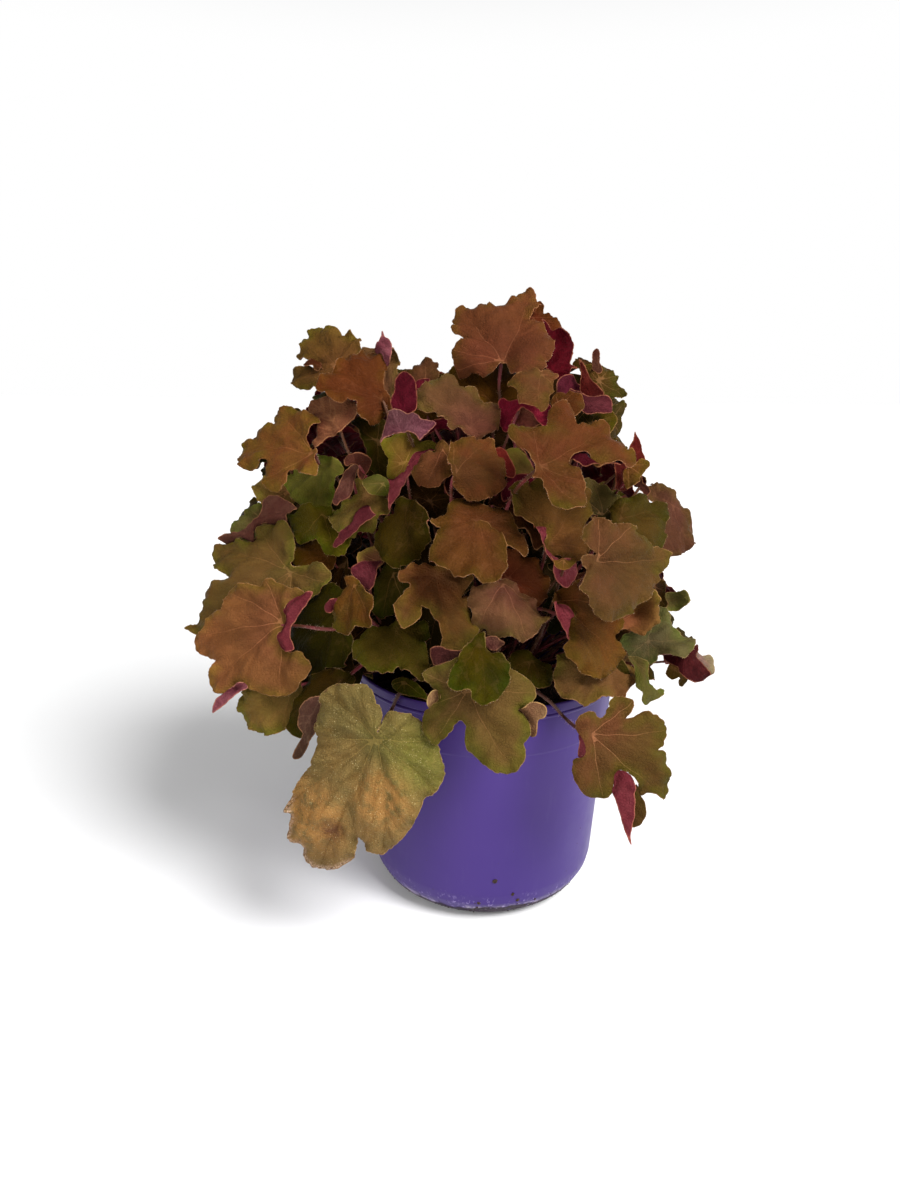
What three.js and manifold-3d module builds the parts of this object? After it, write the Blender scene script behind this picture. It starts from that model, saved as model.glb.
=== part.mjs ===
// Heuchera (coral bells) growing in a round nursery pot.
// Millimetres, +Z up. The origin is the centre of the pot's flat foot.
import * as THREE from 'three';
import { mergeVertices } from 'three/addons/utils/BufferGeometryUtils.js';
import Module from 'manifold-3d';

// ---------- driving dimensions ----------
const POT_HEIGHT = 152.4;
const RIM_RADIUS = 85;          // outside of the rim
const RIM_BAND = 7.5;           // depth of the plain band at the top
const RIM_STEP = 1.5;           // how far the band stands out from the wall
const SHOULDER_Z = 121;         // stacking shoulder on the wall
const SHOULDER_RADIUS = 82.2;
const WALL_LOW_RADIUS = 75.6;   // wall where it meets the chamfered foot
const CHAMFER_HEIGHT = 21;
const FOOT_RADIUS = 61.4;
const WALL = 1.4;               // plastic thickness
const FLOOR = 2;                // thickness of the pot's floor
const DRAIN_COUNT = 8;
const DRAIN_RADIUS = 4.5;
const DRAIN_RING = 44;
const GAP = 0.3;                // clearance between touching pieces
const SOIL_TOP = 128;
const CROWN_CENTRE = [-6, 2, 129];
const CROWN_RADII = [24, 21.6, 17];
const STALK_RADIUS = 1.3;
const STALK_SIDES = 5;
const STALK_STEPS = 6;
const STALK_SINK = 2.5;         // how far a stalk's root runs toward the crown's middle
const BLADE = 0.9;              // thickness of a leaf blade

// Each leaf: the stalk's centreline from the crown to the blade, the blade's
// heart, a ring of points half way out, its margin, and the side that faces up.
const LEAVES = [
  { name: 'leaf_aged_low_left', colour: '#a08a4a', up: [-0.218,-0.971,0.096],
    stalk: [[-3.9,-19.3,131.5],[-9.5,-35.2,149.8],[-22.7,-53,160.9],[-37.8,-68.3,164.6],[-49.2,-74.8,156.9],[-55.1,-70.5,143.5],[-57,-121.4,149.5]],
    heart: [-76.2,-120.5,124.5],
    middle: [[-62.9,-120.8,145.8],[-57,-121.9,147.1],[-50.1,-123.9,142.9],[-44.7,-126.2,132.5],[-56.8,-125.8,109.1],[-63.9,-124.6,101.2],[-71.7,-122.9,106.1],[-74.4,-122.4,97],[-84,-120,91.8],[-94.2,-116.8,103.5],[-95.3,-116.1,110.7],[-85.7,-117.4,127.4],[-82.8,-114.7,149],[-70.3,-117.3,153.6]],
    margin: [[-52.3,-119.4,162.5],[-41.5,-120.8,164.6],[-29.2,-124.2,156.8],[-19.4,-127.9,137.7],[-41.2,-128.3,95.6],[-54.1,-126.2,81.3],[-68.1,-123.8,90.5],[-73.2,-122.2,73.6],[-90.6,-117.7,64.1],[-109.1,-112.7,85.8],[-111.1,-111.6,99],[-93.4,-114.7,129.6],[-88.5,-108.1,168.2],[-65.9,-112.3,176.3]] },
  { name: 'leaf_left_01', colour: '#6b5526', up: [-0.384,-0.639,0.667],
    stalk: [[-25.8,0.4,138.5],[-43.5,-7.2,152.5],[-61,-15.1,168.4],[-77.7,-23.2,184.8],[-93.1,-31.4,200.2],[-106.6,-39.5,213],[-117.5,-47.5,221.9]],
    heart: [-129.2,-51.7,211.8],
    middle: [[-127.8,-33,231],[-138.1,-30.6,228.3],[-139.7,-34.2,224.4],[-151.7,-29.1,222.4],[-155.2,-31.4,218.1],[-146.4,-42,213.3],[-154.8,-42.4,207.6],[-160.5,-48.6,196.3],[-154.5,-52.7,195.7],[-126.4,-57.3,204.9],[-111.2,-55.7,213.2],[-111.1,-51.3,220.1],[-121.9,-48.5,218.9],[-122.6,-41.7,225.9]],
    margin: [[-127.5,-14.8,246.1],[-146,-10.9,241.1],[-149,-17.6,234.1],[-170.7,-8.4,230.5],[-177.1,-12.3,222.7],[-161.1,-31.7,214],[-176.5,-31.2,203.2],[-187.4,-40.9,182.4],[-176.3,-49.5,181.6],[-124.2,-61.4,199.1],[-95.7,-61.7,215.1],[-95.8,-53.1,227.4],[-116,-45.8,224.6],[-117.6,-31.5,236.9]] },
  { name: 'leaf_crest', colour: '#86472a', up: [0.024,-0.626,0.779],
    stalk: [[6.1,-4.2,142.8],[20.7,-18.4,210],[21.8,-21.3,254.1],[16,-20,291],[5.3,-17.7,321.9],[6.2,-21.7,345.8]],
    heart: [4.1,0.2,363.4],
    middle: [[-1.7,-19.3,347.6],[-7.8,-18,347.9],[-11.2,-9.4,355.7],[-8.2,-3,360.9],[-11.5,-1.5,361.9],[-9.4,9.6,370.4],[6.2,10.7,371.6],[13.4,18.3,377.1],[18.1,12.8,372.5],[14.2,5.6,367.1],[21.7,-2.5,359.9],[18.7,-15.2,350.1],[10.7,-19.1,347.9],[6.3,-13.4,352.7]],
    margin: [[-6.3,-22.2,334.9],[-17.4,-16.1,335.5],[-23.6,-12.2,349.6],[-18.2,-4.6,358.9],[-24.3,-1.4,360.7],[-20.4,18,376.2],[7.9,19.5,378.3],[21,34,388.3],[29.6,24.3,379.9],[22.5,10.6,370.2],[36,-3.1,357.1],[30.6,-26.1,339.3],[16.1,-31.9,335.3],[8.1,-23.6,344.1]] },
  { name: 'leaf_big_left', colour: '#8a4a22', up: [-0.263,-0.879,0.398],
    stalk: [[-26,-8.4,133.5],[-36.4,-33.1,172.6],[-39.9,-67.7,193.5],[-51.3,-95,203.7],[-82.1,-96.2,202],[-120.8,-71.5,195.4]],
    heart: [-148.1,-72.3,176.1],
    middle: [[-151.6,-62.1,195.4],[-136.1,-64.6,200.5],[-124.7,-69.3,197.6],[-130.6,-71.6,190.5],[-130.6,-76.3,180],[-123.1,-78.3,179.6],[-121.2,-80.6,174.8],[-126.6,-81.6,168.1],[-142.5,-77,168.2],[-153,-74.6,164.2],[-156.9,-72.1,167.6],[-154.2,-70.8,174.1],[-163.5,-64.7,180],[-152.9,-64.6,189.6]],
    margin: [[-155,-52.1,210.6],[-127.2,-54.9,219.3],[-106.6,-62.8,213.9],[-116.9,-68.8,201.5],[-116.5,-78.4,182.9],[-103.3,-80.9,181.7],[-99.9,-84.7,172.9],[-109.6,-87.2,160.8],[-138.1,-80.4,161.6],[-157.1,-76.1,154.3],[-164.1,-71.5,160.5],[-159.1,-69.5,172.4],[-176.2,-57.8,183.1],[-157,-57.4,200.3]] },
  { name: 'leaf_right_01', colour: '#8a5534', up: [0.617,-0.719,0.319],
    stalk: [[-3.9,-11.4,142.2],[3.3,-23.7,160.6],[10.4,-38.2,172.7],[18.4,-53.9,182.8],[28.1,-69.8,195.1],[40.4,-84.8,213.8],[56.5,-97.7,243.1]],
    heart: [77,-85.9,230.9],
    middle: [[63.1,-89.5,248.4],[66.3,-86.1,249.6],[71.2,-83.5,246.9],[77,-78.8,246.1],[90.9,-71.3,235.5],[90.9,-72.9,232.1],[82.1,-83.8,224],[73.6,-92.2,220.6],[68.7,-96.2,221.1],[63.9,-98.7,225.9],[61.3,-98.7,231.8],[62.2,-94.8,239.5],[65.3,-92.2,239.3],[62.5,-92.2,244.3]],
    margin: [[52.1,-90,262.2],[58,-83.8,264.4],[66.8,-79.7,259.5],[77.2,-71.5,258.2],[102.4,-58.9,239.2],[102.3,-61.9,232.9],[86.4,-82,218.3],[71,-96.6,212.1],[62.1,-103.6,212.9],[53.3,-108.2,221.7],[48.6,-108.4,232.3],[50.2,-100.9,246.4],[55.9,-96.6,246.1],[50.9,-95.7,254.8]] },
  { name: 'leaf_over_rim', colour: '#77612a', up: [0.044,-0.950,0.308],
    stalk: [[-8.9,-18.4,134.1],[-10.1,-30.5,142.4],[-9.7,-45.4,150.7],[-8.6,-62.4,158.5],[-7.5,-80.7,165.8],[-7.3,-99.6,172.2],[-8.7,-118.2,177.5]],
    heart: [-8.2,-115,184.4],
    middle: [[-20.3,-113.9,185.6],[-6.8,-111.4,190.3],[-2.4,-110.9,190],[10.5,-113.7,181.4],[6.3,-118.1,175.1],[9.7,-120.2,168.6],[8.1,-122.5,161.7],[3.9,-124,157.6],[-0.2,-124.1,158.4],[-8.4,-122.5,164.4],[-11.7,-120.2,171.7],[-17.2,-121.3,164.8],[-21.7,-119.4,170],[-17.1,-116.9,179.5]],
    margin: [[-30.1,-112.3,186.3],[-5.6,-107.9,194.9],[2.4,-106.3,194],[25.8,-112,178.8],[18.2,-119.4,166.9],[24.2,-121.6,154.4],[21.4,-124.5,141.4],[13.7,-126.7,133.9],[6.3,-127.3,135.4],[-8.6,-125.8,146.9],[-14.6,-122.5,160.5],[-24.6,-121.5,146.8],[-32.8,-118.3,156.3],[-24.4,-117.5,175]] },
  { name: 'leaf_front_03', colour: '#7c5826', up: [0.643,-0.697,0.317],
    stalk: [[5.4,-13.9,137.2],[14.5,-32.6,163.6],[19.5,-45.2,184.3],[24.4,-56.2,200.2],[31.1,-66.1,207.2],[50.6,-82.3,206.3]],
    heart: [62.1,-71.1,207.6],
    middle: [[48,-79.2,215.4],[55.8,-71.3,217.8],[65.2,-63.2,215.9],[70.6,-60.7,211.4],[73.4,-60.4,207.1],[70,-67.8,198.9],[71.6,-70.1,190],[64.5,-77.3,188.1],[61.7,-79.5,188.9],[54.2,-84.3,195],[51.8,-83.7,201.4],[54.1,-78.7,207.8]],
    margin: [[37.4,-74.2,218.4],[50.7,-70.7,225.9],[67.8,-56.4,222.6],[77.5,-52.2,214.6],[82.8,-51.5,206.6],[76.6,-64.7,191.7],[79.5,-67.4,175],[66.6,-80,171.5],[61.6,-84.1,172.9],[47.9,-93.2,184.2],[43.6,-91.8,195.8],[47.6,-83.5,207.5]] },
  { name: 'leaf_front_04', colour: '#8a4a22', up: [0.223,-0.645,0.731],
    stalk: [[-0.5,-7.4,143.8],[-3.2,-23.5,169.2],[-2.1,-30.4,190],[2.1,-34.7,209.5],[8.7,-42.6,230.8],[17,-60.9,257.4],[26.4,-95.8,292.5]],
    heart: [33.6,-84.5,300.9],
    middle: [[39.9,-76.2,306.3],[39.7,-69.3,312],[32.6,-73,310.6],[31.5,-78.5,306.3],[20.4,-81.6,305.6],[31.2,-98.8,288.6],[35.9,-100.5,285.7],[42.5,-95.6,288.3],[38.1,-86.5,298],[54.5,-83.1,295.3],[58.6,-78.7,297.5],[47,-72.1,307.6]],
    margin: [[45,-69.2,310.6],[44.6,-56.3,321],[31.8,-63.1,318.5],[29.8,-73.5,310.7],[9.7,-78.3,309.3],[29.3,-109.7,278.4],[37.8,-112.1,273],[49.8,-102.9,277.8],[41.8,-88,295.6],[71.7,-79.2,290.4],[79.1,-70.7,294.4],[58,-61.2,312.9]] },
  { name: 'leaf_back_01', colour: '#6a4a20', up: [-0.294,-0.666,0.686],
    stalk: [[-10.2,13.6,143],[-15.8,21.1,178.3],[-31.8,25.5,217.5],[-53.2,27.4,257],[-74.9,27.4,293],[-92.1,26,321.9],[-99.7,23.9,340]],
    heart: [-94.3,28.6,344.9],
    middle: [[-89.8,34.3,352.3],[-94.3,37.6,354.8],[-108.6,43.4,356.1],[-112.4,41,352.4],[-112.1,35.9,347.7],[-114.4,35.9,346.7],[-105.7,29.2,343.8],[-113.1,29.2,340.7],[-112.9,24.1,335.5],[-99.8,18.1,334.1],[-94.8,19.2,334.9],[-88.8,26.4,341.6]],
    margin: [[-86,38.2,358.3],[-94.4,45.7,362.9],[-121.1,59.3,365.2],[-128,55.4,358.6],[-127.6,46.3,350],[-131.8,46.7,348.1],[-115.6,32.8,343],[-129.5,35.1,337.2],[-129.3,26.6,327.9],[-104.6,10.3,325.3],[-95,10.3,326.7],[-84.4,24.9,338.9]] },
  { name: 'leaf_left_03', colour: '#38400f', up: [-0.580,-0.725,0.372],
    stalk: [[-26.8,-4,136],[-40.2,-16.1,153.3],[-50.5,-25.7,165.6],[-59,-34,175.1],[-66.9,-42.4,183.7],[-75.6,-52.1,193.3],[-86.1,-64.5,205.8]],
    heart: [-95.6,-66.1,190.7],
    middle: [[-94,-58.7,205.2],[-90.9,-61.5,205],[-86.2,-67.1,201],[-84.8,-70.1,195.9],[-85.6,-72.7,185.2],[-87.7,-71.9,181.8],[-99.7,-66.5,175.1],[-102.7,-64.9,176.1],[-107.9,-60.1,181.9],[-109.3,-55.6,188.8],[-107.2,-55.1,192.9],[-101.3,-56.4,199.3]],
    margin: [[-93,-51.1,216.6],[-87.3,-56.2,216.2],[-78.7,-66.4,208.9],[-76.6,-69.4,199],[-77.6,-77.2,180.5],[-81.4,-76.1,174.3],[-103,-66.9,162.3],[-108.5,-63.6,164],[-117.9,-54.7,174.6],[-120.5,-46.7,187.2],[-116.7,-46,194.7],[-106,-47.9,206.2]] },
  { name: 'leaf_low_right', colour: '#80602c', up: [0.218,-0.947,0.235],
    stalk: [[0.5,-13.7,139.7],[6.7,-31.2,155.1],[13.2,-53.5,163.2],[22.7,-73.3,164.6],[36.8,-81.1,157.1],[45.5,-77,146.3],[50.9,-101.6,150.2],[59.1,-106.6,149.2]],
    heart: [73.6,-104.9,147.2],
    middle: [[71,-101.5,158.2],[78.1,-100.2,157.2],[88.3,-99.9,149.9],[90.5,-104.6,129.9],[81.6,-107.4,128.7],[74.7,-107.4,137.2],[70.7,-109.7,129.6],[64.6,-110.6,129.9],[59.8,-109.5,138.8],[63,-107.8,143.9],[60.1,-105.6,151.9],[68.6,-104.2,152.5]],
    margin: [[68.9,-98,166.9],[81.8,-95.7,165.1],[100.4,-95,151.7],[104.7,-101.9,114.5],[88.4,-107.5,112.7],[75.7,-108.8,128.8],[68.6,-111.8,114.4],[57.5,-113.2,114.8],[48.7,-111.8,131.2],[54.4,-109.4,140.9],[49.2,-105.2,155.3],[64.5,-103.2,156.6]] },
  { name: 'leaf_left_04', colour: '#8a4a22', up: [-0.390,-0.672,0.629],
    stalk: [[-17.6,5.7,143.6],[-33.3,3.1,181.6],[-48.6,-4.1,210.1],[-63.4,-14,232.2],[-77.5,-24.9,251.1],[-90.8,-35.2,270],[-103.3,-43,291.9]],
    heart: [-125.8,-27.3,295.9],
    middle: [[-124.5,-16.7,307],[-129.1,-19.8,301.5],[-141,-18.8,294.7],[-139.6,-26.1,287.4],[-129.7,-31.1,289.1],[-126.3,-39.4,281.8],[-120.8,-40.4,284.6],[-120.4,-37.1,288.6],[-111.2,-42.9,287.9],[-111.2,-37.3,293.8],[-115.7,-32,296.8],[-112.6,-27,303.1]],
    margin: [[-123.6,-7.3,316.1],[-131.8,-13.4,306.1],[-153.6,-11.2,293.6],[-151.3,-23.9,280.4],[-133.1,-33.7,283.5],[-127.1,-47.8,270.2],[-116.9,-50.2,275.3],[-116.1,-44.7,282.7],[-99.5,-54.6,281.2],[-99.4,-44.6,292.1],[-107.6,-35.4,297.4],[-102.2,-25.5,309]] },
  { name: 'leaf_front_05', colour: '#7a5028', up: [0.502,-0.625,0.597],
    stalk: [[4.8,-9.4,141.3],[14.8,-17.9,160.5],[21.9,-24,180.3],[26.9,-30.4,199.8],[30.3,-39.4,218.1],[32.6,-53.6,234.3],[34.5,-75.4,247.6]],
    heart: [43.3,-64.1,258.7],
    middle: [[26.3,-66.5,269.1],[37.7,-55.5,271.5],[48.4,-49.3,269],[51.7,-50.1,265.3],[52,-55.7,259.5],[49.7,-61.7,255.2],[51.3,-64,247.4],[41.4,-70.3,248],[37.1,-73.1,252],[37,-70.9,256.7],[31.1,-73,259.7],[26.9,-71.5,264.2]],
    margin: [[12.5,-66.6,277.3],[33.2,-47.6,281.8],[52.6,-37.2,277.4],[58.6,-38.8,270.7],[59.2,-48.7,260.1],[55,-59.5,252.2],[58.3,-57,236.7],[40.5,-66.9,237.4],[32.3,-76.9,245.7],[32,-75.8,254.9],[21.3,-79.2,260.3],[13.6,-75.8,268.3]] },
  { name: 'leaf_front_06', colour: '#8a4a22', up: [0.073,-0.643,0.762],
    stalk: [[-9.7,-13.3,140.7],[-11.9,-21.7,165.8],[-13.2,-33.1,189.5],[-13.3,-46.9,211.5],[-12.1,-62.3,231.3],[-9.7,-78.7,248.6],[-5.9,-95.5,263.2]],
    heart: [-1.8,-94.8,263.3],
    middle: [[-17.3,-95.8,263.4],[-11,-88.9,268.5],[4.2,-90.1,266],[10.5,-99.6,257.1],[9.7,-102,255.3],[4.6,-101.3,257.1],[4.9,-105.5,253.5],[3,-110,249.9],[-7.7,-111,250.5],[-14.4,-108.9,252.7],[-17.1,-105.8,255.3],[-14.6,-97.2,262.3]],
    margin: [[-30,-95.1,263.3],[-18.6,-83.5,272.7],[9.1,-86,268.2],[20.6,-102.3,251.9],[19,-106.6,248.6],[9.8,-105.9,251.9],[10.3,-113.2,245.2],[6.9,-120.8,238.7],[-12.5,-122.5,239.8],[-24.7,-118.3,243.6],[-29.7,-112.6,248.4],[-25.1,-98.1,261.3]] },
  { name: 'leaf_front_07', colour: '#7a5028', up: [0.471,-0.554,0.687],
    stalk: [[-13.3,-16.2,136.6],[-14.6,-26.7,150.1],[-16,-34.5,162.3],[-17.7,-41.4,174.9],[-20,-49.4,189.3],[-23.3,-60.5,207.1],[-27.9,-76.7,229.8]],
    heart: [-31,-74.9,232.8],
    middle: [[-39.8,-80.7,233.3],[-32.2,-73.6,234.3],[-19.3,-69.1,230],[-21.2,-78.2,224.6],[-16.4,-85.7,215.6],[-20.8,-93.9,212],[-26.1,-96.2,214],[-28.3,-89.5,220.9],[-32.3,-87.6,224.5],[-33.6,-93.2,221.3],[-39.4,-96.2,222.1],[-37,-84.7,229.1]],
    margin: [[-47,-84.9,233.6],[-33.2,-72.6,235.5],[-9.8,-63.7,227.5],[-13.2,-79.8,217.7],[-4.9,-86.6,199.6],[-13.4,-94.8,191.4],[-23,-98.4,194.9],[-26.3,-99,210.5],[-33.4,-97.7,217.7],[-35.9,-105.7,211.3],[-46.3,-112.1,212.9],[-41.9,-92.3,226.1]] },
  { name: 'leaf_top_02', colour: '#7a5028', up: [0.178,-0.608,0.774],
    stalk: [[-1.2,-1.9,145.4],[-1,-2.3,182.5],[-0.6,-4.8,216.2],[0,-8.4,246.6],[0.7,-12.3,273.9],[1.5,-15.6,298.3],[2.3,-17.3,320.2]],
    heart: [1,-10.8,330.6],
    middle: [[-17.4,-10.5,333.6],[-14.4,-9.5,334.5],[-10.2,-5.5,337.4],[-0.2,-2.2,338.2],[4.8,-1.4,337.6],[12.3,-5.3,331.8],[13.6,-8,328],[12.5,-10.6,324.2],[9.3,-12.4,322.3],[5.1,-14.7,321.4],[0.2,-17.8,322.5],[-12.5,-15.6,329.9]],
    margin: [[-32.4,-3.6,335.8],[-27,-4.4,337.6],[-19.4,0.5,342.9],[-1.2,6,344.3],[8,7.4,343.2],[21.5,-0.5,332.8],[23.9,-7.6,325.9],[22,-13.8,319.1],[16.2,-14.6,315.6],[8.5,-16,313.8],[-0.5,-22.1,315.7],[-23.5,-14.1,329.1]] },
  { name: 'leaf_top_03', colour: '#8a4a22', up: [0.190,-0.625,0.757],
    stalk: [[-13.4,1.9,145.2],[-20.5,-1.4,178.9],[-27.9,-5.1,208.2],[-35.7,-9.1,235.1],[-44.2,-13.3,261.7],[-53.5,-17.7,289.8],[-63.7,-22.2,321.4]],
    heart: [-73.5,-12.8,332.7],
    middle: [[-89.7,-19.3,330.7],[-88.4,-15.4,333.8],[-82.3,-5.9,340.2],[-74.6,-0.8,342.3],[-68,-4.5,337.5],[-68.6,-11.4,332.3],[-65.1,-18.8,325.2],[-67.1,-24.2,321],[-71.1,-27.7,319.3],[-74.9,-25.8,322.3],[-76,-22,325.9],[-83.6,-23.2,326.5]],
    margin: [[-103.3,-22.7,329],[-100.9,-15.9,334.6],[-89.6,0.5,346.4],[-75.5,9.4,350.2],[-63.5,2.3,341.4],[-64.5,-10.1,332],[-58.5,-21.4,319.1],[-62.7,-26.4,311.2],[-69.9,-34.3,308.2],[-76.1,-35.4,313.8],[-78.1,-29.2,320.3],[-91.9,-30.9,321.3]] },
  { name: 'leaf_top_04', colour: '#85523c', up: [0.226,-0.601,0.766],
    stalk: [[-6.7,-6,144.8],[-7.7,-14.1,186.7],[-8.9,-22,221.6],[-10.2,-29.5,250.3],[-11.2,-36.6,273.6],[-11.8,-43.1,292.4],[-11.5,-48.9,307.6]],
    heart: [-8.2,-46,314.2],
    middle: [[-26.3,-46.6,321.6],[-21.8,-39.7,325.7],[-16.2,-37.3,326],[-11.9,-40.4,322.4],[-7.2,-39.7,321.2],[-5.8,-43.2,317.4],[-1.1,-40.1,318.2],[-1.3,-42.9,309.7],[-5.6,-45,307.8],[-10.9,-48.3,308.2],[-16.7,-50.3,313.9],[-25.8,-52.6,316.1]],
    margin: [[-41.3,-41.6,327.2],[-33.1,-29.9,334.8],[-22.9,-26.5,335.4],[-15.1,-32.8,328.9],[-6.5,-31.9,326.8],[-4,-39.8,319.8],[4.6,-33.4,321.4],[4.3,-39.6,306],[-3.6,-43.7,302.6],[-13,-52,303.4],[-23.6,-53.6,313.7],[-40.3,-53.7,317.3]] },
  { name: 'leaf_front_08', colour: '#80523c', up: [0.300,-0.535,0.790],
    stalk: [[-5.9,-16.2,138.2],[-2.1,-24.9,156],[0,-33.7,170.6],[1.4,-42.6,183.5],[2.8,-52.1,195.8],[5.2,-62.3,208.9],[9.5,-73.4,224.3]],
    heart: [9.5,-90,213.1],
    middle: [[3.9,-84,219.8],[0.3,-86.2,219.3],[-1.3,-90.6,216.2],[0.7,-91.4,208.1],[10.9,-91.5,204.8],[17.9,-93.4,206],[21,-89.9,208.9],[23.3,-87.2,209.7],[21.7,-86.5,211.1],[17.5,-81.9,216.1],[9.8,-79.4,220.6],[6.7,-80.7,220.9]],
    margin: [[-0.6,-77.2,224.7],[-7.1,-81,223.9],[-10.1,-91.3,218.7],[-6.5,-93,204.1],[12.1,-91.2,197.5],[24.8,-97.3,200.5],[30.5,-88.2,205.1],[34.6,-82.9,206.5],[31.8,-81.5,208.9],[24.1,-74.1,218.1],[10,-69.5,226.5],[4.4,-71.5,226.9]] },
  { name: 'leaf_left_05', colour: '#5d6a28', up: [-0.541,-0.746,0.388],
    stalk: [[-26.5,6.9,137],[-38.4,7,164],[-46.5,4.5,184.2],[-53.8,0.1,201.9],[-63.4,-5.7,221.4],[-78,-12.2,247],[-100.8,-18.9,283]],
    heart: [-115.2,-12.7,271.1],
    middle: [[-123,-8.6,269],[-122,-8.8,266.6],[-117,-6.8,260.2],[-111,-7.3,257.4],[-106.1,-7.6,259.3],[-106.8,-8.4,262.3],[-104,-16.5,270.4],[-100.9,-21,277.6],[-104.8,-17.6,280.1],[-113.6,-11.9,278.8],[-118.3,-9.8,276.1],[-121.4,-9,272.9]],
    margin: [[-129.6,-4.8,267.2],[-127.6,-5.7,263],[-117.3,-8.3,252.1],[-104.3,-19.5,248],[-96.6,-13.5,250.7],[-99,-9.7,255.7],[-94.9,-19.9,269.9],[-89.7,-26,282.7],[-97.1,-18.2,287.2],[-112.9,-8.2,284.7],[-121.4,-4.8,279.9],[-126.9,-4.1,274.1]] },
  { name: 'leaf_front_09', colour: '#444010', up: [-0.081,-0.502,0.861],
    stalk: [[-16.8,-16.8,132.5],[-22.4,-27,143.6],[-28.2,-37.8,154.8],[-34,-48.6,166],[-39.8,-59.4,177],[-45.4,-69.8,187.7],[-50.7,-79.4,198.1]],
    heart: [-51.2,-88.7,193],
    middle: [[-61.6,-83.4,194.4],[-53,-81.2,196.9],[-42.4,-80.4,197.9],[-40.4,-86.5,194.7],[-41.5,-88.4,193.7],[-38.9,-97.1,188.4],[-40.7,-100.8,186],[-47.5,-98.5,187.6],[-53.4,-98.9,186.6],[-58.2,-96.9,187],[-63.1,-91.8,189.2],[-63.8,-87.6,191.6]],
    margin: [[-70.1,-78.4,195.5],[-54.6,-74.9,200.1],[-35.4,-72.9,201.7],[-31.7,-83.9,195.8],[-33.7,-87.4,194],[-29.4,-99.6,183.3],[-32.7,-105.8,178.7],[-44.6,-105.5,182.8],[-55.3,-106.5,181.2],[-64,-102.7,181.8],[-73.1,-93.1,185.6],[-74.2,-85.6,190]] },
  { name: 'leaf_front_10', colour: '#7a5028', up: [0.168,-0.784,0.598],
    stalk: [[10,-12.4,134.6],[17.4,-19,145.4],[26.9,-27.9,154.2],[37.4,-38.2,161.5],[47.9,-49.1,168],[57.3,-59.7,174.2],[64.6,-69.3,180.8]],
    heart: [69.5,-68.1,171.2],
    middle: [[52.5,-80.6,180.6],[62,-73,180.5],[73.8,-57.8,175.6],[79.2,-51.4,172.1],[81.5,-55.5,166.5],[81,-59.2,165.2],[75.8,-70.4,163.3],[70.6,-72.9,164.9],[62.2,-81.7,165.2],[56.1,-84,168.1],[52.4,-84.8,171.2],[51.7,-83.3,175.4]],
    margin: [[40.2,-79.1,184.2],[56.3,-74.3,187.1],[77.5,-48,178.7],[87,-38.6,173],[90.8,-49.1,164.1],[89.6,-56.8,161.9],[80,-78.9,159.2],[70.8,-82.2,161.7],[56,-94.8,161],[45.4,-94.3,164.6],[39.4,-91.9,168.8],[38.4,-86.6,175.6]] },
  { name: 'leaf_left_06', colour: '#7a5028', up: [-0.408,-0.909,0.084],
    stalk: [[-29.3,-1.7,131.9],[-48,-12.5,147.1],[-63.5,-23.2,154.9],[-76.9,-34.1,157.7],[-89.2,-45.6,157.5],[-101.5,-57.9,156.4],[-114.8,-71.2,156.7]],
    heart: [-125.2,-78,148.6],
    middle: [[-132.9,-78.2,154.2],[-136.3,-77.6,149],[-134.4,-78.9,142.6],[-131.2,-79.7,140.2],[-127.3,-79.7,138.7],[-123,-78.4,139.1],[-119.4,-77,141.4],[-115.8,-74.2,149],[-115.6,-72.8,152.6],[-117.1,-73,155.4],[-122,-76.5,158],[-128,-78.2,157.8]],
    margin: [[-140.2,-74.1,157.1],[-146.8,-72,147.2],[-143,-75.1,135.8],[-136.9,-78.2,132.3],[-129.1,-80.8,130.6],[-120.4,-81.7,132.5],[-113.1,-81.6,137.8],[-106.7,-76.3,151.5],[-107.2,-70.6,156.7],[-110.5,-68.3,160.7],[-119.3,-75.1,165.6],[-130.8,-76.7,164.7]] },
  { name: 'leaf_front_11', colour: '#3a3410', up: [-0.534,-0.678,0.505],
    stalk: [[-17.2,-8.3,141.7],[-22.7,-15.3,161.3],[-27.8,-23.6,183.6],[-32.7,-32.6,206.9],[-37.6,-41.5,229.1],[-42.7,-49.7,248.7],[-48.1,-56.4,263.6]],
    heart: [-47.7,-68.9,248.3],
    middle: [[-50.1,-59.3,258.8],[-44.3,-63.7,258.9],[-41.2,-68.1,256.9],[-40.1,-70.8,254],[-39.7,-71.4,247.9],[-40.6,-69.5,244.1],[-46.7,-69.6,239.6],[-51.6,-69.9,239.3],[-55.3,-67.3,241.7],[-56.9,-65,243.7],[-57.3,-61.6,248.5],[-52.5,-61.5,254]],
    margin: [[-52.2,-49.9,267.1],[-41.7,-57.6,267.3],[-36,-65.7,263.6],[-33.7,-72.6,258.6],[-33.3,-71.3,247.2],[-35.5,-63.5,239.6],[-45.8,-70.3,232.5],[-54.5,-73.2,232.3],[-61.5,-65.9,236.3],[-64.4,-61.1,239.9],[-65.2,-54.5,248.5],[-56.4,-54.3,258.5]] },
  { name: 'leaf_right_03', colour: '#7a5028', up: [0.411,-0.617,0.671],
    stalk: [[9.7,-8.7,138.7],[23.7,-17.5,168.7],[35.3,-23.8,191.2],[45.3,-28.8,208.7],[54.8,-34.1,223.8],[64.5,-41.1,239.1],[75.5,-51.2,257.3]],
    heart: [87.3,-47.4,256.4],
    middle: [[80.2,-44.4,262.5],[88.1,-38.9,263.4],[94.4,-36.9,261.2],[99.3,-35.6,259.1],[97.2,-41.3,255.4],[94.7,-50.2,248.4],[92,-53,247.3],[88.9,-54.4,248.2],[79.4,-53.2,255.3],[76.6,-48.5,259.6]],
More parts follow.
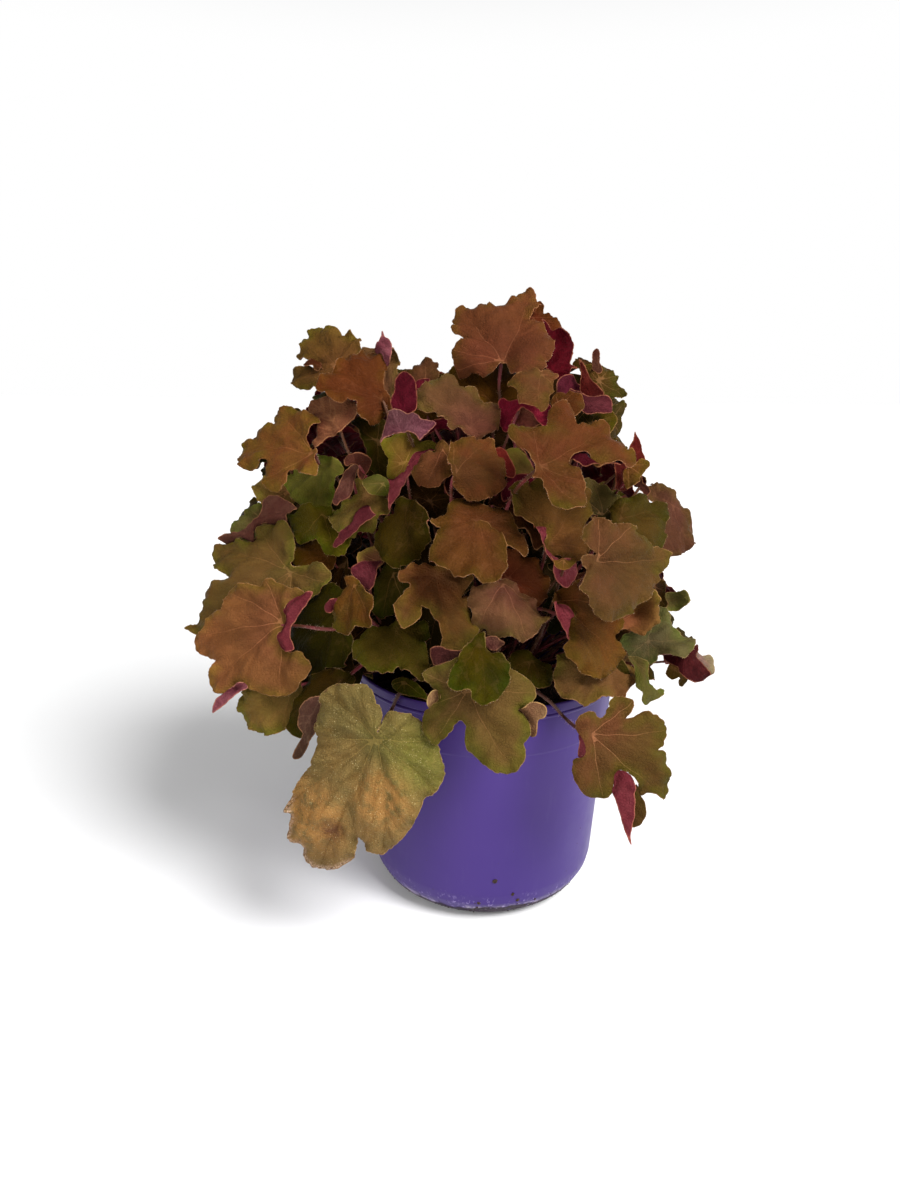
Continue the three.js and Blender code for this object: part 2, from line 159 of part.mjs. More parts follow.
    margin: [[74.9,-39,266.9],[88.8,-31.3,269],[100.2,-28.2,265.1],[109.2,-25.7,261.3],[105.3,-36,254.6],[100.9,-51.7,241.7],[96,-56.8,239.8],[90.3,-59.6,241.4],[73.3,-55.5,254.1],[69.4,-39.9,260.6]] },
  { name: 'leaf_front_12', colour: '#7a5028', up: [0.470,-0.656,0.591],
    stalk: [[-11.5,-8.8,143.2],[-13,-16.1,165.4],[-15.7,-29.4,194.9],[-18.6,-45.4,226.6],[-20.5,-60.9,255.6],[-20.5,-72.5,276.8],[-17.3,-76.9,285.3]],
    heart: [-5.8,-70.8,287.3],
    middle: [[-14.2,-69.5,295],[-10.5,-66,296],[-2,-60.6,295.3],[-0.8,-61.7,293.3],[2.8,-65.5,284.4],[1.3,-69.1,280.6],[-2.9,-72.1,278.3],[-9.7,-72.9,278.6],[-11.2,-73.4,279.8],[-13.9,-75.2,286.5]],
    margin: [[-21.2,-66.6,301.2],[-14.4,-60.9,302.9],[1,-51.5,301.9],[3.3,-53.5,298.2],[9.8,-59.2,281.8],[7.1,-66.5,275],[-0.5,-74.7,271.1],[-13,-74.1,271.4],[-15.8,-73,273.3],[-20.5,-78.8,285.9]] },
  { name: 'leaf_front_13', colour: '#6b5526', up: [-0.402,-0.652,0.643],
    stalk: [[-20,-0.9,142.6],[-25.6,-8.8,168],[-32.6,-15.6,189.7],[-40.9,-21.6,209],[-50.5,-27.3,227.4],[-61.4,-33.1,246.5],[-73.5,-39.4,267.5]],
    heart: [-70.6,-41.7,263],
    middle: [[-75.2,-37.3,269.6],[-70.4,-34.2,270.5],[-65.9,-30.9,268.2],[-64.9,-37.1,260.8],[-70.1,-44.6,254],[-73.7,-47,254.8],[-76.4,-48.5,252.8],[-80.5,-49.1,255],[-81.9,-43.9,260.6],[-76.5,-42.6,264.7]],
    margin: [[-79.6,-29.9,274.4],[-70.4,-27,276.5],[-61.9,-22.5,272.5],[-59.5,-37.8,259.8],[-70.5,-42,245.8],[-76.9,-47.1,247.4],[-81.4,-51.5,244.1],[-89.3,-50.1,247.7],[-92.3,-38.4,257.5],[-81.9,-38.8,265.5]] },
  { name: 'leaf_right_04', colour: '#7a5028', up: [0.573,-0.690,0.442],
    stalk: [[14.5,0.5,137.8],[32.5,-2.7,158.1],[47.3,-4.5,175.8],[60.8,-5.9,192.8],[74.9,-7.8,211.2],[91.4,-11.3,233.2],[112.2,-17.4,260.6]],
    heart: [111.9,-16.2,261.9],
    middle: [[102.7,-11.4,266.6],[110.1,-11.1,267.7],[116.3,-14.2,261.2],[118.6,-16,256.7],[118.4,-21.6,248.6],[112.1,-28.5,246.2],[108.2,-31.2,247.4],[105.6,-30.1,251.8],[108.3,-19.3,260.5],[103.4,-16.3,263]],
    margin: [[95.5,-6.1,270.3],[108.3,-8,272.6],[120,-12,260.5],[124.6,-13.8,252.2],[124.6,-21.9,237.1],[113.5,-33.2,232.5],[106.4,-38.4,234.7],[101,-38.7,243.1],[105.4,-21.7,259.4],[97,-14,263.5]] },
  { name: 'leaf_left_07', colour: '#38400f', up: [0.179,-0.546,0.818],
    stalk: [[-22.8,3.9,141.1],[-38.9,2.7,162.7],[-55.4,-1.4,184.7],[-71.1,-7.5,206],[-84.9,-14.4,225.4],[-95.4,-21,241.8],[-101.5,-26.3,254.1]],
    heart: [-100.4,-33.9,248.4],
    middle: [[-110.3,-24.6,251.9],[-103.6,-26.7,254.1],[-99.4,-27.2,253.2],[-93,-31,249.2],[-89.9,-38.2,243.6],[-93.5,-42.7,239.4],[-96.2,-42.2,239.1],[-102.9,-36.4,243.3],[-110.1,-29.1,241.3],[-115.2,-19.5,248.2]],
    margin: [[-119,-14.4,254.3],[-106.2,-20.5,258.7],[-98.9,-20.4,256.9],[-87.4,-26.8,249.5],[-81.8,-39.7,239.2],[-88.8,-45.7,231.3],[-94.1,-43.2,230.5],[-105.7,-35.4,238.5],[-118.4,-22.9,235.1],[-128.3,-3.2,247.2]] },
  { name: 'leaf_right_05', colour: '#7a5028', up: [0.140,-0.526,0.839],
    stalk: [[13.9,-9.4,132.1],[33.8,-14.2,138.6],[46.8,-16.7,145.4],[56.3,-19,153],[65.7,-22.9,161.6],[78.3,-30.6,171.4],[97.5,-43.8,182.8]],
    heart: [103.9,-43.7,186],
    middle: [[105.7,-34.9,193.6],[108.7,-37.5,191.2],[109.5,-43.1,187.4],[115.9,-44.5,186.3],[110.6,-51.9,181.8],[104.2,-47.4,181.8],[101.1,-46.5,176.5],[94.4,-44.7,178.5],[92,-43.2,185.2],[102,-40.5,188.8]],
    margin: [[107.5,-25.8,199.2],[112.9,-31,195],[114.2,-41.7,188.2],[126.5,-41.1,185.2],[116.4,-57.2,177.9],[104.6,-49.2,177.9],[99,-47.9,168.4],[86.2,-47.9,173.1],[81.3,-46.8,185.9],[100.3,-38.4,191.3]] },
  { name: 'leaf_front_14', colour: '#5a2c1a', up: [0.457,-0.583,0.672],
    stalk: [[-1.1,-17.4,135.6],[1.3,-26.6,153.9],[3.8,-35,169.5],[6.4,-42.8,183.3],[8.7,-49.9,196.5],[10.6,-56.4,209.7],[11.9,-62.5,224.2]],
    heart: [21.1,-61.1,224.8],
    middle: [[13.3,-58.2,234.1],[18.4,-58.3,232.7],[24.8,-58.8,230.1],[28.7,-60.3,225.3],[29.4,-61.2,221.9],[28.8,-62.2,218.9],[25.2,-66,216.7],[16.7,-66.5,220.5],[12.9,-64,223],[11.6,-58.9,227.8]],
    margin: [[6.9,-58.7,242.5],[16.2,-55.9,239.2],[27.9,-54.2,233.7],[34.9,-57.6,225.2],[36.2,-59.2,219.1],[35.3,-59.8,213.3],[28.6,-69.3,209.9],[13,-73.8,217.8],[6.2,-68.7,222.1],[3.7,-60.3,231.1]] },
  { name: 'leaf_top_05', colour: '#7a5028', up: [-0.584,-0.747,0.318],
    stalk: [[-11.9,8.8,144.6],[-21.7,9,185.3],[-27.8,9.8,214.3],[-32.6,10,237.2],[-38.4,8.6,259.3],[-47.8,4.4,286.1],[-63,-3.7,323.1]],
    heart: [-69.7,13.5,339.9],
    middle: [[-76.8,16.1,344.8],[-74.4,17.2,346.4],[-68.5,17.6,347],[-64.7,17.4,345.2],[-64.3,16.8,340.4],[-62.9,12.8,335.4],[-64.8,2,327.8],[-68.5,1.9,327.4],[-72.3,4.9,330.6],[-74.6,9.6,337.1]],
    margin: [[-83,21.5,348.6],[-78.6,22.2,351.7],[-67.2,17.7,352.9],[-59.8,13.3,349.8],[-59.6,16.3,340.9],[-56.6,5.5,331.9],[-60.6,-8.7,318],[-68,-4.2,317.1],[-75.1,2.9,322.8],[-79.1,10.4,334.7]] },
  { name: 'leaf_bright_green', colour: '#5f6a10', up: [0.343,-0.575,0.743],
    stalk: [[3.9,-17,133.1],[-0.1,-30.1,147],[-1.9,-47,161],[-2.4,-65.6,174.2],[-2.3,-83.5,185.9],[-2.2,-98.5,195.2],[-3,-108.3,201.2]],
    heart: [-4,-125.1,190.2],
    middle: [[-3,-113.2,198.2],[-0.8,-117.2,194.6],[5.6,-118.3,190.6],[5.3,-122.9,187.2],[1.9,-129.1,183.9],[-2.2,-131.8,183.7],[-6.1,-130.6,186.6],[-11.1,-131.1,188.1],[-11.6,-127.7,191],[-8.8,-121.1,194.9]],
    margin: [[-2.1,-102.6,204.4],[1.8,-110.2,198.1],[13.5,-112,190.7],[12.9,-120.3,184.4],[6.8,-131.5,178.4],[-0.7,-136.6,178.1],[-7.8,-134.8,183.6],[-16.9,-135.4,186.3],[-17.7,-129.4,191.4],[-12.7,-117.4,198.6]] },
  { name: 'leaf_left_08', colour: '#3a3410', up: [-0.501,-0.629,0.595],
    stalk: [[-22.4,-9.4,137.6],[-30.7,-11.8,149.2],[-36.6,-22.5,156.5],[-42.4,-38.5,160.6],[-50.4,-56.8,163.2],[-62.7,-74.5,165.7],[-81.6,-88.5,169.4]],
    heart: [-101,-85.8,157.9],
    middle: [[-95,-82.2,166.2],[-88.1,-86.9,166.8],[-84.7,-90.6,165.7],[-86.4,-92.3,163],[-98.3,-89.5,156.2],[-101.6,-93,148.2],[-103.4,-92.5,146.8],[-107.9,-87.7,148.3],[-107.9,-86.1,150.4],[-103.3,-81.7,160]],
    margin: [[-90.3,-78.3,172.6],[-78,-85.9,173.4],[-71.9,-92.3,171.2],[-74.7,-96,166.6],[-96.1,-92.5,154.9],[-102.6,-96.6,139.4],[-105.9,-95.2,136.7],[-113.8,-87.9,140],[-113.6,-85.6,144],[-105.2,-78.3,161.7]] },
  { name: 'leaf_front_16', colour: '#38400f', up: [-0.572,-0.688,0.446],
    stalk: [[-20.4,-13.5,135],[-25.4,-20.6,153.6],[-30.7,-27.2,169.4],[-36.3,-33.7,183.4],[-42.2,-40.8,196.8],[-48.4,-49.2,210.5],[-55,-59.5,225.6]],
    heart: [-54.8,-67.4,216.9],
    middle: [[-59.2,-59.7,221.7],[-57.2,-59.8,223.5],[-53.7,-62.1,224.4],[-50.8,-65.1,224.2],[-48.4,-70.7,219.5],[-49.1,-70.8,216.7],[-52.6,-67.3,210.2],[-55.4,-65.8,207.8],[-60,-65.1,207.2],[-61.6,-64.1,212.5]],
    margin: [[-62.9,-52.4,225.5],[-59.4,-52.1,228.5],[-53,-56.4,230.2],[-47.8,-61.9,229.8],[-43.2,-73.5,221.7],[-44.5,-72.9,216.3],[-51.4,-62.1,203.4],[-56,-62.8,200],[-64,-64.3,199.6],[-67.3,-61,208.9]] },
  { name: 'leaf_front_17', colour: '#7a5028', up: [-0.594,-0.708,0.382],
    stalk: [[-16.3,-12.7,139.1],[-28.8,-31.2,159.7],[-41.5,-42.6,172.9],[-53.4,-50.2,182.5],[-63.3,-57.8,192],[-70.5,-69,205],[-73.7,-87.3,225.2]],
    heart: [-73.6,-94,215.2],
    middle: [[-75.9,-87.6,222.2],[-73.9,-88.9,222.8],[-67.3,-97,219],[-66.3,-100.1,215],[-67.1,-101.3,211.4],[-71,-98.7,210.2],[-74.3,-97.3,207.2],[-76.1,-96,206.7],[-79.4,-92.6,208],[-80.1,-89.9,212.3]],
    margin: [[-77.9,-81.6,227.6],[-74.1,-84,228.9],[-62.2,-99.1,221.9],[-60.4,-104.6,214.7],[-61.8,-106.6,208.1],[-69,-102.1,205.9],[-75,-99.2,200.3],[-78.2,-96.8,199.5],[-84.2,-90.8,202],[-85.3,-86.3,209.8]] },
  { name: 'leaf_left_09', colour: '#7a5028', up: [-0.112,-0.602,0.790],
    stalk: [[-22.8,9.7,139.5],[-33.6,15.7,159.7],[-49.6,17.9,180.5],[-69.1,17.1,201.5],[-90.1,14.2,222.5],[-110.9,10.1,243],[-129.7,5.4,262.6]],
    heart: [-136.9,3.5,262],
    middle: [[-141.9,6.5,266.9],[-144,4.8,265.7],[-145.1,1.8,263.6],[-142.2,-1.6,259.6],[-140.7,-1,257.7],[-137.5,2.7,256.1],[-132.7,5.6,257.6],[-128.9,5.3,262.3],[-131.8,6.2,265.7],[-136.3,7.5,267.6]],
    margin: [[-146.4,10.9,270.7],[-150.5,8.5,268.3],[-152.7,3.8,264.4],[-146.8,-4.6,257.4],[-144.3,-2.9,253.9],[-138.5,4.4,250.9],[-129.2,7,253.9],[-121.5,3.6,263],[-127.1,6.4,269],[-135.9,11.2,272.1]] },
  { name: 'leaf_front_18', colour: '#7a5028', up: [-0.325,-0.642,0.694],
    stalk: [[-15,-3.3,144.2],[-21.5,-9.7,171.4],[-28.4,-16.7,196.4],[-35.2,-23.9,219.8],[-41.3,-30.9,242.3],[-46.2,-37.3,264.5],[-49.4,-42.8,287.2]],
    heart: [-53,-40.7,292.8],
    middle: [[-59,-36.4,294.9],[-55.1,-36.3,298.2],[-49.2,-36.4,298.5],[-46.3,-37.1,295.5],[-41.7,-34.7,295.3],[-41.9,-37.4,293.3],[-47.6,-40.9,291.7],[-53.2,-39.8,284.1],[-57.4,-37.2,285.1],[-56.8,-38.9,290.7]],
    margin: [[-64,-31.7,296.5],[-57,-30.6,302.3],[-46.4,-31.3,303.1],[-41,-32.2,297.5],[-32.2,-32.7,297.6],[-32.4,-38.7,294.1],[-43.1,-41.2,290.8],[-53.9,-34.2,276.5],[-61.4,-30.7,278.4],[-60.1,-36.1,288.9]] },
  { name: 'leaf_top_06', colour: '#6a1620', up: [0.225,-0.788,0.573],
    stalk: [[4,0.5,144.4],[12.3,-2.2,187.2],[19.5,-6.8,228.1],[25.5,-11.7,265.4],[30.2,-15.6,297.5],[33.5,-16.8,322.7],[35.1,-14.1,339.4]],
    heart: [38.6,0.7,355.2],
    middle: [[33.6,7.9,362],[37.5,5.1,359.3],[40.5,5.5,359.3],[44.3,1,354.5],[42.8,-5.3,348.4],[43,-7.1,346.2],[40,-10.5,343],[32.8,-8.3,348],[32.3,-5.3,351.1],[34.5,3.5,358.3]],
    margin: [[29.5,14.9,367.6],[36.6,8.9,362.7],[42.1,8.9,362.8],[49.1,1.5,353.9],[46.3,-8.2,342.8],[46.9,-10.2,338.8],[41.5,-14.9,333.1],[28.3,-13.6,342.1],[27.1,-9.3,347.8],[31.1,6.1,360.8]] },
  { name: 'leaf_left_10', colour: '#85523c', up: [-0.225,-0.841,0.492],
    stalk: [[-22.4,-5,140.1],[-41,-12,187.4],[-54.4,-15,221.9],[-67.8,-18.7,254.4],[-82.4,-25.8,285.8],[-89.1,-30.3,304.3]],
    heart: [-92.1,-23.5,312.7],
    middle: [[-96.4,-17.8,318],[-85.4,-24.3,316.5],[-83.8,-26.2,314.1],[-88.8,-28.7,307.2],[-93.3,-27.5,305.5],[-97.6,-28.3,301.6],[-99.2,-26.1,303.4],[-98.2,-20.4,310.4],[-102.5,-15.1,313.3],[-101.9,-14.5,315.3]],
    margin: [[-99.9,-13.8,322.4],[-80.4,-22.3,319.5],[-77.6,-25.6,315],[-86.3,-32.1,302.6],[-94.3,-31,299.6],[-102.3,-30.9,292.5],[-105,-28.6,295.8],[-103,-18.9,308.6],[-110.9,-9.2,313.9],[-109.9,-7.4,317.4]] },
  { name: 'leaf_left_11', colour: '#7a5028', up: [-0.795,0.011,0.607],
    stalk: [[-28.7,2.8,134.5],[-48.5,8.8,147.7],[-68.6,12.6,156.8],[-89.2,14.8,162.8],[-110.4,15.7,166.8],[-132.6,15.7,169.8],[-155.8,15.2,172.9]],
    heart: [-150.7,17.7,178.9],
    middle: [[-147.4,5.1,182.6],[-145.9,21.4,183.9],[-146.4,26.2,182.7],[-154.2,37.7,172.3],[-159.3,30.9,167.5],[-164.2,32.7,161.1],[-168.5,29,155.2],[-170.5,23.1,152.4],[-169.7,18.8,154],[-164.8,11.6,161.3],[-159.4,10.1,168.4],[-162.6,2.2,163.7],[-158,-1.1,169],[-152.7,6.6,176.4]],
    margin: [[-143.9,-5.2,185],[-141.8,24.4,187.9],[-142.4,33.1,185.4],[-156.6,54.1,166.6],[-165.8,41.8,157.9],[-173.3,44.9,145],[-179.5,38.1,133.1],[-182.6,27.5,127.6],[-181.7,19.7,131],[-175,6.6,145.9],[-165.9,3.9,159.5],[-171.4,-10.4,150.5],[-162.8,-16.5,160.1],[-153.7,-2.5,174]] },
  { name: 'leaf_back_02', colour: '#8a5534', up: [-0.762,0.519,0.386],
    stalk: [[-27.6,10,132.9],[-48.8,23.7,147.8],[-68.6,34.1,159.3],[-87.2,42.3,168.6],[-105.2,49.7,177.3],[-122.8,57.3,186.4],[-140.5,66.6,197.5]],
    heart: [-141.3,81.8,176],
    middle: [[-143.1,83.3,165.6],[-138.5,89.4,158.3],[-136.1,90.7,167.7],[-138.4,86.1,174.2],[-130.6,87.9,185.6],[-139.8,75.1,188.8],[-145.3,63.2,194.2],[-149.1,57.9,192.7],[-152.9,59.8,183.4],[-146.9,74,177.3],[-149.6,73.3,171.4],[-157.6,65.6,163.5],[-158.4,66.8,156.5],[-145.6,81.9,156.1]],
    margin: [[-143.7,83.9,156.6],[-134.7,94.5,143],[-130.9,97.3,160.4],[-135.8,89.6,172.6],[-120,91.6,192.6],[-137.5,69,198.8],[-145.7,46,207.7],[-150.9,35.1,204],[-158,38.8,187.2],[-151.1,67.3,178.2],[-156,66.1,167.4],[-168.3,50.6,151.9],[-169.7,52.7,139.1],[-147.2,80.8,139]] },
  { name: 'leaf_back_03', colour: '#7a5028', up: [-0.613,0.655,0.442],
    stalk: [[-23.5,16.5,131.3],[-31.5,21.3,137],[-42.3,33.8,145.7],[-55.2,51,155.1],[-69,70,163],[-82.7,87.8,166.9],[-95.4,101.6,164.7]],
    heart: [-91.7,99.2,171.5],
    middle: [[-100.2,89.4,173.8],[-86.8,97.6,177.4],[-83.4,101,177],[-77.8,114.6,168.2],[-84.5,113.8,161.5],[-84.3,118,154.5],[-88.1,118.6,147.4],[-93.2,116.7,143.7],[-96.5,113.6,144.8],[-100.7,105.8,151.5],[-100.3,101.1,159],[-106.8,98.3,152.6],[-108,93.1,158.1],[-100.9,94.2,167.3]],
    margin: [[-106.9,81,175.5],[-82.6,96,182.1],[-76.4,102.2,181.3],[-65.6,126.2,164.8],[-77.2,124.1,152.2],[-74.9,129.8,138.2],[-81.4,130.4,125],[-91.2,127.4,118.6],[-98,122.8,121.2],[-107,110,134.3],[-106.5,101.6,148.2],[-117.3,95.4,135.7],[-119,85.5,145.4],[-107.9,89.5,163.5]] },
  { name: 'leaf_back_04', colour: '#6b5526', up: [0.074,0.902,0.425],
    stalk: [[-7,22.3,134.8],[-10.3,33.2,138.8],[-11.2,44.6,143.8],[-11.1,57.8,150.2],[-11.6,74.5,158.3],[-14.1,96,168.7],[-20.1,123.8,181.6]],
    heart: [-45.3,131.8,168.7],
    middle: [[-19.5,129.9,169.2],[-20.5,132.1,164.4],[-26.4,133.7,161.3],[-31,135.8,155],[-50.2,137.8,147.6],[-53.4,137.4,151.1],[-55,131.7,169.1],[-52.5,124.8,181.1],[-48.8,121.8,186.1],[-41.2,121.5,187.7],[-34.1,122.9,185.8],[-27.4,126.5,178.2],[-29.6,128.3,174.9],[-23.1,128.2,173.7]],
    margin: [[1.3,125.3,168.2],[-0.3,130.2,160],[-11,134.5,154.9],[-19.4,138,143.4],[-54.5,140.5,129.3],[-60.2,139.7,135.7],[-63,131.1,169.2],[-58.5,117.2,190.5],[-51.9,111.8,199.5],[-37.9,112,202.8],[-25,114.6,199.5],[-12.9,120.3,185.2],[-16.9,124.3,179.5],[-5.1,122.7,176.5]] },
  { name: 'leaf_back_05', colour: '#444010', up: [0.515,0.593,0.619],
    stalk: [[1,21.9,133.3],[6.1,35.7,142.9],[11.9,49.9,149.7],[18.5,64.2,155],[25.6,78.7,159.9],[33.1,93,165.5],[41.1,107.1,173]],
    heart: [38.3,126.9,156.7],
    middle: [[40.5,132,148],[35.3,138.8,142.6],[31.6,136,150.8],[34.4,130.5,155.7],[26.4,127,166.2],[38.2,116.9,166.8],[46.8,106.3,169.7],[52.3,103.4,167.8],[55.6,108.6,160],[45.7,121.1,156.7],[49,123.1,151.6],[59.8,121.3,144.1],[61.2,125.2,138.6],[44.5,135,140.1]],
    margin: [[42.1,136,140.6],[32.4,148,130.5],[25.7,143,145.5],[31.2,133.4,154.9],[16.2,126.6,173.3],[37.6,108.1,174.4],[53.1,88.9,179.7],[62.8,82.9,175.7],[68.3,92,160.9],[51.7,116.2,156.5],[57.8,120,147.4],[76.4,115.5,132.5],[78.9,122.7,122.6],[49.3,141.3,126.1]] },
  { name: 'leaf_back_06', colour: '#3a3410', up: [0.545,0.522,0.657],
    stalk: [[11.5,15.2,134.3],[31.9,27.9,145.6],[49.6,41.3,153.5],[65.3,54,159],[79.4,64.6,162.9],[92.6,71.6,166.1],[105.3,73.6,169.5]],
    heart: [125.9,78.7,145.1],
    middle: [[110.7,93.8,146.5],[104,87.1,159.2],[104.3,77.7,167.1],[111.8,77.2,161.6],[120.3,70.2,159.4],[118.9,64.8,164.6],[122,60.1,164.8],[128.3,59.1,159.5],[131,69.6,147.6],[134.8,72.9,138],[132.7,77.6,135.7],[127.9,80.8,139.7],[124,90.4,133.5],[115.8,90.8,144.5]],
    margin: [[96.8,104.7,145.8],[83.3,91.3,167.4],[84,74.3,181.9],[98.8,74.6,173.3],[114.5,62.2,169.8],[110.7,51,177.6],[115.8,41.9,177.2],[128.1,41,168.5],[135,62,149.3],[141.7,67.8,131.8],[137.9,76.4,127.5],[129.4,82.5,135.1],[121.9,99.6,123.3],[106.8,100,143]] },
  { name: 'leaf_left_12', colour: '#6b5526', up: [-0.988,-0.023,0.154],
    stalk: [[-19.8,15.5,138],[-38.9,19,160.2],[-65.8,18.2,176.9],[-96.1,15.6,189.7],[-125.5,13.2,200.6],[-149.8,13.4,211.4],[-164.6,18.5,224]],
    heart: [-167.1,18.2,196.1],
    middle: [[-166.9,36,203.4],[-165.6,31.3,216.8],[-164.8,22.5,223.3],[-166.1,19.9,215.5],[-166.4,11.4,210.3],[-165.3,6.8,215.3],[-164.9,1.9,214.3],[-165.4,-0.5,207.3],[-166.5,8.6,196.2],[-165.9,11.4,187],[-166.1,16.4,185.9],[-166.9,20.1,191],[-166.8,30.3,187.5],[-167.3,31.9,199.6]],
    margin: [[-164.1,50.6,209],[-160.3,42.1,233],[-159,26,244.9],[-163.1,21.3,230.9],[-164,5.8,221.5],[-160.2,-2.4,230.4],[-158.5,-11.4,228.4],[-160.9,-15.8,215.9],[-165.7,0.8,196.1],[-164.4,5.9,179.4],[-164.7,15,177.5],[-166.5,21.6,186.7],[-165.7,40.3,180.4],[-166.2,43.1,202.3]] },
  { name: 'leaf_back_07', colour: '#8a4a22', up: [-0.784,0.472,0.402],
    stalk: [[-24.2,13.4,135.4],[-42,24,155.3],[-59.5,35.2,175.2],[-77.1,46.1,194.3],[-94.7,56,211.6],[-112.6,64,226.4],[-130.8,69.5,237.6]],
    heart: [-135.4,71.6,228.3],
    middle: [[-126.4,83.6,229.7],[-128.7,86.3,222],[-132.6,79.9,223.4],[-131.7,85.2,216.6],[-135.3,83.5,209.3],[-150.8,64.2,203.4],[-149.9,58.2,212.6],[-143.4,63.7,221.7],[-146.7,53.2,224.1],[-144.8,50.2,230.5],[-138.2,57.4,237.7],[-135.6,64.5,235.4],[-128.1,71,239.6],[-130.5,76.3,231.1]],
    margin: [[-118.3,93,230.5],[-121.9,97.6,216.2],[-129.9,86.3,219.1],[-126.5,95,205.9],[-131.8,91.2,192.1],[-160.5,56.4,181.6],[-159.1,45.6,198.3],[-149,56.6,216],[-152.6,36.1,218.9],[-149.1,30.7,230.6],[-139.6,45.2,244.9],[-135.5,58.5,241.1],[-121,69.8,248.4],[-126.3,80.1,233.4]] },
  { name: 'leaf_back_08', colour: '#6b5526', up: [-0.388,0.809,0.441],
    stalk: [[-19.2,18.9,133.9],[-30,40.3,156.3],[-40,57.4,173.8],[-49.7,71.5,187.9],[-59.5,83.7,200.4],[-69.6,95.3,212.8],[-80.5,107.3,226.9]],
    heart: [-82.3,119.7,203.1],
    middle: [[-86.7,121,193.3],[-82.7,124.6,184.1],[-77.2,125.6,192.2],[-78.8,122.6,199.9],[-68.2,123.4,209.3],[-79.4,114.1,216.5],[-87,105.7,225.5],[-93,102.4,226.2],[-98.3,104.4,217.5],[-89.7,114.5,207.2],[-94.3,114.6,202.4],[-107,110.7,198.7],[-109.9,112.5,192.4],[-92.6,120.6,185.4]],
    margin: [[-90.1,121.6,185],[-82.7,127.8,168],[-72.6,129.6,182.9],[-75.8,124.9,197.1],[-56.1,125.3,213.8],[-76.6,108.6,226.9],[-90.6,93.6,243.5],[-101,86.7,244.4],[-110.1,88.9,227.7],[-95.6,110.1,210.4],[-104.1,110.5,201.7],[-126.4,101.5,194.1],[-131.8,105,182.8],[-101,121.2,170.9]] },
  { name: 'leaf_back_09', colour: '#7a5028', up: [-0.022,0.847,0.530],
    stalk: [[-12.1,22.5,132.3],[-14.6,36,151.1],[-17.3,54.3,170],[-20,74.6,188.3],[-22.1,93.9,205],[-23.4,109.4,219.4],[-23.3,118.2,230.7]],
    heart: [-28.5,118.3,229.9],
    middle: [[-9.3,115.3,235.1],[-16.1,113.9,237],[-21,110.7,240.6],[-30,112.8,236.7],[-38.2,115.9,231.4],[-39.5,126.2,215.7],[-37,127.9,213.1],[-31.9,125.9,217.8],[-29.5,129.3,211.9],[-24.5,132.1,206.8],[-11.5,130.2,211.6],[-4.8,126.6,217.3],[-3.4,123.4,222.3],[-11.8,117.2,232.5]],
    margin: [[6.4,111.1,238.3],[-6,109.6,242.5],[-14.9,104,249],[-31.2,108,242.1],[-46.2,113.6,232.4],[-48.5,130.9,202.8],[-44,133.4,197.9],[-34.6,131,207.2],[-30.4,136,195.7],[-21.2,140.4,186],[2.4,137.7,195.2],[14.7,130.5,205.1],[17.2,124.4,214.1],[1.9,115,233.8]] },
  { name: 'leaf_back_10', colour: '#444010', up: [0.258,0.768,0.586],
    stalk: [[4.9,19.2,135.8],[15.3,32.8,155.5],[23.7,46.1,172.4],[30.7,59.2,187.3],[37.1,72.1,201.1],[43.4,85,214.4],[50.2,97.9,228.2]],
    heart: [53,94.6,230.9],
    middle: [[66.1,88.4,234.3],[51.6,91.9,234],[36.1,103.7,226.7],[47.1,106.5,219.5],[46.3,108.8,216.8],[51.3,114.5,205.5],[64.1,114.3,201.2],[70.5,109.8,204.8],[64.9,104.3,214.9],[66.4,99.3,220.7],[73.2,100.2,215.9],[81.4,94.9,217.2],[78.8,92.4,222.6],[67.6,93.1,228]],
    margin: [[76.7,82.9,236.8],[50.5,89.6,236.5],[22.2,111.2,223.2],[41.8,114.8,209.1],[40,118.1,203.6],[48.5,126.5,181.5],[72.4,128,175.2],[84.3,120.8,182.4],[74.3,111.2,201.2],[76.9,101.8,211.4],[88.9,102.5,201.9],[103.1,90.9,202.7],[98.5,86.4,212.6],[79.1,90.7,224.7]] },
  { name: 'leaf_back_11', colour: '#7a5028', up: [0.695,0.384,0.608],
    stalk: [[12.9,10.9,136.8],[24.5,17.2,153],[38,25.6,167.6],[53.1,35.6,181.4],[69.7,46.7,195.3],[87.5,58.4,210.2],[106.4,70.2,227]],
    heart: [109.4,88.7,211.7],
    middle: [[113.7,93,203.7],[111.2,101,198.6],[105.6,99,205.4],[106.6,93.1,210.5],[98,92.5,220.6],[106.4,79.7,222],[110.5,67,224.6],[114.7,62.4,222.8],[119.7,66.3,215.3],[114.6,81,212],[118.4,81.8,207],[126.7,76,198.7],[129,79,193.1],[119.2,94.8,196.6]],
    margin: [[117.2,96.5,197.2],[112.4,110.9,187.5],[101.9,107.1,199.7],[104.2,96.6,209.3],[88.7,95.7,227.9],[103,71.8,229.5],[108.8,47.8,232.8],[116.9,39.8,230],[127.1,47.5,217.3],[118.4,74.4,211.7],[124.7,75.6,202.2],[136.6,63.3,184.4],[140.6,68.6,174.1],[126.4,99.4,183.6]] },
  { name: 'leaf_right_06', colour: '#7a5028', up: [0.721,0.012,0.693],
    stalk: [[16.1,4.7,135.2],[32.9,7.1,162],[49,10,186.1],[64.6,13.1,207.9],[79.7,16.2,227.9],[94.4,18.8,246.4],[108.6,20.8,263.8]],
    heart: [111.9,28.1,260.3],
    middle: [[112.8,8.9,258.6],[118.3,13.5,253.8],[123.2,12.9,247.7],[124.3,16.6,246.3],[120.3,23.5,251.5],[122.9,27.5,247.4],[123.2,37.5,244.7],[120.8,39.4,248.1],[108.8,35.6,261.8],[101.8,29.9,268.1],[103.4,23.3,268],[109.3,22.7,263.2]],
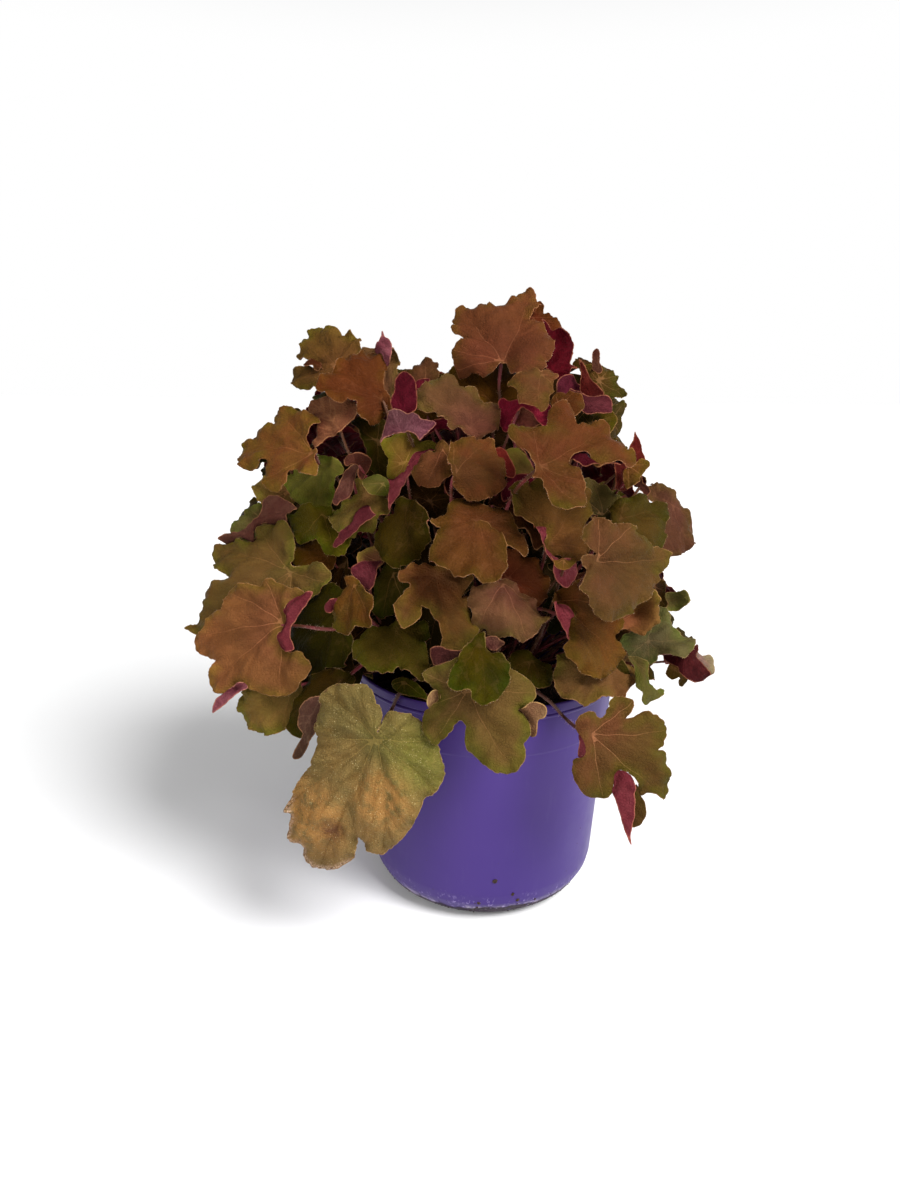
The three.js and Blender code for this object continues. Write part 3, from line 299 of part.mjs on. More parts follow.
    margin: [[110.6,-6.8,254.5],[121.9,1.5,246.9],[129.9,0.5,235],[131.9,7.1,232.4],[126.1,19.8,243.2],[129.5,27.1,234.6],[129.2,45.2,228.9],[125.6,48.7,235.9],[105.7,41.7,262.5],[92.5,31.3,273.5],[95.8,19.4,273.6],[106.9,18.2,265.4]] },
  { name: 'leaf_back_12', colour: '#6b5526', up: [-0.686,0.289,0.668],
    stalk: [[-14.9,15.7,140.5],[-21.5,23.4,162.3],[-33,25.3,184],[-49.7,24.7,207.2],[-72.2,24.8,233.3],[-100.8,28.9,263.8],[-136,40.3,300.4]],
    heart: [-130.2,39.2,305.2],
    middle: [[-132.3,27.1,306.6],[-123.9,39.3,309.1],[-122.5,43.6,308.6],[-124.8,57.7,301.6],[-132.1,55,297.2],[-135.3,59.2,291.6],[-140.4,58.7,286.2],[-144.7,55.2,283.4],[-146,51.3,284.6],[-145.1,42.6,290.2],[-141.2,38.2,296.2],[-147,33.7,291],[-144.5,28.4,295.1],[-136.8,31.5,302.2]],
    margin: [[-133.3,16.8,307.1],[-118.5,39.3,312.1],[-115.7,47,311],[-118.4,72,296.8],[-131.8,67.1,288.8],[-135.2,73.7,276.4],[-143.4,72.3,265.4],[-151.2,66,260.2],[-154.4,59.2,263.2],[-155,44.4,275.7],[-149,36.9,287.6],[-157.7,27.9,276.5],[-153.3,18.3,284.2],[-141.4,24.8,299]] },
  { name: 'leaf_back_13', colour: '#85523c', up: [-0.513,0.469,0.719],
    stalk: [[-17.9,10.8,142.1],[-28.9,20,164.2],[-41.5,28.3,187.4],[-55.5,36.3,211.6],[-71.1,44.6,236.5],[-88.4,53.8,261.9],[-107.4,64.3,287.7]],
    heart: [-100.6,62.2,292.2],
    middle: [[-105.8,50,296],[-93.2,61.1,295.6],[-90.9,65.5,294.5],[-92,81.3,286.5],[-100.8,79.4,282.4],[-104,84.1,276],[-110.4,84.2,270.7],[-116.5,81.4,268.9],[-118.5,77.6,270.8],[-118.4,68.2,277.6],[-114.2,63,284],[-122.2,59.1,279.6],[-120.2,53.2,284.7],[-110.1,55.3,291]],
    margin: [[-109.9,39.9,298.9],[-86.9,60,298],[-82.8,68,296.3],[-83.6,95.7,279.9],[-99,91.7,271.6],[-102.9,98.5,257.5],[-114.6,98.7,247.8],[-126.3,94.3,245.4],[-130.9,88.1,250],[-131.7,72,263.8],[-124.2,62.7,275.8],[-137.3,54.1,265.7],[-133.5,43.3,274.6],[-117.4,49.2,289.3]] },
  { name: 'leaf_back_14', colour: '#7a5028', up: [-0.176,0.744,0.645],
    stalk: [[-14.3,19.9,136.4],[-19.7,30.7,162.4],[-25.4,41.6,185],[-31.7,53.5,206],[-38.5,67.1,227.1],[-45.9,83.5,250.2],[-53.8,103.2,277.1]],
    heart: [-48.9,102.7,278.9],
    middle: [[-68.5,101.6,273.4],[-63.5,98.6,277.9],[-61.1,94,282.4],[-51.3,96,284.4],[-41.2,98.6,284.4],[-31.3,109.8,272.4],[-32.1,112.4,269.6],[-39.2,111.1,271.2],[-38.2,115.9,265.8],[-40,120.6,259.9],[-53.8,119.7,257.2],[-62.9,116.5,258.2],[-66.9,113,261.5],[-64.9,103.7,272.8]],
    margin: [[-84.3,99.9,268.1],[-75.2,94.5,276.3],[-70.8,85.6,284.1],[-53.2,90.1,288.5],[-34.8,94.8,288.4],[-16.4,113.7,265.5],[-18,118.7,260.5],[-31.2,117.2,264.3],[-29.1,125.6,254.1],[-32.2,133.1,242.4],[-56.9,129.4,235.8],[-73.2,123,237.2],[-80.8,117.8,244.1],[-77.9,104,267.3]] },
  { name: 'leaf_back_15', colour: '#7a5028', up: [0.303,0.584,0.753],
    stalk: [[-5.4,16.7,141.5],[1.1,38.6,180.4],[4.3,57.3,216.2],[5.3,72.6,246.9],[5.3,84.2,270.9],[5.3,92,286.4],[6.4,95.8,291.6]],
    heart: [18.6,114,272.1],
    middle: [[19.5,93.6,288],[24.4,93.8,285.9],[27.2,98,281.2],[32.8,100.3,275.9],[37.3,112.5,259.6],[34.1,116,259.2],[17.3,121.7,266.3],[4.3,121.1,271.6],[-1.1,118.4,275],[-1.8,112.7,280.2],[1.1,107.3,284.3],[9.8,101.3,286.3],[13.2,102.7,283.8],[14.8,97.2,287.3]],
    margin: [[19.2,74.8,298.2],[28.4,75.7,295.1],[34.1,84.6,288.3],[44.5,89.2,279.2],[52.3,110.5,248.4],[46.3,116.5,247.4],[16.2,127.9,261.4],[-8.1,125.5,269.5],[-18.1,120.2,275],[-19.2,110.6,285.4],[-13.5,101.3,293.7],[2.2,90,296.8],[8.5,92.8,292.7],[10.8,81.9,297.8]] },
];

const wasm = await Module();
wasm.setup();

// ---------- mesh and solid helpers ----------
function toSolid(geometry) {
  const g = geometry.index ? geometry.clone() : geometry.clone();
  g.deleteAttribute('normal');
  g.deleteAttribute('uv');
  const m = mergeVertices(g, 1e-4);
  const pos = m.getAttribute('position');
  const verts = new Float32Array(pos.array);
  const tris = [];
  for (let i = 0; i < m.index.count; i += 3) {
    const [a, b, c] = [m.index.getX(i), m.index.getX(i + 1), m.index.getX(i + 2)];
    if (a !== b && b !== c && c !== a) tris.push(a, b, c);
  }
  return new wasm.Manifold(new wasm.Mesh({ numProp: 3, vertProperties: verts, triVerts: new Uint32Array(tris) }));
}

function toGeometry(solid) {
  const mesh = solid.getMesh();
  const g = new THREE.BufferGeometry();
  const n = mesh.vertProperties.length / mesh.numProp;
  const pos = new Float32Array(n * 3);
  for (let i = 0; i < n; i++) for (let k = 0; k < 3; k++) pos[3 * i + k] = mesh.vertProperties[mesh.numProp * i + k];
  g.setAttribute('position', new THREE.BufferAttribute(pos, 3));
  g.setIndex(Array.from(mesh.triVerts));
  g.computeVertexNormals();
  return g;
}

function piece(name, geometry, colour, roughness) {
  const mesh = new THREE.Mesh(geometry, new THREE.MeshStandardMaterial({ color: colour, roughness, metalness: 0 }));
  mesh.name = name;
  return mesh;
}

// turn a closed profile of [radius, z] into a solid of revolution about Z
function turned(profile, segments) {
  const g = new THREE.LatheGeometry(profile.map(([r, z]) => new THREE.Vector2(r, z)), segments);
  g.rotateX(Math.PI / 2);
  return g;
}

function largest(solid) {
  const parts = solid.decompose();
  return parts.reduce((best, p) => (Math.abs(p.volume()) > Math.abs(best.volume()) ? p : best));
}

// ---------- pot ----------
function pot() {
  const bandZ = POT_HEIGHT - RIM_BAND;
  const wallTop = RIM_RADIUS - RIM_STEP;
  const profile = [
    [0, 0], [FOOT_RADIUS - 1.5, 0], [FOOT_RADIUS, 1.2],
    [FOOT_RADIUS + 8.2, 7.5], [WALL_LOW_RADIUS - 1.6, 16], [WALL_LOW_RADIUS, CHAMFER_HEIGHT],
    [SHOULDER_RADIUS - 0.5, SHOULDER_Z], [SHOULDER_RADIUS, SHOULDER_Z + 0.8],
    [wallTop, bandZ - 1], [wallTop, bandZ], [RIM_RADIUS, bandZ + 1], [RIM_RADIUS, POT_HEIGHT - 0.6],
    [RIM_RADIUS - 0.4, POT_HEIGHT], [RIM_RADIUS - WALL + 0.2, POT_HEIGHT], [RIM_RADIUS - WALL - 0.2, POT_HEIGHT - 0.6],
    [wallTop - WALL, bandZ - 1], [SHOULDER_RADIUS - WALL, SHOULDER_Z],
    [WALL_LOW_RADIUS - WALL, CHAMFER_HEIGHT + 0.4], [FOOT_RADIUS + 6.4, 8.2], [FOOT_RADIUS - 2.2, FLOOR], [0, FLOOR],
  ];
  let solid = toSolid(turned(profile, 48));
  for (let i = 0; i < DRAIN_COUNT; i++) {
    const a = (2 * Math.PI * (i + 0.5)) / DRAIN_COUNT;
    const drill = new THREE.CylinderGeometry(DRAIN_RADIUS, DRAIN_RADIUS, 12, 12);
    drill.rotateX(Math.PI / 2);
    drill.translate(DRAIN_RING * Math.cos(a), DRAIN_RING * Math.sin(a), 0);
    solid = solid.subtract(toSolid(drill));
  }
  return toGeometry(solid);
}

// ---------- crown ----------
function crownSolid(grow) {
  const g = new THREE.SphereGeometry(1, 18, 10);
  g.rotateX(Math.PI / 2);
  g.scale(CROWN_RADII[0] + grow, CROWN_RADII[1] + grow, CROWN_RADII[2] + grow);
  g.translate(...CROWN_CENTRE);
  return toSolid(g);
}

// ---------- compost, moulded to the inside of the pot and round the crown ----------
function soil() {
  const inner = (r) => r - WALL - GAP;
  const topRadius = WALL_LOW_RADIUS + ((SHOULDER_RADIUS - WALL_LOW_RADIUS) * (SHOULDER_Z - CHAMFER_HEIGHT)) / (SHOULDER_Z - CHAMFER_HEIGHT);
  const profile = [
    [0, FLOOR + GAP], [FOOT_RADIUS - 3.2, FLOOR + GAP], [FOOT_RADIUS + 5.4, 8.8], [inner(WALL_LOW_RADIUS) - 0.3, CHAMFER_HEIGHT + 1],
    [inner(topRadius) - 0.3, SHOULDER_Z], [inner(topRadius) - 0.1, SOIL_TOP - 4],
    [inner(topRadius) - 12, SOIL_TOP - 1.5], [48, SOIL_TOP], [0, SOIL_TOP],
  ];
  return toGeometry(toSolid(turned(profile, 36)).subtract(crownSolid(GAP)));
}

// ---------- leaves ----------
const V = (p) => new THREE.Vector3(...p);

// blade: upper and under skins over heart, middle ring and margin, closed at the margin
function blade(leaf) {
  const up = V(leaf.up).multiplyScalar(BLADE / 2);
  const rows = [leaf.middle, leaf.margin];
  const n = leaf.margin.length;
  const pts = [];
  for (const side of [1, -1]) {
    pts.push(V(leaf.heart).addScaledVector(up, side));
    for (const row of rows) for (const p of row) pts.push(V(p).addScaledVector(up, side));
  }
  const skin = 1 + 2 * n;
  const tris = [];
  for (let s = 0; s < 2; s++) {
    const o = s * skin;
    const add = (a, b, c) => (s === 0 ? tris.push(o + a, o + b, o + c) : tris.push(o + a, o + c, o + b));
    for (let i = 0; i < n; i++) {
      const j = (i + 1) % n;
      add(0, 1 + i, 1 + j);
      add(1 + i, 1 + n + i, 1 + n + j);
      add(1 + i, 1 + n + j, 1 + j);
    }
  }
  for (let i = 0; i < n; i++) {
    const j = (i + 1) % n;
    const [a, b, c, d] = [1 + n + i, 1 + n + j, skin + 1 + n + i, skin + 1 + n + j];
    tris.push(a, c, b, b, c, d);
  }
  const g = new THREE.BufferGeometry();
  g.setAttribute('position', new THREE.BufferAttribute(new Float32Array(pts.flatMap((p) => [p.x, p.y, p.z])), 3));
  g.setIndex(tris);
  let solid = toSolid(g);
  if (solid.volume() < 0) {
    for (let i = 0; i < tris.length; i += 3) [tris[i + 1], tris[i + 2]] = [tris[i + 2], tris[i + 1]];
    g.setIndex(tris);
    solid = toSolid(g);
  }
  return solid;
}

// stalk: a round section carried along the centreline, rooted in the crown
function stalk(leaf, radius) {
  const pts = leaf.stalk.map(V);
  const inward = V(CROWN_CENTRE).sub(pts[0]).normalize().multiplyScalar(STALK_SINK);
  const path = new THREE.CatmullRomCurve3([pts[0].clone().add(inward), ...pts], false, 'centripetal');
  const section = new THREE.Shape();
  for (let i = 0; i < STALK_SIDES; i++) {
    const a = (2 * Math.PI * i) / STALK_SIDES;
    const [x, y] = [radius * Math.cos(a), radius * Math.sin(a)];
    if (i) section.lineTo(x, y); else section.moveTo(x, y);
  }
  section.closePath();
  return toSolid(new THREE.ExtrudeGeometry(section, { steps: STALK_STEPS + (leaf.stalk.length > 7 ? 4 : 0), extrudePath: path, bevelEnabled: false }));
}

const plant = new THREE.Group();
const crown = crownSolid(0);
const crownSocket = crownSolid(GAP);
plant.add(piece('pot', pot(), '#584496', 0.55));
plant.add(piece('potting_soil', soil(), '#2c2019', 0.95));
plant.add(piece('crown', toGeometry(crown), '#5a3a2a', 0.8));

const built = LEAVES.map((leaf) => ({ leaf, blade: blade(leaf), stalk: stalk(leaf, STALK_RADIUS), sleeve: stalk(leaf, STALK_RADIUS + GAP + 0.1) }));
const boxesMeet = (a, b) => {
  const [p, q] = [a.boundingBox(), b.boundingBox()];
  return [0, 1, 2].every((k) => p.min[k] <= q.max[k] && q.min[k] <= p.max[k]);
};
// a stalk that brushes past another leaf's blade leaves a notch in it
built.forEach((item, i) => {
  built.forEach((other, j) => {
    if (i !== j && boxesMeet(item.blade, other.sleeve) && item.blade.intersect(other.sleeve).volume() > 1e-4) {
      item.blade = largest(item.blade.subtract(other.sleeve));
    }
  });
});
// where two stalks cross, the later one is relieved round the earlier
built.forEach((item, i) => {
  for (let j = 0; j < i; j++) {
    const other = built[j];
    if (boxesMeet(item.stalk, other.sleeve) && item.stalk.intersect(other.sleeve).volume() > 1e-4) {
      const cut = item.stalk.subtract(other.sleeve);
      if (cut.decompose().length === 1) item.stalk = cut;
    }
  }
});
for (const item of built) {
  const solid = largest(item.blade.add(item.stalk).subtract(crownSocket));
  plant.add(piece(item.leaf.name, toGeometry(solid), item.leaf.colour, 0.6));
}

export default plant;
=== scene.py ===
# Heuchera in a round nursery pot: the looks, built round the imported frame.
import math
import bpy
import numpy as np
from mathutils import Vector, Matrix, noise as mnoise
from mathutils.geometry import delaunay_2d_cdt


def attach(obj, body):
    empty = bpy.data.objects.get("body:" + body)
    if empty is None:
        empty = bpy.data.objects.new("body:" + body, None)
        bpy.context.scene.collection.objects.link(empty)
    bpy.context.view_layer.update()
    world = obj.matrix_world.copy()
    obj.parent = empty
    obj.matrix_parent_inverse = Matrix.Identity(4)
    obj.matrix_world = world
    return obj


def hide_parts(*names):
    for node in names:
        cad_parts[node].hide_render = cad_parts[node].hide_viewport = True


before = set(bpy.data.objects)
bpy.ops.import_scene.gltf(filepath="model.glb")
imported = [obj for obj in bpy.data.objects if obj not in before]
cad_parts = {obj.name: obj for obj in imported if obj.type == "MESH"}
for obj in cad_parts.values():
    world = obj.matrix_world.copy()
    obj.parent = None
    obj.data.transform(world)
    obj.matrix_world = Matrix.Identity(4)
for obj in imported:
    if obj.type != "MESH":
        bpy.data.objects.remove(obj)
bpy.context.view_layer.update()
MM = 0.001

# ---------------------------------------------------------------- leaf table
# One row a leaf: name, CAD node, side toward the viewer (U upper, L under), upper and under
# colour words, slot, seed, stalk joint (u, v), origin, axes U V N and D, box and 8 x 8 height
# net of the blade's surface, outline, stalk centreline, folded margins, front (1) or far side (0).
# Numbers are tenths of a millimetre (origin hundredths, heights twentieths). Then the leaf's brightness: its own tone
# together with painted light and shade, lifting leaves that stand in shade and darkening the inner leaves that fill the
# gaps (each folded margin ends in a brightness of its own); on some rows the blade's folds follow.
LEAVES = [
["A21","leaf_aged_low_left","U","aged","under","leaf_aged",0,"0 0","-5702 -12140 14947","0.9687 -0.2031 0.1425 -0.1188 0.1242 0.9851 -0.2178 -0.9712 0.0962 -0.1287 0.8950 -0.4271","-634 -817 413 336","180 152 133 115 117 138 168 208 182 130 83 57 64 100 154 215 183 108 36 0 11 62 140 221 181 97 15 -30 -28 24 123 221 177 105 31 -26 -35 12 109 208 171 120 67 17 1 43 112 184 161 135 108 85 77 95 124 157 151 151 152 154 154 148 139 130","46 98 67 131 104 152 143 151 181 140 222 117 264 89 297 45 322 -26 350 -71 367 -114 374 -158 363 -208 340 -257 308 -302 265 -329 230 -346 214 -385 185 -442 145 -500 99 -552 41 -605 -17 -654 -49 -672 -93 -655 -138 -632 -162 -597 -182 -568 -189 -621 -209 -676 -250 -719 -308 -746 -372 -767 -436 -782 -476 -759 -501 -717 -532 -675 -543 -621 -589 -598 -600 -544 -583 -477 -568 -417 -605 -412 -563 -346 -500 -258 -441 -182 -393 -142 -365 -68 -340 28 -329 112 -306 196 -288 252 -255 280 -211 301 -157 310 -99 308 -48 300 0 271 28 226 44 170 43 115 15 33","-39 -193 1315 -95 -352 1498 -227 -530 1609 -378 -683 1646 -492 -748 1569 -551 -705 1435 -570 -1214 1495",[],1,0.8,[["valley","-71 -65 -235 -163 -349 -232 -503 -335","-319 -351",0.34,1.4],["valley","-197 -578 -184 -436 -171 -293 -105 -145","-34 -406",0.4,1.6],["valley","-7 -110 39 -292 209 -325","75 -463",0.2,1.6],["tilt","-498 -387 -308 -271 -140 -145","-268 -408",0.25,2.5]]],
["B42","leaf_low_right","U","oliveorange3","under","leaf_olive_orange",1,"0 0","5910 -10666 14920","0.9759 0.2070 -0.0692 0.0170 0.2443 0.9695 0.2176 -0.9473 0.2349 0.1294 0.9006 -0.4150","-138 -406 504 236","138 125 112 90 89 109 112 117 125 96 65 39 39 63 89 115 111 67 20 -9 -9 21 67 113 100 44 -7 -32 -31 -2 54 111 99 41 -7 -30 -28 3 55 108 110 62 16 -7 -1 30 67 105 126 94 60 40 44 63 82 101 143 125 108 95 91 93 95 97","94 198 134 204 180 199 227 188 228 161 206 122 191 83 231 89 271 111 311 134 329 117 365 107 395 85 420 63 433 35 428 -4 412 -32 413 -59 379 -87 415 -93 439 -109 435 -143 424 -159 449 -188 458 -227 460 -272 469 -312 459 -345 430 -367 405 -350 374 -332 339 -332 304 -348 285 -308 258 -252 222 -219 175 -202 153 -224 132 -268 123 -318 101 -346 62 -357 22 -357 -13 -346 -49 -318 -79 -279 -98 -235 -105 -186 -96 -147 -68 -120 -47 -87 -55 -44 -74 -6 -92 32 -105 65 -95 92 -62 114 -23 125 12 115 36 87 53 82 69 115 78 165","5 -137 1397 67 -312 1551 132 -535 1632 227 -733 1646 368 -811 1571 455 -770 1463 509 -1016 1502 591 -1066 1492",[["L","pink","95 -637 293 -181","-72 -62 -49 -26 -2 1 -19 -51 -78 -69 -58 -43 -22 -13 -28 -49 -85 -76 -68 -60 -41 -26 -37 -46 -92 -84 -76 -70 -65 -52 -45 -39 -102 -95 -89 -82 -81 -61 -39 -24 -115 -109 -103 -96 -94 -61 -29 -7 -129 -124 -118 -111 -105 -74 -33 3 -144 -140 -134 -126 -111 -82 -40 8","163 -207 197 -207 227 -229 246 -267 254 -332 258 -414 254 -469 245 -512 240 -539 243 -605 219 -561 186 -480 154 -387 122 -317 132 -273 141 -234","122 -316 132 -267 153 -224 174 -202 221 -218 256 -251",1.3],["U","dolive2","203 -549 367 -249","101 104 107 107 111 116 98 63 89 92 95 99 103 98 76 48 77 81 84 90 94 80 54 32 65 69 74 82 80 58 38 23 52 57 63 71 65 49 36 23 39 45 51 59 57 48 39 28 26 33 39 47 49 47 42 37 13 21 28 35 41 44 46 46","261 -276 286 -310 305 -349 325 -400 328 -450 312 -489 290 -511 249 -517 235 -450 237 -366 245 -310","260 -254 286 -310 305 -349",0.85],["L","pink","-119 -157 -8 26","-2 -10 -18 -19 -18 -12 3 19 -16 -17 -18 -20 -18 -12 -4 4 -30 -23 -18 -20 -18 -11 -11 -11 -44 -31 -19 -19 -17 -13 -20 -26 -55 -41 -26 -22 -22 -23 -31 -38 -64 -53 -41 -35 -35 -38 -43 -49 -72 -64 -57 -52 -52 -54 -56 -59 -79 -76 -73 -70 -69 -69 -69 -69","-73 -6 -49 -44 -41 -87 -51 -119 -79 -125 -86 -87 -77 -49","-73 -6 -55 -44 -47 -87 -68 -120",0.7]],1,0.95,[]],
["B32","leaf_bright_green","U","bgreen","under","leaf_bright_green",2,"0 0","-303 -10837 20126","0.9136 0.3881 -0.1212 -0.2185 0.7202 0.6585 0.3429 -0.5751 0.7428 -0.0070 0.9480 -0.3181","-254 -395 182 85","-5 21 50 61 62 67 76 86 12 15 20 23 31 46 63 82 28 10 -8 -14 1 25 50 77 45 11 -21 -32 -22 4 37 70 59 22 -14 -31 -29 -7 27 59 71 40 9 -13 -17 -3 19 41 82 59 37 18 8 7 12 19 93 79 65 50 35 20 7 -5","-14 43 24 56 36 7 42 -42 67 -60 99 -72 121 -102 149 -132 136 -185 119 -232 93 -273 62 -307 26 -341 -12 -363 -61 -362 -85 -344 -108 -327 -123 -293 -161 -293 -191 -282 -215 -265 -219 -231 -205 -185 -174 -139 -138 -98 -120 -62 -85 -26 -57 -1 -31 18","39 -170 1331 -1 -301 1470 -19 -470 1610 -24 -656 1742 -23 -835 1859 -22 -985 1952 -30 -1083 2012",[],1,0.85,[]],
["B15","leaf_front_04","U","orange","under","leaf_orange",3,"10 5","2556 -9633 29220","0.9506 0.3098 -0.0167 -0.2158 0.6988 0.6820 0.2230 -0.6447 0.7312 0.0602 0.9922 -0.1094","-152 -320 614 479","2 26 58 93 147 182 187 195 39 33 31 41 73 108 133 157 76 40 4 -10 5 40 80 119 109 51 -5 -29 -27 -3 39 83 141 82 27 -10 -22 -10 18 48 176 128 83 43 16 12 14 16 217 183 150 116 78 46 15 -15 260 241 218 186 140 82 19 -45","267 276 275 327 299 394 298 431 272 446 225 445 184 422 154 391 129 340 107 275 90 253 68 253 47 282 14 289 -32 282 -79 275 -112 253 -123 225 -114 190 -89 155 -60 114 -40 60 -28 20 -26 -20 -45 -52 -27 -65 -9 -79 -10 -105 -15 -149 -7 -201 13 -226 37 -258 64 -278 107 -279 151 -274 187 -243 208 -204 211 -153 209 -100 216 -54 216 -14 206 12 184 33 184 53 219 80 255 87 285 73 315 39 344 19 388 32 433 25 462 4 481 -9 513 -3 550 18 573 53 563 81 548 109 518 109 518 130 511 165 492 200 462 221 463 265 450 301 412 315 363 306 318 291","-5 -74 1438 -32 -235 1692 -21 -304 1900 21 -347 2095 87 -426 2308 82 -606 2550 140 -742 2756 264 -958 2925",[["L","magenta","148 -53 495 117","-38 -97 -120 -80 -64 -65 -62 -67 6 -35 -61 -50 -45 -57 -74 -93 50 27 0 -12 -22 -50 -85 -119 79 64 37 3 -29 -63 -104 -143 84 52 15 -16 -57 -92 -126 -163 74 46 27 5 -45 -99 -142 -181 59 27 -2 -30 -64 -108 -152 -194 43 3 -37 -69 -94 -124 -162 -204","183 53 205 73 242 86 273 73 301 52 328 25 367 25 403 32 434 18 459 4 431 -16 401 -2 332 -2 275 -8 220 -1 186 19","183 53 218 80 254 86 284 73 315 39 344 18 387 32 430 25 459 5",0.45],["L","pink","-114 -62 12 184","121 96 75 55 32 10 -2 -20 107 80 55 34 20 3 -24 -54 92 64 35 14 7 -4 -46 -89 76 47 16 -3 -9 -26 -72 -119 56 24 -5 -21 -36 -61 -101 -144 33 1 -25 -45 -69 -98 -132 -168 12 -16 -42 -70 -100 -131 -162 -194 -6 -33 -62 -95 -129 -162 -193 -222","-79 147 -58 120 -36 73 -22 20 -26 -20 -48 -20 -59 27 -69 73 -83 107","-88 154 -60 114 -40 60 -28 20 -26 -20",0.3]],1,0.75,[["valley","3 4 117 24 237 51","123 -167",0.3,1.6],["valley","3 4 111 174 185 365","306 310",0.25,2.0]]],
["B33","leaf_over_rim","U","oliveorange","under","leaf_olive_orange",4,"0 0","-872 -11801 17736","0.9988 0.0490 0.0091 -0.0237 0.3070 0.9514 0.0438 -0.9504 0.3078 -0.0202 0.9272 -0.3740","-270 -477 394 228","333 341 306 247 188 142 105 34 280 261 228 167 97 89 91 79 227 180 142 75 7 39 79 124 186 103 25 -18 -20 0 72 184 164 84 15 -11 -22 14 140 264 157 105 52 15 -1 91 221 329 155 122 86 53 39 116 242 362 155 132 108 89 95 151 254 376","-238 89 -211 110 -169 126 -132 137 -95 152 -42 178 37 200 117 196 181 159 228 111 260 95 291 74 322 53 347 26 358 -10 352 -47 330 -63 298 -84 267 -109 293 -130 314 -162 325 -198 325 -235 304 -266 293 -282 304 -324 294 -366 273 -403 247 -430 215 -443 178 -434 141 -429 104 -402 68 -381 42 -354 21 -333 -5 -313 -16 -276 -16 -234 -11 -192 -26 -166 -42 -161 -63 -172 -84 -209 -111 -242 -143 -274 -165 -293 -191 -285 -212 -254 -233 -227 -244 -190 -238 -142 -227 -111 -206 -95 -184 -73 -157 -52 -157 -16 -184 10 -211 37 -232 58","-89 -184 1341 -101 -305 1424 -97 -454 1507 -86 -624 1585 -75 -807 1658 -73 -996 1722 -87 -1182 1775",[["L","peach","-245 -130 -110 26","65 42 14 -4 -10 -21 -31 -39 47 36 22 7 -7 -17 -27 -35 30 30 30 18 -3 -13 -22 -31 15 21 29 21 1 -9 -17 -28 3 10 15 12 4 -4 -15 -25 -6 -2 0 1 -1 -7 -15 -22 -16 -14 -12 -10 -11 -13 -16 -19 -26 -25 -23 -22 -21 -20 -18 -16","-183 0 -162 0 -146 -21 -146 -52 -167 -73 -199 -99 -215 -73 -209 -31","-157 -16 -157 -52 -183 -73 -204 -94",1.85],["L","peach","235 -275 442 -37","10 -9 -24 -31 -32 -25 -33 -52 7 -3 -12 -17 -19 -23 -35 -50 3 2 0 -3 -6 -21 -37 -48 -1 6 13 9 -7 -28 -37 -44 -7 -1 3 -6 -22 -31 -33 -38 -14 -13 -15 -19 -23 -28 -31 -34 -23 -24 -24 -22 -22 -26 -30 -32 -34 -33 -30 -26 -24 -25 -27 -29","266 -109 297 -83 328 -62 375 -67 406 -88 411 -119 396 -145 365 -156 360 -197 354 -234 329 -244 318 -208 313 -166 287 -135","266 -109 292 -130 313 -161 323 -198 323 -234",0.95]],1,0.9,[["valley","95 1 84 -115 52 -304","168 -157",0.2,2.5]]],
["B36b","","L","bronze_up","palepink","leaf_red",5,"-26 -8","765 -9801 19805","0.9918 0.1267 -0.0174 -0.0062 0.1840 0.9829 0.1277 -0.9747 0.1833 0.0173 0.9481 -0.3175","-114 -86 59 54","-36 -19 -5 6 9 40 119 215 -31 -14 1 13 27 56 108 169 -27 -10 6 21 43 71 97 122 -20 -6 8 20 42 68 72 67 -9 -3 5 12 17 17 9 -3 7 0 -6 -14 -33 -56 -71 -86 28 2 -25 -55 -91 -124 -152 -177 50 2 -47 -98 -147 -191 -232 -270","-87 11 -55 27 -22 27 5 5 27 -11 -5 -38 -32 -54 -65 -38","-48 -178 1357 -25 -302 1513 9 -457 1647 43 -623 1760 68 -779 1852 74 -894 1919 51 -973 1969",[],1,1.25,[]],
["B23","leaf_right_01","U","orangepink","under","leaf_orange",6,"0 0","5646 -9769 24313","0.7805 0.6114 -0.1303 -0.1012 0.3293 0.9388 0.6169 -0.7195 0.3189 0.1299 0.9668 -0.2198","-152 -351 651 269","125 86 59 40 46 82 127 178 125 78 38 14 20 54 105 158 124 71 18 -9 -6 27 83 139 119 66 13 -15 -15 12 63 117 108 65 23 -7 -11 14 53 94 93 64 35 11 6 23 46 71 79 62 47 34 29 34 41 48 64 61 59 56 52 45 36 26","-60 173 -34 206 6 229 45 241 83 237 118 216 155 201 210 208 290 205 343 185 388 152 424 120 443 75 477 81 521 88 562 71 592 43 596 9 582 -25 544 -48 500 -59 479 -81 485 -104 437 -148 399 -181 354 -213 293 -244 250 -270 184 -290 143 -305 88 -314 28 -312 -7 -294 -19 -268 -46 -251 -73 -235 -91 -198 -101 -166 -118 -130 -93 -99 -82 -73 -92 -37 -96 -6 -78 26 -40 36 -3 32 -35 73 -59 120","-39 -114 1422 34 -180 1585 107 -249 1681 191 -349 1764 294 -488 1884 430 -577 2061 556 -698 2292 565 -977 2431",[],1,0.95,[["valley","0 -15 151 -57 343 -100 465 -67","163 -207",0.62,1.3],["valley","5 -31 119 -122 168 -229","6 -208",0.22,1.4],["tilt","23 45 150 168 240 254","-39 168",0.3,2.5]]],
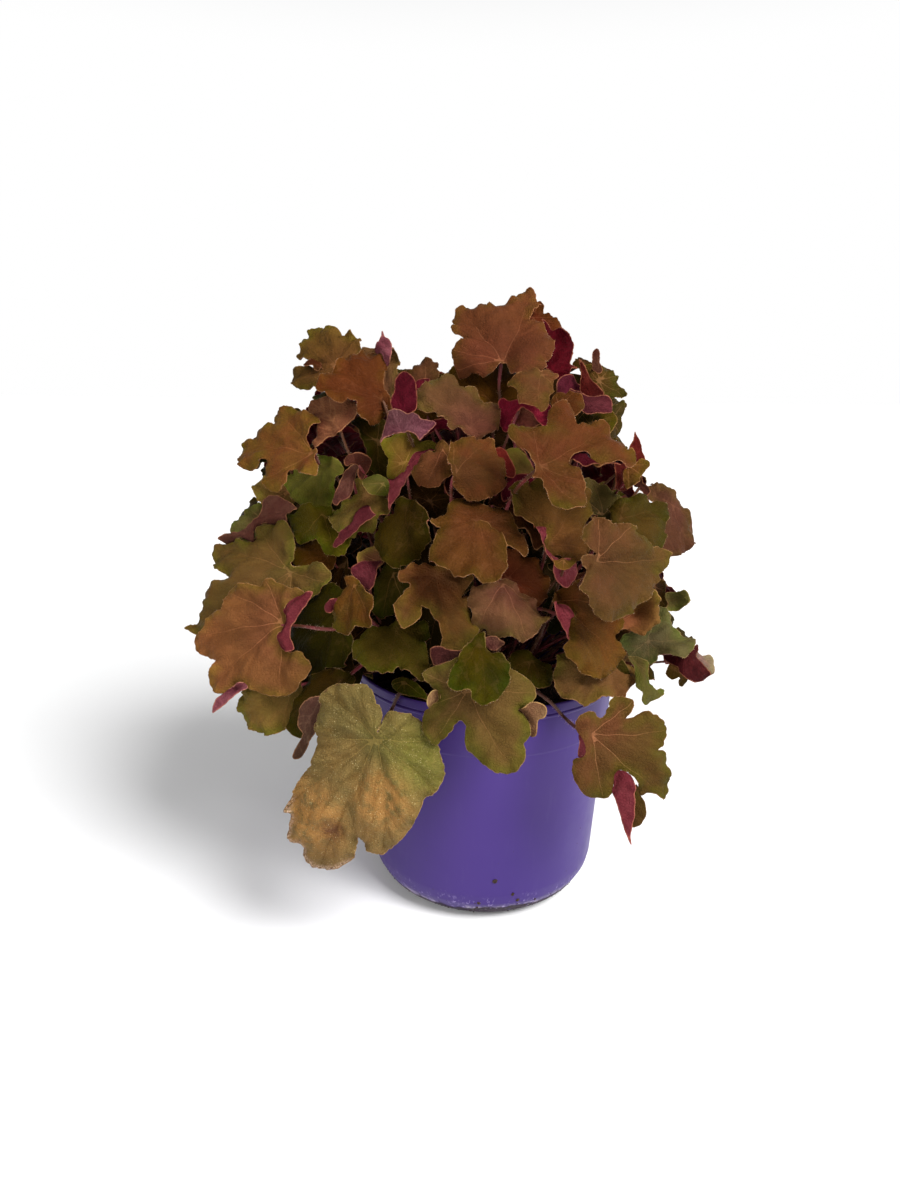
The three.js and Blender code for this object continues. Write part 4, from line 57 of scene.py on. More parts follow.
["B24","leaf_front_06","U","sienna","under","leaf_orange",7,"0 0","-595 -9547 26322","0.9940 0.1094 -0.0033 -0.0813 0.7578 0.6474 0.0733 -0.6432 0.7622 -0.0139 0.9843 -0.1758","-288 -425 291 196","66 92 115 115 113 112 101 91 66 69 69 62 64 72 77 81 65 46 26 12 16 33 53 72 68 32 1 -12 -9 7 34 63 77 41 8 -8 -7 7 31 57 92 67 41 23 20 31 43 54 110 99 88 77 68 64 59 54 130 134 135 130 117 98 76 53","-247 -14 -241 6 -193 33 -160 68 -148 116 -114 151 -71 158 -19 144 23 130 43 95 86 103 128 103 159 82 192 27 218 -40 238 -106 254 -166 256 -204 234 -217 184 -191 144 -171 141 -216 142 -273 128 -317 111 -348 99 -373 63 -384 23 -384 -6 -378 -35 -359 -60 -353 -95 -359 -124 -341 -148 -310 -188 -310 -213 -298 -243 -261 -257 -223 -245 -165 -218 -119 -216 -67 -194 -27","-97 -133 1407 -119 -217 1658 -132 -331 1895 -133 -469 2115 -121 -623 2313 -97 -787 2486 -59 -955 2632",[],1,0.85,[["tilt","-265 -23 -129 -4 4 -11 115 -57 222 -181","22 133",0.85,2.0],["step","15 -11 75 -37 124 -83 145 -167","200 -102",3.2,9]]],
["A15","leaf_big_left","U","apricot","under","leaf_orange",8,"-27 -13","-11823 -7126 19681","0.9647 -0.2410 0.1059 0.0028 0.4116 0.9114 -0.2632 -0.8789 0.3977 -0.2447 0.9241 -0.2935","-626 -460 234 296","152 138 125 114 102 85 70 58 141 111 80 57 52 58 69 81 130 83 34 2 4 32 69 104 120 56 -2 -29 -25 10 67 126 117 48 -10 -33 -27 10 77 148 124 70 17 -8 3 47 109 169 135 104 72 52 63 101 146 190 145 136 127 122 131 152 180 209","-392 153 -376 201 -324 230 -257 241 -168 227 -131 257 -85 268 -50 243 4 224 45 205 90 205 131 186 119 157 62 134 32 99 16 52 19 6 -4 -41 -13 -98 17 -156 89 -168 133 -162 160 -179 168 -202 189 -236 198 -276 182 -316 146 -356 98 -397 42 -420 -22 -421 -94 -411 -168 -383 -203 -360 -268 -379 -333 -410 -394 -412 -451 -378 -468 -336 -457 -294 -439 -264 -434 -235 -422 -217 -457 -211 -515 -188 -559 -158 -577 -117 -595 -74 -561 -56 -522 -26 -504 10 -500 40 -461 75 -400 87 -382 116","-260 -84 1335 -364 -331 1726 -534 -663 1859 -718 -670 2009 -837 -877 1993 -1080 -704 1950 -1208 -715 1954",[["L","pink","-43 -206 231 207","-90 -94 -101 -112 -134 -140 -131 -125 -66 -65 -66 -72 -81 -86 -88 -89 -42 -37 -34 -33 -29 -31 -44 -54 -16 -14 -11 -13 -6 7 -5 -18 16 20 26 20 13 32 32 13 56 59 60 55 48 54 48 32 99 97 94 88 81 72 58 44 142 136 129 121 109 92 73 56","195 179 131 174 80 151 43 122 33 87 8 75 24 29 7 -6 -4 -40 -12 -98 10 -150 63 -167 94 -150 70 -87 67 -35 90 5 125 63 161 109","130 179 62 133 32 98 16 52 19 6 -4 -40 -13 -98 17 -156",1.25],["L","shellpink","-447 -557 -145 -314","-54 -70 -87 -90 -59 -24 -23 -42 -24 -37 -50 -47 -24 -20 -34 -57 5 -4 -14 -6 10 -16 -46 -72 34 23 12 12 16 -22 -54 -79 63 47 32 18 9 -16 -47 -75 90 70 50 31 14 -5 -32 -62 117 93 70 47 25 1 -22 -49 144 116 89 63 36 10 -14 -37","-202 -353 -236 -342 -294 -372 -345 -409 -388 -449 -411 -484 -414 -524 -351 -489 -289 -442 -232 -401 -181 -377","-390 -408 -331 -408 -267 -378 -202 -359",1.2]],1,1.45,[]],
["B9","","U","tangreen","under","leaf_olive_orange",9,"-7 -15","2732 -4417 33708","0.9912 0.1321 0.0074 -0.1056 0.7563 0.6456 0.0797 -0.6407 0.7636 0.0576 0.9983 -0.0033","-222 -332 132 93","46 7 27 76 80 68 50 29 105 56 28 35 46 45 39 32 164 106 29 -5 13 21 28 36 203 159 72 -25 -21 3 19 41 224 187 162 73 -18 -9 19 46 271 250 250 198 44 0 26 41 350 328 301 233 104 34 26 17 444 397 337 257 166 85 27 -19","-136 -17 -166 -33 -192 -66 -190 -98 -170 -122 -151 -153 -151 -201 -143 -224 -108 -249 -78 -273 -42 -290 -14 -283 15 -236 27 -188 48 -156 63 -123 58 -74 78 -49 100 -8 87 17 66 33 33 37 2 16 -17 41 -56 45 -98 25","107 78 1403 218 193 1832 265 230 2174 272 186 2463 260 60 2735 252 -154 3023 268 -456 3361",[],1,1.15,[]],
["B19q","","U","orange","under","leaf_orange",10,"3 -12","3979 -9288 24222","0.9693 0.2432 -0.0368 -0.1814 0.8077 0.5609 0.1662 -0.5370 0.8270 0.0909 0.9712 -0.2204","-91 -117 109 76","0 13 28 42 39 20 13 8 8 12 18 24 26 21 17 13 16 12 7 6 12 19 20 19 22 13 2 -4 -2 7 17 24 28 17 7 -1 -3 3 14 25 32 24 18 13 9 11 18 25 37 33 30 27 24 23 23 25 42 42 41 40 37 33 29 25","-58 36 -39 0 -2 14 28 0 67 22 78 0 47 -36 0 -71 -32 -64 -55 -22","69 -160 1312 150 -315 1472 221 -456 1638 282 -587 1814 333 -709 2000 409 -407 2086 403 -938 2415",[],1,1.1,[]],
["B29","leaf_front_08","U","pinktan2","under","leaf_olive_orange",11,"-3 -11","944 -7242 22489","0.9200 0.3813 -0.0905 -0.2526 0.7536 0.6068 0.2996 -0.5354 0.7897 0.0205 0.9687 -0.2474","-298 -446 235 68","1295 737 165 -73 44 120 171 210 1009 664 313 33 12 76 120 158 724 585 421 89 -16 36 70 106 442 369 255 13 -38 2 28 60 182 81 2 -41 -21 -7 7 26 0 -3 23 15 -3 -4 -1 0 -109 -26 49 58 30 13 -4 -22 -185 -54 45 84 74 40 -1 -43","-114 -16 -152 -24 -191 -38 -225 -81 -250 -136 -251 -190 -262 -252 -266 -324 -246 -355 -209 -349 -189 -363 -150 -377 -130 -390 -85 -401 -36 -397 15 -399 60 -385 108 -346 146 -299 200 -266 179 -231 163 -182 155 -147 134 -91 97 -49 54 -6 14 29 -48 28","-59 -162 1382 -21 -249 1560 0 -337 1706 14 -426 1835 28 -521 1958 52 -623 2089 95 -734 2243",[],1,1.35,[["tilt","-117 5 -128 -121 -120 -247 -137 -372","-236 -164",0.6,1.6],["valley","1 -22 -5 -175 4 -385","121 -132",0.25,2.0]]],
["B36a","","L","bronze_up","mauvepink","leaf_red",12,"-9 -20","-2108 -10459 19447","0.9997 0.0128 0.0219 -0.0237 0.1577 0.9872 0.0092 -0.9874 0.1579 -0.0481 0.9431 -0.3291","-112 -113 112 48","12 19 23 18 10 3 -15 -38 1 7 11 10 2 -6 -18 -33 -10 -5 0 3 -5 -15 -21 -29 -19 -15 -8 0 0 -12 -19 -22 -25 -17 -9 2 8 3 -4 -8 -28 -16 -4 7 17 20 17 14 -28 -12 4 18 30 37 40 41 -28 -8 11 28 42 53 62 69","-80 11 -48 22 -16 16 11 5 48 0 80 -5 69 -43 37 -60 5 -65 -27 -76 -65 -81 -81 -49 -86 -16","-94 -170 1367 -110 -273 1512 -130 -418 1622 -152 -586 1707 -175 -759 1779 -198 -919 1848 -219 -1049 1925",[],1,0.9,[]],
["B37","leaf_front_03","U","oliveorange2","under","leaf_olive_orange",13,"154 -106","3923 -7449 21511","0.7627 0.6219 -0.1777 -0.0733 0.3561 0.9316 0.6426 -0.6975 0.3171 0.0849 0.9598 -0.2675","-75 -475 639 170","-369 -354 -269 48 652 748 186 -237 -291 -289 -261 -130 148 192 -14 -203 -213 -223 -253 -306 -269 -253 -207 -169 -161 -201 -250 -293 -304 -276 -213 -152 -140 -201 -260 -287 -286 -260 -211 -158 -139 -196 -248 -281 -286 -263 -223 -179 -149 -193 -232 -260 -267 -253 -231 -206 -161 -190 -216 -235 -244 -244 -240 -234","-32 -1 -21 33 28 56 92 80 175 116 275 137 399 124 521 57 584 -18 567 -94 507 -158 486 -199 508 -240 522 -281 527 -327 506 -368 461 -384 417 -394 390 -416 329 -437 263 -434 208 -409 177 -391 130 -384 94 -350 74 -311 54 -272 49 -234 76 -190 96 -147 116 -97 104 -53 60 -21 7 -11","54 -139 1372 145 -326 1636 195 -452 1843 244 -562 2002 311 -661 2072 506 -823 2063",[["L","pink","-74 -255 173 16","-55 -47 -35 -19 -6 -17 7 56 -113 -108 -101 -90 -73 -50 -32 -9 -171 -169 -167 -160 -139 -86 -72 -74 -230 -230 -231 -227 -209 -154 -139 -147 -294 -294 -293 -280 -263 -244 -235 -231 -361 -359 -355 -338 -319 -320 -322 -319 -428 -423 -417 -406 -395 -397 -402 -405 -495 -487 -480 -475 -473 -476 -482 -490","-40 -12 -9 -11 37 -16 82 -31 111 -58 123 -91 104 -130 85 -174 58 -218 38 -185 19 -137 -7 -88 -27 -50","7 -11 60 -21 103 -53 115 -97 95 -146 76 -190",3.2]],1,0.95,[["valley","20 -7 159 -97 265 -198","265 -24",0.4,2.0],["tilt","235 -164 326 -249 366 -345","474 -249",0.5,1.8]]],
["B40c","","U","lgreen3","under","leaf_green",14,"9 -13","8804 -5450 17364","0.7802 0.5898 -0.2081 -0.0959 0.4416 0.8921 0.6181 -0.6761 0.4011 0.1762 0.9273 -0.3303","-88 -295 308 52","-295 -286 -218 -23 156 71 -51 -108 -253 -254 -235 -145 37 77 -15 -92 -211 -222 -252 -267 -78 60 0 -76 -188 -212 -243 -283 -233 -120 -85 -90 -181 -214 -241 -258 -270 -247 -200 -154 -175 -206 -232 -246 -259 -271 -266 -243 -166 -191 -213 -234 -260 -291 -317 -335 -154 -174 -196 -224 -263 -312 -367 -424","-50 17 21 24 80 7 136 -22 125 -86 118 -127 131 -157 172 -174 219 -163 263 -175 231 -199 182 -222 126 -238 78 -261 36 -254 24 -225 39 -185 10 -151 7 -117 -3 -71 -30 -24","157 -70 1308 182 -102 1431 243 -121 1514 341 -151 1571 480 -217 1615 661 -343 1662 887 -553 1725",[],1,0.9,[]],
["B12b","","U","russet","under","leaf_orange",15,"0 0","3811 -5081 31858","0.9569 0.2904 -0.0007 -0.2239 0.7394 0.6350 0.1849 -0.6075 0.7725 0.0813 0.9958 -0.0428","-76 -113 195 199","-103 12 72 38 5 6 12 16 -112 -33 28 41 26 15 9 2 -121 -78 -17 38 44 24 5 -11 -111 -107 -88 -25 27 25 -3 -25 -85 -95 -112 -106 -63 -29 -31 -42 -55 -71 -90 -108 -110 -92 -77 -71 -25 -43 -61 -78 -91 -102 -108 -111 4 -13 -31 -50 -74 -104 -132 -156","-40 49 -26 81 15 123 45 123 80 139 102 155 131 130 157 97 156 32 130 -16 92 -48 64 -63 16 -48 -34 -16","90 11 1423 175 -15 1710 232 -78 2001 272 -167 2295 303 -274 2590 336 -392 2887 381 -510 3186",[],1,0.75,[]],
["B19r","","L","bronze_up","pink","leaf_red",16,"1 -7","4203 -7561 23662","0.9596 0.2772 -0.0477 -0.0371 0.2928 0.9555 0.2788 -0.9151 0.2912 0.0922 0.9702 -0.2239","-98 -178 113 54","277 172 59 -32 -39 -19 -6 29 236 172 103 27 -29 -34 -20 1 195 172 146 85 -16 -47 -33 -26 160 166 175 150 40 -40 -44 -61 142 166 198 226 156 14 -50 -101 148 189 238 306 289 112 -24 -123 175 241 309 373 366 221 53 -103 213 305 385 431 413 310 141 -55","-64 -11 -35 16 12 28 53 17 78 -17 72 -68 46 -113 15 -140 -26 -123 -54 -78","86 -119 1369 143 -238 1637 221 -340 1858 304 -433 2035 375 -526 2174 420 -629 2280 423 -749 2357",[],1,1.75,[]],
["B39","","U","brownorange2","under","leaf_orange",17,"0 0","8135 -4981 19685","0.8207 0.5522 -0.1469 0.1723 0.0061 0.9850 0.5448 -0.8337 -0.0901 0.1641 0.9441 -0.2860","-84 -130 336 225","-153 -146 -127 -111 -51 216 419 464 -190 -151 -110 -51 74 204 229 179 -227 -155 -90 11 198 192 38 -107 -266 -176 -75 92 258 39 -197 -318 -300 -265 -219 -133 -136 -304 -362 -386 -329 -334 -349 -363 -374 -352 -341 -362 -359 -347 -334 -328 -313 -292 -294 -311 -391 -352 -313 -277 -250 -238 -243 -253","82 102 122 144 150 172 183 190 230 148 255 124 270 80 280 31 278 -13 256 -45 234 -76 192 -95 142 -89 79 -70 27 -57 -34 -44 -52 13 12 64","121 -91 1359 199 -162 1506 296 -233 1635 408 -302 1745 534 -370 1837 670 -435 1911 814 -496 1968",[],1,1.1,[]],
["B2","","L","bronze_up","rosepink","leaf_red",18,"19 37","-4716 -7364 30508","0.9964 -0.0828 0.0175 0.0273 0.5106 0.8594 -0.0801 -0.8558 0.5110 -0.1053 0.9916 -0.0750","-143 -98 219 170","87 92 103 98 85 80 69 55 81 74 66 54 46 47 49 49 75 54 30 11 7 15 29 43 68 38 8 -8 -11 -4 16 39 62 35 10 -5 -6 4 21 41 58 45 34 24 24 32 40 49 57 61 64 68 71 69 66 62 58 78 96 109 113 107 93 78","-101 35 -94 83 -81 124 -49 142 -10 136 24 118 50 130 79 112 103 82 136 77 164 71 186 59 150 24 110 -23 101 -41 83 -17 43 6 -6 6 -54 -6 -91 -30 -110 -65 -109 -12","-101 -65 1444 -207 -150 1807 -265 -299 2125 -298 -471 2404 -347 -315 2602 -432 37 2789 -451 -722 3083",[],1,0.95,[]],
["R1","","U","orange","under","leaf_orange",19,"32 -26","7793 -4788 28702","0.9225 -0.3812 0.0599 0.2635 0.7358 0.6238 -0.2819 -0.5597 0.7793 0.1626 0.9808 -0.1078","-50 -220 160 98","77 61 48 37 26 13 -2 -16 68 50 33 20 12 7 3 -1 59 38 18 3 -1 2 8 14 49 27 6 -7 -8 -1 14 28 35 19 2 -8 -7 3 22 41 19 12 5 0 3 16 34 53 2 4 7 12 20 34 50 66 -16 -3 10 24 38 52 65 78","-20 -16 17 0 45 32 52 56 84 63 111 39 122 7 111 -24 93 -48 82 -79 89 -117 73 -148 47 -156 27 -172 3 -134 -15 -71","126 -64 1375 267 -128 1715 363 -195 1967 439 -266 2169 520 -341 2360 693 37 2497 801 -513 2856",[],1,1.2,[]],
["B19","leaf_front_05","U","clay","under","leaf_bronze",20,"0 0","3442 -7587 24774","0.8144 0.5742 -0.0835 -0.2906 0.5282 0.7978 0.5022 -0.6255 0.5971 0.0761 0.9767 -0.2009","-210 -157 462 468","263 93 18 -7 -13 40 76 110 500 226 16 -64 -49 -7 35 76 738 359 14 -121 -81 -51 -4 43 910 494 53 -135 -96 -82 -38 11 911 502 25 -122 -97 -95 -57 -16 685 290 -51 -93 -84 -91 -66 -40 355 122 -37 -67 -70 -75 -69 -62 9 -19 -33 -43 -52 -61 -72 -84","-142 352 -96 385 -54 385 -18 366 53 406 143 435 271 438 370 401 415 322 398 242 373 184 324 139 283 76 273 13 275 -44 254 -88 188 -113 98 -110 29 -94 -11 -68 -37 -24 -35 19 2 79 -19 116 -63 110 -109 135 -146 184 -170 233 -173 283","48 -94 1413 148 -179 1605 219 -240 1803 269 -304 1998 303 -394 2181 326 -536 2343 345 -754 2476",[["L","pink","-112 -169 71 144","345 254 152 91 57 -5 -56 -106 261 211 151 78 14 -36 -86 -135 176 167 150 65 -29 -67 -114 -164 101 117 148 69 -69 -94 -141 -193 53 73 111 53 -92 -131 -171 -222 31 35 36 -13 -113 -174 -214 -259 18 -4 -34 -82 -146 -206 -255 -300 5 -46 -97 -145 -190 -239 -292 -343","-56 110 -19 115 6 91 -14 55 -42 19 -51 -23 -39 -66 -4 -104 26 -135 -13 -128 -51 -97 -69 -53 -69 20 -74 80","-63 110 -19 115 2 78 -35 19 -37 -24 -11 -67",1.65]],1,1.15,[["valley","-109 406 -54 248 -27 129 -18 -17","268 142",0.42,2.0]]],
["B17","leaf_front_12","U","brownolive","under","leaf_bronze",21,"7 1","-1784 -7863 28537","0.8330 0.5509 -0.0511 -0.2919 0.5161 0.8053 0.4700 -0.6559 0.5907 -0.0403 0.9919 -0.1204","-66 -207 368 264","441 520 398 -19 -74 19 90 140 275 352 331 35 -60 8 60 102 110 189 285 38 -61 0 29 64 26 77 139 -16 -66 -24 1 35 34 50 43 -50 -62 -33 -10 19 92 94 83 17 -51 -36 -10 6 173 161 142 87 -6 -26 -18 -17 262 230 191 133 58 2 -29 -50","29 198 65 211 120 225 190 220 258 228 303 222 315 177 320 132 324 81 328 31 326 -20 303 -71 263 -108 209 -131 154 -161 100 -170 52 -161 10 -155 -14 -131 -22 -93 -23 -55 -24 -18 -29 6 -13 79","-115 -88 1432 -130 -161 1654 -157 -294 1949 -186 -454 2266 -205 -609 2556 -205 -725 2768 -173 -769 2853",[],1,1.1,[["tilt","322 182 247 107 223 -31 244 -131","365 51",0.45,1.8],["valley","1 25 126 113 224 219","265 144",0.25,2.0]]],
["B27","leaf_front_07","U","brownorange","under","leaf_orange",22,"0 0","-2785 -7678 22978","0.8308 0.5403 -0.1339 -0.2970 0.6337 0.7143 0.4707 -0.5536 0.6869 -0.0612 0.9690 -0.2392","-365 -535 268 115","418 112 -27 81 131 150 169 191 484 233 42 15 65 96 127 160 551 352 110 -36 9 43 86 129 557 424 205 -37 -20 4 49 97 487 309 116 -46 -22 -8 25 64 407 264 150 20 -18 -4 16 33 348 272 203 102 31 14 8 -2 302 275 235 173 102 43 -2 -42","-221 21 -180 35 -142 62 -92 57 -35 78 7 46 70 61 133 49 171 24 221 11 231 -22 198 -62 156 -108 124 -147 168 -134 151 -186 144 -250 141 -328 147 -374 116 -411 82 -435 40 -466 7 -492 -33 -500 -75 -494 -97 -462 -78 -416 -72 -375 -85 -335 -83 -284 -95 -241 -111 -210 -138 -198 -164 -222 -174 -259 -202 -295 -243 -313 -276 -324 -310 -318 -327 -294 -332 -247 -322 -204 -296 -174 -265 -149 -233 -118 -200 -87 -212 -62 -234 -30","-133 -162 1366 -146 -267 1501 -160 -345 1623 -177 -414 1749 -200 -494 1893 -233 -605 2071 -279 -767 2298",[],1,1.15,[["valley","9 20 -6 -159 -40 -427","161 -172",0.3,2.0],["valley","-5 -6 -159 -146 -317 -299","-261 -108",0.22,2.0]]],
["B28c","leaf_front_17","U","orangebrown","under","leaf_orange",23,"0 0","-7369 -8730 22520","0.8000 -0.5708 0.1848 0.0874 0.4156 0.9053 -0.5935 -0.7082 0.3824 -0.1633 0.9540 -0.2514","-167 -315 231 73","76 51 30 11 3 9 21 41 73 43 15 -5 -9 3 26 53 70 35 0 -20 -21 -3 31 65 65 27 -10 -29 -27 -6 34 72 56 21 -12 -30 -25 1 37 74 44 19 -5 -22 -13 12 40 70 30 18 6 -3 5 22 42 63 16 16 16 18 24 33 44 56","-55 41 -9 45 27 22 79 -7 115 -35 151 -68 173 -106 181 -155 174 -192 172 -225 129 -236 83 -231 56 -253 14 -276 -25 -277 -68 -262 -105 -234 -122 -189 -131 -144 -113 -111 -96 -77 -81 -32 -56 1","-163 -127 1391 -288 -312 1597 -415 -426 1729 -534 -502 1825 -633 -578 1920 -705 -690 2050 -737 -873 2252",[["L","pink","-216 -193 -45 -50","-211 -226 -240 -249 -258 -268 -277 -287 -171 -181 -189 -197 -208 -220 -231 -242 -130 -135 -139 -144 -157 -172 -185 -198 -91 -89 -87 -90 -105 -123 -139 -154 -55 -52 -50 -52 -62 -78 -95 -112 -25 -30 -37 -42 -45 -51 -60 -72 0 -14 -27 -36 -40 -40 -37 -36 23 2 -16 -29 -33 -29 -17 -2","-94 -82 -141 -87 -175 -115 -167 -154 -127 -160 -110 -127","-95 -77 -113 -110 -130 -143",0.9]],1,1.25,[]],
["B40b","leaf_right_05","U","greygreen2","under","leaf_green",24,"0 0","9757 -4365 18275","0.9799 0.1953 -0.0405 -0.1425 0.8275 0.5431 0.1396 -0.5264 0.8387 0.1918 0.9323 -0.3065","-202 -233 353 304","674 411 146 -133 -232 -350 -506 -668 563 374 190 -16 -167 -294 -417 -537 452 338 225 57 -110 -237 -328 -407 331 286 182 20 -86 -191 -239 -279 163 3 -180 -188 -130 -166 -162 -168 -24 -132 -184 -174 -181 -169 -125 -93 -178 -154 -103 -90 -125 -123 -91 -52 -302 -171 -71 -34 -44 -55 -47 -25","157 269 188 220 201 196 195 156 192 101 196 69 221 46 261 31 313 31 289 -23 271 -61 228 -98 190 -120 147 -120 112 -113 78 -107 59 -84 39 -115 16 -154 -10 -178 -39 -192 -73 -154 -111 -131 -155 -131 -164 -92 -174 -38 -156 31 -85 62 -17 77 59 124 114 187","139 -94 1321 338 -142 1386 468 -167 1454 563 -190 1530 657 -229 1616 783 -306 1714 975 -438 1828",[],1,0.95,[]],
["B1","","L","bronze_up","magenta","leaf_red",25,"-2 24","-4727 -6160 31491","0.9961 -0.0872 0.0130 0.0364 0.5418 0.8397 -0.0803 -0.8360 0.5429 -0.1029 0.9933 -0.0517","-112 -41 103 292","32 43 40 19 1 -11 -12 -4 17 26 29 12 -15 -19 -7 10 1 9 18 7 -33 -27 -1 25 -8 -3 8 1 -41 -33 2 35 -8 -4 4 -6 -44 -31 4 37 0 2 6 -11 -37 -21 6 32 13 12 9 -8 -22 -12 4 21 27 20 10 1 -4 -3 2 9","-70 31 -79 74 -69 149 -68 192 -54 230 -28 256 6 256 30 230 50 192 60 136 66 74 65 19 34 -6 -11 -6 -56 6","-38 102 1447 -24 149 1832 -83 55 2198 -186 -123 2529 -312 -217 2797 -427 -323 3015 -474 -601 3169",[],1,0.75,[]],
["B12","","L","bronze_up","pink","leaf_red",26,"10 -1","4843 -3880 32257","0.9361 0.3518 -0.0035 -0.1768 0.4788 0.8600 0.3042 -0.8043 0.5104 0.1005 0.9944 -0.0334","-64 -129 256 105","-108 -60 0 86 178 204 220 246 -81 -54 -22 24 89 138 166 196 -54 -47 -44 -38 5 66 109 145 -32 -43 -57 -62 -42 -3 46 92 -13 -36 -55 -61 -54 -36 -1 37 7 -14 -34 -46 -46 -40 -29 -14 29 15 1 -11 -18 -30 -46 -60 52 45 37 26 7 -22 -61 -102","-29 76 5 57 44 31 86 25 151 32 187 26 209 7 212 -37 204 -75 163 -87 101 -87 40 -81 2 -50 -31 0","104 43 1413 195 42 1907 255 -36 2258 299 -155 2516 343 -278 2730 402 -368 2950 493 -389 3225",[],1,0.55,[]],
["B17r","","L","bronze_up","red","leaf_red",27,"-9 46","1049 -5045 28183","0.9877 0.1561 -0.0028 -0.0687 0.4506 0.8901 0.1402 -0.8790 0.4558 0.0223 0.9924 -0.1207","-122 -64 86 184","-238 -262 -271 -254 -222 -192 -139 -55 -173 -190 -201 -195 -172 -137 -88 -23 -109 -118 -130 -137 -121 -82 -36 9 -51 -48 -55 -68 -61 -23 9 24 -5 8 16 6 -8 -7 3 5 37 37 41 21 -29 -54 -51 -46 80 52 22 -20 -70 -100 -110 -114 123 61 -1 -59 -107 -143 -168 -188","-95 142 -38 156 -4 138 17 96 37 48 46 6 28 -24 -18 -12 -43 47 -74 107","-42 -81 1440 -36 -171 1864 -32 -268 2160 -23 -361 2369 -4 -438 2528 32 -486 2679 92 -495 2860",[],1,1.4,[]],
["B22","leaf_right_03","U","lgreen2","under","leaf_green",28,"0 0","7530 -5211 25752","0.8651 0.4962 -0.0733 -0.2875 0.6103 0.7381 0.4110 -0.6175 0.6706 0.1573 0.9729 -0.1695","-112 -265 470 207","-219 -196 -135 113 732 911 686 461 -126 -110 -77 30 307 456 404 327 -33 -24 -21 -51 -30 52 123 193 43 22 -8 -31 -48 -46 3 84 95 47 -2 -28 -32 -23 -7 20 129 79 34 -1 -22 -19 -13 -14 157 113 72 38 15 3 -13 -35 182 147 113 82 53 23 -13 -53","-5 110 36 138 119 159 215 175 254 161 272 133 334 134 386 113 423 93 395 50 346 -7 306 -76 273 -130 231 -190 164 -222 105 -208 70 -154 22 -100 -41 -47 -70 7 -70 62","97 -87 1387 237 -175 1687 353 -238 1912 453 -288 2087 548 -341 2238 645 -411 2391 755 -512 2573",[],1,0.8,[["tilt","455 106 258 16 113 -60 -22 -129","163 -197",0.55,1.8]]],
["A20","","L","bronze_up","mauvebrown","leaf_bronze",29,"-5 -7","-9000 -10433 16246","0.9553 -0.2574 0.1453 -0.1254 0.0924 0.9878 -0.2677 -0.9619 0.0560 -0.1963 0.9021 -0.3844","-246 -368 70 62","-21 -5 21 21 -10 -39 -55 -67 3 7 9 -10 -27 -34 -34 -31 27 17 -1 -40 -43 -29 -12 5 44 25 -9 -55 -48 -21 8 38 44 17 -17 -50 -46 -15 25 65 26 0 -25 -43 -41 -14 34 83 -2 -19 -32 -38 -31 -6 41 90 -33 -37 -38 -33 -19 8 47 92","30 34 -7 34 -51 29 -99 1 -136 -39 -151 -91 -147 -144 -126 -173 -144 -202 -176 -244 -212 -304 -210 -328 -178 -328 -140 -291 -98 -231 -67 -190 -21 -132 24 -46","-224 -130 1329 -405 -248 1533 -534 -408 1662 -746 -605 1689 -808 -812 1604 -824 -969 1559 -904 -1044 1617",[],1,1.3,[]],
["B25","leaf_front_11","U","dolive","under","leaf_olive",30,"0 0","-4811 -5651 26357","0.8225 -0.5551 0.1240 0.1960 0.4813 0.8544 -0.5339 -0.6784 0.5047 -0.1024 0.9818 -0.1598","-213 -404 294 91","-46 -5 30 34 9 8 20 43 -56 -5 22 11 -5 1 24 56 -65 -4 15 -13 -19 -7 27 69 -50 -1 12 -37 -30 -8 31 72 59 72 138 -12 -40 20 41 51 369 377 436 82 -51 35 22 -9 865 785 644 182 -61 -62 -79 -113 1428 1119 744 319 3 -155 -216 -248","-61 51 -10 56 71 35 153 -22 194 -88 219 -148 241 -210 245 -278 203 -313 155 -328 128 -361 73 -371 12 -364 -43 -335 -90 -306 -137 -257 -145 -208 -172 -152 -161 -115 -117 -84 -90 -48 -86 8","-172 -83 1417 -227 -153 1613 -278 -236 1836 -327 -326 2069 -376 -415 2291 -427 -497 2487 -481 -564 2636",[],1,0.9,[]],
["B28","","L","bronze_up","pink","leaf_red",31,"-23 30","-6316 -7632 22316","0.9857 -0.1577 0.0596 -0.0106 0.2945 0.9556 -0.1682 -0.9425 0.2886 -0.1371 0.9583 -0.2507","-170 -77 86 162","57 52 52 58 49 -72 -181 -190 54 38 26 17 3 -33 -28 30 50 24 0 -23 -30 12 125 251 44 13 -19 -42 10 181 328 418 30 7 -22 -18 120 327 425 462 4 -2 -5 43 181 286 332 387 -24 1 35 95 169 202 221 262 -50 15 77 124 140 132 125 128","-102 113 -56 127 4 128 52 127 28 92 11 34 -5 -28 -23 -45 -52 -28 -94 11 -130 50 -136 79","-213 -145 1304 -277 -246 1408 -376 -391 1563 -487 -547 1747 -603 -559 1899 -669 -634 2080 -656 -741 2256",[],1,0.6,[]],
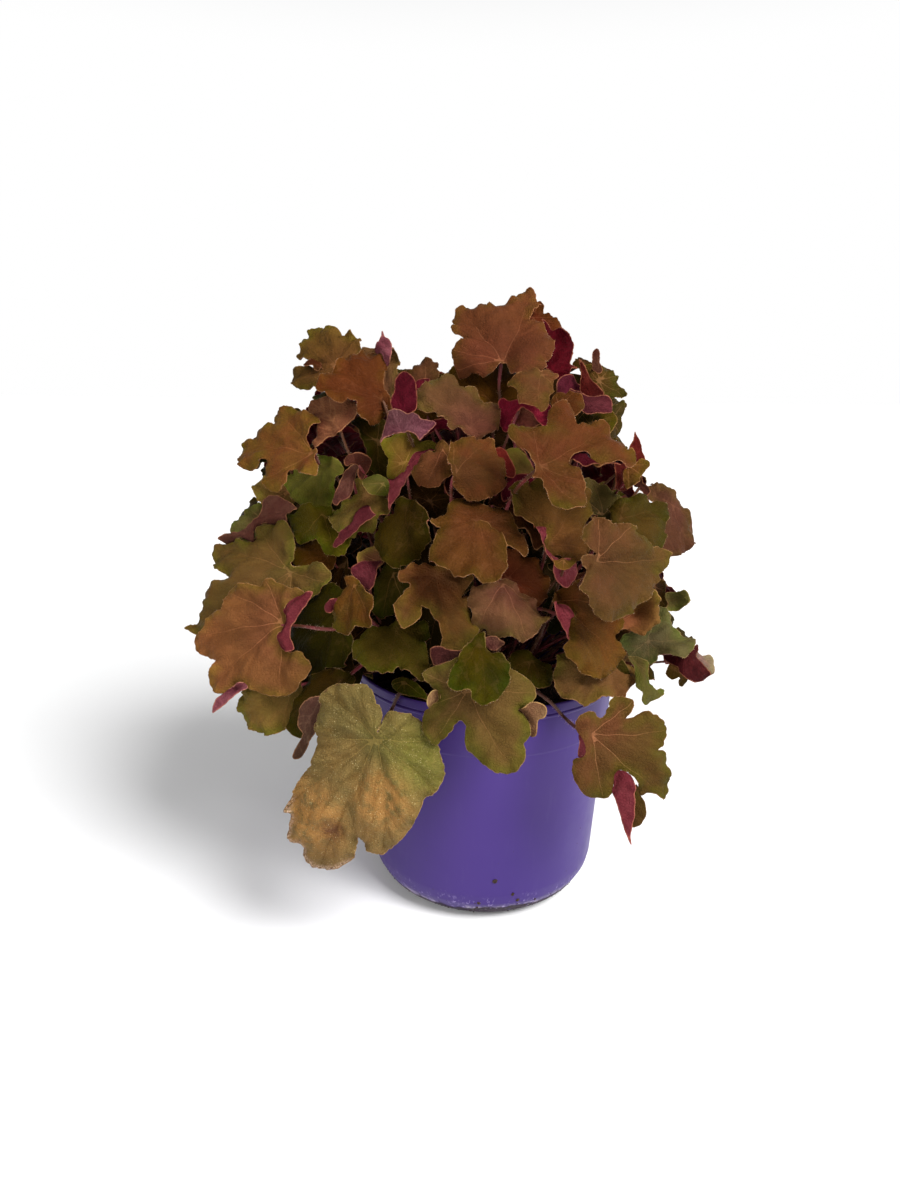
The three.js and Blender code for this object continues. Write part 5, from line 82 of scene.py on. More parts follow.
["B5","leaf_top_04","U","rosetan","under","leaf_olive_orange",32,"0 0","-1148 -4865 30754","0.9376 0.3478 -0.0040 -0.2640 0.7192 0.6426 0.2264 -0.6015 0.7662 -0.0244 0.9975 -0.0662","-297 -107 263 471","-397 -291 -156 -11 -41 -50 -48 -41 -218 -180 -141 -102 -98 -92 -80 -67 -39 -70 -123 -183 -159 -135 -113 -94 139 41 -52 -208 -194 -171 -146 -121 336 191 16 -200 -201 -185 -168 -149 499 319 42 -180 -176 -173 -174 -174 548 275 -11 -145 -141 -157 -177 -195 531 240 15 -93 -129 -153 -181 -213","-259 216 -236 298 -192 340 -145 390 -115 416 -75 408 -43 416 -4 425 20 400 36 366 50 323 83 332 111 324 133 291 138 241 130 183 152 175 183 200 214 225 228 209 214 135 193 54 165 -18 121 -50 67 -69 14 -64 -33 -63 -59 -47 -69 -15 -99 1 -113 40 -107 87 -132 79 -166 80 -161 127 -210 143 -269 144","-67 -60 1448 -77 -141 1867 -89 -220 2216 -102 -295 2503 -112 -366 2736 -118 -431 2924 -115 -489 3076",[],1,0.9,[["valley","-28 72 47 235 113 413","114 218",0.28,2.0]]],
["B13r","","L","bronze_up","red","leaf_red",33,"0 20","5785 -2952 32403","0.9384 0.3456 0.0031 -0.1854 0.4958 0.8484 0.2917 -0.7967 0.5293 0.1176 0.9926 -0.0297","-100 -62 122 284","-74 37 124 154 132 54 -30 -98 -58 17 85 121 93 33 -18 -61 -43 -3 45 88 56 11 -7 -24 -20 -12 5 33 10 2 7 5 9 -4 -16 -11 -22 -11 5 16 35 11 -14 -24 -28 -20 -5 11 56 28 2 -18 -26 -25 -16 -5 75 45 17 -7 -22 -28 -27 -23","-28 254 -22 222 -4 189 12 143 34 97 52 65 72 39 78 6 47 -20 -15 -13 -56 7 -67 46 -56 98 -39 176 -34 228","36 119 1425 86 151 1722 139 107 2055 204 14 2398 293 -100 2730 413 -208 3024 575 -282 3258",[],1,0.65,[]],
["B16","","L","bronze_up","magenta","leaf_red",34,"111 107","787 -3215 30498","0.9796 0.2009 0.0013 -0.1049 0.5060 0.8561 0.1713 -0.8388 0.5168 0.0162 0.9975 -0.0692","-56 -55 329 236","392 352 221 -74 -272 -166 131 356 215 169 90 -48 -112 -45 66 150 38 -17 -52 -54 9 51 -3 -57 -109 -189 -257 -274 -243 -222 -237 -238 -221 -290 -360 -415 -444 -434 -404 -359 -303 -330 -352 -365 -361 -355 -389 -415 -362 -343 -323 -319 -326 -331 -372 -427 -410 -352 -306 -284 -290 -316 -363 -424","-19 180 12 200 41 186 71 191 111 195 155 180 212 168 271 162 290 124 272 61 243 5 201 55 170 99 143 117 117 137 92 113 59 63 37 19 16 -19 -8 -19 -21 32 -19 115","34 -26 1442 32 -100 1903 24 -167 2264 22 -227 2548 39 -282 2776 86 -333 2970 174 -382 3151",[],1,2.4,[]],
["R1a","","L","bronze_up","red","leaf_red",35,"3 24","8531 -3664 28873","0.9076 0.4189 -0.0271 -0.1619 0.4091 0.8980 0.3873 -0.8107 0.4391 0.1737 0.9795 -0.1016","-84 -58 90 217","78 92 74 22 -20 -58 -77 -85 42 56 57 24 -22 -47 -58 -64 7 20 40 25 -25 -36 -39 -43 -15 -9 10 16 -24 -26 -23 -28 -21 -19 -14 0 -23 -27 -22 -20 -21 -21 -25 -17 -23 -27 -22 -16 -22 -24 -28 -27 -26 -25 -21 -15 -23 -28 -32 -33 -30 -25 -20 -14","16 182 24 152 35 103 45 54 52 18 31 -18 -10 -18 -35 30 -47 73 -18 115","66 -13 1432 171 -69 1737 288 -96 2027 417 -116 2295 555 -151 2536 701 -223 2743 852 -354 2909",[],1,1.05,[]],
["R1b","","L","bronze_up","red","leaf_red",36,"1 -21","7457 -3663 28686","0.9225 0.3846 -0.0342 -0.1296 0.3918 0.9109 0.3637 -0.8358 0.4113 0.1523 0.9827 -0.1058","-87 -201 86 40","530 333 138 39 4 -29 -24 -5 481 351 213 71 -14 -25 -7 18 432 369 286 102 -33 -21 10 40 391 367 333 147 -24 -18 19 57 383 364 354 189 -1 -4 32 61 424 397 377 222 18 6 32 42 505 450 382 229 52 2 -1 -7 600 491 369 231 103 13 -39 -74","-31 12 22 12 43 -24 33 -97 39 -155 -4 -167 -50 -153 -33 -84","87 -38 1417 257 -155 1821 399 -316 2146 516 -468 2401 650 -268 2546 739 -203 2695 748 -378 2850",[],1,0.75,[]],
["R1c","","L","bronze_up","mauve","leaf_red",37,"-10 27","9309 -1661 26930","0.9130 0.4059 -0.0413 -0.1238 0.3721 0.9199 0.3887 -0.8348 0.3900 0.1809 0.9742 -0.1348","-105 -78 93 114","74 101 107 83 38 -4 -59 -126 -5 41 73 77 45 -19 -94 -173 -83 -19 38 69 48 -35 -130 -221 -148 -78 -3 44 26 -61 -165 -264 -180 -121 -48 -5 -37 -125 -215 -306 -167 -116 -61 -43 -100 -187 -267 -348 -119 -86 -60 -70 -137 -224 -308 -391 -59 -56 -67 -106 -172 -255 -344 -434","-2 80 6 43 33 31 48 -12 16 -37 -21 0 -39 25 -73 37 -53 74","111 -11 1407 254 -41 1727 407 -79 1999 561 -117 2228 705 -147 2419 828 -164 2581 919 -159 2718",[],1,1,[]],
["B17b","","U","brown3","under","leaf_bronze",38,"0 0","-2688 -5322 29611","0.8827 -0.4653 0.0655 0.2708 0.6176 0.7384 -0.3840 -0.6341 0.6712 -0.0575 0.9942 -0.0910","-170 -312 174 88","1188 580 153 13 16 14 6 -1 1037 562 159 -9 -1 5 11 20 886 544 154 -33 -9 -4 16 41 665 420 95 -47 -18 -7 26 59 372 137 -24 -29 -14 10 40 69 147 71 80 30 -10 23 46 65 36 94 143 76 22 29 40 49 -22 86 143 125 81 49 33 25","-48 -13 -53 36 -11 49 38 20 75 -29 100 -98 130 -180 107 -207 75 -240 37 -261 -12 -273 -64 -262 -106 -217 -137 -167 -136 -97 -104 -41","-101 6 1457 -153 -38 1738 -190 -80 1963 -217 -134 2165 -236 -218 2377 -255 -295 2623 -269 -532 2961",[],1,1.35,[]],
["B21","leaf_right_04","U","pinkbrown2","under","leaf_bronze",39,"0 0","11215 -1763 26064","0.7943 0.6004 -0.0928 -0.2011 0.4039 0.8924 0.5732 -0.6902 0.4416 0.2163 0.9647 -0.1505","-294 -361 194 177","-49 -50 16 236 487 630 741 801 7 -8 1 97 308 496 561 588 64 34 -15 -41 132 366 380 375 97 49 -5 -74 -12 213 212 195 108 49 -2 -41 -49 64 84 72 110 57 6 -29 -34 -4 -3 -21 110 66 23 -9 -22 -40 -71 -107 108 76 44 12 -24 -75 -133 -192","-239 120 -183 121 -130 140 -81 147 -28 141 1 116 20 90 39 64 77 39 103 8 126 -37 139 -82 135 -120 130 -165 106 -210 91 -254 42 -291 -8 -302 -67 -320 -112 -318 -152 -305 -192 -267 -194 -218 -153 -144 -103 -70 -97 -20 -158 17 -226 36 -254 68","145 5 1378 325 -27 1581 473 -45 1758 608 -59 1928 749 -78 2112 914 -113 2332 1122 -174 2606",[],1,1.1,[]],
["B30","leaf_front_09","U","olivegreen2","under","leaf_green",40,"0 0","-5067 -7944 19805","0.9960 -0.0732 0.0511 0.0374 0.8619 0.5057 -0.0811 -0.5018 0.8612 -0.1094 0.9465 -0.3036","-261 -408 265 110","80 108 124 130 115 86 49 9 71 84 87 76 64 52 35 16 63 61 51 24 15 19 21 23 64 34 10 -7 -10 -3 12 31 94 32 -13 -17 -10 -1 19 44 164 109 61 11 7 30 47 61 268 227 178 91 57 65 72 73 385 335 270 190 129 100 88 81","-193 -22 -149 -7 -105 8 -41 46 27 61 84 69 153 68 181 22 194 -53 175 -90 193 -149 207 -221 230 -279 219 -322 201 -363 161 -355 118 -319 73 -304 52 -269 35 -262 24 -304 -1 -325 -34 -326 -65 -298 -93 -299 -121 -299 -158 -271 -187 -236 -214 -208 -227 -164 -229 -120 -212 -82","-168 -168 1325 -224 -270 1436 -282 -378 1548 -340 -486 1660 -398 -594 1770 -454 -698 1877 -507 -794 1981",[],1,1.3,[]],
["B38","leaf_front_10","U","olivetan","under","leaf_olive_orange",41,"0 0","6441 -7056 18124","0.9829 0.1795 -0.0412 -0.0749 0.5943 0.8008 0.1682 -0.7840 0.5975 0.1346 0.9347 -0.3290","-298 -315 270 80","27 -20 -27 -26 -21 -8 -54 -204 -68 -78 -93 -102 -89 -62 -91 -179 -163 -136 -146 -154 -150 -117 -128 -154 -253 -170 -40 45 -86 -178 -167 -69 -277 -169 20 211 151 117 128 161 -197 -29 143 323 500 570 546 472 -55 128 290 430 588 653 715 761 108 269 410 526 635 742 879 1033","-239 5 -209 17 -160 35 -71 47 17 48 112 51 192 26 217 -37 227 -100 218 -148 200 -177 173 -194 150 -223 133 -250 91 -242 45 -235 -15 -246 -57 -267 -99 -283 -132 -277 -164 -254 -203 -243 -235 -220 -262 -192 -270 -152 -266 -106 -250 -59","100 -124 1346 174 -190 1454 269 -279 1542 374 -382 1615 479 -491 1680 573 -597 1742 646 -693 1808",[],1,1.45,[]],
["B39b","","U","dbrown","under","leaf_bronze",42,"0 0","10090 -3258 21355","0.7999 0.5837 -0.1393 -0.1410 0.4084 0.9018 0.5833 -0.7018 0.4090 0.1974 0.9493 -0.2448","-87 -183 163 91","933 631 279 -38 -140 -184 -280 -355 712 560 376 151 -61 -168 -227 -271 490 489 473 339 19 -149 -175 -186 301 396 512 480 104 -138 -128 -118 190 325 484 494 136 -134 -112 -96 167 283 396 387 91 -127 -136 -134 194 238 262 201 7 -136 -182 -206 236 181 109 19 -74 -153 -223 -285","31 62 65 56 97 38 107 0 99 -51 102 -122 50 -148 17 -90 -26 -38 -50 12","149 -28 1365 196 -38 1482 265 -82 1604 367 -146 1730 516 -216 1861 726 -279 1996 1010 -321 2134",[],1,0.95,[]],
["B26c","","U","moss","under","leaf_green",43,"-6 -4","-6031 -4912 27603","0.9820 0.1887 -0.0102 -0.1473 0.7980 0.5844 0.1184 -0.5724 0.8114 -0.1265 0.9832 -0.1314","-152 -171 63 101","-568 -403 -213 -65 -16 -18 -20 -19 -247 -202 -136 -63 -36 -35 -32 -23 73 -1 -58 -60 -55 -54 -43 -28 372 235 75 -47 -74 -63 -50 -37 615 485 320 84 -54 -65 -56 -60 787 612 433 226 36 -41 -72 -108 912 692 481 298 125 -2 -92 -176 1018 776 554 365 197 39 -109 -250","-125 -8 -101 41 -54 58 -9 50 24 25 27 -42 12 -102 -29 -117 -63 -107 -94 -73","-166 -4 1441 -292 -31 1785 -388 -94 2038 -461 -183 2233 -518 -286 2397 -591 -169 2524 -608 -497 2758",[],1,1.8,[]],
["B18b","","L","bronze_up","magenta","leaf_red",44,"90 69","956 -5746 27036","0.9818 0.1897 -0.0102 -0.0718 0.4199 0.9047 0.1759 -0.8875 0.4259 0.0205 0.9890 -0.1467","-61 -73 267 159","-152 -121 -120 -115 -38 49 129 206 -174 -125 -83 -17 52 97 141 184 -195 -130 -55 66 140 145 154 162 -208 -147 -72 48 147 170 158 141 -207 -151 -98 -41 43 106 118 125 -199 -138 -81 -27 39 89 106 126 -188 -109 -30 52 121 149 149 148 -176 -72 31 122 184 205 198 181","12 107 42 125 89 131 136 130 176 124 211 113 233 89 201 59 141 47 85 59 48 35 28 -6 -13 -35 -28 6 -8 59","-45 -26 1456 -25 -75 1713 11 -155 1953 56 -251 2177 103 -347 2384 147 -428 2578 180 -476 2758",[],1,0.95,[]],
["B6","","L","bronze_up","magenta","leaf_red",45,"64 30","-3779 -4326 30406","0.9999 -0.0005 0.0123 -0.0104 0.5037 0.8638 -0.0066 -0.8639 0.5036 -0.0792 0.9942 -0.0725","-72 -92 231 152","213 -45 -243 -276 -293 -346 -427 -532 244 77 -68 -161 -222 -289 -375 -472 275 195 97 -42 -148 -233 -324 -412 280 251 207 116 -55 -189 -273 -343 250 230 210 169 -15 -164 -213 -255 187 150 102 43 -60 -131 -140 -155 94 44 -7 -45 -58 -70 -64 -55 -15 -64 -97 -95 -58 -18 15 47","172 123 133 99 88 80 32 62 -1 43 -34 6 -45 -12 -27 -56 1 -31 52 0 109 19 160 13 192 50","-39 60 1456 -46 74 1830 -68 8 2154 -105 -105 2434 -158 -232 2676 -228 -342 2885 -316 -400 3066",[],1,0.85,[]],
["B26e","","L","bronze_up","mauve","leaf_red",46,"-26 60","-7422 -4074 27937","0.9836 -0.1772 0.0337 0.0489 0.4415 0.8959 -0.1736 -0.8796 0.4429 -0.1526 0.9807 -0.1219","-145 -77 95 160","-214 -295 -347 -323 -239 -212 -202 -167 -198 -236 -267 -276 -259 -247 -230 -203 -181 -177 -187 -226 -269 -279 -258 -239 -172 -128 -94 -107 -190 -267 -272 -284 -161 -99 -25 38 -33 -205 -284 -343 -129 -67 13 114 73 -135 -282 -393 -70 -1 74 138 92 -76 -248 -410 4 76 132 144 90 -33 -208 -404","-117 84 -96 114 -55 126 -13 126 25 109 53 80 46 37 25 0 4 -37 -24 -6 -29 49 -67 60 -95 42","-179 -33 1432 -291 -155 1699 -359 -286 1926 -410 -403 2135 -474 -482 2345 -612 -248 2534 -757 -432 2854",[],1,1.05,[]],
["B13b","","L","bronze_up","mauve","leaf_red",47,"10 64","6277 -1069 33842","0.9306 0.3658 0.0107 -0.2097 0.5091 0.8348 0.2999 -0.7791 0.5505 0.1228 0.9924 -0.0005","-69 -64 81 189","31 25 22 21 25 35 54 78 42 27 14 7 14 30 51 73 52 30 6 -7 3 24 47 68 61 32 2 -14 -7 19 42 61 68 37 6 -13 -11 14 34 51 70 44 16 -5 -6 16 30 42 70 48 27 10 6 18 28 35 68 52 38 26 20 20 24 27","-29 41 -12 109 10 144 32 151 40 130 36 89 19 48 32 20 25 -7 -12 -20 -33 0","99 115 1393 330 82 1883 459 -7 2346 519 -109 2758 544 -183 3093 595 57 3325 623 -75 3438",[],1,0.8,[]],
["A19","leaf_left_08","U","dolive","under","leaf_olive",48,"0 0","-8160 -8851 16942","0.8538 -0.4721 0.2194 0.1430 0.6180 0.7731 -0.5006 -0.6287 0.5951 -0.1741 0.9161 -0.3611","-375 -374 166 103","191 117 89 54 14 -13 -41 -66 205 121 57 18 -8 -18 -24 -29 220 124 29 -15 -29 -24 -8 7 213 120 14 -34 -40 -27 7 43 170 89 11 -30 -36 -16 29 76 105 54 11 -14 -14 16 62 109 33 19 10 11 28 62 101 142 -40 -16 10 39 72 107 141 175","-220 21 -170 57 -114 74 -35 67 38 47 118 -1 92 -60 14 -95 -75 -118 -147 -154 -181 -213 -183 -279 -186 -321 -219 -340 -281 -318 -326 -277 -334 -228 -319 -180 -301 -137 -290 -76 -275 -27","-224 -94 1376 -307 -118 1492 -366 -225 1565 -407 -368 1664 -507 -544 1718 -663 -718 1758 -816 -885 1694",[],1,0.8,[]],
["B3","leaf_front_18","U","yolive","under","leaf_olive",49,"-1 4","-4934 -4319 28693","0.9121 -0.4069 0.0513 0.2494 0.6497 0.7181 -0.3255 -0.6422 0.6940 -0.1028 0.9888 -0.1078","-244 -169 208 269","572 467 346 190 -1 -127 -143 -161 648 476 319 148 -60 -144 -142 -144 723 484 291 105 -137 -170 -139 -126 784 531 269 -31 -189 -151 -126 -103 764 517 182 -56 33 53 -12 -43 599 340 79 3 143 179 123 74 345 169 33 2 76 170 209 226 66 13 -16 -12 36 142 266 383","-173 88 -206 140 -195 184 -151 214 -94 225 -32 221 19 193 55 149 106 156 156 149 166 96 109 89 55 52 29 -7 22 -81 2 -120 -50 -128 -91 -91 -98 -30 -128 36","-150 -33 1442 -215 -97 1714 -284 -167 1964 -352 -239 2198 -413 -309 2423 -462 -373 2645 -494 -428 2872",[["L","pink","-96 -401 213 135","262 220 200 159 210 129 -199 -538 365 313 271 267 230 45 -185 -404 468 405 340 360 244 -40 -170 -270 560 484 401 388 176 -70 -92 -146 639 542 449 370 176 45 6 -71 709 597 484 361 214 111 31 -47 773 645 515 384 262 158 57 -36 833 689 549 421 307 198 87 -25","162 103 95 88 45 59 24 7 21 -59 -1 -111 -63 -127 -63 -164 -28 -223 -7 -281 26 -354 34 -303 50 -251 55 -192 68 -132 86 -73 111 -14 146 37 177 81","165 97 108 89 54 51 29 -8 22 -82 2 -119 -49 -127",1.75]],1,1.4,[]],
["B28b","","U","tan","under","leaf_olive_orange",50,"0 0","-6531 -5148 23061","0.9983 -0.0495 0.0314 0.0228 0.8218 0.5694 -0.0539 -0.5677 0.8215 -0.1352 0.9653 -0.2236","-148 -111 89 146","-258 -280 -303 -317 -318 -284 -217 -156 -220 -212 -203 -191 -186 -187 -185 -186 -182 -144 -104 -67 -56 -93 -153 -215 -144 -84 -25 9 13 -39 -141 -242 -105 -54 -5 16 5 -61 -163 -262 -68 -47 -27 -20 -48 -115 -195 -277 -33 -51 -71 -93 -127 -176 -231 -288 0 -59 -115 -165 -205 -239 -269 -300","-116 32 -100 80 -49 104 -6 96 31 40 49 -16 -27 -63 -95 -39","-196 -96 1396 -284 -168 1611 -374 -237 1787 -461 -305 1932 -539 -372 2060 -605 -442 2181 -653 -514 2306",[],1,1.3,[]],
["B7","leaf_crest","U","orange2","under","leaf_orange",51,"-1 10","636 -2216 34517","0.9987 0.0493 0.0091 -0.0441 0.7780 0.6267 0.0238 -0.6264 0.7792 0.0128 0.9998 0.0131","-337 -221 347 728","1223 708 381 119 127 127 100 67 1019 597 234 57 73 80 72 60 815 483 86 -14 31 37 44 53 531 243 -33 -18 1 6 27 50 234 38 -30 1 -6 5 28 54 63 42 48 24 18 33 48 63 -12 55 92 80 73 75 76 76 -54 46 114 139 137 123 106 89","-25 -63 -49 -89 -92 -126 -136 -165 -171 -156 -187 -137 -224 -165 -247 -156 -276 -110 -287 -74 -290 -18 -288 27 -298 73 -279 119 -255 147 -237 166 -224 204 -236 223 -266 232 -297 252 -303 266 -278 300 -290 339 -296 379 -278 418 -271 469 -246 499 -203 508 -153 508 -116 518 -80 487 -60 527 -17 527 38 527 71 569 111 621 144 663 177 685 202 675 224 633 233 570 257 550 235 498 201 447 179 397 213 358 241 319 262 271 283 213 305 185 307 138 297 73 276 27 244 0 237 -27 245 -72 238 -98 196 -125 137 -142 91 -159 63 -142 42 -107 27 -54 17 -18","61 -42 1428 207 -184 2100 218 -213 2541 160 -200 2910 53 -177 3219 62 -217 3458",[],1,0.95,[["valley","5 12 111 108 218 233","161 23",0.42,1.8],["valley","0 31 30 317 125 594","176 366",0.16,1.6],["valley","-16 79 -189 220 -362 362","-199 -18",0.2,2.5]]],
["B11","","L","bronze_up","purple","leaf_red",52,"5 17","4459 -2397 32484","0.9533 0.3019 0.0034 -0.1636 0.5070 0.8463 0.2537 -0.8074 0.5327 0.0899 0.9956 -0.0279","-101 -62 129 168","92 67 36 -15 -102 -192 -258 -307 53 38 18 -25 -91 -151 -198 -238 15 9 2 -31 -79 -111 -138 -169 -19 -10 0 -9 -33 -54 -77 -106 -42 -20 6 17 16 2 -26 -52 -54 -28 -2 10 13 12 4 -4 -61 -42 -25 -17 -9 6 23 39 -67 -59 -52 -44 -27 2 39 79","-64 59 -44 98 -22 118 18 131 54 125 68 99 76 72 94 66 84 13 48 -13 4 -13 -41 -19 -66 13","1 104 1441 2 75 1777 66 34 2129 168 -20 2475 283 -83 2794 385 -153 3064 448 -230 3263",[],1,1.0,[]],
["B20a","","U","olive","under","leaf_olive",53,"0 0","2245 -3517 28131","0.8624 0.5045 -0.0430 -0.3159 0.6026 0.7329 0.3956 -0.6184 0.6790 0.0461 0.9920 -0.1179","-144 -88 122 203","273 225 162 70 -78 -127 -43 84 186 169 144 79 -52 -107 -55 22 99 113 124 89 -38 -101 -68 -40 19 45 67 45 -67 -150 -132 -126 -43 -32 -16 -22 -126 -238 -247 -248 -81 -78 -69 -79 -176 -295 -350 -386 -97 -97 -99 -127 -215 -330 -431 -521 -102 -112 -134 -180 -260 -371 -505 -647","-99 158 -46 172 0 164 37 135 60 85 80 28 58 -29 -16 -43 -94 -28 -108 44","-25 8 1458 74 -52 1765 144 -137 2017 190 -229 2233 215 -309 2426 225 -356 2614 225 -351 2813",[],1,1.55,[]],
["B41","","L","bronze_up","darkred2","leaf_red",54,"15 -20","11770 -4651 17664","0.8838 0.4464 -0.1398 0.0537 0.2001 0.9783 0.4647 -0.8722 0.1529 0.2298 0.9204 -0.3164","-190 -222 268 78","-207 133 461 670 675 586 412 186 -178 33 244 413 457 392 294 191 -149 -67 26 152 212 176 176 195 -120 -128 -143 -116 -66 -2 104 205 -98 -127 -158 -176 -134 -15 101 203 -87 -112 -134 -152 -125 -25 81 179 -82 -97 -110 -119 -96 -32 50 134 -79 -83 -85 -81 -64 -30 20 80","-149 5 -86 12 -39 6 14 12 58 31 103 50 117 -17 153 -60 189 -96 225 -133 205 -164 160 -181 106 -181 57 -162 8 -132 -35 -91 -84 -74 -127 -50","177 2 1314 368 -15 1428 598 -133 1549 831 -295 1660 1034 -430 1737 1161 -523 1777 1184 -480 1750",[],1,0.75,[]],
["B26d","","L","bronze_up","palepink","leaf_red",55,"-21 -45","-7931 -3430 28203","0.9778 -0.2049 0.0431 0.0461 0.4117 0.9102 -0.2043 -0.8880 0.4120 -0.1608 0.9803 -0.1148","-150 -265 61 53","-128 -195 -234 -267 -340 -368 -346 -314 -163 -213 -252 -283 -297 -290 -277 -265 -197 -232 -271 -297 -253 -212 -209 -216 -244 -252 -283 -285 -185 -138 -146 -167 -315 -300 -290 -214 -86 -50 -76 -107 -399 -338 -263 -132 4 60 23 -15 -478 -352 -216 -66 66 138 134 118 -550 -357 -171 -8 117 201 245 270","-14 18 -44 0 -72 -30 -79 -72 -93 -119 -113 -160 -114 -208 -88 -226 -60 -196 -20 -172 1 -132 8 -85 10 -37 23 25","-240 -12 1400 -371 -2 1586 -488 -44 1786 -590 -121 2002 -678 -216 2238 -757 -274 2490 -810 -390 2782",[],1,1.35,[]],
["A2","leaf_top_03","U","russet","under","leaf_orange",56,"0 0","-6374 -2226 32136","0.9554 0.2953 0.0046 -0.2265 0.7226 0.6531 0.1896 -0.6250 0.7572 -0.1275 0.9912 -0.0346","-410 -241 115 490","-562 -245 -28 90 124 111 102 96 -360 -171 -20 50 65 71 77 84 -159 -97 -12 13 6 31 52 71 81 -20 -34 -18 -26 -1 29 58 376 174 -20 -35 -29 -20 12 46 622 378 44 -30 -9 -8 13 35 727 404 92 0 10 14 19 26 765 447 197 60 17 15 18 19","-382 120 -338 206 -265 268 -226 348 -179 385 -135 394 -106 386 -70 423 -18 442 17 424 50 351 75 306 46 234 29 163 29 77 43 8 49 -34 27 -101 -16 -152 -62 -185 -105 -198 -135 -172 -157 -115 -161 -57 -156 -16 -196 -7 -254 -7 -294 2 -321 27 -336 52 -355 95","-134 19 1452 -205 -14 1789 -279 -51 2082 -357 -91 2351 -442 -133 2617 -535 -177 2898 -637 -222 3214",[["L","shellpink","-22 251 162 642","2 29 37 -5 -56 -129 -240 -358 15 17 13 -10 -71 -165 -270 -378 29 4 -11 -17 -87 -200 -300 -398 47 0 -37 -47 -119 -230 -323 -415 66 6 -60 -108 -166 -253 -342 -430 73 -4 -86 -151 -205 -280 -362 -444 69 -17 -101 -172 -236 -307 -382 -458 61 -27 -112 -191 -264 -334 -403 -472","15 449 49 519 67 553 79 597 92 553 118 517 120 446 102 366 75 305 47 368 28 413","13 440 75 305",1.05]],1,0.85,[["valley","-7 -109 -98 64 -195 236","-197 -6",0.3,2.0],["tilt","-116 341 -34 324 22 255 4 116","79 186",0.5,1.6]]],
["A7","leaf_left_04","U","orange","under","leaf_orange",57,"0 0","-10327 -4304 29187","0.8844 -0.4636 0.0538 0.2556 0.5777 0.7752 -0.3905 -0.6718 0.6294 -0.2116 0.9727 -0.0959","-630 -308 134 369","207 172 137 97 52 9 -30 -63 183 139 96 53 19 1 -8 -14 158 105 55 10 -12 -6 14 34 132 74 18 -20 -28 -8 35 80 103 49 -5 -30 -23 12 66 121 67 31 -4 -16 7 54 106 158 26 21 19 26 53 97 144 191 -14 14 43 72 103 140 180 223","-214 303 -257 312 -324 336 -382 323 -425 293 -419 248 -384 210 -446 204 -498 175 -518 131 -503 101 -554 87 -585 65 -567 28 -577 -2 -564 -46 -528 -82 -506 -110 -444 -117 -391 -109 -347 -65 -303 -58 -313 -86 -297 -135 -293 -177 -251 -232 -188 -264 -138 -256 -121 -228 -93 -207 -97 -166 -114 -111 -83 -97 -48 -124 1 -150 48 -156 86 -142 79 -95 48 -41 44 0 14 35 -23 35 -72 77 -79 126 -67 183 -48 227 -65 249 -133 279","-176 57 1436 -333 31 1816 -486 -41 2101 -634 -140 2322 -775 -249 2511 -989 -21 2661 -1046 -127 2810 -1033 -430 2919",[],1,1.2,[["valley","2 3 -243 88 -529 144","-181 -126",0.26,2.0]]],
["A11","leaf_left_01","U","olive","under","leaf_olive",58,"0 0","-11832 -4445 22116","0.9026 -0.4120 0.1246 0.1953 0.6500 0.7344 -0.3836 -0.6385 0.6672 -0.2357 0.9432 -0.2341","-734 -486 361 406","249 243 181 78 19 -6 -45 -73 228 173 101 29 -11 -23 -26 -19 207 107 24 -20 -39 -36 -6 34 210 89 -18 -69 -57 -22 30 79 250 163 70 -18 -43 20 67 95 319 263 221 147 26 25 50 73 412 332 243 118 20 1 10 25 515 374 223 83 2 -30 -36 -33","-185 365 -301 353 -387 326 -401 228 -519 232 -640 220 -692 183 -689 123 -643 63 -605 18 -536 -4 -481 -33 -513 -54 -556 -69 -598 -105 -621 -148 -602 -205 -579 -254 -600 -283 -602 -333 -647 -384 -671 -406 -607 -431 -542 -442 -483 -426 -335 -393 -161 -348 5 -293 124 -218 214 -164 283 -123 310 -82 310 -42 279 5 237 39 163 61 103 61 54 34 9 35 -31 77 -30 133 -46 213 -118 295","-258 4 1385 -435 -72 1525 -610 -151 1684 -777 -232 1848 -931 -314 2002 -1066 -395 2130 -1184 -442 2211",[["L","palepink","-703 184 -82 594","33 -181 -310 -435 -586 -698 -786 -867 31 -96 -219 -360 -479 -572 -655 -737 28 -35 -146 -286 -372 -446 -525 -607 4 -44 -100 -160 -249 -325 -401 -478 -14 -30 -14 -25 -146 -229 -289 -349 2 15 26 8 -66 -126 -172 -218 36 67 90 97 60 8 -39 -84 77 123 164 189 183 149 102 52","-421 498 -411 534 -380 555 -324 555 -249 525 -181 495 -124 451 -166 436 -172 393 -152 341 -189 356 -232 365 -302 359 -361 345 -392 324 -406 280 -411 235 -497 245 -574 232 -638 225 -665 233 -643 262 -593 282 -530 289 -488 324 -452 375 -418 411 -406 439","-632 218 -517 231 -404 229 -385 323 -299 351 -184 364",1.35]],1,1.1,[["valley","36 -25 -224 -3 -558 48","-156 -203",0.28,2.5],["valley","36 -25 -226 190 -434 369","-491 226",0.22,2.5]]],
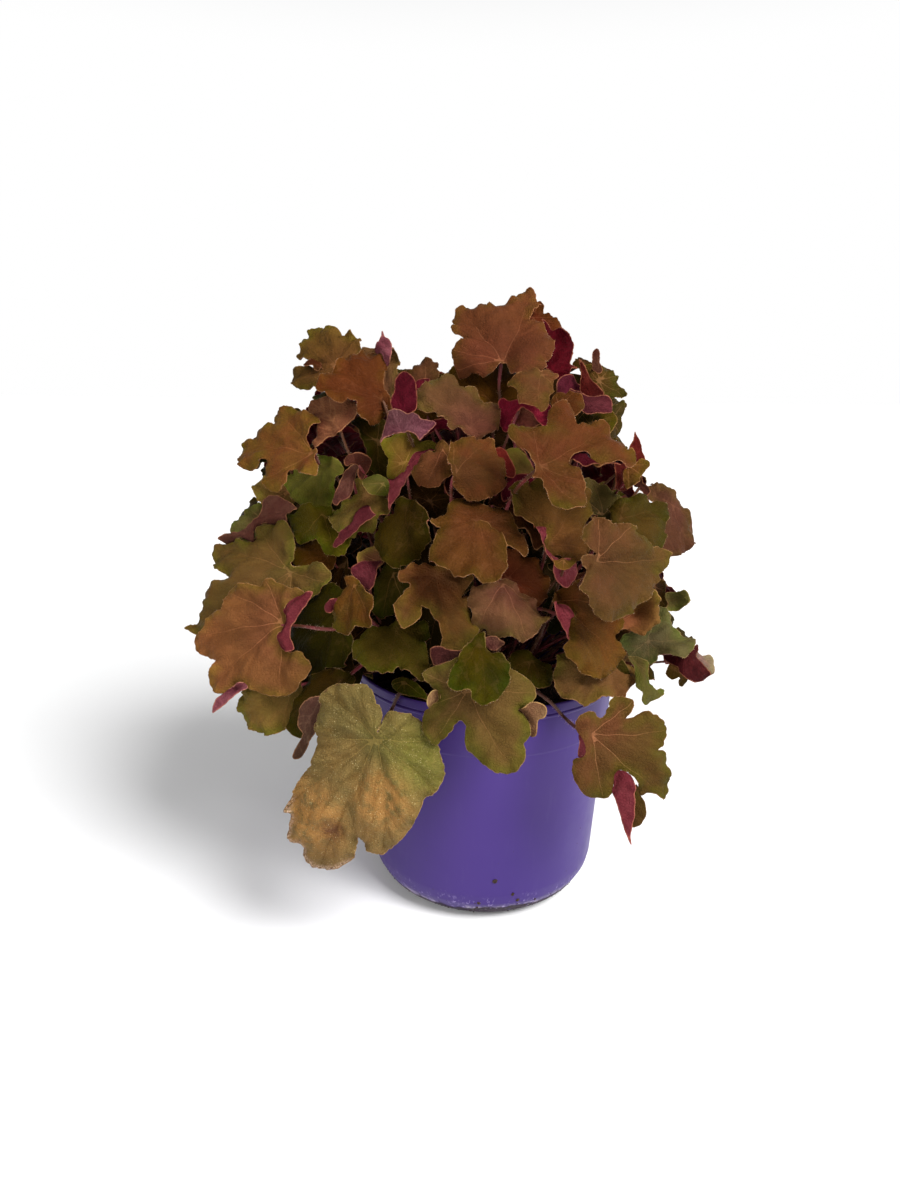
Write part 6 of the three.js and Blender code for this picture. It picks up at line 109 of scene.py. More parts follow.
["A17","leaf_left_06","U","olive","under","leaf_bronze",59,"0 0","-11509 -6996 15621","0.9020 -0.3873 0.1910 -0.1412 0.1536 0.9780 -0.4081 -0.9091 0.0839 -0.2315 0.9009 -0.3670","-460 -316 134 100","-298 -314 -300 -303 -320 -350 -378 -389 -321 -343 -351 -356 -356 -357 -366 -382 -344 -372 -402 -413 -395 -363 -354 -376 -380 -357 -354 -389 -419 -381 -349 -362 -442 -316 -184 -128 -186 -284 -324 -302 -525 -384 -251 -123 18 58 -52 -92 -629 -507 -391 -262 -77 150 241 275 -746 -646 -534 -379 -150 153 447 692","-326 3 -380 -39 -412 -81 -416 -143 -390 -204 -330 -252 -245 -281 -138 -270 -41 -221 25 -144 75 -73 97 -1 69 48 -60 72 -209 62","-293 -17 1319 -480 -125 1471 -635 -232 1549 -769 -341 1577 -892 -456 1575 -1015 -579 1564 -1148 -712 1567",[],1,1.35,[]],
["A18","leaf_left_03","U","dgreen","under","leaf_olive",60,"0 0","-8609 -6443 20580","0.8124 -0.5487 0.1973 0.0610 0.4164 0.9071 -0.5799 -0.7249 0.3718 -0.1793 0.9441 -0.2766","-462 -458 201 174","139 61 38 36 10 -3 -15 -26 172 90 27 6 -2 -2 5 17 204 119 17 -23 -15 -1 26 59 218 144 54 -40 -25 5 48 98 217 178 156 -39 -53 5 70 122 224 234 202 28 26 -12 59 114 201 195 146 173 264 126 88 77 143 143 178 297 383 308 174 41","-201 89 -154 118 -91 146 -20 125 45 82 95 21 137 -85 146 -200 143 -287 103 -343 41 -367 -26 -368 -106 -392 -161 -424 -236 -395 -308 -322 -372 -262 -412 -189 -416 -115 -374 -42 -304 18 -249 60","-268 -40 1360 -402 -161 1533 -505 -257 1656 -590 -340 1751 -669 -424 1837 -756 -521 1933 -861 -645 2058",[],1,0.9,[]],
["B26","leaf_front_13","U","olive","under","leaf_olive",61,"0 0","-7340 -3995 26757","0.8848 -0.4573 0.0897 0.2353 0.6046 0.7610 -0.4022 -0.6522 0.6426 -0.1502 0.9779 -0.1455","-226 -333 262 160","-336 -62 61 24 0 -40 -136 -255 -188 -46 34 10 -12 -32 -73 -125 -41 -29 8 -14 -28 -23 -11 6 170 25 -34 -71 -84 -29 63 146 477 401 269 71 93 173 241 305 737 639 400 274 441 460 462 493 841 596 326 283 479 581 650 720 852 550 340 317 456 643 814 966","-98 100 -58 114 10 128 91 114 140 85 174 -9 212 -94 214 -141 185 -162 161 -176 159 -225 137 -262 96 -269 45 -251 -1 -296 -60 -274 -114 -248 -161 -208 -188 -160 -185 -111 -147 -76 -123 -41 -95 -20 -97 43","-200 -9 1426 -256 -88 1680 -326 -156 1897 -409 -216 2090 -505 -273 2274 -614 -331 2465 -735 -394 2675",[["L","pink","-121 -400 188 -39","22 -46 -107 -173 -230 -280 -338 -402 79 14 -49 -106 -151 -198 -250 -302 136 74 10 -39 -72 -116 -161 -203 191 134 75 29 -8 -40 -71 -102 241 190 140 92 50 45 28 -4 289 245 202 162 128 115 102 81 336 298 261 225 192 170 161 152 383 351 318 286 255 232 221 216","113 -125 75 -84 27 -69 -6 -96 -26 -137 -22 -185 -40 -233 -76 -287 -89 -328 -83 -362 -42 -356 -3 -308 36 -261 65 -207 109 -173 142 -146","72 -77 27 -69 -6 -96 -26 -137 -22 -185 -40 -233",0.75]],1,1.4,[]],
["B4m","","L","bronze_up","magenta","leaf_red",62,"21 27","-4150 -3299 32810","0.9990 -0.0429 0.0106 0.0149 0.5536 0.8326 -0.0416 -0.8317 0.5537 -0.0853 0.9961 -0.0217","-48 -69 101 97","-23 -23 -18 -12 -16 -24 -35 -41 -30 -24 -17 -10 -3 1 5 12 -36 -26 -17 -7 10 26 44 64 -44 -29 -17 -1 28 60 88 114 -55 -34 -14 10 48 94 128 156 -66 -37 -7 28 71 115 152 187 -77 -38 2 44 85 125 167 211 -87 -38 10 55 97 137 183 231","-20 46 31 60 61 60 51 27 18 -7 -16 -26","-12 133 1431 -1 294 1841 -16 332 2195 -60 269 2506 -135 128 2786 -246 -70 3047 -395 -301 3303",[],1,1,[]],
["D4","","U","dbrown","under","leaf_bronze",63,"0 0","-3647 -3059 31459","0.9387 0.3448 -0.0065 -0.2611 0.7229 0.6397 0.2253 -0.5988 0.7686 -0.0745 0.9960 -0.0492","-122 -173 120 137","782 656 531 434 471 530 445 324 744 606 473 343 290 311 275 220 706 556 416 239 101 101 107 116 663 510 341 114 -28 -39 -11 32 596 455 285 55 -49 -47 -36 -17 490 351 201 40 -38 -36 -34 -40 352 234 120 25 -24 -33 -40 -53 202 122 55 12 -13 -32 -48 -66","-84 68 -27 101 73 85 79 -25 52 -102 -13 -120 -68 -85 -89 -17","1 31 1454 23 27 1888 -27 -5 2222 -120 -60 2487 -226 -133 2710 -317 -217 2920 -365 -306 3146",[],1,2.55,[]],
["B10","leaf_top_06","L","bronze_up","darkred","leaf_red",64,"13 21","3424 -1514 33760","0.9589 0.2835 0.0133 -0.1728 0.5461 0.8197 0.2252 -0.7883 0.5726 0.0680 0.9977 -0.0021","-87 -100 230 407","27 24 29 36 73 177 324 503 58 33 12 8 56 156 294 447 90 43 -3 -20 39 134 263 391 117 52 -14 -35 32 118 223 320 137 66 -5 -32 30 93 156 226 150 86 22 -18 14 53 85 123 160 107 56 15 8 12 14 17 170 129 88 48 9 -26 -58 -89","10 366 50 336 76 305 110 313 134 305 153 268 177 232 189 196 174 153 160 111 137 62 152 41 182 27 134 13 118 -8 105 -42 65 -56 26 -28 -12 0 -52 55 -52 125 -18 210 14 283","40 5 1444 123 -22 1872 195 -68 2281 255 -117 2654 302 -156 2975 335 -168 3227 351 -141 3394",[],1,0.7,[]],
["B12c","","U","dolive","under","leaf_olive",65,"0 0","5669 -3679 30927","0.9930 0.1178 0.0048 -0.0976 0.7991 0.5932 0.0661 -0.5895 0.8050 0.1168 0.9913 -0.0606","-124 -138 210 161","22 41 59 70 67 58 48 38 21 29 35 39 40 39 36 32 20 16 12 10 14 20 23 25 20 8 -2 -5 -3 3 12 20 25 13 3 -3 -5 -2 7 17 34 28 21 14 9 10 15 20 45 44 42 39 36 33 30 26 57 61 64 65 63 56 46 33","-95 -17 -70 35 -47 70 -20 97 30 115 107 115 157 97 172 53 142 -17 104 -69 44 -86 -42 -86","57 27 1438 179 -13 1840 283 -82 2204 371 -164 2520 445 -248 2780 510 -321 2974 567 -368 3093",[],1,1.4,[]],
["B13","","U","olivegreen","under","leaf_green",66,"0 0","6495 -511 33324","0.8459 0.5334 0.0011 -0.3479 0.5502 0.7591 0.4043 -0.6424 0.6510 0.1257 0.9920 -0.0105","-131 -197 211 171","273 212 135 164 274 204 106 12 204 166 116 101 178 168 95 23 135 119 90 26 91 128 80 34 77 55 38 -19 -9 48 52 40 47 23 5 -20 -33 -14 12 32 42 28 11 -10 -20 -18 -6 11 50 43 30 9 -5 -11 -15 -14 62 56 46 30 12 -5 -23 -40","-77 129 -43 137 -3 122 59 122 102 115 134 84 135 38 162 31 132 -15 125 -45 148 -61 157 -91 165 -106 95 -121 31 -142 -15 -157 -49 -135 -81 -90 -92 0 -87 76","18 148 1415 143 264 2049 274 247 2531 401 151 2882 513 34 3120 604 -15 3263 650 -49 3332",[],1,1.05,[]],
["B16b","","L","bronze_up","mauve","leaf_red",67,"0 0","1699 -2866 31284","0.9787 0.2054 0.0002 -0.1052 0.5007 0.8592 0.1764 -0.8409 0.5116 0.0347 0.9980 -0.0527","-104 -133 168 120","576 399 265 203 198 253 332 396 478 337 216 158 161 198 242 278 381 274 161 101 118 141 151 161 261 166 43 -32 -6 23 35 50 111 1 -102 -142 -131 -110 -79 -47 -39 -97 -127 -133 -134 -133 -133 -128 -168 -146 -115 -98 -104 -127 -161 -194 -281 -190 -114 -75 -80 -120 -182 -252","-41 78 9 90 66 64 121 25 126 -38 75 -76 3 -90 -56 -78 -74 -13","21 -63 1436 65 -149 1794 88 -223 2089 99 -280 2347 110 -314 2590 130 -318 2842 170 -287 3128",[],1,3.15,[]],
["B18a","","L","bronze_up","darkmagenta","leaf_red",68,"-3 13","-1869 -6789 27200","0.9993 0.0348 0.0110 -0.0250 0.4322 0.9014 0.0266 -0.9011 0.4328 -0.0411 0.9884 -0.1464","-88 -67 87 172","-49 -22 5 24 36 48 62 78 -35 -18 0 17 30 41 54 67 -21 -13 -4 11 24 35 45 55 -8 -7 -6 7 19 29 37 43 4 0 -3 4 12 19 26 30 15 8 4 4 5 8 12 14 27 20 13 7 2 -1 -2 -4 40 31 22 11 0 -9 -16 -22","-34 144 5 98 27 40 50 -17 0 -29 -44 6 -61 57 -50 104","-85 -93 1434 -86 -198 1824 -83 -303 2109 -83 -406 2315 -96 -504 2470 -129 -594 2600 -191 -672 2731",[],1,0.3,[]],
["B20","","U","greygreen","under","leaf_green",69,"2 6","6843 -3154 25675","0.8542 0.5159 -0.0648 -0.2940 0.5820 0.7582 0.4289 -0.6286 0.6488 0.1374 0.9768 -0.1645","-147 -85 233 281","188 -84 -322 -324 -223 -204 -165 -105 41 -64 -160 -211 -211 -194 -172 -148 -107 -45 -4 -88 -187 -184 -179 -190 -263 -109 45 31 -125 -182 -204 -234 -415 -270 -132 -47 -119 -232 -259 -264 -568 -433 -309 -170 -122 -203 -239 -250 -726 -555 -378 -192 -79 -101 -148 -186 -886 -656 -425 -214 -67 -17 -41 -93","-87 221 -19 243 41 243 79 208 119 160 186 154 171 82 110 13 28 -42 -36 -13 -103 1 -108 96","123 -37 1391 237 -75 1664 344 -122 1908 442 -173 2122 532 -225 2305 612 -273 2455 684 -313 2572",[],1,1.4,[]],
["B44","leaf_front_14","U","redbrown","under","leaf_bronze",70,"0 0","1188 -6270 22422","0.8415 0.5280 -0.1142 -0.2885 0.6180 0.7313 0.4567 -0.5825 0.6724 0.0253 0.9695 -0.2438","-115 -224 330 255","-501 -272 -68 93 105 -43 -305 -562 -385 -228 -83 48 88 -94 -282 -452 -268 -185 -103 3 81 -148 -260 -341 -140 -139 -120 -46 -18 -197 -230 -249 12 -18 -52 -116 -195 -259 -226 -195 166 100 -12 -196 -260 -246 -211 -173 283 124 -60 -221 -250 -229 -201 -167 368 130 -77 -204 -241 -229 -199 -165","18 217 67 198 118 185 179 159 237 126 258 66 284 20 273 -53 238 -120 191 -153 136 -183 62 -155 -21 -103 -81 -39 -68 86","-11 -174 1356 13 -266 1539 38 -350 1695 64 -428 1833 87 -499 1965 106 -564 2097 119 -625 2242",[],1,2.1,[]],
["B31","leaf_front_16","U","dgreen","under","leaf_olive",71,"0 0","-5500 -5948 22555","0.8090 -0.5629 0.1693 0.1345 0.4577 0.8789 -0.5722 -0.6883 0.4460 -0.1157 0.9644 -0.2380","-169 -318 209 88","-76 -70 -50 0 -18 -22 41 132 1 5 -5 -22 -32 -10 54 131 79 80 43 -41 -47 1 68 129 170 149 114 -44 -57 8 66 115 327 276 249 -6 -68 3 45 84 577 508 406 35 -64 12 27 38 860 660 405 58 -57 -29 -23 -23 1131 763 407 123 -33 -88 -97 -95","-100 20 -60 50 18 54 85 35 115 -31 156 -79 154 -131 122 -181 104 -233 70 -256 49 -268 -11 -278 -60 -272 -102 -229 -125 -168 -116 -107 -110 -35","-204 -135 1350 -254 -206 1536 -307 -272 1694 -363 -337 1834 -422 -408 1968 -484 -492 2105 -550 -595 2256",[],1,1.05,[]],
["B35","","U","dolive","under","leaf_olive",72,"0 0","2647 -7675 18003","0.8687 0.4712 -0.1524 -0.2540 0.6880 0.6798 0.4252 -0.5518 0.7174 0.0564 0.9395 -0.3379","-202 -219 168 107","-17 2 22 41 58 71 82 96 0 7 15 22 33 48 64 80 18 13 8 4 9 26 46 65 36 19 3 -6 -3 9 29 49 52 30 9 -4 -5 4 18 32 68 47 25 9 4 7 10 14 83 65 47 31 20 12 4 -3 98 84 69 53 36 18 -1 -21","-171 -39 -137 31 -59 71 1 45 58 13 112 -32 119 -96 97 -141 46 -172 -2 -177 -36 -158 -76 -139 -128 -114","25 -159 1363 55 -213 1435 97 -305 1480 147 -420 1517 196 -545 1569 237 -665 1656 265 -768 1800",[],1,1.1,[]],
["B40a","","U","green","under","leaf_green",73,"22 9","11343 -708 19522","0.9986 0.0530 0.0079 -0.0489 0.8410 0.5388 0.0219 -0.5384 0.8424 0.2091 0.9415 -0.2644","-59 -102 210 154","132 50 -31 -61 -71 -104 -168 -253 41 16 -5 -19 -50 -115 -202 -299 -49 -18 13 15 -30 -126 -236 -346 -144 -75 -12 1 -36 -141 -268 -382 -252 -198 -153 -126 -137 -209 -308 -399 -381 -356 -342 -325 -317 -334 -363 -401 -529 -506 -479 -439 -407 -402 -401 -401 -686 -648 -601 -545 -494 -459 -431 -402","-30 -26 0 34 31 102 71 111 121 110 159 117 172 83 177 50 157 8 121 -25 73 -50 15 -59","166 -14 1340 276 -75 1544 424 -134 1653 598 -177 1707 786 -189 1748 975 -157 1818 1155 -65 1958",[],1,1.6,[]],
["B41b","","U","beige","under","leaf_olive_orange",74,"15 -6","12949 -3917 17051","0.8241 0.5389 -0.1746 -0.1625 0.5201 0.8385 0.5427 -0.6626 0.5162 0.2473 0.9142 -0.3211","-66 -144 196 80","136 68 26 29 65 90 126 179 166 100 45 19 33 62 95 135 196 131 63 7 0 33 62 91 215 156 84 -1 -36 -9 21 39 215 154 86 -3 -60 -58 -42 -35 200 127 54 -25 -92 -118 -123 -129 177 91 7 -75 -143 -186 -213 -235 150 54 -40 -124 -195 -253 -302 -347","-20 50 12 38 50 19 113 19 141 -6 135 -57 103 -101 56 -108 12 -75 -17 -25","110 -132 1302 280 -194 1401 433 -238 1479 590 -271 1542 773 -302 1596 1005 -339 1646 1307 -392 1699",[],1,0.85,[]],
["A5","leaf_left_10","L","bronze_up","rosetan","leaf_olive_orange",75,"-17 13","-8755 -3155 30317","0.9694 -0.2442 0.0249 0.0993 0.4829 0.8700 -0.2245 -0.8409 0.4924 -0.1767 0.9816 -0.0716","-276 -152 131 258","143 123 134 163 205 315 311 161 148 112 91 113 191 258 199 84 152 101 48 61 171 198 87 6 142 83 18 40 112 59 -4 -15 110 58 10 1 -6 -21 10 30 67 38 14 -6 -14 16 63 93 19 19 22 28 45 75 114 152 -30 0 31 65 101 135 170 209","-145 228 -90 220 -10 207 58 187 92 135 86 96 57 77 32 38 14 -6 -14 -32 -64 -39 -103 -71 -117 -103 -134 -117 -167 -78 -156 -33 -150 38 -156 71 -208 98 -237 138 -231 179 -194 204","-224 -50 1401 -410 -120 1874 -544 -150 2219 -678 -187 2544 -824 -258 2858 -891 -303 3043",[],1,1.3,[]],
["A13","leaf_left_07","U","dgreen","under","leaf_olive",76,"0 0","-10155 -2597 25406","0.9631 0.2672 -0.0329 -0.2007 0.7941 0.5737 0.1794 -0.5459 0.8184 -0.1994 0.9657 -0.1661","-250 -425 198 124","883 878 866 850 1000 1149 761 149 812 760 726 736 806 753 449 81 741 643 582 594 560 348 137 12 653 511 319 166 78 -23 -18 8 491 356 139 -69 -51 -11 22 36 252 141 47 8 14 21 41 58 -3 -6 19 50 40 42 57 72 -250 -128 -14 59 79 79 79 83","-197 -10 -146 34 -94 61 -32 78 40 53 84 -17 135 -68 159 -153 157 -245 128 -310 72 -370 25 -374 4 -340 -23 -280 -68 -240 -125 -246 -169 -256 -186 -205 -196 -136 -214 -83 -218 -38","-228 39 1411 -389 27 1627 -554 -14 1847 -711 -75 2060 -849 -144 2254 -954 -210 2418 -1015 -263 2541",[],1,2.1,[]],
["B7b","","U","brown2","under","leaf_bronze",77,"0 0","2294 2066 37083","0.8570 0.5143 0.0327 -0.3724 0.5742 0.7291 0.3562 -0.6370 0.6837 0.0425 0.9973 0.0596","-87 -268 247 175","-78 -43 -8 7 16 31 40 49 -43 -29 -14 0 9 20 31 43 -8 -16 -20 -7 3 9 22 37 26 2 -24 -18 -2 -1 13 31 54 20 -17 -30 -17 -11 5 23 76 38 2 -24 -27 -18 -4 9 93 58 25 -4 -19 -21 -17 -12 110 77 46 17 -6 -21 -30 -35","114 138 145 138 144 104 132 43 170 44 180 1 198 -59 209 -118 200 -168 124 -217 57 -199 10 -141 -48 -75 -52 17 31 102","79 150 1383 79 247 1587 101 347 1914 136 422 2327 175 443 2788 210 380 3261 229 207 3708",[],1,0.9,[]],
["B14","","U","olive","under","leaf_olive",78,"0 0","7091 -1527 31043","0.7483 0.6627 -0.0302 -0.1237 0.1841 0.9751 0.6518 -0.7259 0.2197 0.1395 0.9887 -0.0555","-97 -146 215 149","23 -8 -33 -38 41 207 389 551 19 -13 -42 -41 60 201 336 462 15 -17 -49 -50 76 195 283 373 9 -21 -53 -61 55 155 219 293 -1 -23 -46 -65 1 95 160 229 -15 -28 -42 -58 -29 54 121 178 -33 -39 -46 -51 -32 26 83 132 -52 -53 -51 -44 -28 2 41 83","30 84 87 96 127 121 153 109 157 72 132 30 100 0 103 -47 79 -83 22 -106 -48 -94 -58 -29 -13 36","73 55 1429 172 73 1862 264 69 2191 357 45 2447 458 0 2663 573 -65 2871 709 -151 3104",[],1,0.4,[]],
["D5","","U","dbrown","under","leaf_bronze",79,"0 0","8807 -3453 18592","0.9482 0.3081 -0.0768 -0.2058 0.7804 0.5905 0.2419 -0.5441 0.8034 0.1712 0.9394 -0.2969","-153 -202 234 125","586 396 213 93 -1 -48 -76 -93 548 408 273 147 15 -52 -70 -82 510 419 327 192 20 -59 -65 -72 465 394 309 158 -5 -73 -70 -67 398 307 202 80 -35 -79 -77 -70 308 218 129 43 -44 -74 -75 -73 205 138 75 18 -35 -57 -66 -74 98 58 23 -4 -25 -42 -58 -75","-102 60 -4 92 81 38 192 62 187 -15 107 -91 24 -138 -64 -154 -120 -76","165 -42 1324 296 -80 1435 422 -121 1522 543 -166 1597 659 -218 1670 773 -266 1750 881 -345 1859",[],1,1,[]],
["A8","leaf_left_05","U","lgreen","under","leaf_green",80,"0 0","-10088 -1837 28292","0.8276 -0.5543 0.0888 0.1488 0.3691 0.9174 -0.5412 -0.7460 0.3880 -0.1968 0.9744 -0.1087","-361 -408 234 88","863 515 160 -30 31 66 74 74 605 442 249 53 -7 30 61 92 348 368 337 133 -38 -2 49 109 119 241 341 279 -4 -31 43 127 -1 136 353 480 30 -46 57 137 88 282 566 531 22 -28 60 106 392 566 693 505 159 41 28 17 785 798 723 530 321 141 7 -100","-319 -139 -280 -186 -195 -241 -105 -307 -12 -349 64 -368 131 -358 178 -335 137 -277 127 -210 124 -142 131 -77 139 -15 115 17 40 44 -49 52 -150 35 -246 -9 -303 -67","-265 69 1370 -384 70 1640 -465 45 1842 -538 1 2019 -634 -57 2214 -780 -122 2470 -1008 -189 2830",[],1,2.05,[]],
["B4","","U","brown","under","leaf_bronze",81,"0 0","-4028 -1217 32884","0.9831 -0.1829 0.0105 0.1343 0.7584 0.6378 -0.1246 -0.6256 0.7701 -0.0794 0.9967 -0.0194","-228 -108 119 309","-77 27 161 257 301 306 147 -55 19 51 96 147 173 132 27 -92 115 74 30 13 14 -44 -94 -128 198 118 0 -160 -201 -200 -176 -151 259 164 58 -162 -219 -195 -180 -163 324 221 99 -146 -197 -165 -164 -165 388 239 62 -141 -185 -167 -164 -166 439 229 33 -109 -171 -183 -177 -169","-201 109 -194 137 -156 145 -104 143 -100 188 -75 215 -63 252 -40 261 -5 243 19 215 42 224 48 160 77 106 67 36 32 -36 -26 -54 -103 17","-128 120 1433 -192 122 1832 -200 62 2246 -189 -27 2636 -195 -110 2965 -254 -154 3195 -403 -124 3288",[],1,1.15,[]],
["B34","","U","dgreen","under","leaf_olive",82,"10 -13","-4713 -7197 16334","0.9340 -0.3215 0.1557 0.1224 0.6975 0.7060 -0.3356 -0.6404 0.6909 -0.0979 0.9262 -0.3642","-119 -160 220 62","21 34 47 57 59 52 37 24 23 27 31 34 32 30 27 24 24 20 16 11 5 9 17 24 26 14 3 -6 -8 -2 11 24 28 14 -1 -8 -4 4 14 24 29 23 16 11 13 17 21 26 29 31 34 36 35 33 31 29 28 38 48 55 55 50 42 33","-83 -13 -55 13 -5 26 51 6 110 -32 158 -82 178 -119 125 -107 78 -95 25 -89 -24 -70 -62 -45","-141 -182 1310 -182 -283 1381 -223 -343 1405 -268 -390 1412 -320 -451 1431 -384 -556 1492 -463 -733 1627",[],1,1.9,[]],
["A4","leaf_top_05","U","tan","under","leaf_olive_orange",83,"0 0","-6296 -416 32314","0.7895 -0.6137 0.0097 0.1879 0.2567 0.9480 -0.5843 -0.7467 0.3180 -0.1216 0.9921 -0.0300","-365 -98 134 352","196 145 95 45 -11 -93 -47 190 162 101 43 -11 -53 -58 24 170 128 58 -8 -65 -89 -11 95 149 91 15 -62 -96 -26 126 148 61 45 -19 -76 54 280 255 54 -109 -14 -30 -11 217 452 274 -32 -247 -71 -18 64 222 345 217 -40 -290 -116 12 127 200 206 120 -57 -283","-320 272 -317 292 -267 305 -205 305 -119 317 -53 303 -13 284 17 243 23 193 56 141 76 96 73 45 51 1 42 -55 -51 -63 -156 -3 -238 123","-119 88 1446 -217 90 1853 -278 98 2143 -326 100 2372 -384 86 2593 -478 44 2861 -630 -37 3231",[],1,0.85,[]],
["A14","","U","dbrown","under","leaf_bronze",84,"0 0","-9663 -3644 22902","0.9963 -0.0771 0.0371 0.0184 0.6158 0.7877 -0.0836 -0.7841 0.6150 -0.1921 0.9569 -0.2179","-255 -163 93 196","-333 -168 -20 43 185 373 479 527 -182 -114 -42 46 196 312 362 393 -31 -61 -64 33 197 247 245 258 116 24 -64 -4 102 110 123 141 225 148 36 -5 -1 -2 25 41 257 154 39 -2 -18 -44 -51 -56 232 112 8 -28 -44 -80 -115 -147 184 80 -2 -52 -86 -127 -178 -234","-218 97 -199 147 -114 158 -33 122 25 54 51 -13 33 -73 -25 -107 -110 -120 -181 -93 -223 -27 -222 41","-250 -72 1365 -337 -59 1562 -460 -66 1716 -601 -96 1845 -743 -154 1970 -871 -242 2112 -966 -366 2291",[],1,2.05,[]],
["B8","leaf_top_02","U","dbrown","under","leaf_bronze",85,"0 0","235 -1727 32018","0.9582 0.2859 0.0044 -0.2239 0.7405 0.6336 0.1779 -0.6082 0.7736 0.0047 0.9993 -0.0369","-335 -142 283 415","-502 -258 58 340 406 183 -11 -169 -238 -168 -44 121 183 67 -44 -137 26 -78 -146 -91 -37 -64 -78 -105 237 79 -116 -173 -146 -122 -99 -90 303 250 124 -62 -151 -138 -119 -93 185 108 40 -39 -128 -131 -117 -94 -33 -91 -114 -83 -83 -88 -89 -84 -283 -261 -209 -125 -61 -43 -51 -67","-304 250 -283 259 -241 276 -194 321 -143 357 -48 357 51 377 143 359 190 285 246 194 245 87 201 -19 127 -71 41 -97 -46 -69 -103 1 -168 70 -236 141","-12 -19 1454 -10 -23 1825 -6 -48 2162 0 -84 2466 7 -123 2739 15 -156 2983 23 -173 3202",[],1,2.1,[]],
["A1","leaf_back_01","U","olivebronze","under","leaf_bronze",86,"0 0","-9950 2307 33996","0.9163 -0.4005 0.0032 0.2724 0.6292 0.7280 -0.2936 -0.6662 0.6856 -0.1809 0.9835 0.0024","-421 -252 242 413","243 175 127 87 56 35 24 32 194 138 89 49 24 16 24 44 146 101 50 12 -6 -2 24 55 91 69 18 -25 -29 -3 32 56 30 4 -43 -27 18 32 36 28 2 -13 73 157 102 49 9 -32 98 197 330 261 108 24 -45 -115 280 410 453 336 164 17 -102 -209","129 146 77 251 23 270 -35 315 -67 279 -138 335 -208 350 -272 365 -337 348 -362 312 -349 266 -386 258 -372 194 -347 140 -384 113 -282 69 -190 42 -269 -10 -314 -36 -314 -106 -269 -165 -194 -189 -97 -178 5 -201 110 -183 173 -118 191 -16","-102 136 1430 -158 211 1783 -318 255 2175 -532 274 2570 -749 274 2930 -921 260 3219 -997 239 3400",[],1,1.15,[]],
["A9","leaf_left_09","U","olive","under","leaf_bronze",87,"0 0","-12967 528 26264","0.9898 -0.1381 0.0357 0.0876 0.7862 0.6117 -0.1125 -0.6023 0.7903 -0.2382 0.9611 -0.1397","-283 -218 128 182","-203 -231 -182 -99 -98 -135 -140 -114 9 -82 -138 -140 -136 -146 -145 -131 221 67 -94 -178 -163 -153 -149 -149 398 234 21 -116 -91 -115 -147 -178 511 369 220 85 -27 -122 -171 -226 585 438 303 139 -51 -159 -227 -298 644 457 269 83 -80 -198 -295 -385 695 463 239 42 -114 -245 -364 -477","-198 126 -236 90 -253 27 -223 -27 -179 -88 -134 -133 -47 -162 44 -117 82 0 4 89 -93 144","-228 97 1395 -336 157 1597 -496 179 1805 -691 171 2015 -901 142 2225 -1109 101 2430 -1297 54 2626",[],1,2.3,[]],
["A12","","U","green","under","leaf_green",88,"0 0","-14530 110 24221","0.8955 -0.4348 0.0949 0.2105 0.6016 0.7705 -0.3921 -0.6701 0.6303 -0.2654 0.9479 -0.1762","-307 -178 99 185","-85 -103 -122 -140 -152 -202 -268 -335 -96 -118 -136 -151 -164 -186 -223 -271 -107 -133 -150 -161 -173 -170 -179 -206 -121 -143 -154 -155 -149 -131 -131 -131 -152 -147 -154 -135 -37 -4 -24 -14 -222 -182 -163 -66 134 178 167 172 -337 -241 -138 43 261 350 387 416 -470 -283 -78 148 354 504 606 684","-76 137 -139 144 -184 129 -202 91 -197 60 -248 38 -271 -8 -257 -75 -188 -112 -60 -132 34 -59 46 53","-150 85 1439 -328 124 1706 -491 138 1874 -662 129 1985 -864 103 2084 -1120 62 2215 -1453 11 2422",[],1,1.85,[]],
["D1","","U","dbrown","under","leaf_bronze",89,"0 0","-3445 -4062 26478","0.9830 0.1835 -0.0114 -0.1438 0.8062 0.5739 0.1145 -0.5624 0.8189 -0.0712 0.9857 -0.1526","-219 -232 215 262","-150 94 394 695 766 642 380 101 -82 60 220 382 438 374 230 78 -13 25 48 79 105 107 82 54 37 25 0 -23 -25 -7 15 38 64 37 14 4 3 9 19 34 82 55 33 18 12 19 31 39 96 80 68 58 50 49 49 48 110 107 103 98 90 80 69 57","-150 174 -90 226 -14 190 75 172 139 209 176 86 162 -42 106 -125 43 -181 -14 -165 -96 -100 -169 -17 -182 87","-99 -28 1453 -128 -126 1800 -180 -206 2070 -240 -273 2275 -296 -327 2430 -335 -372 2550 -344 -409 2648",[],1,0.6,[]],
["D3","","U","dolive","under","leaf_olive",90,"0 0","-6773 -1725 29707","0.7540 0.6551 -0.0475 -0.3646 0.4776 0.7993 0.5464 -0.5854 0.5990 -0.1336 0.9876 -0.0821","-174 -333 160 203","363 526 572 333 104 75 119 155 428 473 480 260 40 49 104 156 493 422 404 185 -29 31 92 158 591 467 339 99 -29 22 85 162 673 515 297 32 -22 19 95 166 678 468 226 16 -10 15 82 144 613 399 195 51 11 14 50 93 519 339 189 90 35 15 17 31","-135 140 -53 171 12 151 89 160 115 73 89 -35 64 -142 12 -246 -77 -287 -124 -215 -125 -106 -95 14 -124 69","-110 47 1455 -169 27 1786 -260 4 2098 -370 -25 2383 -485 -62 2629 -592 -111 2828 -677 -175 2971",[],1,0.9,[]],
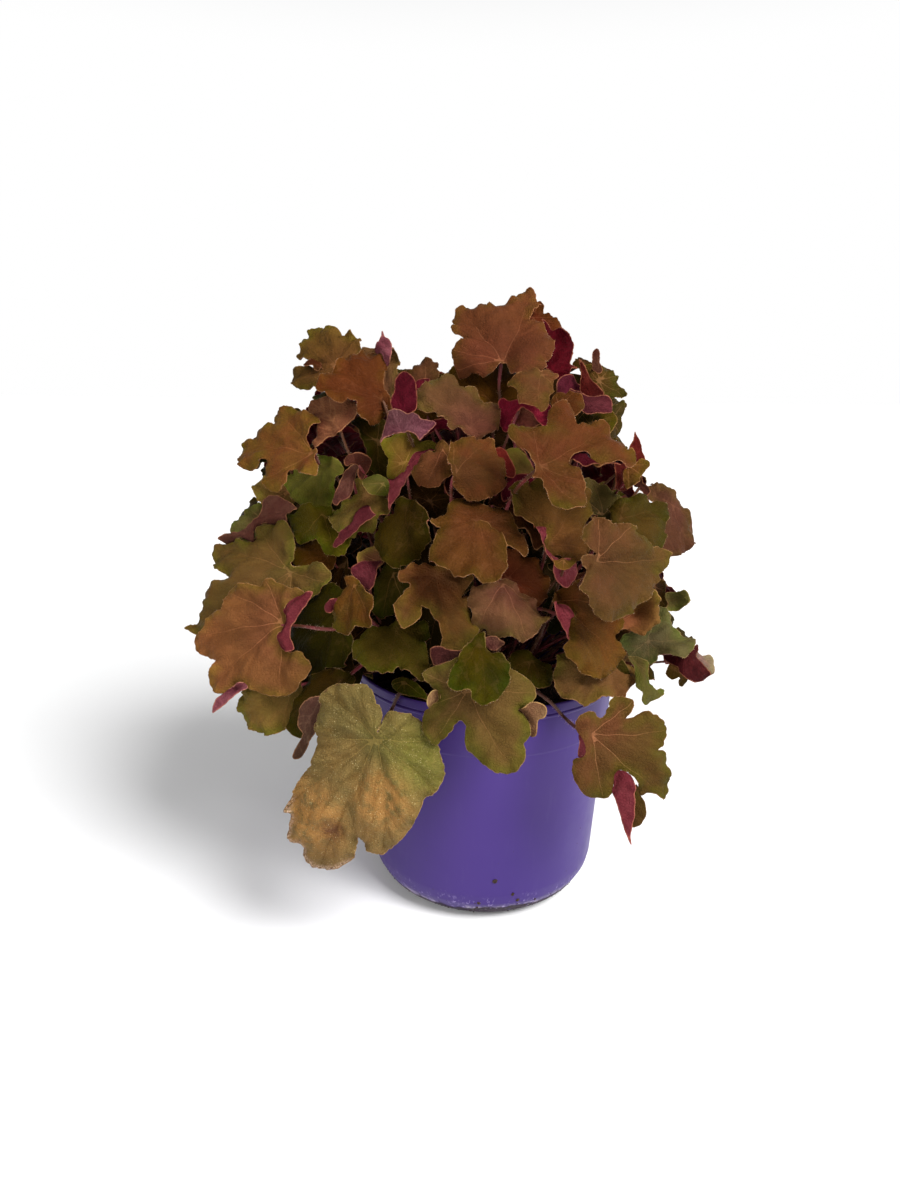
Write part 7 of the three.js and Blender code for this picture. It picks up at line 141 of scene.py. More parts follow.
["K00","leaf_left_11","U","brownorange","under","leaf_orange",91,"0 0","-15593 1523 17303","0.0806 0.9929 0.0880 -0.6017 0.1189 -0.7899 -0.7947 0.0107 0.6069 0.7947 -0.0107 -0.6069","-355 -219 400 554","192 202 165 115 75 91 94 103 137 124 97 62 40 62 103 144 82 55 35 15 8 44 114 184 55 19 0 -5 6 51 127 209 72 36 11 -3 8 59 138 216 127 92 53 17 13 66 137 195 198 157 108 59 45 83 120 152 271 217 162 115 93 95 99 104","-219 -179 -183 -191 -131 -191 -88 -189 -43 -191 23 -199 116 -192 199 -158 253 -97 285 -30 313 -2 338 31 363 64 380 101 377 142 357 178 328 186 286 196 242 210 262 242 273 282 270 323 256 361 222 385 205 397 200 445 173 484 137 515 99 532 60 534 24 512 -13 492 -42 451 -73 416 -91 379 -105 350 -125 319 -122 278 -106 235 -85 194 -91 161 -106 150 -132 153 -169 184 -210 207 -257 229 -287 241 -312 223 -323 182 -335 147 -332 106 -308 59 -284 30 -255 21 -224 8 -187 -4 -173 -42 -192 -78 -210 -115 -225 -145","-287 28 1345 -485 88 1477 -686 126 1568 -892 148 1628 -1104 157 1668 -1326 157 1698 -1558 152 1729",[],0,0.99,[]],
["K01","leaf_back_02","U","orangepink","under","leaf_orange",92,"0 0","-14140 6721 19794","0.5339 0.8419 -0.0782 -0.3655 0.1464 -0.9192 -0.7625 0.5194 0.3859 0.7625 -0.5194 -0.3859","-384 -125 380 647","236 320 318 308 294 307 198 104 179 187 179 172 165 188 193 190 126 77 54 53 48 90 183 272 121 43 -1 -6 8 66 193 338 174 86 13 -9 30 122 255 381 258 155 51 12 70 205 314 384 338 227 114 71 136 259 314 351 404 293 201 169 209 271 300 319","160 413 210 446 269 504 309 520 337 501 360 451 355 398 339 351 296 300 238 245 224 217 235 194 275 186 299 156 314 103 330 51 323 7 299 -19 258 -27 209 -17 151 -7 83 -12 35 -19 -8 -37 -33 -73 -56 -60 -79 -47 -106 -61 -151 -89 -209 -105 -246 -96 -292 -87 -326 -68 -348 -24 -364 25 -349 77 -319 118 -266 146 -210 169 -164 199 -122 218 -89 221 -57 208 -35 217 -24 267 -34 308 -64 333 -115 348 -150 368 -158 420 -187 464 -224 484 -248 498 -257 534 -253 582 -227 623 -193 627 -156 624 -141 593 -119 603 -78 613 -31 610 6 590 51 612 96 616 129 583 145 528 151 473","-276 100 1329 -488 237 1478 -686 341 1593 -872 423 1686 -1052 497 1773 -1228 573 1864 -1405 666 1975",[],0,1.33,[]],
["K02","leaf_back_03","U","orangebrown","under","leaf_orange",93,"0 0","-9555 10181 16484","0.7858 0.5625 0.2571 -0.0803 0.5050 -0.8594 -0.6132 0.6547 0.4420 0.6132 -0.6547 -0.4420","-349 -215 393 543","64 145 170 204 207 205 157 82 67 79 88 110 112 111 115 113 73 32 15 30 28 31 79 141 108 44 1 -7 -1 20 85 177 166 91 23 -6 19 76 153 225 220 130 38 3 51 149 220 256 254 158 65 35 94 189 230 256 272 182 112 95 137 194 227 254","-215 -176 -179 -187 -129 -188 -86 -185 -42 -187 23 -195 114 -188 195 -155 248 -95 280 -29 307 -2 332 31 356 63 373 99 369 140 350 174 322 182 280 192 237 206 257 237 268 276 265 317 251 354 218 378 201 390 196 436 170 475 134 505 97 522 59 523 24 502 -13 483 -41 443 -72 408 -89 372 -103 343 -123 313 -120 272 -104 230 -83 190 -90 158 -104 147 -130 150 -166 180 -206 203 -252 225 -282 236 -306 218 -316 179 -329 145 -326 103 -302 57 -279 29 -250 21 -219 7 -184 -4 -170 -41 -188 -77 -206 -113 -221 -142","-235 165 1313 -315 213 1370 -423 338 1457 -552 510 1551 -690 700 1630 -827 878 1669 -954 1016 1647",[],0,1.33,[]],
["K03","leaf_back_04","U","olive","under","leaf_olive",94,"0 0","-2010 12430 18182","0.6910 0.2606 -0.6742 -0.7190 0.3438 -0.6040 0.0744 0.9022 0.4249 -0.0744 -0.9022 -0.4249","-391 -125 321 649","106 195 227 245 248 242 139 48 80 111 130 144 144 152 133 106 57 40 43 54 48 74 122 163 63 18 -1 3 7 43 127 215 103 46 -1 -4 25 85 173 254 150 80 10 7 68 164 231 272 180 105 33 35 116 222 260 281 192 125 79 92 163 241 278 298","199 -91 243 -68 278 -29 299 10 301 50 282 91 271 132 289 190 300 274 285 334 254 386 221 430 170 457 184 493 200 538 187 583 159 620 118 629 74 620 40 584 18 538 -12 520 -38 530 -100 486 -147 451 -194 408 -243 349 -282 307 -317 240 -343 200 -363 143 -371 79 -357 39 -327 22 -312 -9 -297 -41 -255 -65 -219 -81 -178 -105 -136 -83 -103 -76 -61 -92 -24 -101 17 -86 37 -48 37 -9 82 -49 135 -81","-70 223 1348 -103 332 1388 -112 446 1438 -111 578 1502 -116 745 1583 -141 960 1687 -201 1238 1816",[],0,1.33,[]],
["K04","leaf_back_05","U","olivegreen2","under","leaf_green",95,"0 0","4149 10756 17341","0.7793 -0.6248 -0.0491 0.3574 0.5074 -0.7841 0.5148 0.5935 0.6186 -0.5148 -0.5935 -0.6186","-371 -122 376 633","193 102 38 48 128 213 176 178 167 87 26 27 90 165 179 181 142 76 14 4 51 120 163 179 109 59 9 -5 15 50 103 156 68 26 -2 -2 -1 8 56 122 42 17 14 33 34 37 63 95 41 54 73 102 113 109 92 75 50 101 145 180 193 175 125 64","-157 404 -205 436 -263 492 -302 509 -330 490 -351 441 -347 389 -331 343 -289 293 -233 240 -218 213 -229 190 -269 181 -292 152 -307 101 -322 50 -316 7 -293 -19 -252 -26 -204 -17 -147 -7 -82 -12 -34 -19 8 -36 32 -71 55 -58 77 -46 104 -59 147 -87 204 -102 241 -94 285 -85 318 -67 340 -24 356 24 341 75 312 115 260 143 205 165 161 194 119 213 87 216 55 203 34 213 23 261 33 301 62 325 112 340 147 359 154 411 183 453 219 473 242 486 251 522 247 569 222 609 189 613 152 610 138 579 116 590 76 599 30 596 -6 576 -50 598 -94 602 -126 570 -142 516 -148 462","10 219 1333 61 357 1429 119 499 1497 185 642 1550 256 787 1599 331 930 1655 411 1071 1730",[],0,1.33,[]],
["K05","leaf_back_06","U","dolive","under","leaf_olive",96,"0 29","10368 7288 17179","0.5706 -0.8044 0.1654 0.6144 0.2846 -0.7359 0.5449 0.5215 0.6566 -0.5449 -0.5215 -0.6566","-362 -211 410 569","290 294 240 189 157 190 203 213 221 187 140 101 87 124 187 247 154 95 50 25 22 72 172 277 122 52 6 -9 5 63 170 297 144 74 20 -4 10 76 189 308 213 145 78 32 34 108 211 298 299 235 163 105 101 159 212 257 385 319 253 203 187 199 205 211","-303 274 -338 239 -342 182 -322 120 -272 49 -281 4 -271 -40 -235 -60 -195 -98 -161 -125 -141 -164 -107 -191 -86 -169 -91 -110 -73 -70 -39 -36 3 -19 34 20 81 52 144 51 185 -6 199 -46 226 -62 249 -59 289 -63 327 -54 355 -23 376 24 390 83 387 141 360 197 320 255 264 307 229 327 217 391 217 460 192 514 137 549 94 546 62 519 43 490 19 474 9 455 -11 483 -56 523 -101 549 -146 547 -191 545 -192 508 -201 461 -225 430 -250 414 -264 366 -248 308 -266 280","115 152 1343 319 279 1456 496 413 1535 653 540 1590 794 646 1629 926 716 1661 1053 736 1695",[],0,1.33,[]],
["K06","leaf_left_12","U","olive","under","leaf_olive",97,"0 35","-16425 1816 22750","-0.0072 0.9945 0.1042 -0.1552 0.1018 -0.9826 -0.9879 -0.0232 0.1536 0.9879 0.0232 -0.1536","-370 -191 326 512","320 268 207 147 140 198 166 181 253 196 132 84 85 140 181 219 185 125 64 26 31 95 183 252 127 66 18 -4 9 65 159 257 103 44 5 -7 3 49 137 242 125 76 40 22 19 57 138 223 182 151 116 88 78 105 152 198 249 227 198 170 155 157 164 170","271 245 303 214 306 163 288 107 243 44 252 4 243 -36 210 -53 174 -88 144 -112 126 -147 96 -171 77 -152 81 -99 65 -62 35 -32 -3 -17 -31 18 -73 47 -129 46 -166 -5 -178 -41 -202 -56 -223 -53 -258 -57 -293 -48 -318 -21 -336 22 -350 74 -347 127 -323 177 -287 228 -236 275 -205 293 -195 350 -194 412 -172 460 -123 491 -84 489 -55 465 -39 439 -17 424 -8 408 10 433 50 469 91 492 131 490 171 488 172 455 180 413 202 386 224 371 237 328 222 276 239 251","-198 155 1380 -389 190 1602 -658 182 1769 -961 156 1897 -1255 132 2006 -1498 134 2114 -1646 185 2240",[],0,0.99,[]],
["K07","leaf_back_07","U","orange","under","leaf_orange",98,"0 0","-13158 6994 23805","0.4180 0.8813 -0.2203 -0.4584 -0.0048 -0.8888 -0.7843 0.4725 0.4020 0.7843 -0.4725 -0.4020","-423 -162 352 660","154 219 225 295 373 349 216 101 141 129 125 174 228 243 199 146 135 64 32 63 95 133 167 189 159 66 2 1 11 41 128 226 200 100 12 -10 10 56 153 255 230 120 19 8 71 162 226 269 234 137 52 61 157 261 278 280 217 155 119 150 237 310 320 305","275 5 302 44 320 95 332 149 301 163 245 158 193 160 220 199 266 230 313 261 304 288 310 330 300 372 288 408 263 435 216 449 175 444 144 458 95 435 107 476 101 509 60 520 35 516 16 556 -24 583 -75 607 -116 634 -159 640 -199 620 -192 586 -188 546 -206 508 -242 480 -207 441 -156 387 -137 334 -142 277 -178 264 -239 263 -301 277 -344 268 -377 232 -397 190 -403 148 -389 98 -360 49 -319 8 -267 -23 -218 -31 -173 -15 -124 -8 -78 -37 -44 -74 -10 -111 20 -140 57 -142 99 -118 132 -82 137 -41 119 -4 121 17 167 18 229 5","-242 134 1354 -420 240 1553 -595 352 1752 -771 461 1943 -947 560 2116 -1126 640 2264 -1308 695 2376",[],0,1.33,[]],
["K08","leaf_back_08","U","olive","under","leaf_olive",99,"0 0","-8085 10804 22723","0.7432 0.5581 -0.3692 -0.5449 0.1846 -0.8179 -0.3883 0.8090 0.4413 0.3883 -0.8090 -0.4413","-392 -127 387 659","-33 98 169 240 262 231 130 12 -9 39 85 137 145 122 86 44 20 -1 10 47 40 21 41 75 78 25 -6 -2 -7 -10 36 113 146 80 13 -5 20 60 115 167 188 99 9 -3 70 164 205 214 188 93 8 12 110 214 236 242 162 83 34 55 136 215 251 275","164 421 214 455 274 514 315 531 344 511 367 460 362 405 345 358 302 306 243 250 228 222 239 198 281 189 305 159 320 105 336 52 330 7 305 -19 263 -27 213 -18 154 -7 85 -13 36 -20 -8 -38 -34 -74 -57 -61 -81 -48 -108 -62 -154 -91 -213 -107 -251 -98 -298 -89 -332 -70 -355 -25 -372 25 -356 78 -326 120 -271 149 -214 172 -168 203 -124 222 -91 226 -58 212 -36 222 -24 273 -35 314 -65 340 -117 355 -153 375 -161 429 -191 473 -228 493 -253 507 -262 545 -258 594 -232 635 -197 639 -159 637 -144 604 -121 615 -79 625 -31 622 6 601 52 624 98 628 132 595 148 538 154 482","-192 189 1339 -300 403 1563 -400 574 1738 -497 715 1879 -595 837 2004 -696 953 2128 -805 1073 2269",[],0,1.33,[]],
["K09","leaf_back_09","U","brownorange","under","leaf_orange",100,"0 0","-2334 11853 23088","0.9196 -0.1914 0.3431 0.3923 0.4952 -0.7752 -0.0216 0.8474 0.5305 0.0216 -0.8474 -0.5305","-378 -213 338 509","223 169 112 111 152 227 247 275 194 128 72 61 94 154 201 238 167 96 35 17 40 88 147 196 145 79 20 -4 7 37 89 151 129 65 12 -6 -1 20 65 129 122 65 20 16 30 51 92 144 125 92 65 69 92 120 155 186 128 124 123 136 162 193 218 237","318 49 313 23 254 -18 216 -66 206 -130 168 -179 113 -193 43 -182 -14 -170 -43 -128 -98 -142 -153 -148 -195 -125 -245 -60 -288 24 -323 106 -351 180 -358 229 -331 248 -263 221 -209 201 -210 259 -219 332 -207 390 -188 432 -176 465 -131 484 -79 489 -40 485 0 464 32 460 77 472 117 452 152 416 204 421 238 409 281 364 305 318 297 242 267 181 272 113 249 59","-121 225 1323 -146 360 1511 -173 543 1700 -200 746 1883 -221 939 2050 -234 1094 2194 -233 1182 2307",[],0,1.33,[]],
["K10","leaf_back_10","U","olivegreen2","under","leaf_green",101,"0 0","5045 9865 22877","0.7258 -0.5545 0.4071 0.6375 0.3199 -0.7009 0.2584 0.7683 0.5857 -0.2584 -0.7683 -0.5857","-381 -133 370 663","-23 29 71 160 240 262 176 86 17 16 32 92 143 156 127 84 62 16 -3 31 55 56 68 81 111 49 0 -2 0 -7 23 80 142 74 9 -4 9 19 53 101 137 62 -3 9 64 112 133 140 99 43 2 38 126 194 193 181 43 27 34 90 176 237 245 234","310 61 261 27 220 -21 150 -34 82 -83 10 -60 -69 -103 -159 -113 -223 -97 -297 -101 -324 -63 -296 0 -259 73 -232 134 -286 101 -286 172 -304 254 -333 352 -361 408 -334 466 -299 509 -255 564 -222 609 -170 634 -110 643 -66 612 -73 547 -63 495 -27 450 -9 386 26 337 61 305 104 300 127 341 126 390 149 446 197 484 237 511 285 517 319 494 347 437 350 380 328 332 297 290 266 238 235 186 262 160 306 130","49 192 1358 153 328 1555 237 461 1724 307 592 1873 371 721 2011 434 850 2144 502 979 2282",[],0,1.33,[]],
["K11","leaf_back_11","U","brownorange","under","leaf_orange",102,"0 13","10639 7004 22851","0.5177 -0.8539 -0.0527 0.4993 0.3516 -0.7919 0.6948 0.3836 0.6084 -0.6948 -0.3836 -0.6084","-365 -120 369 621","-15 101 166 247 290 275 166 44 13 45 83 140 164 153 118 74 46 10 9 46 49 40 66 102 104 39 -4 -3 -5 -5 50 135 166 88 13 -5 21 61 122 184 198 101 8 3 80 176 217 226 190 96 16 31 137 240 254 253 158 92 55 88 176 252 277 286","-154 396 -201 427 -258 483 -296 499 -323 480 -345 433 -340 381 -324 336 -284 287 -228 235 -214 208 -225 186 -264 178 -286 149 -301 99 -316 49 -310 7 -287 -18 -247 -26 -200 -16 -144 -7 -80 -12 -33 -18 7 -36 32 -70 54 -57 76 -45 102 -58 144 -85 200 -100 236 -92 280 -83 312 -65 333 -23 349 24 335 74 306 113 255 140 201 162 158 191 117 209 85 212 54 199 34 208 23 256 33 295 61 319 110 333 144 352 151 403 180 444 214 464 238 477 246 512 242 558 218 597 185 601 149 598 135 568 114 578 75 587 30 585 -6 565 -49 586 -92 590 -124 559 -139 506 -145 453","129 109 1368 245 172 1530 380 256 1676 531 356 1814 697 467 1953 875 584 2102 1064 702 2270",[],0,1.33,[]],
["K12","leaf_right_06","U","lgreen2","under","leaf_green",103,"0 17","10771 2067 26533","0.0766 -0.9951 -0.0632 0.6885 0.0986 -0.7185 0.7212 0.0115 0.6926 -0.7212 -0.0115 -0.6926","-267 -197 309 454","378 311 214 126 94 159 227 306 298 222 138 69 53 117 214 312 218 140 67 17 14 83 199 313 159 80 20 -8 1 63 174 299 143 69 18 0 1 47 152 276 176 123 76 47 29 62 154 248 236 208 173 132 103 121 167 209 304 290 266 230 200 186 176 166","283 70 289 139 280 192 213 211 230 279 237 351 217 385 174 390 126 369 89 352 65 313 37 284 26 305 21 332 1 360 -27 378 -70 373 -108 364 -126 379 -161 386 -192 418 -205 434 -231 399 -247 362 -242 326 -237 236 -228 130 -209 27 -171 -50 -144 -108 -123 -153 -97 -173 -69 -177 -31 -163 -2 -143 23 -101 31 -67 17 -35 23 -9 58 10 99 4 157 5 225 38","161 47 1352 329 71 1620 490 100 1861 646 131 2079 797 162 2279 944 188 2464 1086 208 2638",[],0,1.01,[]],
["K13","leaf_back_12","U","olive","under","leaf_olive",104,"0 0","-13624 4042 30067","0.5316 0.8257 0.1889 -0.4967 0.4845 -0.7201 -0.6861 0.2890 0.6677 0.6861 -0.2890 -0.6677","-327 -202 368 509","262 275 237 231 241 299 258 217 217 177 134 123 138 187 229 257 176 97 41 30 42 95 194 292 167 75 7 -11 6 60 174 314 198 101 22 -6 18 91 211 335 257 157 65 30 65 166 266 336 324 234 145 110 153 240 280 306 383 310 247 224 249 282 283 276","-201 -164 -167 -175 -120 -176 -81 -173 -39 -175 21 -182 106 -176 183 -145 232 -88 261 -28 287 -2 310 29 332 59 348 92 345 130 327 163 300 170 262 179 222 193 240 221 250 258 248 296 235 331 203 353 188 364 183 408 159 444 125 472 91 488 55 489 22 469 -12 451 -39 414 -67 381 -83 348 -96 321 -115 292 -112 254 -97 215 -78 177 -84 148 -97 138 -121 140 -155 168 -193 190 -236 210 -263 220 -286 204 -296 167 -307 135 -304 97 -282 54 -260 27 -234 20 -205 7 -172 -4 -159 -38 -176 -72 -193 -106 -206 -133","-149 157 1405 -215 234 1623 -330 253 1840 -497 247 2072 -722 248 2333 -1008 289 2638 -1360 403 3004",[],0,1.23,[]],
["K14","leaf_back_13","U","pinktan","under","leaf_olive_orange",105,"0 0","-10760 6454 28795","0.7050 0.7081 0.0410 -0.4898 0.5279 -0.6938 -0.5129 0.4690 0.7190 0.5129 -0.4690 -0.7190","-361 -222 407 563","53 141 180 257 301 318 242 131 78 80 90 138 167 175 170 149 109 42 11 37 47 50 99 165 167 74 5 -9 -3 13 83 194 233 127 28 -7 25 85 170 254 279 153 34 6 82 202 277 308 295 173 61 51 152 275 312 331 287 191 124 133 213 295 330 354","-223 -183 -186 -195 -134 -195 -90 -192 -44 -195 24 -202 118 -195 203 -161 257 -98 290 -31 319 -2 344 32 369 66 387 103 383 145 363 181 334 189 291 199 247 214 267 246 278 287 275 329 261 368 226 392 208 405 204 453 176 493 139 524 101 542 61 543 25 521 -13 501 -43 460 -74 424 -93 386 -107 356 -127 325 -124 283 -108 239 -86 197 -93 164 -108 153 -135 156 -172 187 -214 211 -262 233 -292 245 -318 227 -329 186 -341 150 -338 107 -314 60 -289 30 -260 22 -228 8 -191 -4 -177 -43 -195 -80 -214 -117 -229 -147","-179 108 1421 -289 200 1642 -415 283 1874 -555 363 2116 -711 446 2365 -884 538 2619 -1074 643 2877",[],0,1.33,[]],
["K15","leaf_back_14","U","orangebrown","under","leaf_orange",106,"0 0","-5385 10357 27736","0.9818 0.0853 0.1696 0.0711 0.6631 -0.7452 -0.1760 0.7437 0.6450 0.1760 -0.7437 -0.6450","-343 -216 384 516","413 281 153 90 111 217 323 446 329 215 106 47 69 161 274 385 245 153 61 8 29 110 220 320 169 92 24 -9 6 60 149 249 120 51 6 -2 0 26 97 194 121 73 49 54 48 53 107 179 170 161 154 157 150 150 173 195 234 258 270 273 268 259 242 218","-323 50 -318 23 -258 -19 -219 -67 -209 -132 -170 -181 -114 -196 -43 -185 14 -172 44 -130 99 -144 155 -150 198 -127 249 -60 292 24 328 108 356 182 364 233 336 252 267 224 212 204 213 263 222 337 210 396 191 438 179 472 133 492 80 496 41 492 0 471 -33 466 -78 479 -119 459 -154 422 -207 427 -242 415 -285 370 -309 322 -301 246 -271 183 -276 115 -252 60","-143 199 1364 -197 307 1624 -254 416 1850 -317 535 2060 -385 671 2271 -459 835 2502 -538 1032 2771",[],0,1.33,[]],
["K16","leaf_back_15","U","orangebrown","under","leaf_orange",107,"0 0","645 9595 29181","0.7400 -0.6422 0.1997 0.6002 0.4967 -0.6270 0.3035 0.5838 0.7530 -0.3035 -0.5838 -0.7530","-391 -125 321 649","170 239 239 193 131 124 59 3 107 137 141 109 67 70 75 77 47 47 54 36 8 34 94 151 25 2 2 -1 3 52 137 218 61 24 -1 -3 33 110 198 264 131 79 18 -4 50 157 232 274 203 125 41 5 59 167 224 263 262 161 76 41 74 145 202 252","198 -91 243 -68 277 -29 299 10 301 50 282 91 270 132 289 190 300 274 285 334 253 386 221 430 170 456 184 492 199 537 187 583 159 620 118 629 74 620 40 583 18 538 -12 520 -38 529 -100 485 -146 451 -193 408 -242 348 -282 307 -317 240 -342 199 -363 143 -371 79 -357 39 -326 22 -311 -9 -296 -41 -255 -65 -219 -81 -178 -105 -136 -83 -103 -76 -61 -92 -24 -101 17 -86 37 -48 37 -9 82 -49 135 -81","-54 167 1415 11 386 1804 43 573 2162 53 726 2469 53 842 2709 53 920 2864 64 958 2916",[],0,1.33,[]],
["K17","","U","dolive","under","leaf_olive",108,"0 0","6734 5776 29460","0.3745 -0.9203 0.1136 0.6002 0.1472 -0.7862 0.7068 0.3626 0.6075 -0.7068 -0.3626 -0.6075","-282 -130 338 528","316 163 43 9 88 219 200 218 250 136 36 4 70 178 211 225 184 108 26 -5 47 142 201 226 110 59 9 -7 15 67 138 199 47 10 -4 3 -5 8 72 148 29 20 36 57 36 28 57 92 59 92 126 148 130 100 70 44 109 175 225 245 227 171 90 2","-220 4 -242 35 -257 76 -266 119 -241 130 -196 127 -155 128 -176 159 -213 184 -251 209 -243 231 -248 265 -240 298 -230 327 -210 348 -173 359 -140 356 -116 367 -76 349 -86 381 -81 408 -48 417 -28 414 -13 445 20 467 60 486 93 508 128 512 160 497 154 469 151 437 165 407 194 385 166 353 125 310 109 267 113 222 143 212 192 211 241 222 275 214 302 185 318 152 322 119 311 79 288 39 256 7 214 -18 175 -25 138 -12 99 -7 63 -29 36 -59 8 -89 -16 -112 -46 -114 -79 -95 -106 -66 -110 -33 -95 -3 -97 14 -134 14 -183 4","77 88 1419 219 59 1809 325 63 2104 410 109 2335 487 204 2531 569 357 2723 668 575 2942",[],0,1.33,[]],
["K18","","U","tangreen","under","leaf_olive_orange",109,"0 0","-11408 2442 31269","0.6650 0.7138 0.2198 -0.5520 0.6679 -0.4992 -0.5031 0.2106 0.8381 0.5031 -0.2106 -0.8381","-286 -134 343 533","84 122 139 215 283 320 212 102 106 79 70 115 160 190 174 143 133 56 9 28 49 76 130 181 174 80 5 -9 -1 26 113 213 211 107 15 -4 30 88 167 234 230 118 21 24 108 207 236 237 228 140 66 89 196 274 258 233 209 168 149 185 257 292 273 238","-220 4 -242 36 -257 76 -266 119 -241 130 -197 127 -155 128 -177 160 -214 184 -251 210 -243 231 -248 265 -241 299 -231 327 -211 349 -173 360 -141 356 -116 367 -76 349 -86 381 -81 408 -48 417 -28 414 -13 446 20 468 60 487 93 509 128 513 160 497 154 470 151 438 165 408 194 385 166 354 125 311 110 267 114 222 143 212 192 211 241 222 276 215 302 186 319 152 323 119 312 79 289 39 256 7 214 -18 175 -25 138 -12 100 -7 63 -29 36 -59 8 -89 -16 -112 -46 -114 -79 -95 -106 -66 -110 -33 -95 -3 -97 14 -134 14 -183 4","-256 143 1305 -445 162 1681 -610 192 1866 -757 225 1982 -890 251 2148 -1015 260 2487 -1136 242 3119",[],0,1.14,[]],
["K19","","U","tangreen","under","leaf_olive_orange",110,"0 0","-8965 5178 32960","0.9345 0.2446 0.2585 -0.1408 0.9213 -0.3626 -0.3268 0.3025 0.8954 0.3268 -0.3025 -0.8954","-379 -134 368 658","102 154 159 154 136 140 95 47 77 88 89 86 76 82 89 91 55 34 27 27 20 36 84 133 57 19 -1 -3 3 31 95 169 90 45 8 -5 15 64 132 196 137 83 26 2 32 105 165 204 181 118 53 25 58 129 167 194 216 147 90 68 90 132 160 183","307 60 258 27 217 -21 149 -34 81 -82 10 -59 -68 -102 -158 -112 -221 -95 -293 -100 -320 -63 -293 0 -256 73 -230 133 -283 100 -283 170 -301 251 -329 348 -357 403 -331 461 -295 504 -252 558 -219 602 -168 627 -109 636 -65 605 -72 541 -62 489 -27 445 -9 382 26 333 60 301 102 297 126 337 124 386 147 441 195 478 234 506 282 511 316 488 343 432 346 376 325 328 294 286 263 235 233 184 259 158 303 128","-47 189 1395 -138 341 1810 -237 403 2117 -354 414 2368 -497 411 2613 -674 432 2904 -895 516 3291",[],0,1.33,[]],
["K20","","U","brown3","under","leaf_bronze",111,"0 0","-1022 7138 32046","0.6742 0.6928 -0.2559 -0.7303 0.5737 -0.3709 -0.1102 0.4369 0.8927 0.1102 -0.4369 -0.8927","-423 -163 353 661","470 427 352 241 214 247 161 130 350 296 219 139 125 190 216 237 230 167 100 42 43 152 261 340 139 66 18 -4 22 137 290 416 119 44 0 -12 23 137 296 431 184 116 58 15 27 143 276 382 302 238 161 90 82 170 242 299 432 354 269 196 169 187 202 213","275 5 303 44 321 95 333 149 302 163 246 159 193 160 221 199 267 231 314 262 304 289 310 331 301 373 288 409 263 436 216 449 176 445 145 459 95 436 107 477 101 510 60 521 35 518 16 557 -24 584 -75 608 -116 636 -160 641 -200 622 -193 587 -188 547 -206 509 -242 481 -207 442 -157 388 -137 334 -142 277 -178 265 -240 264 -302 278 -345 268 -378 232 -398 190 -403 148 -390 98 -361 49 -320 8 -267 -23 -218 -31 -173 -15 -124 -8 -78 -37 -44 -74 -10 -112 20 -140 57 -143 99 -118 132 -83 138 -41 119 -4 122 17 168 18 229 5","-58 129 1437 1 341 1877 2 469 2186 -30 540 2418 -73 585 2628 -104 632 2870 -101 711 3198",[],0,1.33,[]],
["K21","","U","orangebrown","under","leaf_orange",112,"0 0","4062 5169 33763","0.8768 -0.4782 -0.0493 0.3889 0.7658 -0.5122 0.2827 0.4299 0.8575 -0.2827 -0.4299 -0.8575","-386 -125 381 649","372 344 256 127 41 81 68 91 249 220 157 68 20 66 125 183 127 101 69 15 -1 74 181 272 42 12 3 -6 18 107 227 331 41 11 2 -6 19 109 229 332 126 100 67 13 -2 78 186 277 261 217 152 63 18 66 130 187 407 325 230 133 71 61 71 88","161 414 211 448 270 506 310 522 338 503 361 453 357 399 340 352 297 301 239 246 224 218 235 195 276 186 300 156 315 104 331 52 325 7 301 -19 259 -27 209 -17 151 -7 84 -12 35 -19 -8 -37 -33 -73 -56 -60 -79 -47 -106 -61 -151 -89 -210 -105 -247 -96 -293 -87 -327 -68 -349 -24 -366 25 -351 77 -321 118 -267 147 -210 170 -165 200 -122 219 -89 222 -57 208 -35 218 -24 268 -34 309 -64 334 -115 349 -151 369 -159 422 -188 465 -224 486 -249 499 -258 536 -254 584 -228 625 -194 629 -156 626 -141 595 -119 605 -78 615 -31 612 6 592 52 614 96 618 130 585 146 529 152 475","19 180 1389 103 314 1664 180 319 1935 248 270 2223 309 238 2546 361 295 2923 405 515 3373",[],0,1.33,[]],
["K22","","U","dolive","under","leaf_olive",113,"0 0","-925 6122 34158","0.6021 -0.7778 0.1803 0.7398 0.4586 -0.4924 0.3003 0.4298 0.8515 -0.3003 -0.4298 -0.8515","-381 -122 313 632","319 211 115 93 174 274 217 214 251 155 71 56 128 232 252 257 185 105 30 16 81 200 267 295 122 61 7 0 47 139 237 308 73 24 -6 -6 17 80 184 283 62 32 22 20 19 66 149 230 93 96 98 91 82 111 145 172 139 165 179 176 168 162 144 118","193 -88 236 -66 270 -29 291 10 293 49 275 89 263 129 282 185 292 267 277 325 247 376 215 419 166 444 179 479 194 523 182 567 154 603 115 612 72 603 39 568 18 524 -12 506 -37 515 -98 473 -143 439 -188 397 -236 339 -274 298 -309 234 -333 194 -353 139 -361 77 -347 38 -318 22 -303 -9 -289 -40 -248 -63 -213 -79 -173 -102 -133 -80 -100 -74 -59 -90 -23 -98 17 -84 36 -46 36 -8 80 -47 131 -79","49 153 1399 190 276 1804 217 367 2055 167 436 2247 75 493 2474 -24 548 2831 -94 610 3412",[],0,1.33,[]],
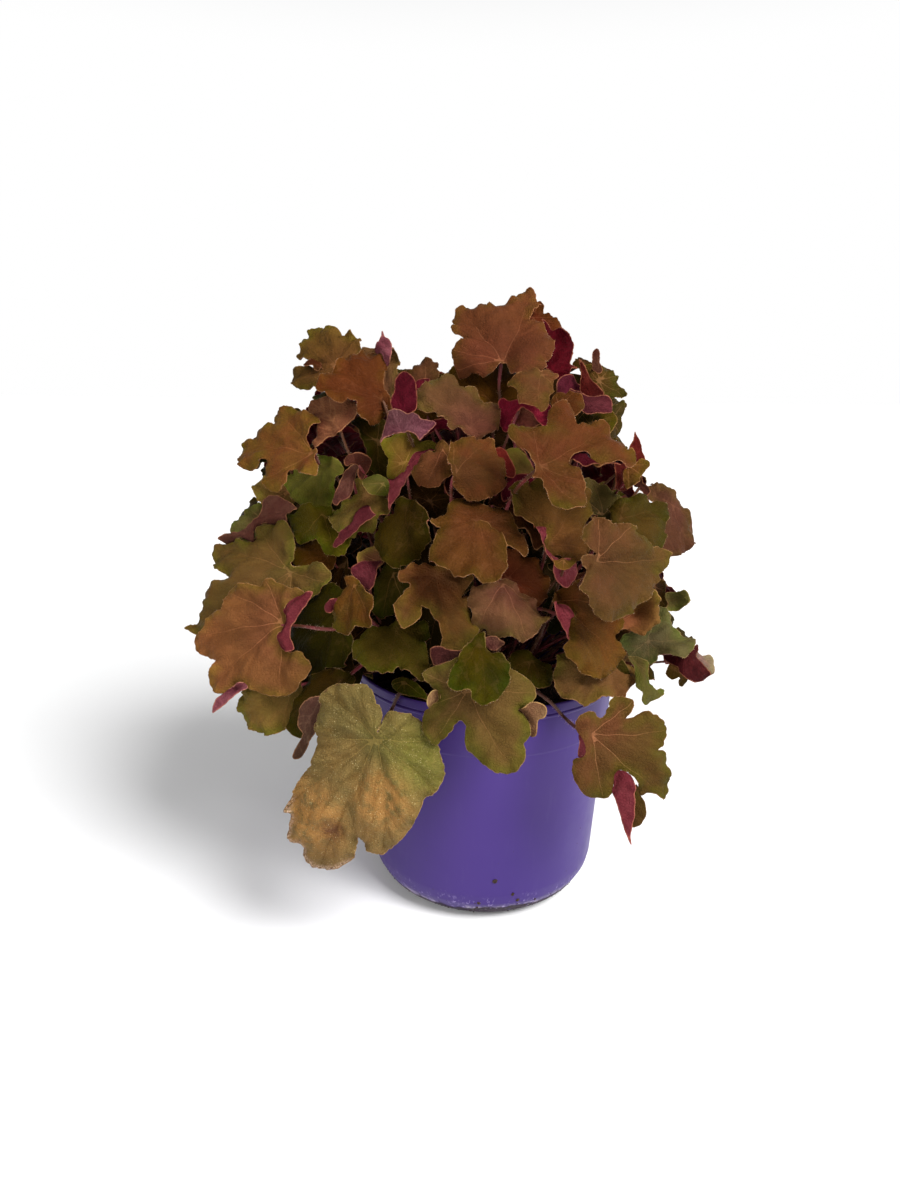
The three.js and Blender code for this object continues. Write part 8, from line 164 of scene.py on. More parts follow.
["K23","","U","olive","under","leaf_olive",114,"0 17","-13479 1611 16563","0.1543 0.9871 0.0430 -0.4665 0.1112 -0.8775 -0.8709 0.1154 0.4777 0.8709 -0.1154 -0.4777","-310 -159 337 568","66 62 64 121 189 250 203 147 83 50 33 67 115 156 161 150 103 45 4 19 46 72 112 149 120 57 3 -5 5 19 71 145 126 60 4 -2 13 33 85 150 116 54 6 22 62 105 139 162 94 59 35 68 132 184 184 176 63 68 86 133 196 235 226 200","-30 -49 -56 -69 -101 -96 -147 -124 -181 -115 -196 -98 -234 -118 -256 -109 -280 -70 -288 -40 -286 6 -280 43 -286 81 -264 117 -237 138 -218 152 -203 182 -213 198 -241 208 -269 226 -274 238 -247 264 -256 297 -259 330 -237 361 -226 401 -199 424 -156 428 -107 424 -70 430 -37 402 -14 434 28 431 83 427 118 458 162 498 198 530 232 546 255 535 274 500 277 448 299 430 273 389 235 350 210 311 240 276 264 243 280 202 295 154 315 129 313 91 297 39 273 3 240 -17 230 -39 235 -76 225 -97 181 -115 123 -125 75 -136 50 -120 32 -90 22 -46 15 -16","-299 29 1301 -470 3 1515 -629 0 1629 -786 16 1670 -952 50 1667 -1137 100 1648 -1353 162 1642",[],0,0.98,[]],
["K24","","U","oliveorange","under","leaf_olive_orange",115,"0 0","-11543 4485 17392","0.4796 0.8765 0.0415 -0.2421 0.1776 -0.9539 -0.8434 0.4474 0.2974 0.8434 -0.4474 -0.2974","-304 -142 364 567","-12 123 181 198 147 107 51 -22 -2 52 91 105 69 43 42 42 12 -1 12 28 2 -5 44 106 63 16 -6 -5 -2 29 98 170 144 83 21 -6 31 111 177 214 217 132 33 -13 49 166 212 223 254 150 42 -4 61 161 191 210 269 157 66 33 67 123 161 196","-235 5 -258 38 -274 81 -284 127 -257 139 -210 135 -165 137 -188 170 -228 196 -267 223 -259 246 -264 282 -256 318 -246 349 -224 371 -184 383 -150 379 -123 391 -81 372 -91 406 -86 435 -51 444 -30 441 -14 475 21 498 64 518 99 542 136 547 170 530 164 500 161 466 176 434 207 410 177 377 133 331 117 285 121 236 152 226 204 225 257 237 294 229 322 198 339 162 344 127 332 84 308 42 273 7 228 -20 186 -26 147 -13 106 -7 67 -31 38 -63 9 -95 -17 -120 -49 -122 -85 -101 -113 -70 -117 -35 -101 -3 -104 15 -143 15 -195 4","-290 75 1311 -413 113 1409 -560 171 1494 -720 242 1568 -880 317 1632 -1027 388 1688 -1151 447 1738",[],0,1.24,[]],
["K25","","U","orangebrown","under","leaf_orange",116,"0 16","-6911 7929 17262","0.7305 0.6674 0.1445 -0.0474 0.2607 -0.9642 -0.6812 0.6976 0.2221 0.6812 -0.6976 -0.2221","-310 -145 285 523","275 248 181 113 73 127 120 126 193 159 111 61 46 97 147 189 114 80 47 16 17 82 172 248 61 26 5 -5 17 87 189 286 57 21 1 -6 19 91 193 291 105 70 37 8 16 89 183 265 184 144 94 46 38 95 160 216 270 213 152 100 81 100 131 163","28 -45 52 -64 93 -89 135 -115 167 -106 180 -91 215 -109 236 -101 258 -65 265 -37 264 5 258 39 263 74 243 108 219 127 201 140 187 167 196 182 222 192 248 208 253 220 228 243 236 274 238 304 218 332 209 370 184 390 144 395 99 391 64 396 34 371 13 400 -26 397 -76 393 -109 422 -149 459 -182 489 -214 503 -235 493 -252 460 -255 413 -275 396 -251 359 -216 323 -193 286 -221 255 -243 224 -258 186 -272 142 -290 119 -289 84 -274 36 -251 2 -221 -16 -212 -36 -216 -70 -207 -89 -167 -106 -113 -115 -70 -125 -46 -110 -29 -83 -20 -42 -14 -15","-218 159 1356 -293 236 1433 -363 340 1492 -433 459 1541 -507 582 1588 -592 698 1642 -691 796 1711",[],0,1.3,[]],
["K26","","U","oliveorange","under","leaf_olive_orange",117,"0 0","-954 9633 18823","0.8939 -0.4432 -0.0679 0.1722 0.4791 -0.8607 0.4140 0.7577 0.5045 -0.4140 -0.7577 -0.5045","-305 -142 366 570","239 155 79 66 123 215 178 165 195 118 50 35 83 159 180 186 153 86 23 4 40 112 169 202 113 56 7 -7 11 57 130 198 85 34 2 0 5 35 102 171 85 51 34 42 48 74 106 133 113 109 107 118 129 133 115 95 149 174 193 208 208 181 125 62","-236 5 -260 38 -275 82 -285 128 -259 140 -211 136 -166 137 -189 171 -229 198 -269 224 -261 247 -266 284 -258 320 -247 351 -226 374 -185 385 -151 381 -124 394 -82 374 -92 408 -86 437 -52 447 -30 444 -14 478 21 501 64 521 99 545 137 550 171 533 165 503 161 469 177 437 208 412 178 379 134 333 117 286 122 238 153 227 205 226 258 238 295 230 324 199 341 163 346 127 334 84 309 42 274 7 229 -20 187 -26 148 -13 107 -7 67 -31 38 -64 9 -96 -17 -120 -49 -122 -85 -101 -113 -71 -118 -35 -102 -3 -104 15 -144 15 -196 4","-51 230 1328 -32 345 1412 -33 474 1483 -47 608 1554 -67 740 1636 -87 859 1740 -98 959 1879",[],0,1.3,[]],
["K27","","U","olive","under","leaf_olive",118,"0 8","4504 9207 17012","0.8953 -0.2317 -0.3804 -0.2059 0.5421 -0.8147 0.3949 0.8078 0.4376 -0.3949 -0.8078 -0.4376","-246 -99 299 493","249 211 138 85 86 178 166 173 177 133 78 43 63 144 193 226 108 65 25 6 36 127 214 273 64 22 -4 -5 30 114 217 296 68 29 5 -2 24 105 203 278 122 86 52 25 35 113 181 228 205 170 126 86 87 136 155 166 295 252 207 169 153 149 130 106","-149 -68 -183 -51 -209 -22 -225 8 -226 38 -212 69 -203 99 -218 143 -226 206 -214 251 -191 291 -166 324 -128 344 -138 370 -150 404 -141 439 -119 466 -89 473 -56 466 -30 439 -14 405 9 391 29 398 75 365 110 339 146 307 182 262 212 231 239 181 258 150 273 107 279 59 268 29 246 17 234 -7 223 -31 192 -49 165 -61 134 -79 103 -62 78 -57 46 -69 18 -76 -13 -65 -28 -36 -28 -6 -62 -37 -101 -61","59 206 1307 94 276 1381 145 378 1438 209 502 1489 283 640 1543 363 783 1608 448 922 1694",[],0,1.33,[]],
["K28","","U","oliveorange","under","leaf_olive_orange",119,"0 9","7567 5885 16945","0.6748 -0.7007 0.2317 0.5182 0.2263 -0.8248 0.5255 0.6766 0.5158 -0.5255 -0.6766 -0.5158","-282 -208 327 482","359 228 112 86 150 279 329 374 322 194 82 44 91 187 265 324 286 166 53 5 34 105 192 268 248 137 38 -9 0 39 114 210 213 106 21 -3 4 25 91 182 194 103 35 37 62 90 141 191 190 144 106 122 162 196 207 210 184 191 200 229 267 287 269 238","301 75 307 148 298 204 226 224 244 297 252 374 231 410 185 415 134 393 95 374 69 333 39 302 27 324 22 353 1 383 -29 402 -75 397 -115 388 -134 404 -171 411 -204 444 -218 462 -245 425 -262 385 -258 347 -252 251 -242 138 -222 29 -182 -53 -153 -115 -131 -163 -104 -184 -73 -188 -33 -174 -2 -152 24 -108 33 -71 19 -37 25 -9 62 11 105 4 167 5 239 41","151 120 1310 234 167 1385 338 237 1452 452 323 1513 566 415 1571 672 505 1627 758 586 1684",[],0,1.3,[]],
["K29","","U","dolive","under","leaf_olive",120,"0 0","9813 881 17660","0.0443 -0.9522 -0.3023 0.4468 0.2895 -0.8465 0.8935 -0.0976 0.4383 -0.8935 0.0976 -0.4383","-322 -183 288 432","221 219 184 132 88 87 107 122 160 144 114 77 48 55 96 140 99 74 51 27 11 31 90 157 58 27 8 -1 1 34 98 171 59 26 5 -4 2 41 107 180 102 70 41 14 5 39 108 181 170 135 93 51 29 51 109 170 243 196 144 96 68 74 108 152","268 41 264 19 214 -15 182 -56 174 -109 141 -151 95 -163 36 -153 -11 -143 -36 -108 -82 -120 -129 -125 -165 -106 -207 -50 -243 20 -272 89 -296 152 -302 193 -279 209 -222 186 -176 169 -177 218 -184 280 -175 329 -159 364 -149 392 -111 408 -67 412 -34 409 0 392 27 388 65 398 99 381 128 350 172 355 201 344 237 307 257 268 250 204 225 152 229 96 210 50","173 31 1330 288 38 1421 415 49 1495 551 62 1560 692 75 1622 836 84 1688 980 88 1765",[],0,0.93,[]],
["K30","","U","brown3","under","leaf_bronze",121,"0 31","-12886 1248 22909","-0.0549 0.9952 -0.0809 -0.5719 -0.0977 -0.8145 -0.8185 0.0016 0.5745 0.8185 -0.0016 -0.5745","-328 -171 289 453","47 121 145 184 204 191 122 49 46 62 77 106 118 110 90 63 48 20 15 37 41 35 52 75 75 27 -1 0 0 1 35 91 121 67 16 -5 6 33 78 130 163 97 26 -3 29 93 145 177 185 109 35 11 56 133 178 210 190 115 57 46 86 148 197 241","239 216 267 189 269 144 254 94 214 39 222 3 214 -32 185 -47 154 -77 127 -99 111 -130 85 -151 68 -133 72 -87 58 -55 31 -28 -3 -15 -27 16 -64 41 -114 40 -146 -4 -157 -37 -178 -49 -197 -47 -228 -50 -258 -43 -280 -18 -296 19 -308 66 -305 112 -284 155 -252 201 -208 242 -181 258 -172 308 -171 363 -151 405 -108 433 -74 431 -49 409 -34 387 -15 374 -7 359 9 381 44 413 80 433 115 431 150 430 151 401 159 364 178 340 197 327 209 289 196 243 210 221","-272 34 1368 -446 45 1582 -609 44 1741 -770 42 1867 -934 47 1982 -1110 71 2108 -1305 122 2265",[],0,0.95,[]],
["K31","","U","tangreen","under","leaf_olive_orange",122,"0 0","-11348 5312 20634","0.3560 0.9328 -0.0558 -0.5844 0.1756 -0.7923 -0.7292 0.3147 0.6076 0.7292 -0.3147 -0.6076","-311 -111 352 589","239 217 153 66 19 61 58 82 161 136 91 33 13 59 99 133 83 61 37 4 5 71 137 182 31 7 -1 -5 16 86 161 211 35 14 6 -3 10 76 150 201 92 77 55 14 0 55 114 157 177 153 116 56 25 52 77 98 268 223 171 111 69 52 41 34","305 225 311 267 332 333 313 388 280 428 233 419 195 384 184 443 150 491 102 507 72 491 54 540 28 569 -9 548 -41 556 -86 541 -122 504 -150 481 -153 421 -141 370 -92 331 -81 288 -112 296 -162 278 -206 271 -261 227 -291 165 -279 118 -248 102 -224 77 -181 83 -125 103 -108 74 -134 39 -158 -10 -161 -56 -144 -91 -95 -82 -40 -49 3 -43 37 -12 35 24 76 74 128 84 188 76 235 60 257 78 285 145","-258 100 1362 -391 171 1476 -514 227 1575 -640 279 1671 -778 340 1777 -939 420 1903 -1133 530 2062",[],0,1.32,[]],
["K32","","U","orangepink","under","leaf_orange",123,"0 0","-8426 7828 23669","0.8607 0.1335 0.4913 0.3194 0.6099 -0.7253 -0.3965 0.7811 0.4823 0.3965 -0.7811 -0.4823","-304 -109 344 575","357 297 194 88 56 134 119 147 251 195 118 45 40 120 170 211 146 100 50 5 21 123 214 270 69 26 1 -8 23 121 227 299 59 22 6 -4 11 95 199 278 121 98 73 30 10 78 155 213 227 206 167 103 65 93 115 132 346 308 258 195 143 110 78 47","298 220 303 261 324 326 306 379 273 418 227 410 191 375 180 433 147 480 100 496 70 480 52 527 28 555 -9 535 -40 544 -84 528 -119 493 -147 470 -149 411 -137 361 -90 323 -79 282 -109 290 -159 272 -201 265 -255 222 -284 161 -272 115 -242 100 -219 75 -177 81 -122 101 -105 72 -131 38 -155 -10 -158 -55 -141 -89 -93 -80 -39 -48 3 -42 37 -11 34 24 74 72 125 82 184 74 230 59 251 77 278 142","-178 182 1366 -328 267 1572 -412 341 1694 -466 417 1782 -530 507 1889 -642 623 2066 -840 778 2364",[],0,1.29,[]],
["K33","","U","orangepink","under","leaf_orange",124,"0 0","-939 8565 23629","0.9786 0.0286 -0.2038 -0.1663 0.6936 -0.7009 0.1213 0.7198 0.6835 -0.1213 -0.7198 -0.6835","-324 -106 266 535","127 130 124 168 250 281 193 134 115 87 71 102 162 209 190 160 105 53 20 39 80 139 173 185 102 44 0 3 24 67 135 198 101 43 -3 -5 10 47 121 198 97 44 7 19 47 94 146 189 90 64 47 72 119 170 180 182 80 89 106 144 194 225 215 187","163 -74 199 -56 227 -24 245 8 246 41 231 75 222 108 237 156 246 225 233 274 208 316 181 352 139 374 151 403 163 440 153 478 130 508 97 515 61 508 33 478 15 441 -10 426 -31 434 -82 398 -120 369 -159 334 -199 285 -231 251 -260 197 -281 163 -297 117 -304 64 -292 32 -268 18 -255 -8 -243 -33 -209 -53 -179 -66 -146 -86 -112 -68 -85 -62 -50 -75 -20 -82 14 -71 30 -39 31 -7 67 -40 110 -67","-89 197 1386 -102 298 1581 -108 398 1747 -109 501 1897 -106 608 2042 -100 725 2192 -95 853 2359",[],0,1.15,[]],
["K34","","U","dolive","under","leaf_olive",125,"0 11","3291 7797 22572","0.3527 -0.5966 0.7209 0.8511 -0.1157 -0.5121 0.3890 0.7941 0.4670 -0.3890 -0.7941 -0.4670","-332 -110 328 557","434 308 183 118 161 275 225 244 334 224 116 64 109 221 267 301 236 146 55 12 57 181 286 351 147 74 13 -8 29 121 247 358 97 34 -2 -7 8 69 189 319 113 72 52 44 33 77 166 253 185 179 167 149 132 150 165 177 278 292 292 276 252 222 168 105","137 354 180 382 230 432 265 446 289 429 308 387 304 341 290 301 254 257 204 210 192 186 201 166 236 159 256 133 269 89 283 44 277 6 257 -16 221 -23 179 -15 129 -6 71 -11 30 -16 -7 -32 -28 -62 -48 -51 -68 -40 -91 -52 -129 -76 -179 -90 -211 -82 -250 -74 -279 -58 -298 -21 -312 21 -299 66 -274 101 -228 125 -180 145 -141 170 -105 187 -76 190 -48 178 -30 186 -20 229 -29 264 -54 285 -98 298 -129 315 -135 360 -161 397 -192 415 -212 426 -220 458 -217 499 -195 534 -165 537 -133 535 -121 508 -102 517 -67 525 -26 523 5 505 44 524 82 528 111 500 124 452 130 405","11 204 1364 63 323 1547 106 420 1707 146 504 1850 192 585 1984 253 671 2114 336 772 2248",[],0,1.01,[]],
["K35","","U","olive","under","leaf_olive",126,"0 9","9007 5294 21975","0.5752 -0.7946 -0.1945 0.4303 0.4961 -0.7542 0.6957 0.3501 0.6272 -0.6957 -0.3501 -0.6272","-283 -209 329 483","116 144 131 121 95 83 98 97 95 87 74 65 49 49 80 115 77 42 21 17 9 20 70 134 82 35 5 -5 -1 26 85 158 115 66 24 -1 4 46 115 184 161 114 58 13 11 66 137 195 202 152 94 41 36 85 137 183 237 181 127 84 75 97 129 164","302 75 309 149 299 205 227 225 245 298 253 375 232 411 186 416 134 394 95 375 69 334 39 303 27 326 22 354 1 385 -29 403 -75 398 -115 389 -134 405 -172 412 -205 446 -218 463 -246 426 -263 387 -258 348 -253 252 -243 138 -223 29 -182 -53 -153 -115 -131 -163 -104 -184 -74 -189 -34 -174 -2 -152 24 -108 33 -71 19 -38 25 -9 62 11 105 4 168 5 240 41","153 101 1336 268 153 1506 393 222 1662 522 300 1804 653 382 1938 781 462 2065 903 533 2189",[],0,1.25,[]],
["K36","","U","lgreen2","under","leaf_green",127,"0 0","8607 246 22994","-0.2850 -0.9582 0.0255 0.6010 -0.1994 -0.7739 0.7467 -0.2052 0.6327 -0.7467 0.2052 -0.6327","-346 -135 290 539","316 330 306 225 184 178 102 61 231 221 187 130 102 128 139 148 146 114 80 43 27 92 172 234 89 37 10 -2 10 91 207 304 97 38 2 -9 21 115 236 331 168 108 49 5 26 135 235 306 271 202 120 52 59 146 207 251 377 286 195 128 113 142 169 193","223 4 245 36 260 77 270 121 244 132 199 128 157 130 179 161 216 187 254 212 246 234 251 268 244 302 233 331 213 353 175 364 142 360 117 372 77 353 87 386 82 413 49 422 29 419 13 451 -20 473 -60 492 -94 515 -129 519 -162 503 -156 475 -152 443 -167 412 -196 390 -168 358 -127 314 -111 271 -115 224 -144 214 -194 213 -244 225 -279 217 -306 188 -322 154 -326 120 -315 80 -292 39 -259 7 -216 -19 -177 -25 -140 -12 -101 -7 -63 -30 -36 -60 -8 -90 17 -114 46 -115 80 -96 107 -67 111 -33 96 -3 98 14 136 15 185 4","161 14 1356 292 -27 1428 408 -30 1536 516 -12 1678 623 14 1853 734 31 2059 857 26 2296",[],0,0.72,[]],
["K37","","U","brownorange","under","leaf_orange",128,"0 0","-9855 1328 29821","-0.4580 0.8374 -0.2981 -0.7742 -0.5406 -0.3291 -0.4367 0.0801 0.8960 0.4367 -0.0801 -0.8960","-332 -188 297 446","344 237 140 48 14 68 127 227 260 184 101 27 9 64 146 234 174 125 65 8 3 66 158 238 89 54 23 -2 6 60 138 213 33 5 -5 -4 -2 27 88 162 31 21 26 28 5 -1 44 111 79 94 104 92 51 23 42 71 148 173 180 157 113 73 51 33","277 43 273 20 221 -16 188 -58 180 -113 146 -156 98 -168 37 -159 -12 -148 -37 -111 -85 -124 -133 -129 -170 -109 -213 -52 -251 21 -281 92 -306 157 -312 200 -289 216 -229 193 -182 175 -183 225 -191 289 -180 340 -164 376 -154 405 -114 422 -69 426 -35 422 0 405 28 400 67 411 102 394 133 362 178 367 208 356 245 318 265 277 258 211 233 157 237 99 217 52","-277 -8 1359 -653 -117 1639 -787 -118 1887 -783 -52 2125 -745 39 2373 -778 115 2651 -985 133 2981",[],0,0.95,[]],
["K38","","U","olivegreen2","under","leaf_green",129,"0 32","-10414 5426 27492","0.6761 0.7234 -0.1397 -0.4863 0.2958 -0.8222 -0.5535 0.6238 0.5518 0.5535 -0.6238 -0.5518","-343 -179 303 475","318 198 108 46 74 168 160 219 263 168 78 25 52 137 189 235 206 134 52 2 28 115 197 244 137 81 25 -5 14 72 149 217 76 28 -1 -6 -2 21 82 165 51 23 18 29 16 13 58 123 70 81 93 103 86 71 80 93 107 148 176 183 169 142 108 69","251 227 280 198 283 151 267 99 225 41 233 3 225 -33 194 -49 161 -81 133 -104 117 -136 89 -159 72 -140 75 -91 61 -58 32 -30 -3 -16 -28 17 -67 43 -120 42 -153 -5 -165 -38 -187 -51 -207 -49 -239 -52 -271 -45 -295 -19 -311 20 -323 69 -321 117 -298 163 -265 211 -219 254 -190 271 -180 324 -180 381 -159 425 -114 455 -78 452 -51 430 -36 406 -16 392 -7 377 9 400 47 433 84 455 121 453 158 451 159 421 167 382 186 357 207 343 219 303 205 255 221 232","-199 131 1398 -266 290 1618 -393 398 1838 -559 465 2058 -740 505 2279 -913 530 2500 -1056 551 2722",[],0,1.31,[]],
["K39","","U","olivegreen2","under","leaf_green",130,"0 16","-4226 8033 27109","0.7194 0.5719 -0.3943 -0.6935 0.5595 -0.4539 -0.0389 0.6000 0.7991 0.0389 -0.6000 -0.7991","-282 -144 307 517","122 81 52 85 154 234 202 173 119 66 30 47 99 156 173 173 117 57 8 12 45 88 134 170 112 55 4 -5 9 33 88 156 99 44 1 -2 8 26 78 145 84 40 11 26 48 75 110 141 72 57 51 78 116 147 146 139 58 80 106 144 184 201 181 147","-28 -45 -51 -63 -92 -88 -134 -113 -165 -105 -178 -90 -213 -108 -233 -100 -255 -64 -262 -36 -261 5 -255 39 -261 74 -240 107 -216 126 -199 138 -185 166 -194 181 -220 190 -246 206 -250 217 -225 241 -233 271 -236 300 -216 329 -206 366 -182 386 -142 391 -98 387 -64 392 -34 367 -13 396 26 393 75 389 108 418 147 454 181 483 211 497 233 488 250 455 253 408 272 392 248 355 214 319 191 283 219 252 241 221 256 184 269 140 287 118 286 83 271 35 249 2 218 -16 210 -35 214 -69 205 -88 165 -105 112 -114 69 -124 45 -109 29 -82 20 -42 13 -14","-110 177 1401 -156 294 1676 -213 409 1925 -275 519 2149 -337 624 2352 -391 721 2535 -433 810 2702",[],0,1.33,[]],
["K40","","U","brownorange","under","leaf_orange",131,"0 0","1514 8364 26937","0.9540 -0.2959 -0.0483 0.2166 0.7915 -0.5716 0.2074 0.5348 0.8191 -0.2074 -0.5348 -0.8191","-348 -192 310 482","406 321 230 128 98 169 142 174 306 234 150 72 60 130 185 238 205 146 77 19 21 109 216 297 116 62 19 -5 14 95 211 319 75 24 -1 -8 7 68 177 297 104 69 48 27 9 52 148 249 188 171 144 102 65 83 134 184 291 273 240 191 147 128 120 114","189 -155 158 -165 114 -166 76 -163 37 -165 -20 -172 -100 -166 -172 -137 -219 -83 -247 -26 -271 -2 -292 27 -314 56 -328 87 -326 123 -308 154 -284 161 -247 169 -209 182 -227 209 -236 244 -234 280 -222 312 -192 333 -177 344 -173 385 -150 419 -118 445 -86 460 -52 462 -21 442 11 426 36 390 63 360 79 328 91 303 108 276 106 240 92 203 73 167 79 139 92 130 115 133 146 159 182 179 222 198 248 208 270 193 279 158 290 127 287 91 266 51 246 26 220 19 193 7 162 -4 150 -36 166 -68 182 -100 194 -125","-10 172 1405 28 299 1653 52 398 1853 69 486 2030 87 578 2212 112 689 2424 151 835 2692",[],0,1.32,[]],
["K41","","U","dolive","under","leaf_olive",132,"0 0","5458 6028 26906","-0.7761 -0.1256 0.6180 0.3768 -0.8782 0.2948 0.5057 0.4616 0.7289 -0.5057 -0.4616 -0.7289","-340 -211 383 529","144 114 82 101 149 211 181 157 132 85 47 54 90 137 154 158 123 64 16 11 34 71 117 154 118 60 9 -6 3 25 76 143 115 56 9 -3 8 30 80 141 118 62 20 23 49 87 122 146 127 92 64 76 115 150 151 145 135 128 127 146 178 192 175 149","-208 -170 -174 -182 -125 -182 -84 -179 -41 -182 22 -189 110 -182 189 -150 240 -92 271 -29 298 -2 321 30 345 61 361 96 358 135 339 169 312 177 272 186 230 200 249 230 259 268 257 307 244 343 211 366 195 378 190 423 165 460 130 489 94 506 57 507 23 486 -12 468 -40 429 -70 395 -86 361 -100 333 -119 303 -116 264 -101 223 -80 184 -87 153 -101 143 -126 146 -161 175 -200 197 -244 218 -273 229 -297 212 -307 173 -319 140 -316 100 -293 56 -270 28 -242 20 -213 7 -178 -4 -165 -40 -182 -75 -200 -109 -214 -138","69 122 1409 161 199 1657 233 271 1874 296 342 2073 362 417 2267 441 502 2468 545 602 2689",[],0,1.1,[]],
["K42","","U","oliveorange","under","leaf_olive_orange",133,"0 9","6980 939 26683","0.2362 -0.9526 0.1917 0.8329 0.0969 -0.5449 0.5005 0.2884 0.8163 -0.5005 -0.2884 -0.8163","-333 -212 287 490","348 337 308 195 102 117 135 170 266 244 198 116 55 79 153 231 180 144 98 45 9 55 171 288 109 56 21 1 0 64 188 322 95 38 6 -7 1 69 191 327 149 103 65 26 1 54 176 304 251 210 158 88 36 64 158 256 369 313 242 159 99 94 135 193","-306 76 -313 151 -304 208 -231 229 -249 302 -257 381 -235 418 -189 423 -136 400 -97 381 -70 340 -40 308 -28 330 -23 360 -1 390 30 409 76 404 117 395 137 411 174 418 208 452 222 470 250 433 267 393 262 353 257 256 247 141 226 29 185 -54 156 -117 133 -166 106 -187 75 -192 34 -177 2 -154 -25 -110 -33 -72 -19 -38 -25 -9 -63 11 -107 4 -170 5 -243 41","127 23 1397 260 25 1686 356 26 1904 432 30 2080 504 41 2245 589 61 2428 704 94 2661",[],0,0.78,[]],
["K43","","U","orangebrown","under","leaf_orange",134,"0 0","-10167 469 28015","0.6417 -0.3741 0.6695 0.4003 0.9080 0.1236 -0.6542 0.1887 0.7324 0.6542 -0.1887 -0.7324","-348 -136 291 542","256 241 201 236 337 348 236 163 228 166 116 139 214 267 241 204 204 109 38 46 100 182 226 243 193 92 11 -2 23 81 177 267 191 90 8 -11 6 56 161 269 192 96 20 19 59 129 197 253 194 131 79 96 161 230 238 236 189 172 169 203 263 298 276 232","224 4 247 36 261 77 271 121 246 133 200 129 157 130 180 162 217 188 255 213 248 235 253 269 245 304 235 333 214 355 176 366 143 362 118 374 77 355 87 388 82 415 49 424 29 421 13 454 -20 476 -61 495 -94 517 -130 522 -163 506 -157 478 -153 445 -168 415 -197 392 -169 360 -127 316 -111 272 -115 226 -145 215 -195 215 -245 226 -280 218 -307 189 -324 155 -328 121 -317 80 -294 40 -261 7 -218 -19 -178 -25 -141 -12 -101 -7 -64 -30 -36 -60 -9 -91 17 -114 46 -116 81 -96 108 -67 112 -34 97 -3 99 14 136 15 186 4","-248 47 1394 -263 182 1697 -299 205 1948 -374 159 2165 -505 88 2367 -711 35 2570 -1010 45 2794",[],0,0.98,[]],
["K44","","U","olivegreen2","under","leaf_green",135,"0 38","-7446 4960 31437","0.9238 0.3806 0.0421 -0.3369 0.8602 -0.3829 -0.1819 0.3395 0.9228 0.1819 -0.3395 -0.9228","-328 -172 290 453","203 164 123 121 174 230 179 173 182 125 75 68 109 163 177 182 161 93 33 19 47 102 155 185 142 75 16 -4 9 42 102 168 127 62 10 -7 1 23 77 153 123 63 19 16 32 60 107 154 129 94 65 72 98 130 150 163 136 131 129 144 171 191 189 177","237 214 265 188 268 143 252 94 213 39 220 3 213 -31 184 -47 153 -77 126 -98 110 -129 84 -150 68 -133 71 -86 57 -55 31 -28 -3 -15 -27 16 -63 41 -113 40 -145 -4 -156 -36 -177 -49 -195 -46 -226 -49 -257 -42 -279 -18 -294 19 -306 65 -303 111 -282 154 -251 200 -207 240 -179 256 -170 306 -170 361 -150 402 -108 430 -73 428 -48 406 -34 384 -15 371 -7 357 9 379 44 410 79 430 114 429 149 427 150 398 158 361 176 337 196 325 207 287 194 242 209 220","-110 212 1360 -224 357 1590 -311 411 1772 -389 413 1962 -477 406 2215 -593 430 2586 -756 525 3129",[],0,1.33,[]],
["K45","","U","olive","under","leaf_olive",136,"0 0","-2102 5556 30978","0.9758 -0.1756 0.1306 0.2183 0.8205 -0.5283 -0.0144 0.5440 0.8390 0.0144 -0.5440 -0.8390","-270 -107 328 542","56 80 87 108 124 158 121 78 54 48 45 57 73 99 108 106 54 24 8 14 24 51 94 132 63 25 -3 -4 7 37 93 151 79 36 2 2 23 64 116 158 95 51 14 19 58 116 142 152 107 73 44 55 105 152 150 141 112 96 89 108 143 165 155 137","-165 -75 -201 -57 -230 -24 -248 8 -250 42 -234 76 -224 110 -240 158 -249 227 -236 277 -210 320 -183 357 -141 379 -153 408 -165 446 -155 484 -132 514 -98 522 -61 514 -33 484 -15 446 10 431 32 439 83 403 121 374 160 338 201 289 234 254 263 199 284 165 301 118 308 65 296 32 271 18 258 -8 246 -34 212 -54 182 -67 148 -87 113 -69 86 -63 51 -76 20 -83 -14 -71 -31 -40 -31 -7 -68 -40 -112 -67","-68 82 1453 -84 157 1898 -109 240 2255 -139 325 2538 -169 410 2762 -195 487 2942 -210 554 3095",[],0,1.33,[]],
["K46","","U","lgreen2","under","leaf_green",137,"0 0","2465 4723 29822","0.7032 -0.6778 0.2145 0.6677 0.5260 -0.5268 0.2443 0.5137 0.8224 -0.2443 -0.5137 -0.8224","-306 -189 344 475","137 164 146 110 71 74 69 63 96 97 83 59 37 46 74 102 57 38 27 16 5 28 83 140 43 13 -1 -4 3 39 101 169 67 35 11 -3 8 55 121 182 118 85 45 10 11 64 124 170 176 134 85 40 33 73 107 136 232 178 125 83 68 76 86 97","-187 -153 -156 -163 -112 -163 -75 -161 -36 -163 20 -169 99 -164 170 -135 216 -82 243 -26 267 -2 288 27 309 55 324 86 321 121 304 152 280 159 244 167 207 180 224 206 233 240 230 276 219 308 189 329 175 339 171 379 148 413 117 439 84 454 51 455 21 436 -11 420 -36 385 -62 355 -78 323 -90 299 -107 272 -104 237 -91 200 -72 165 -78 138 -90 128 -113 131 -144 157 -179 177 -219 195 -245 205 -266 190 -275 155 -286 126 -283 90 -263 50 -242 26 -217 18 -191 6 -160 -4 -148 -36 -164 -67 -179 -98 -192 -123","-3 70 1450 41 178 1828 88 242 2069 133 281 2240 177 319 2405 215 375 2630 246 472 2981",[],0,1.22,[]],
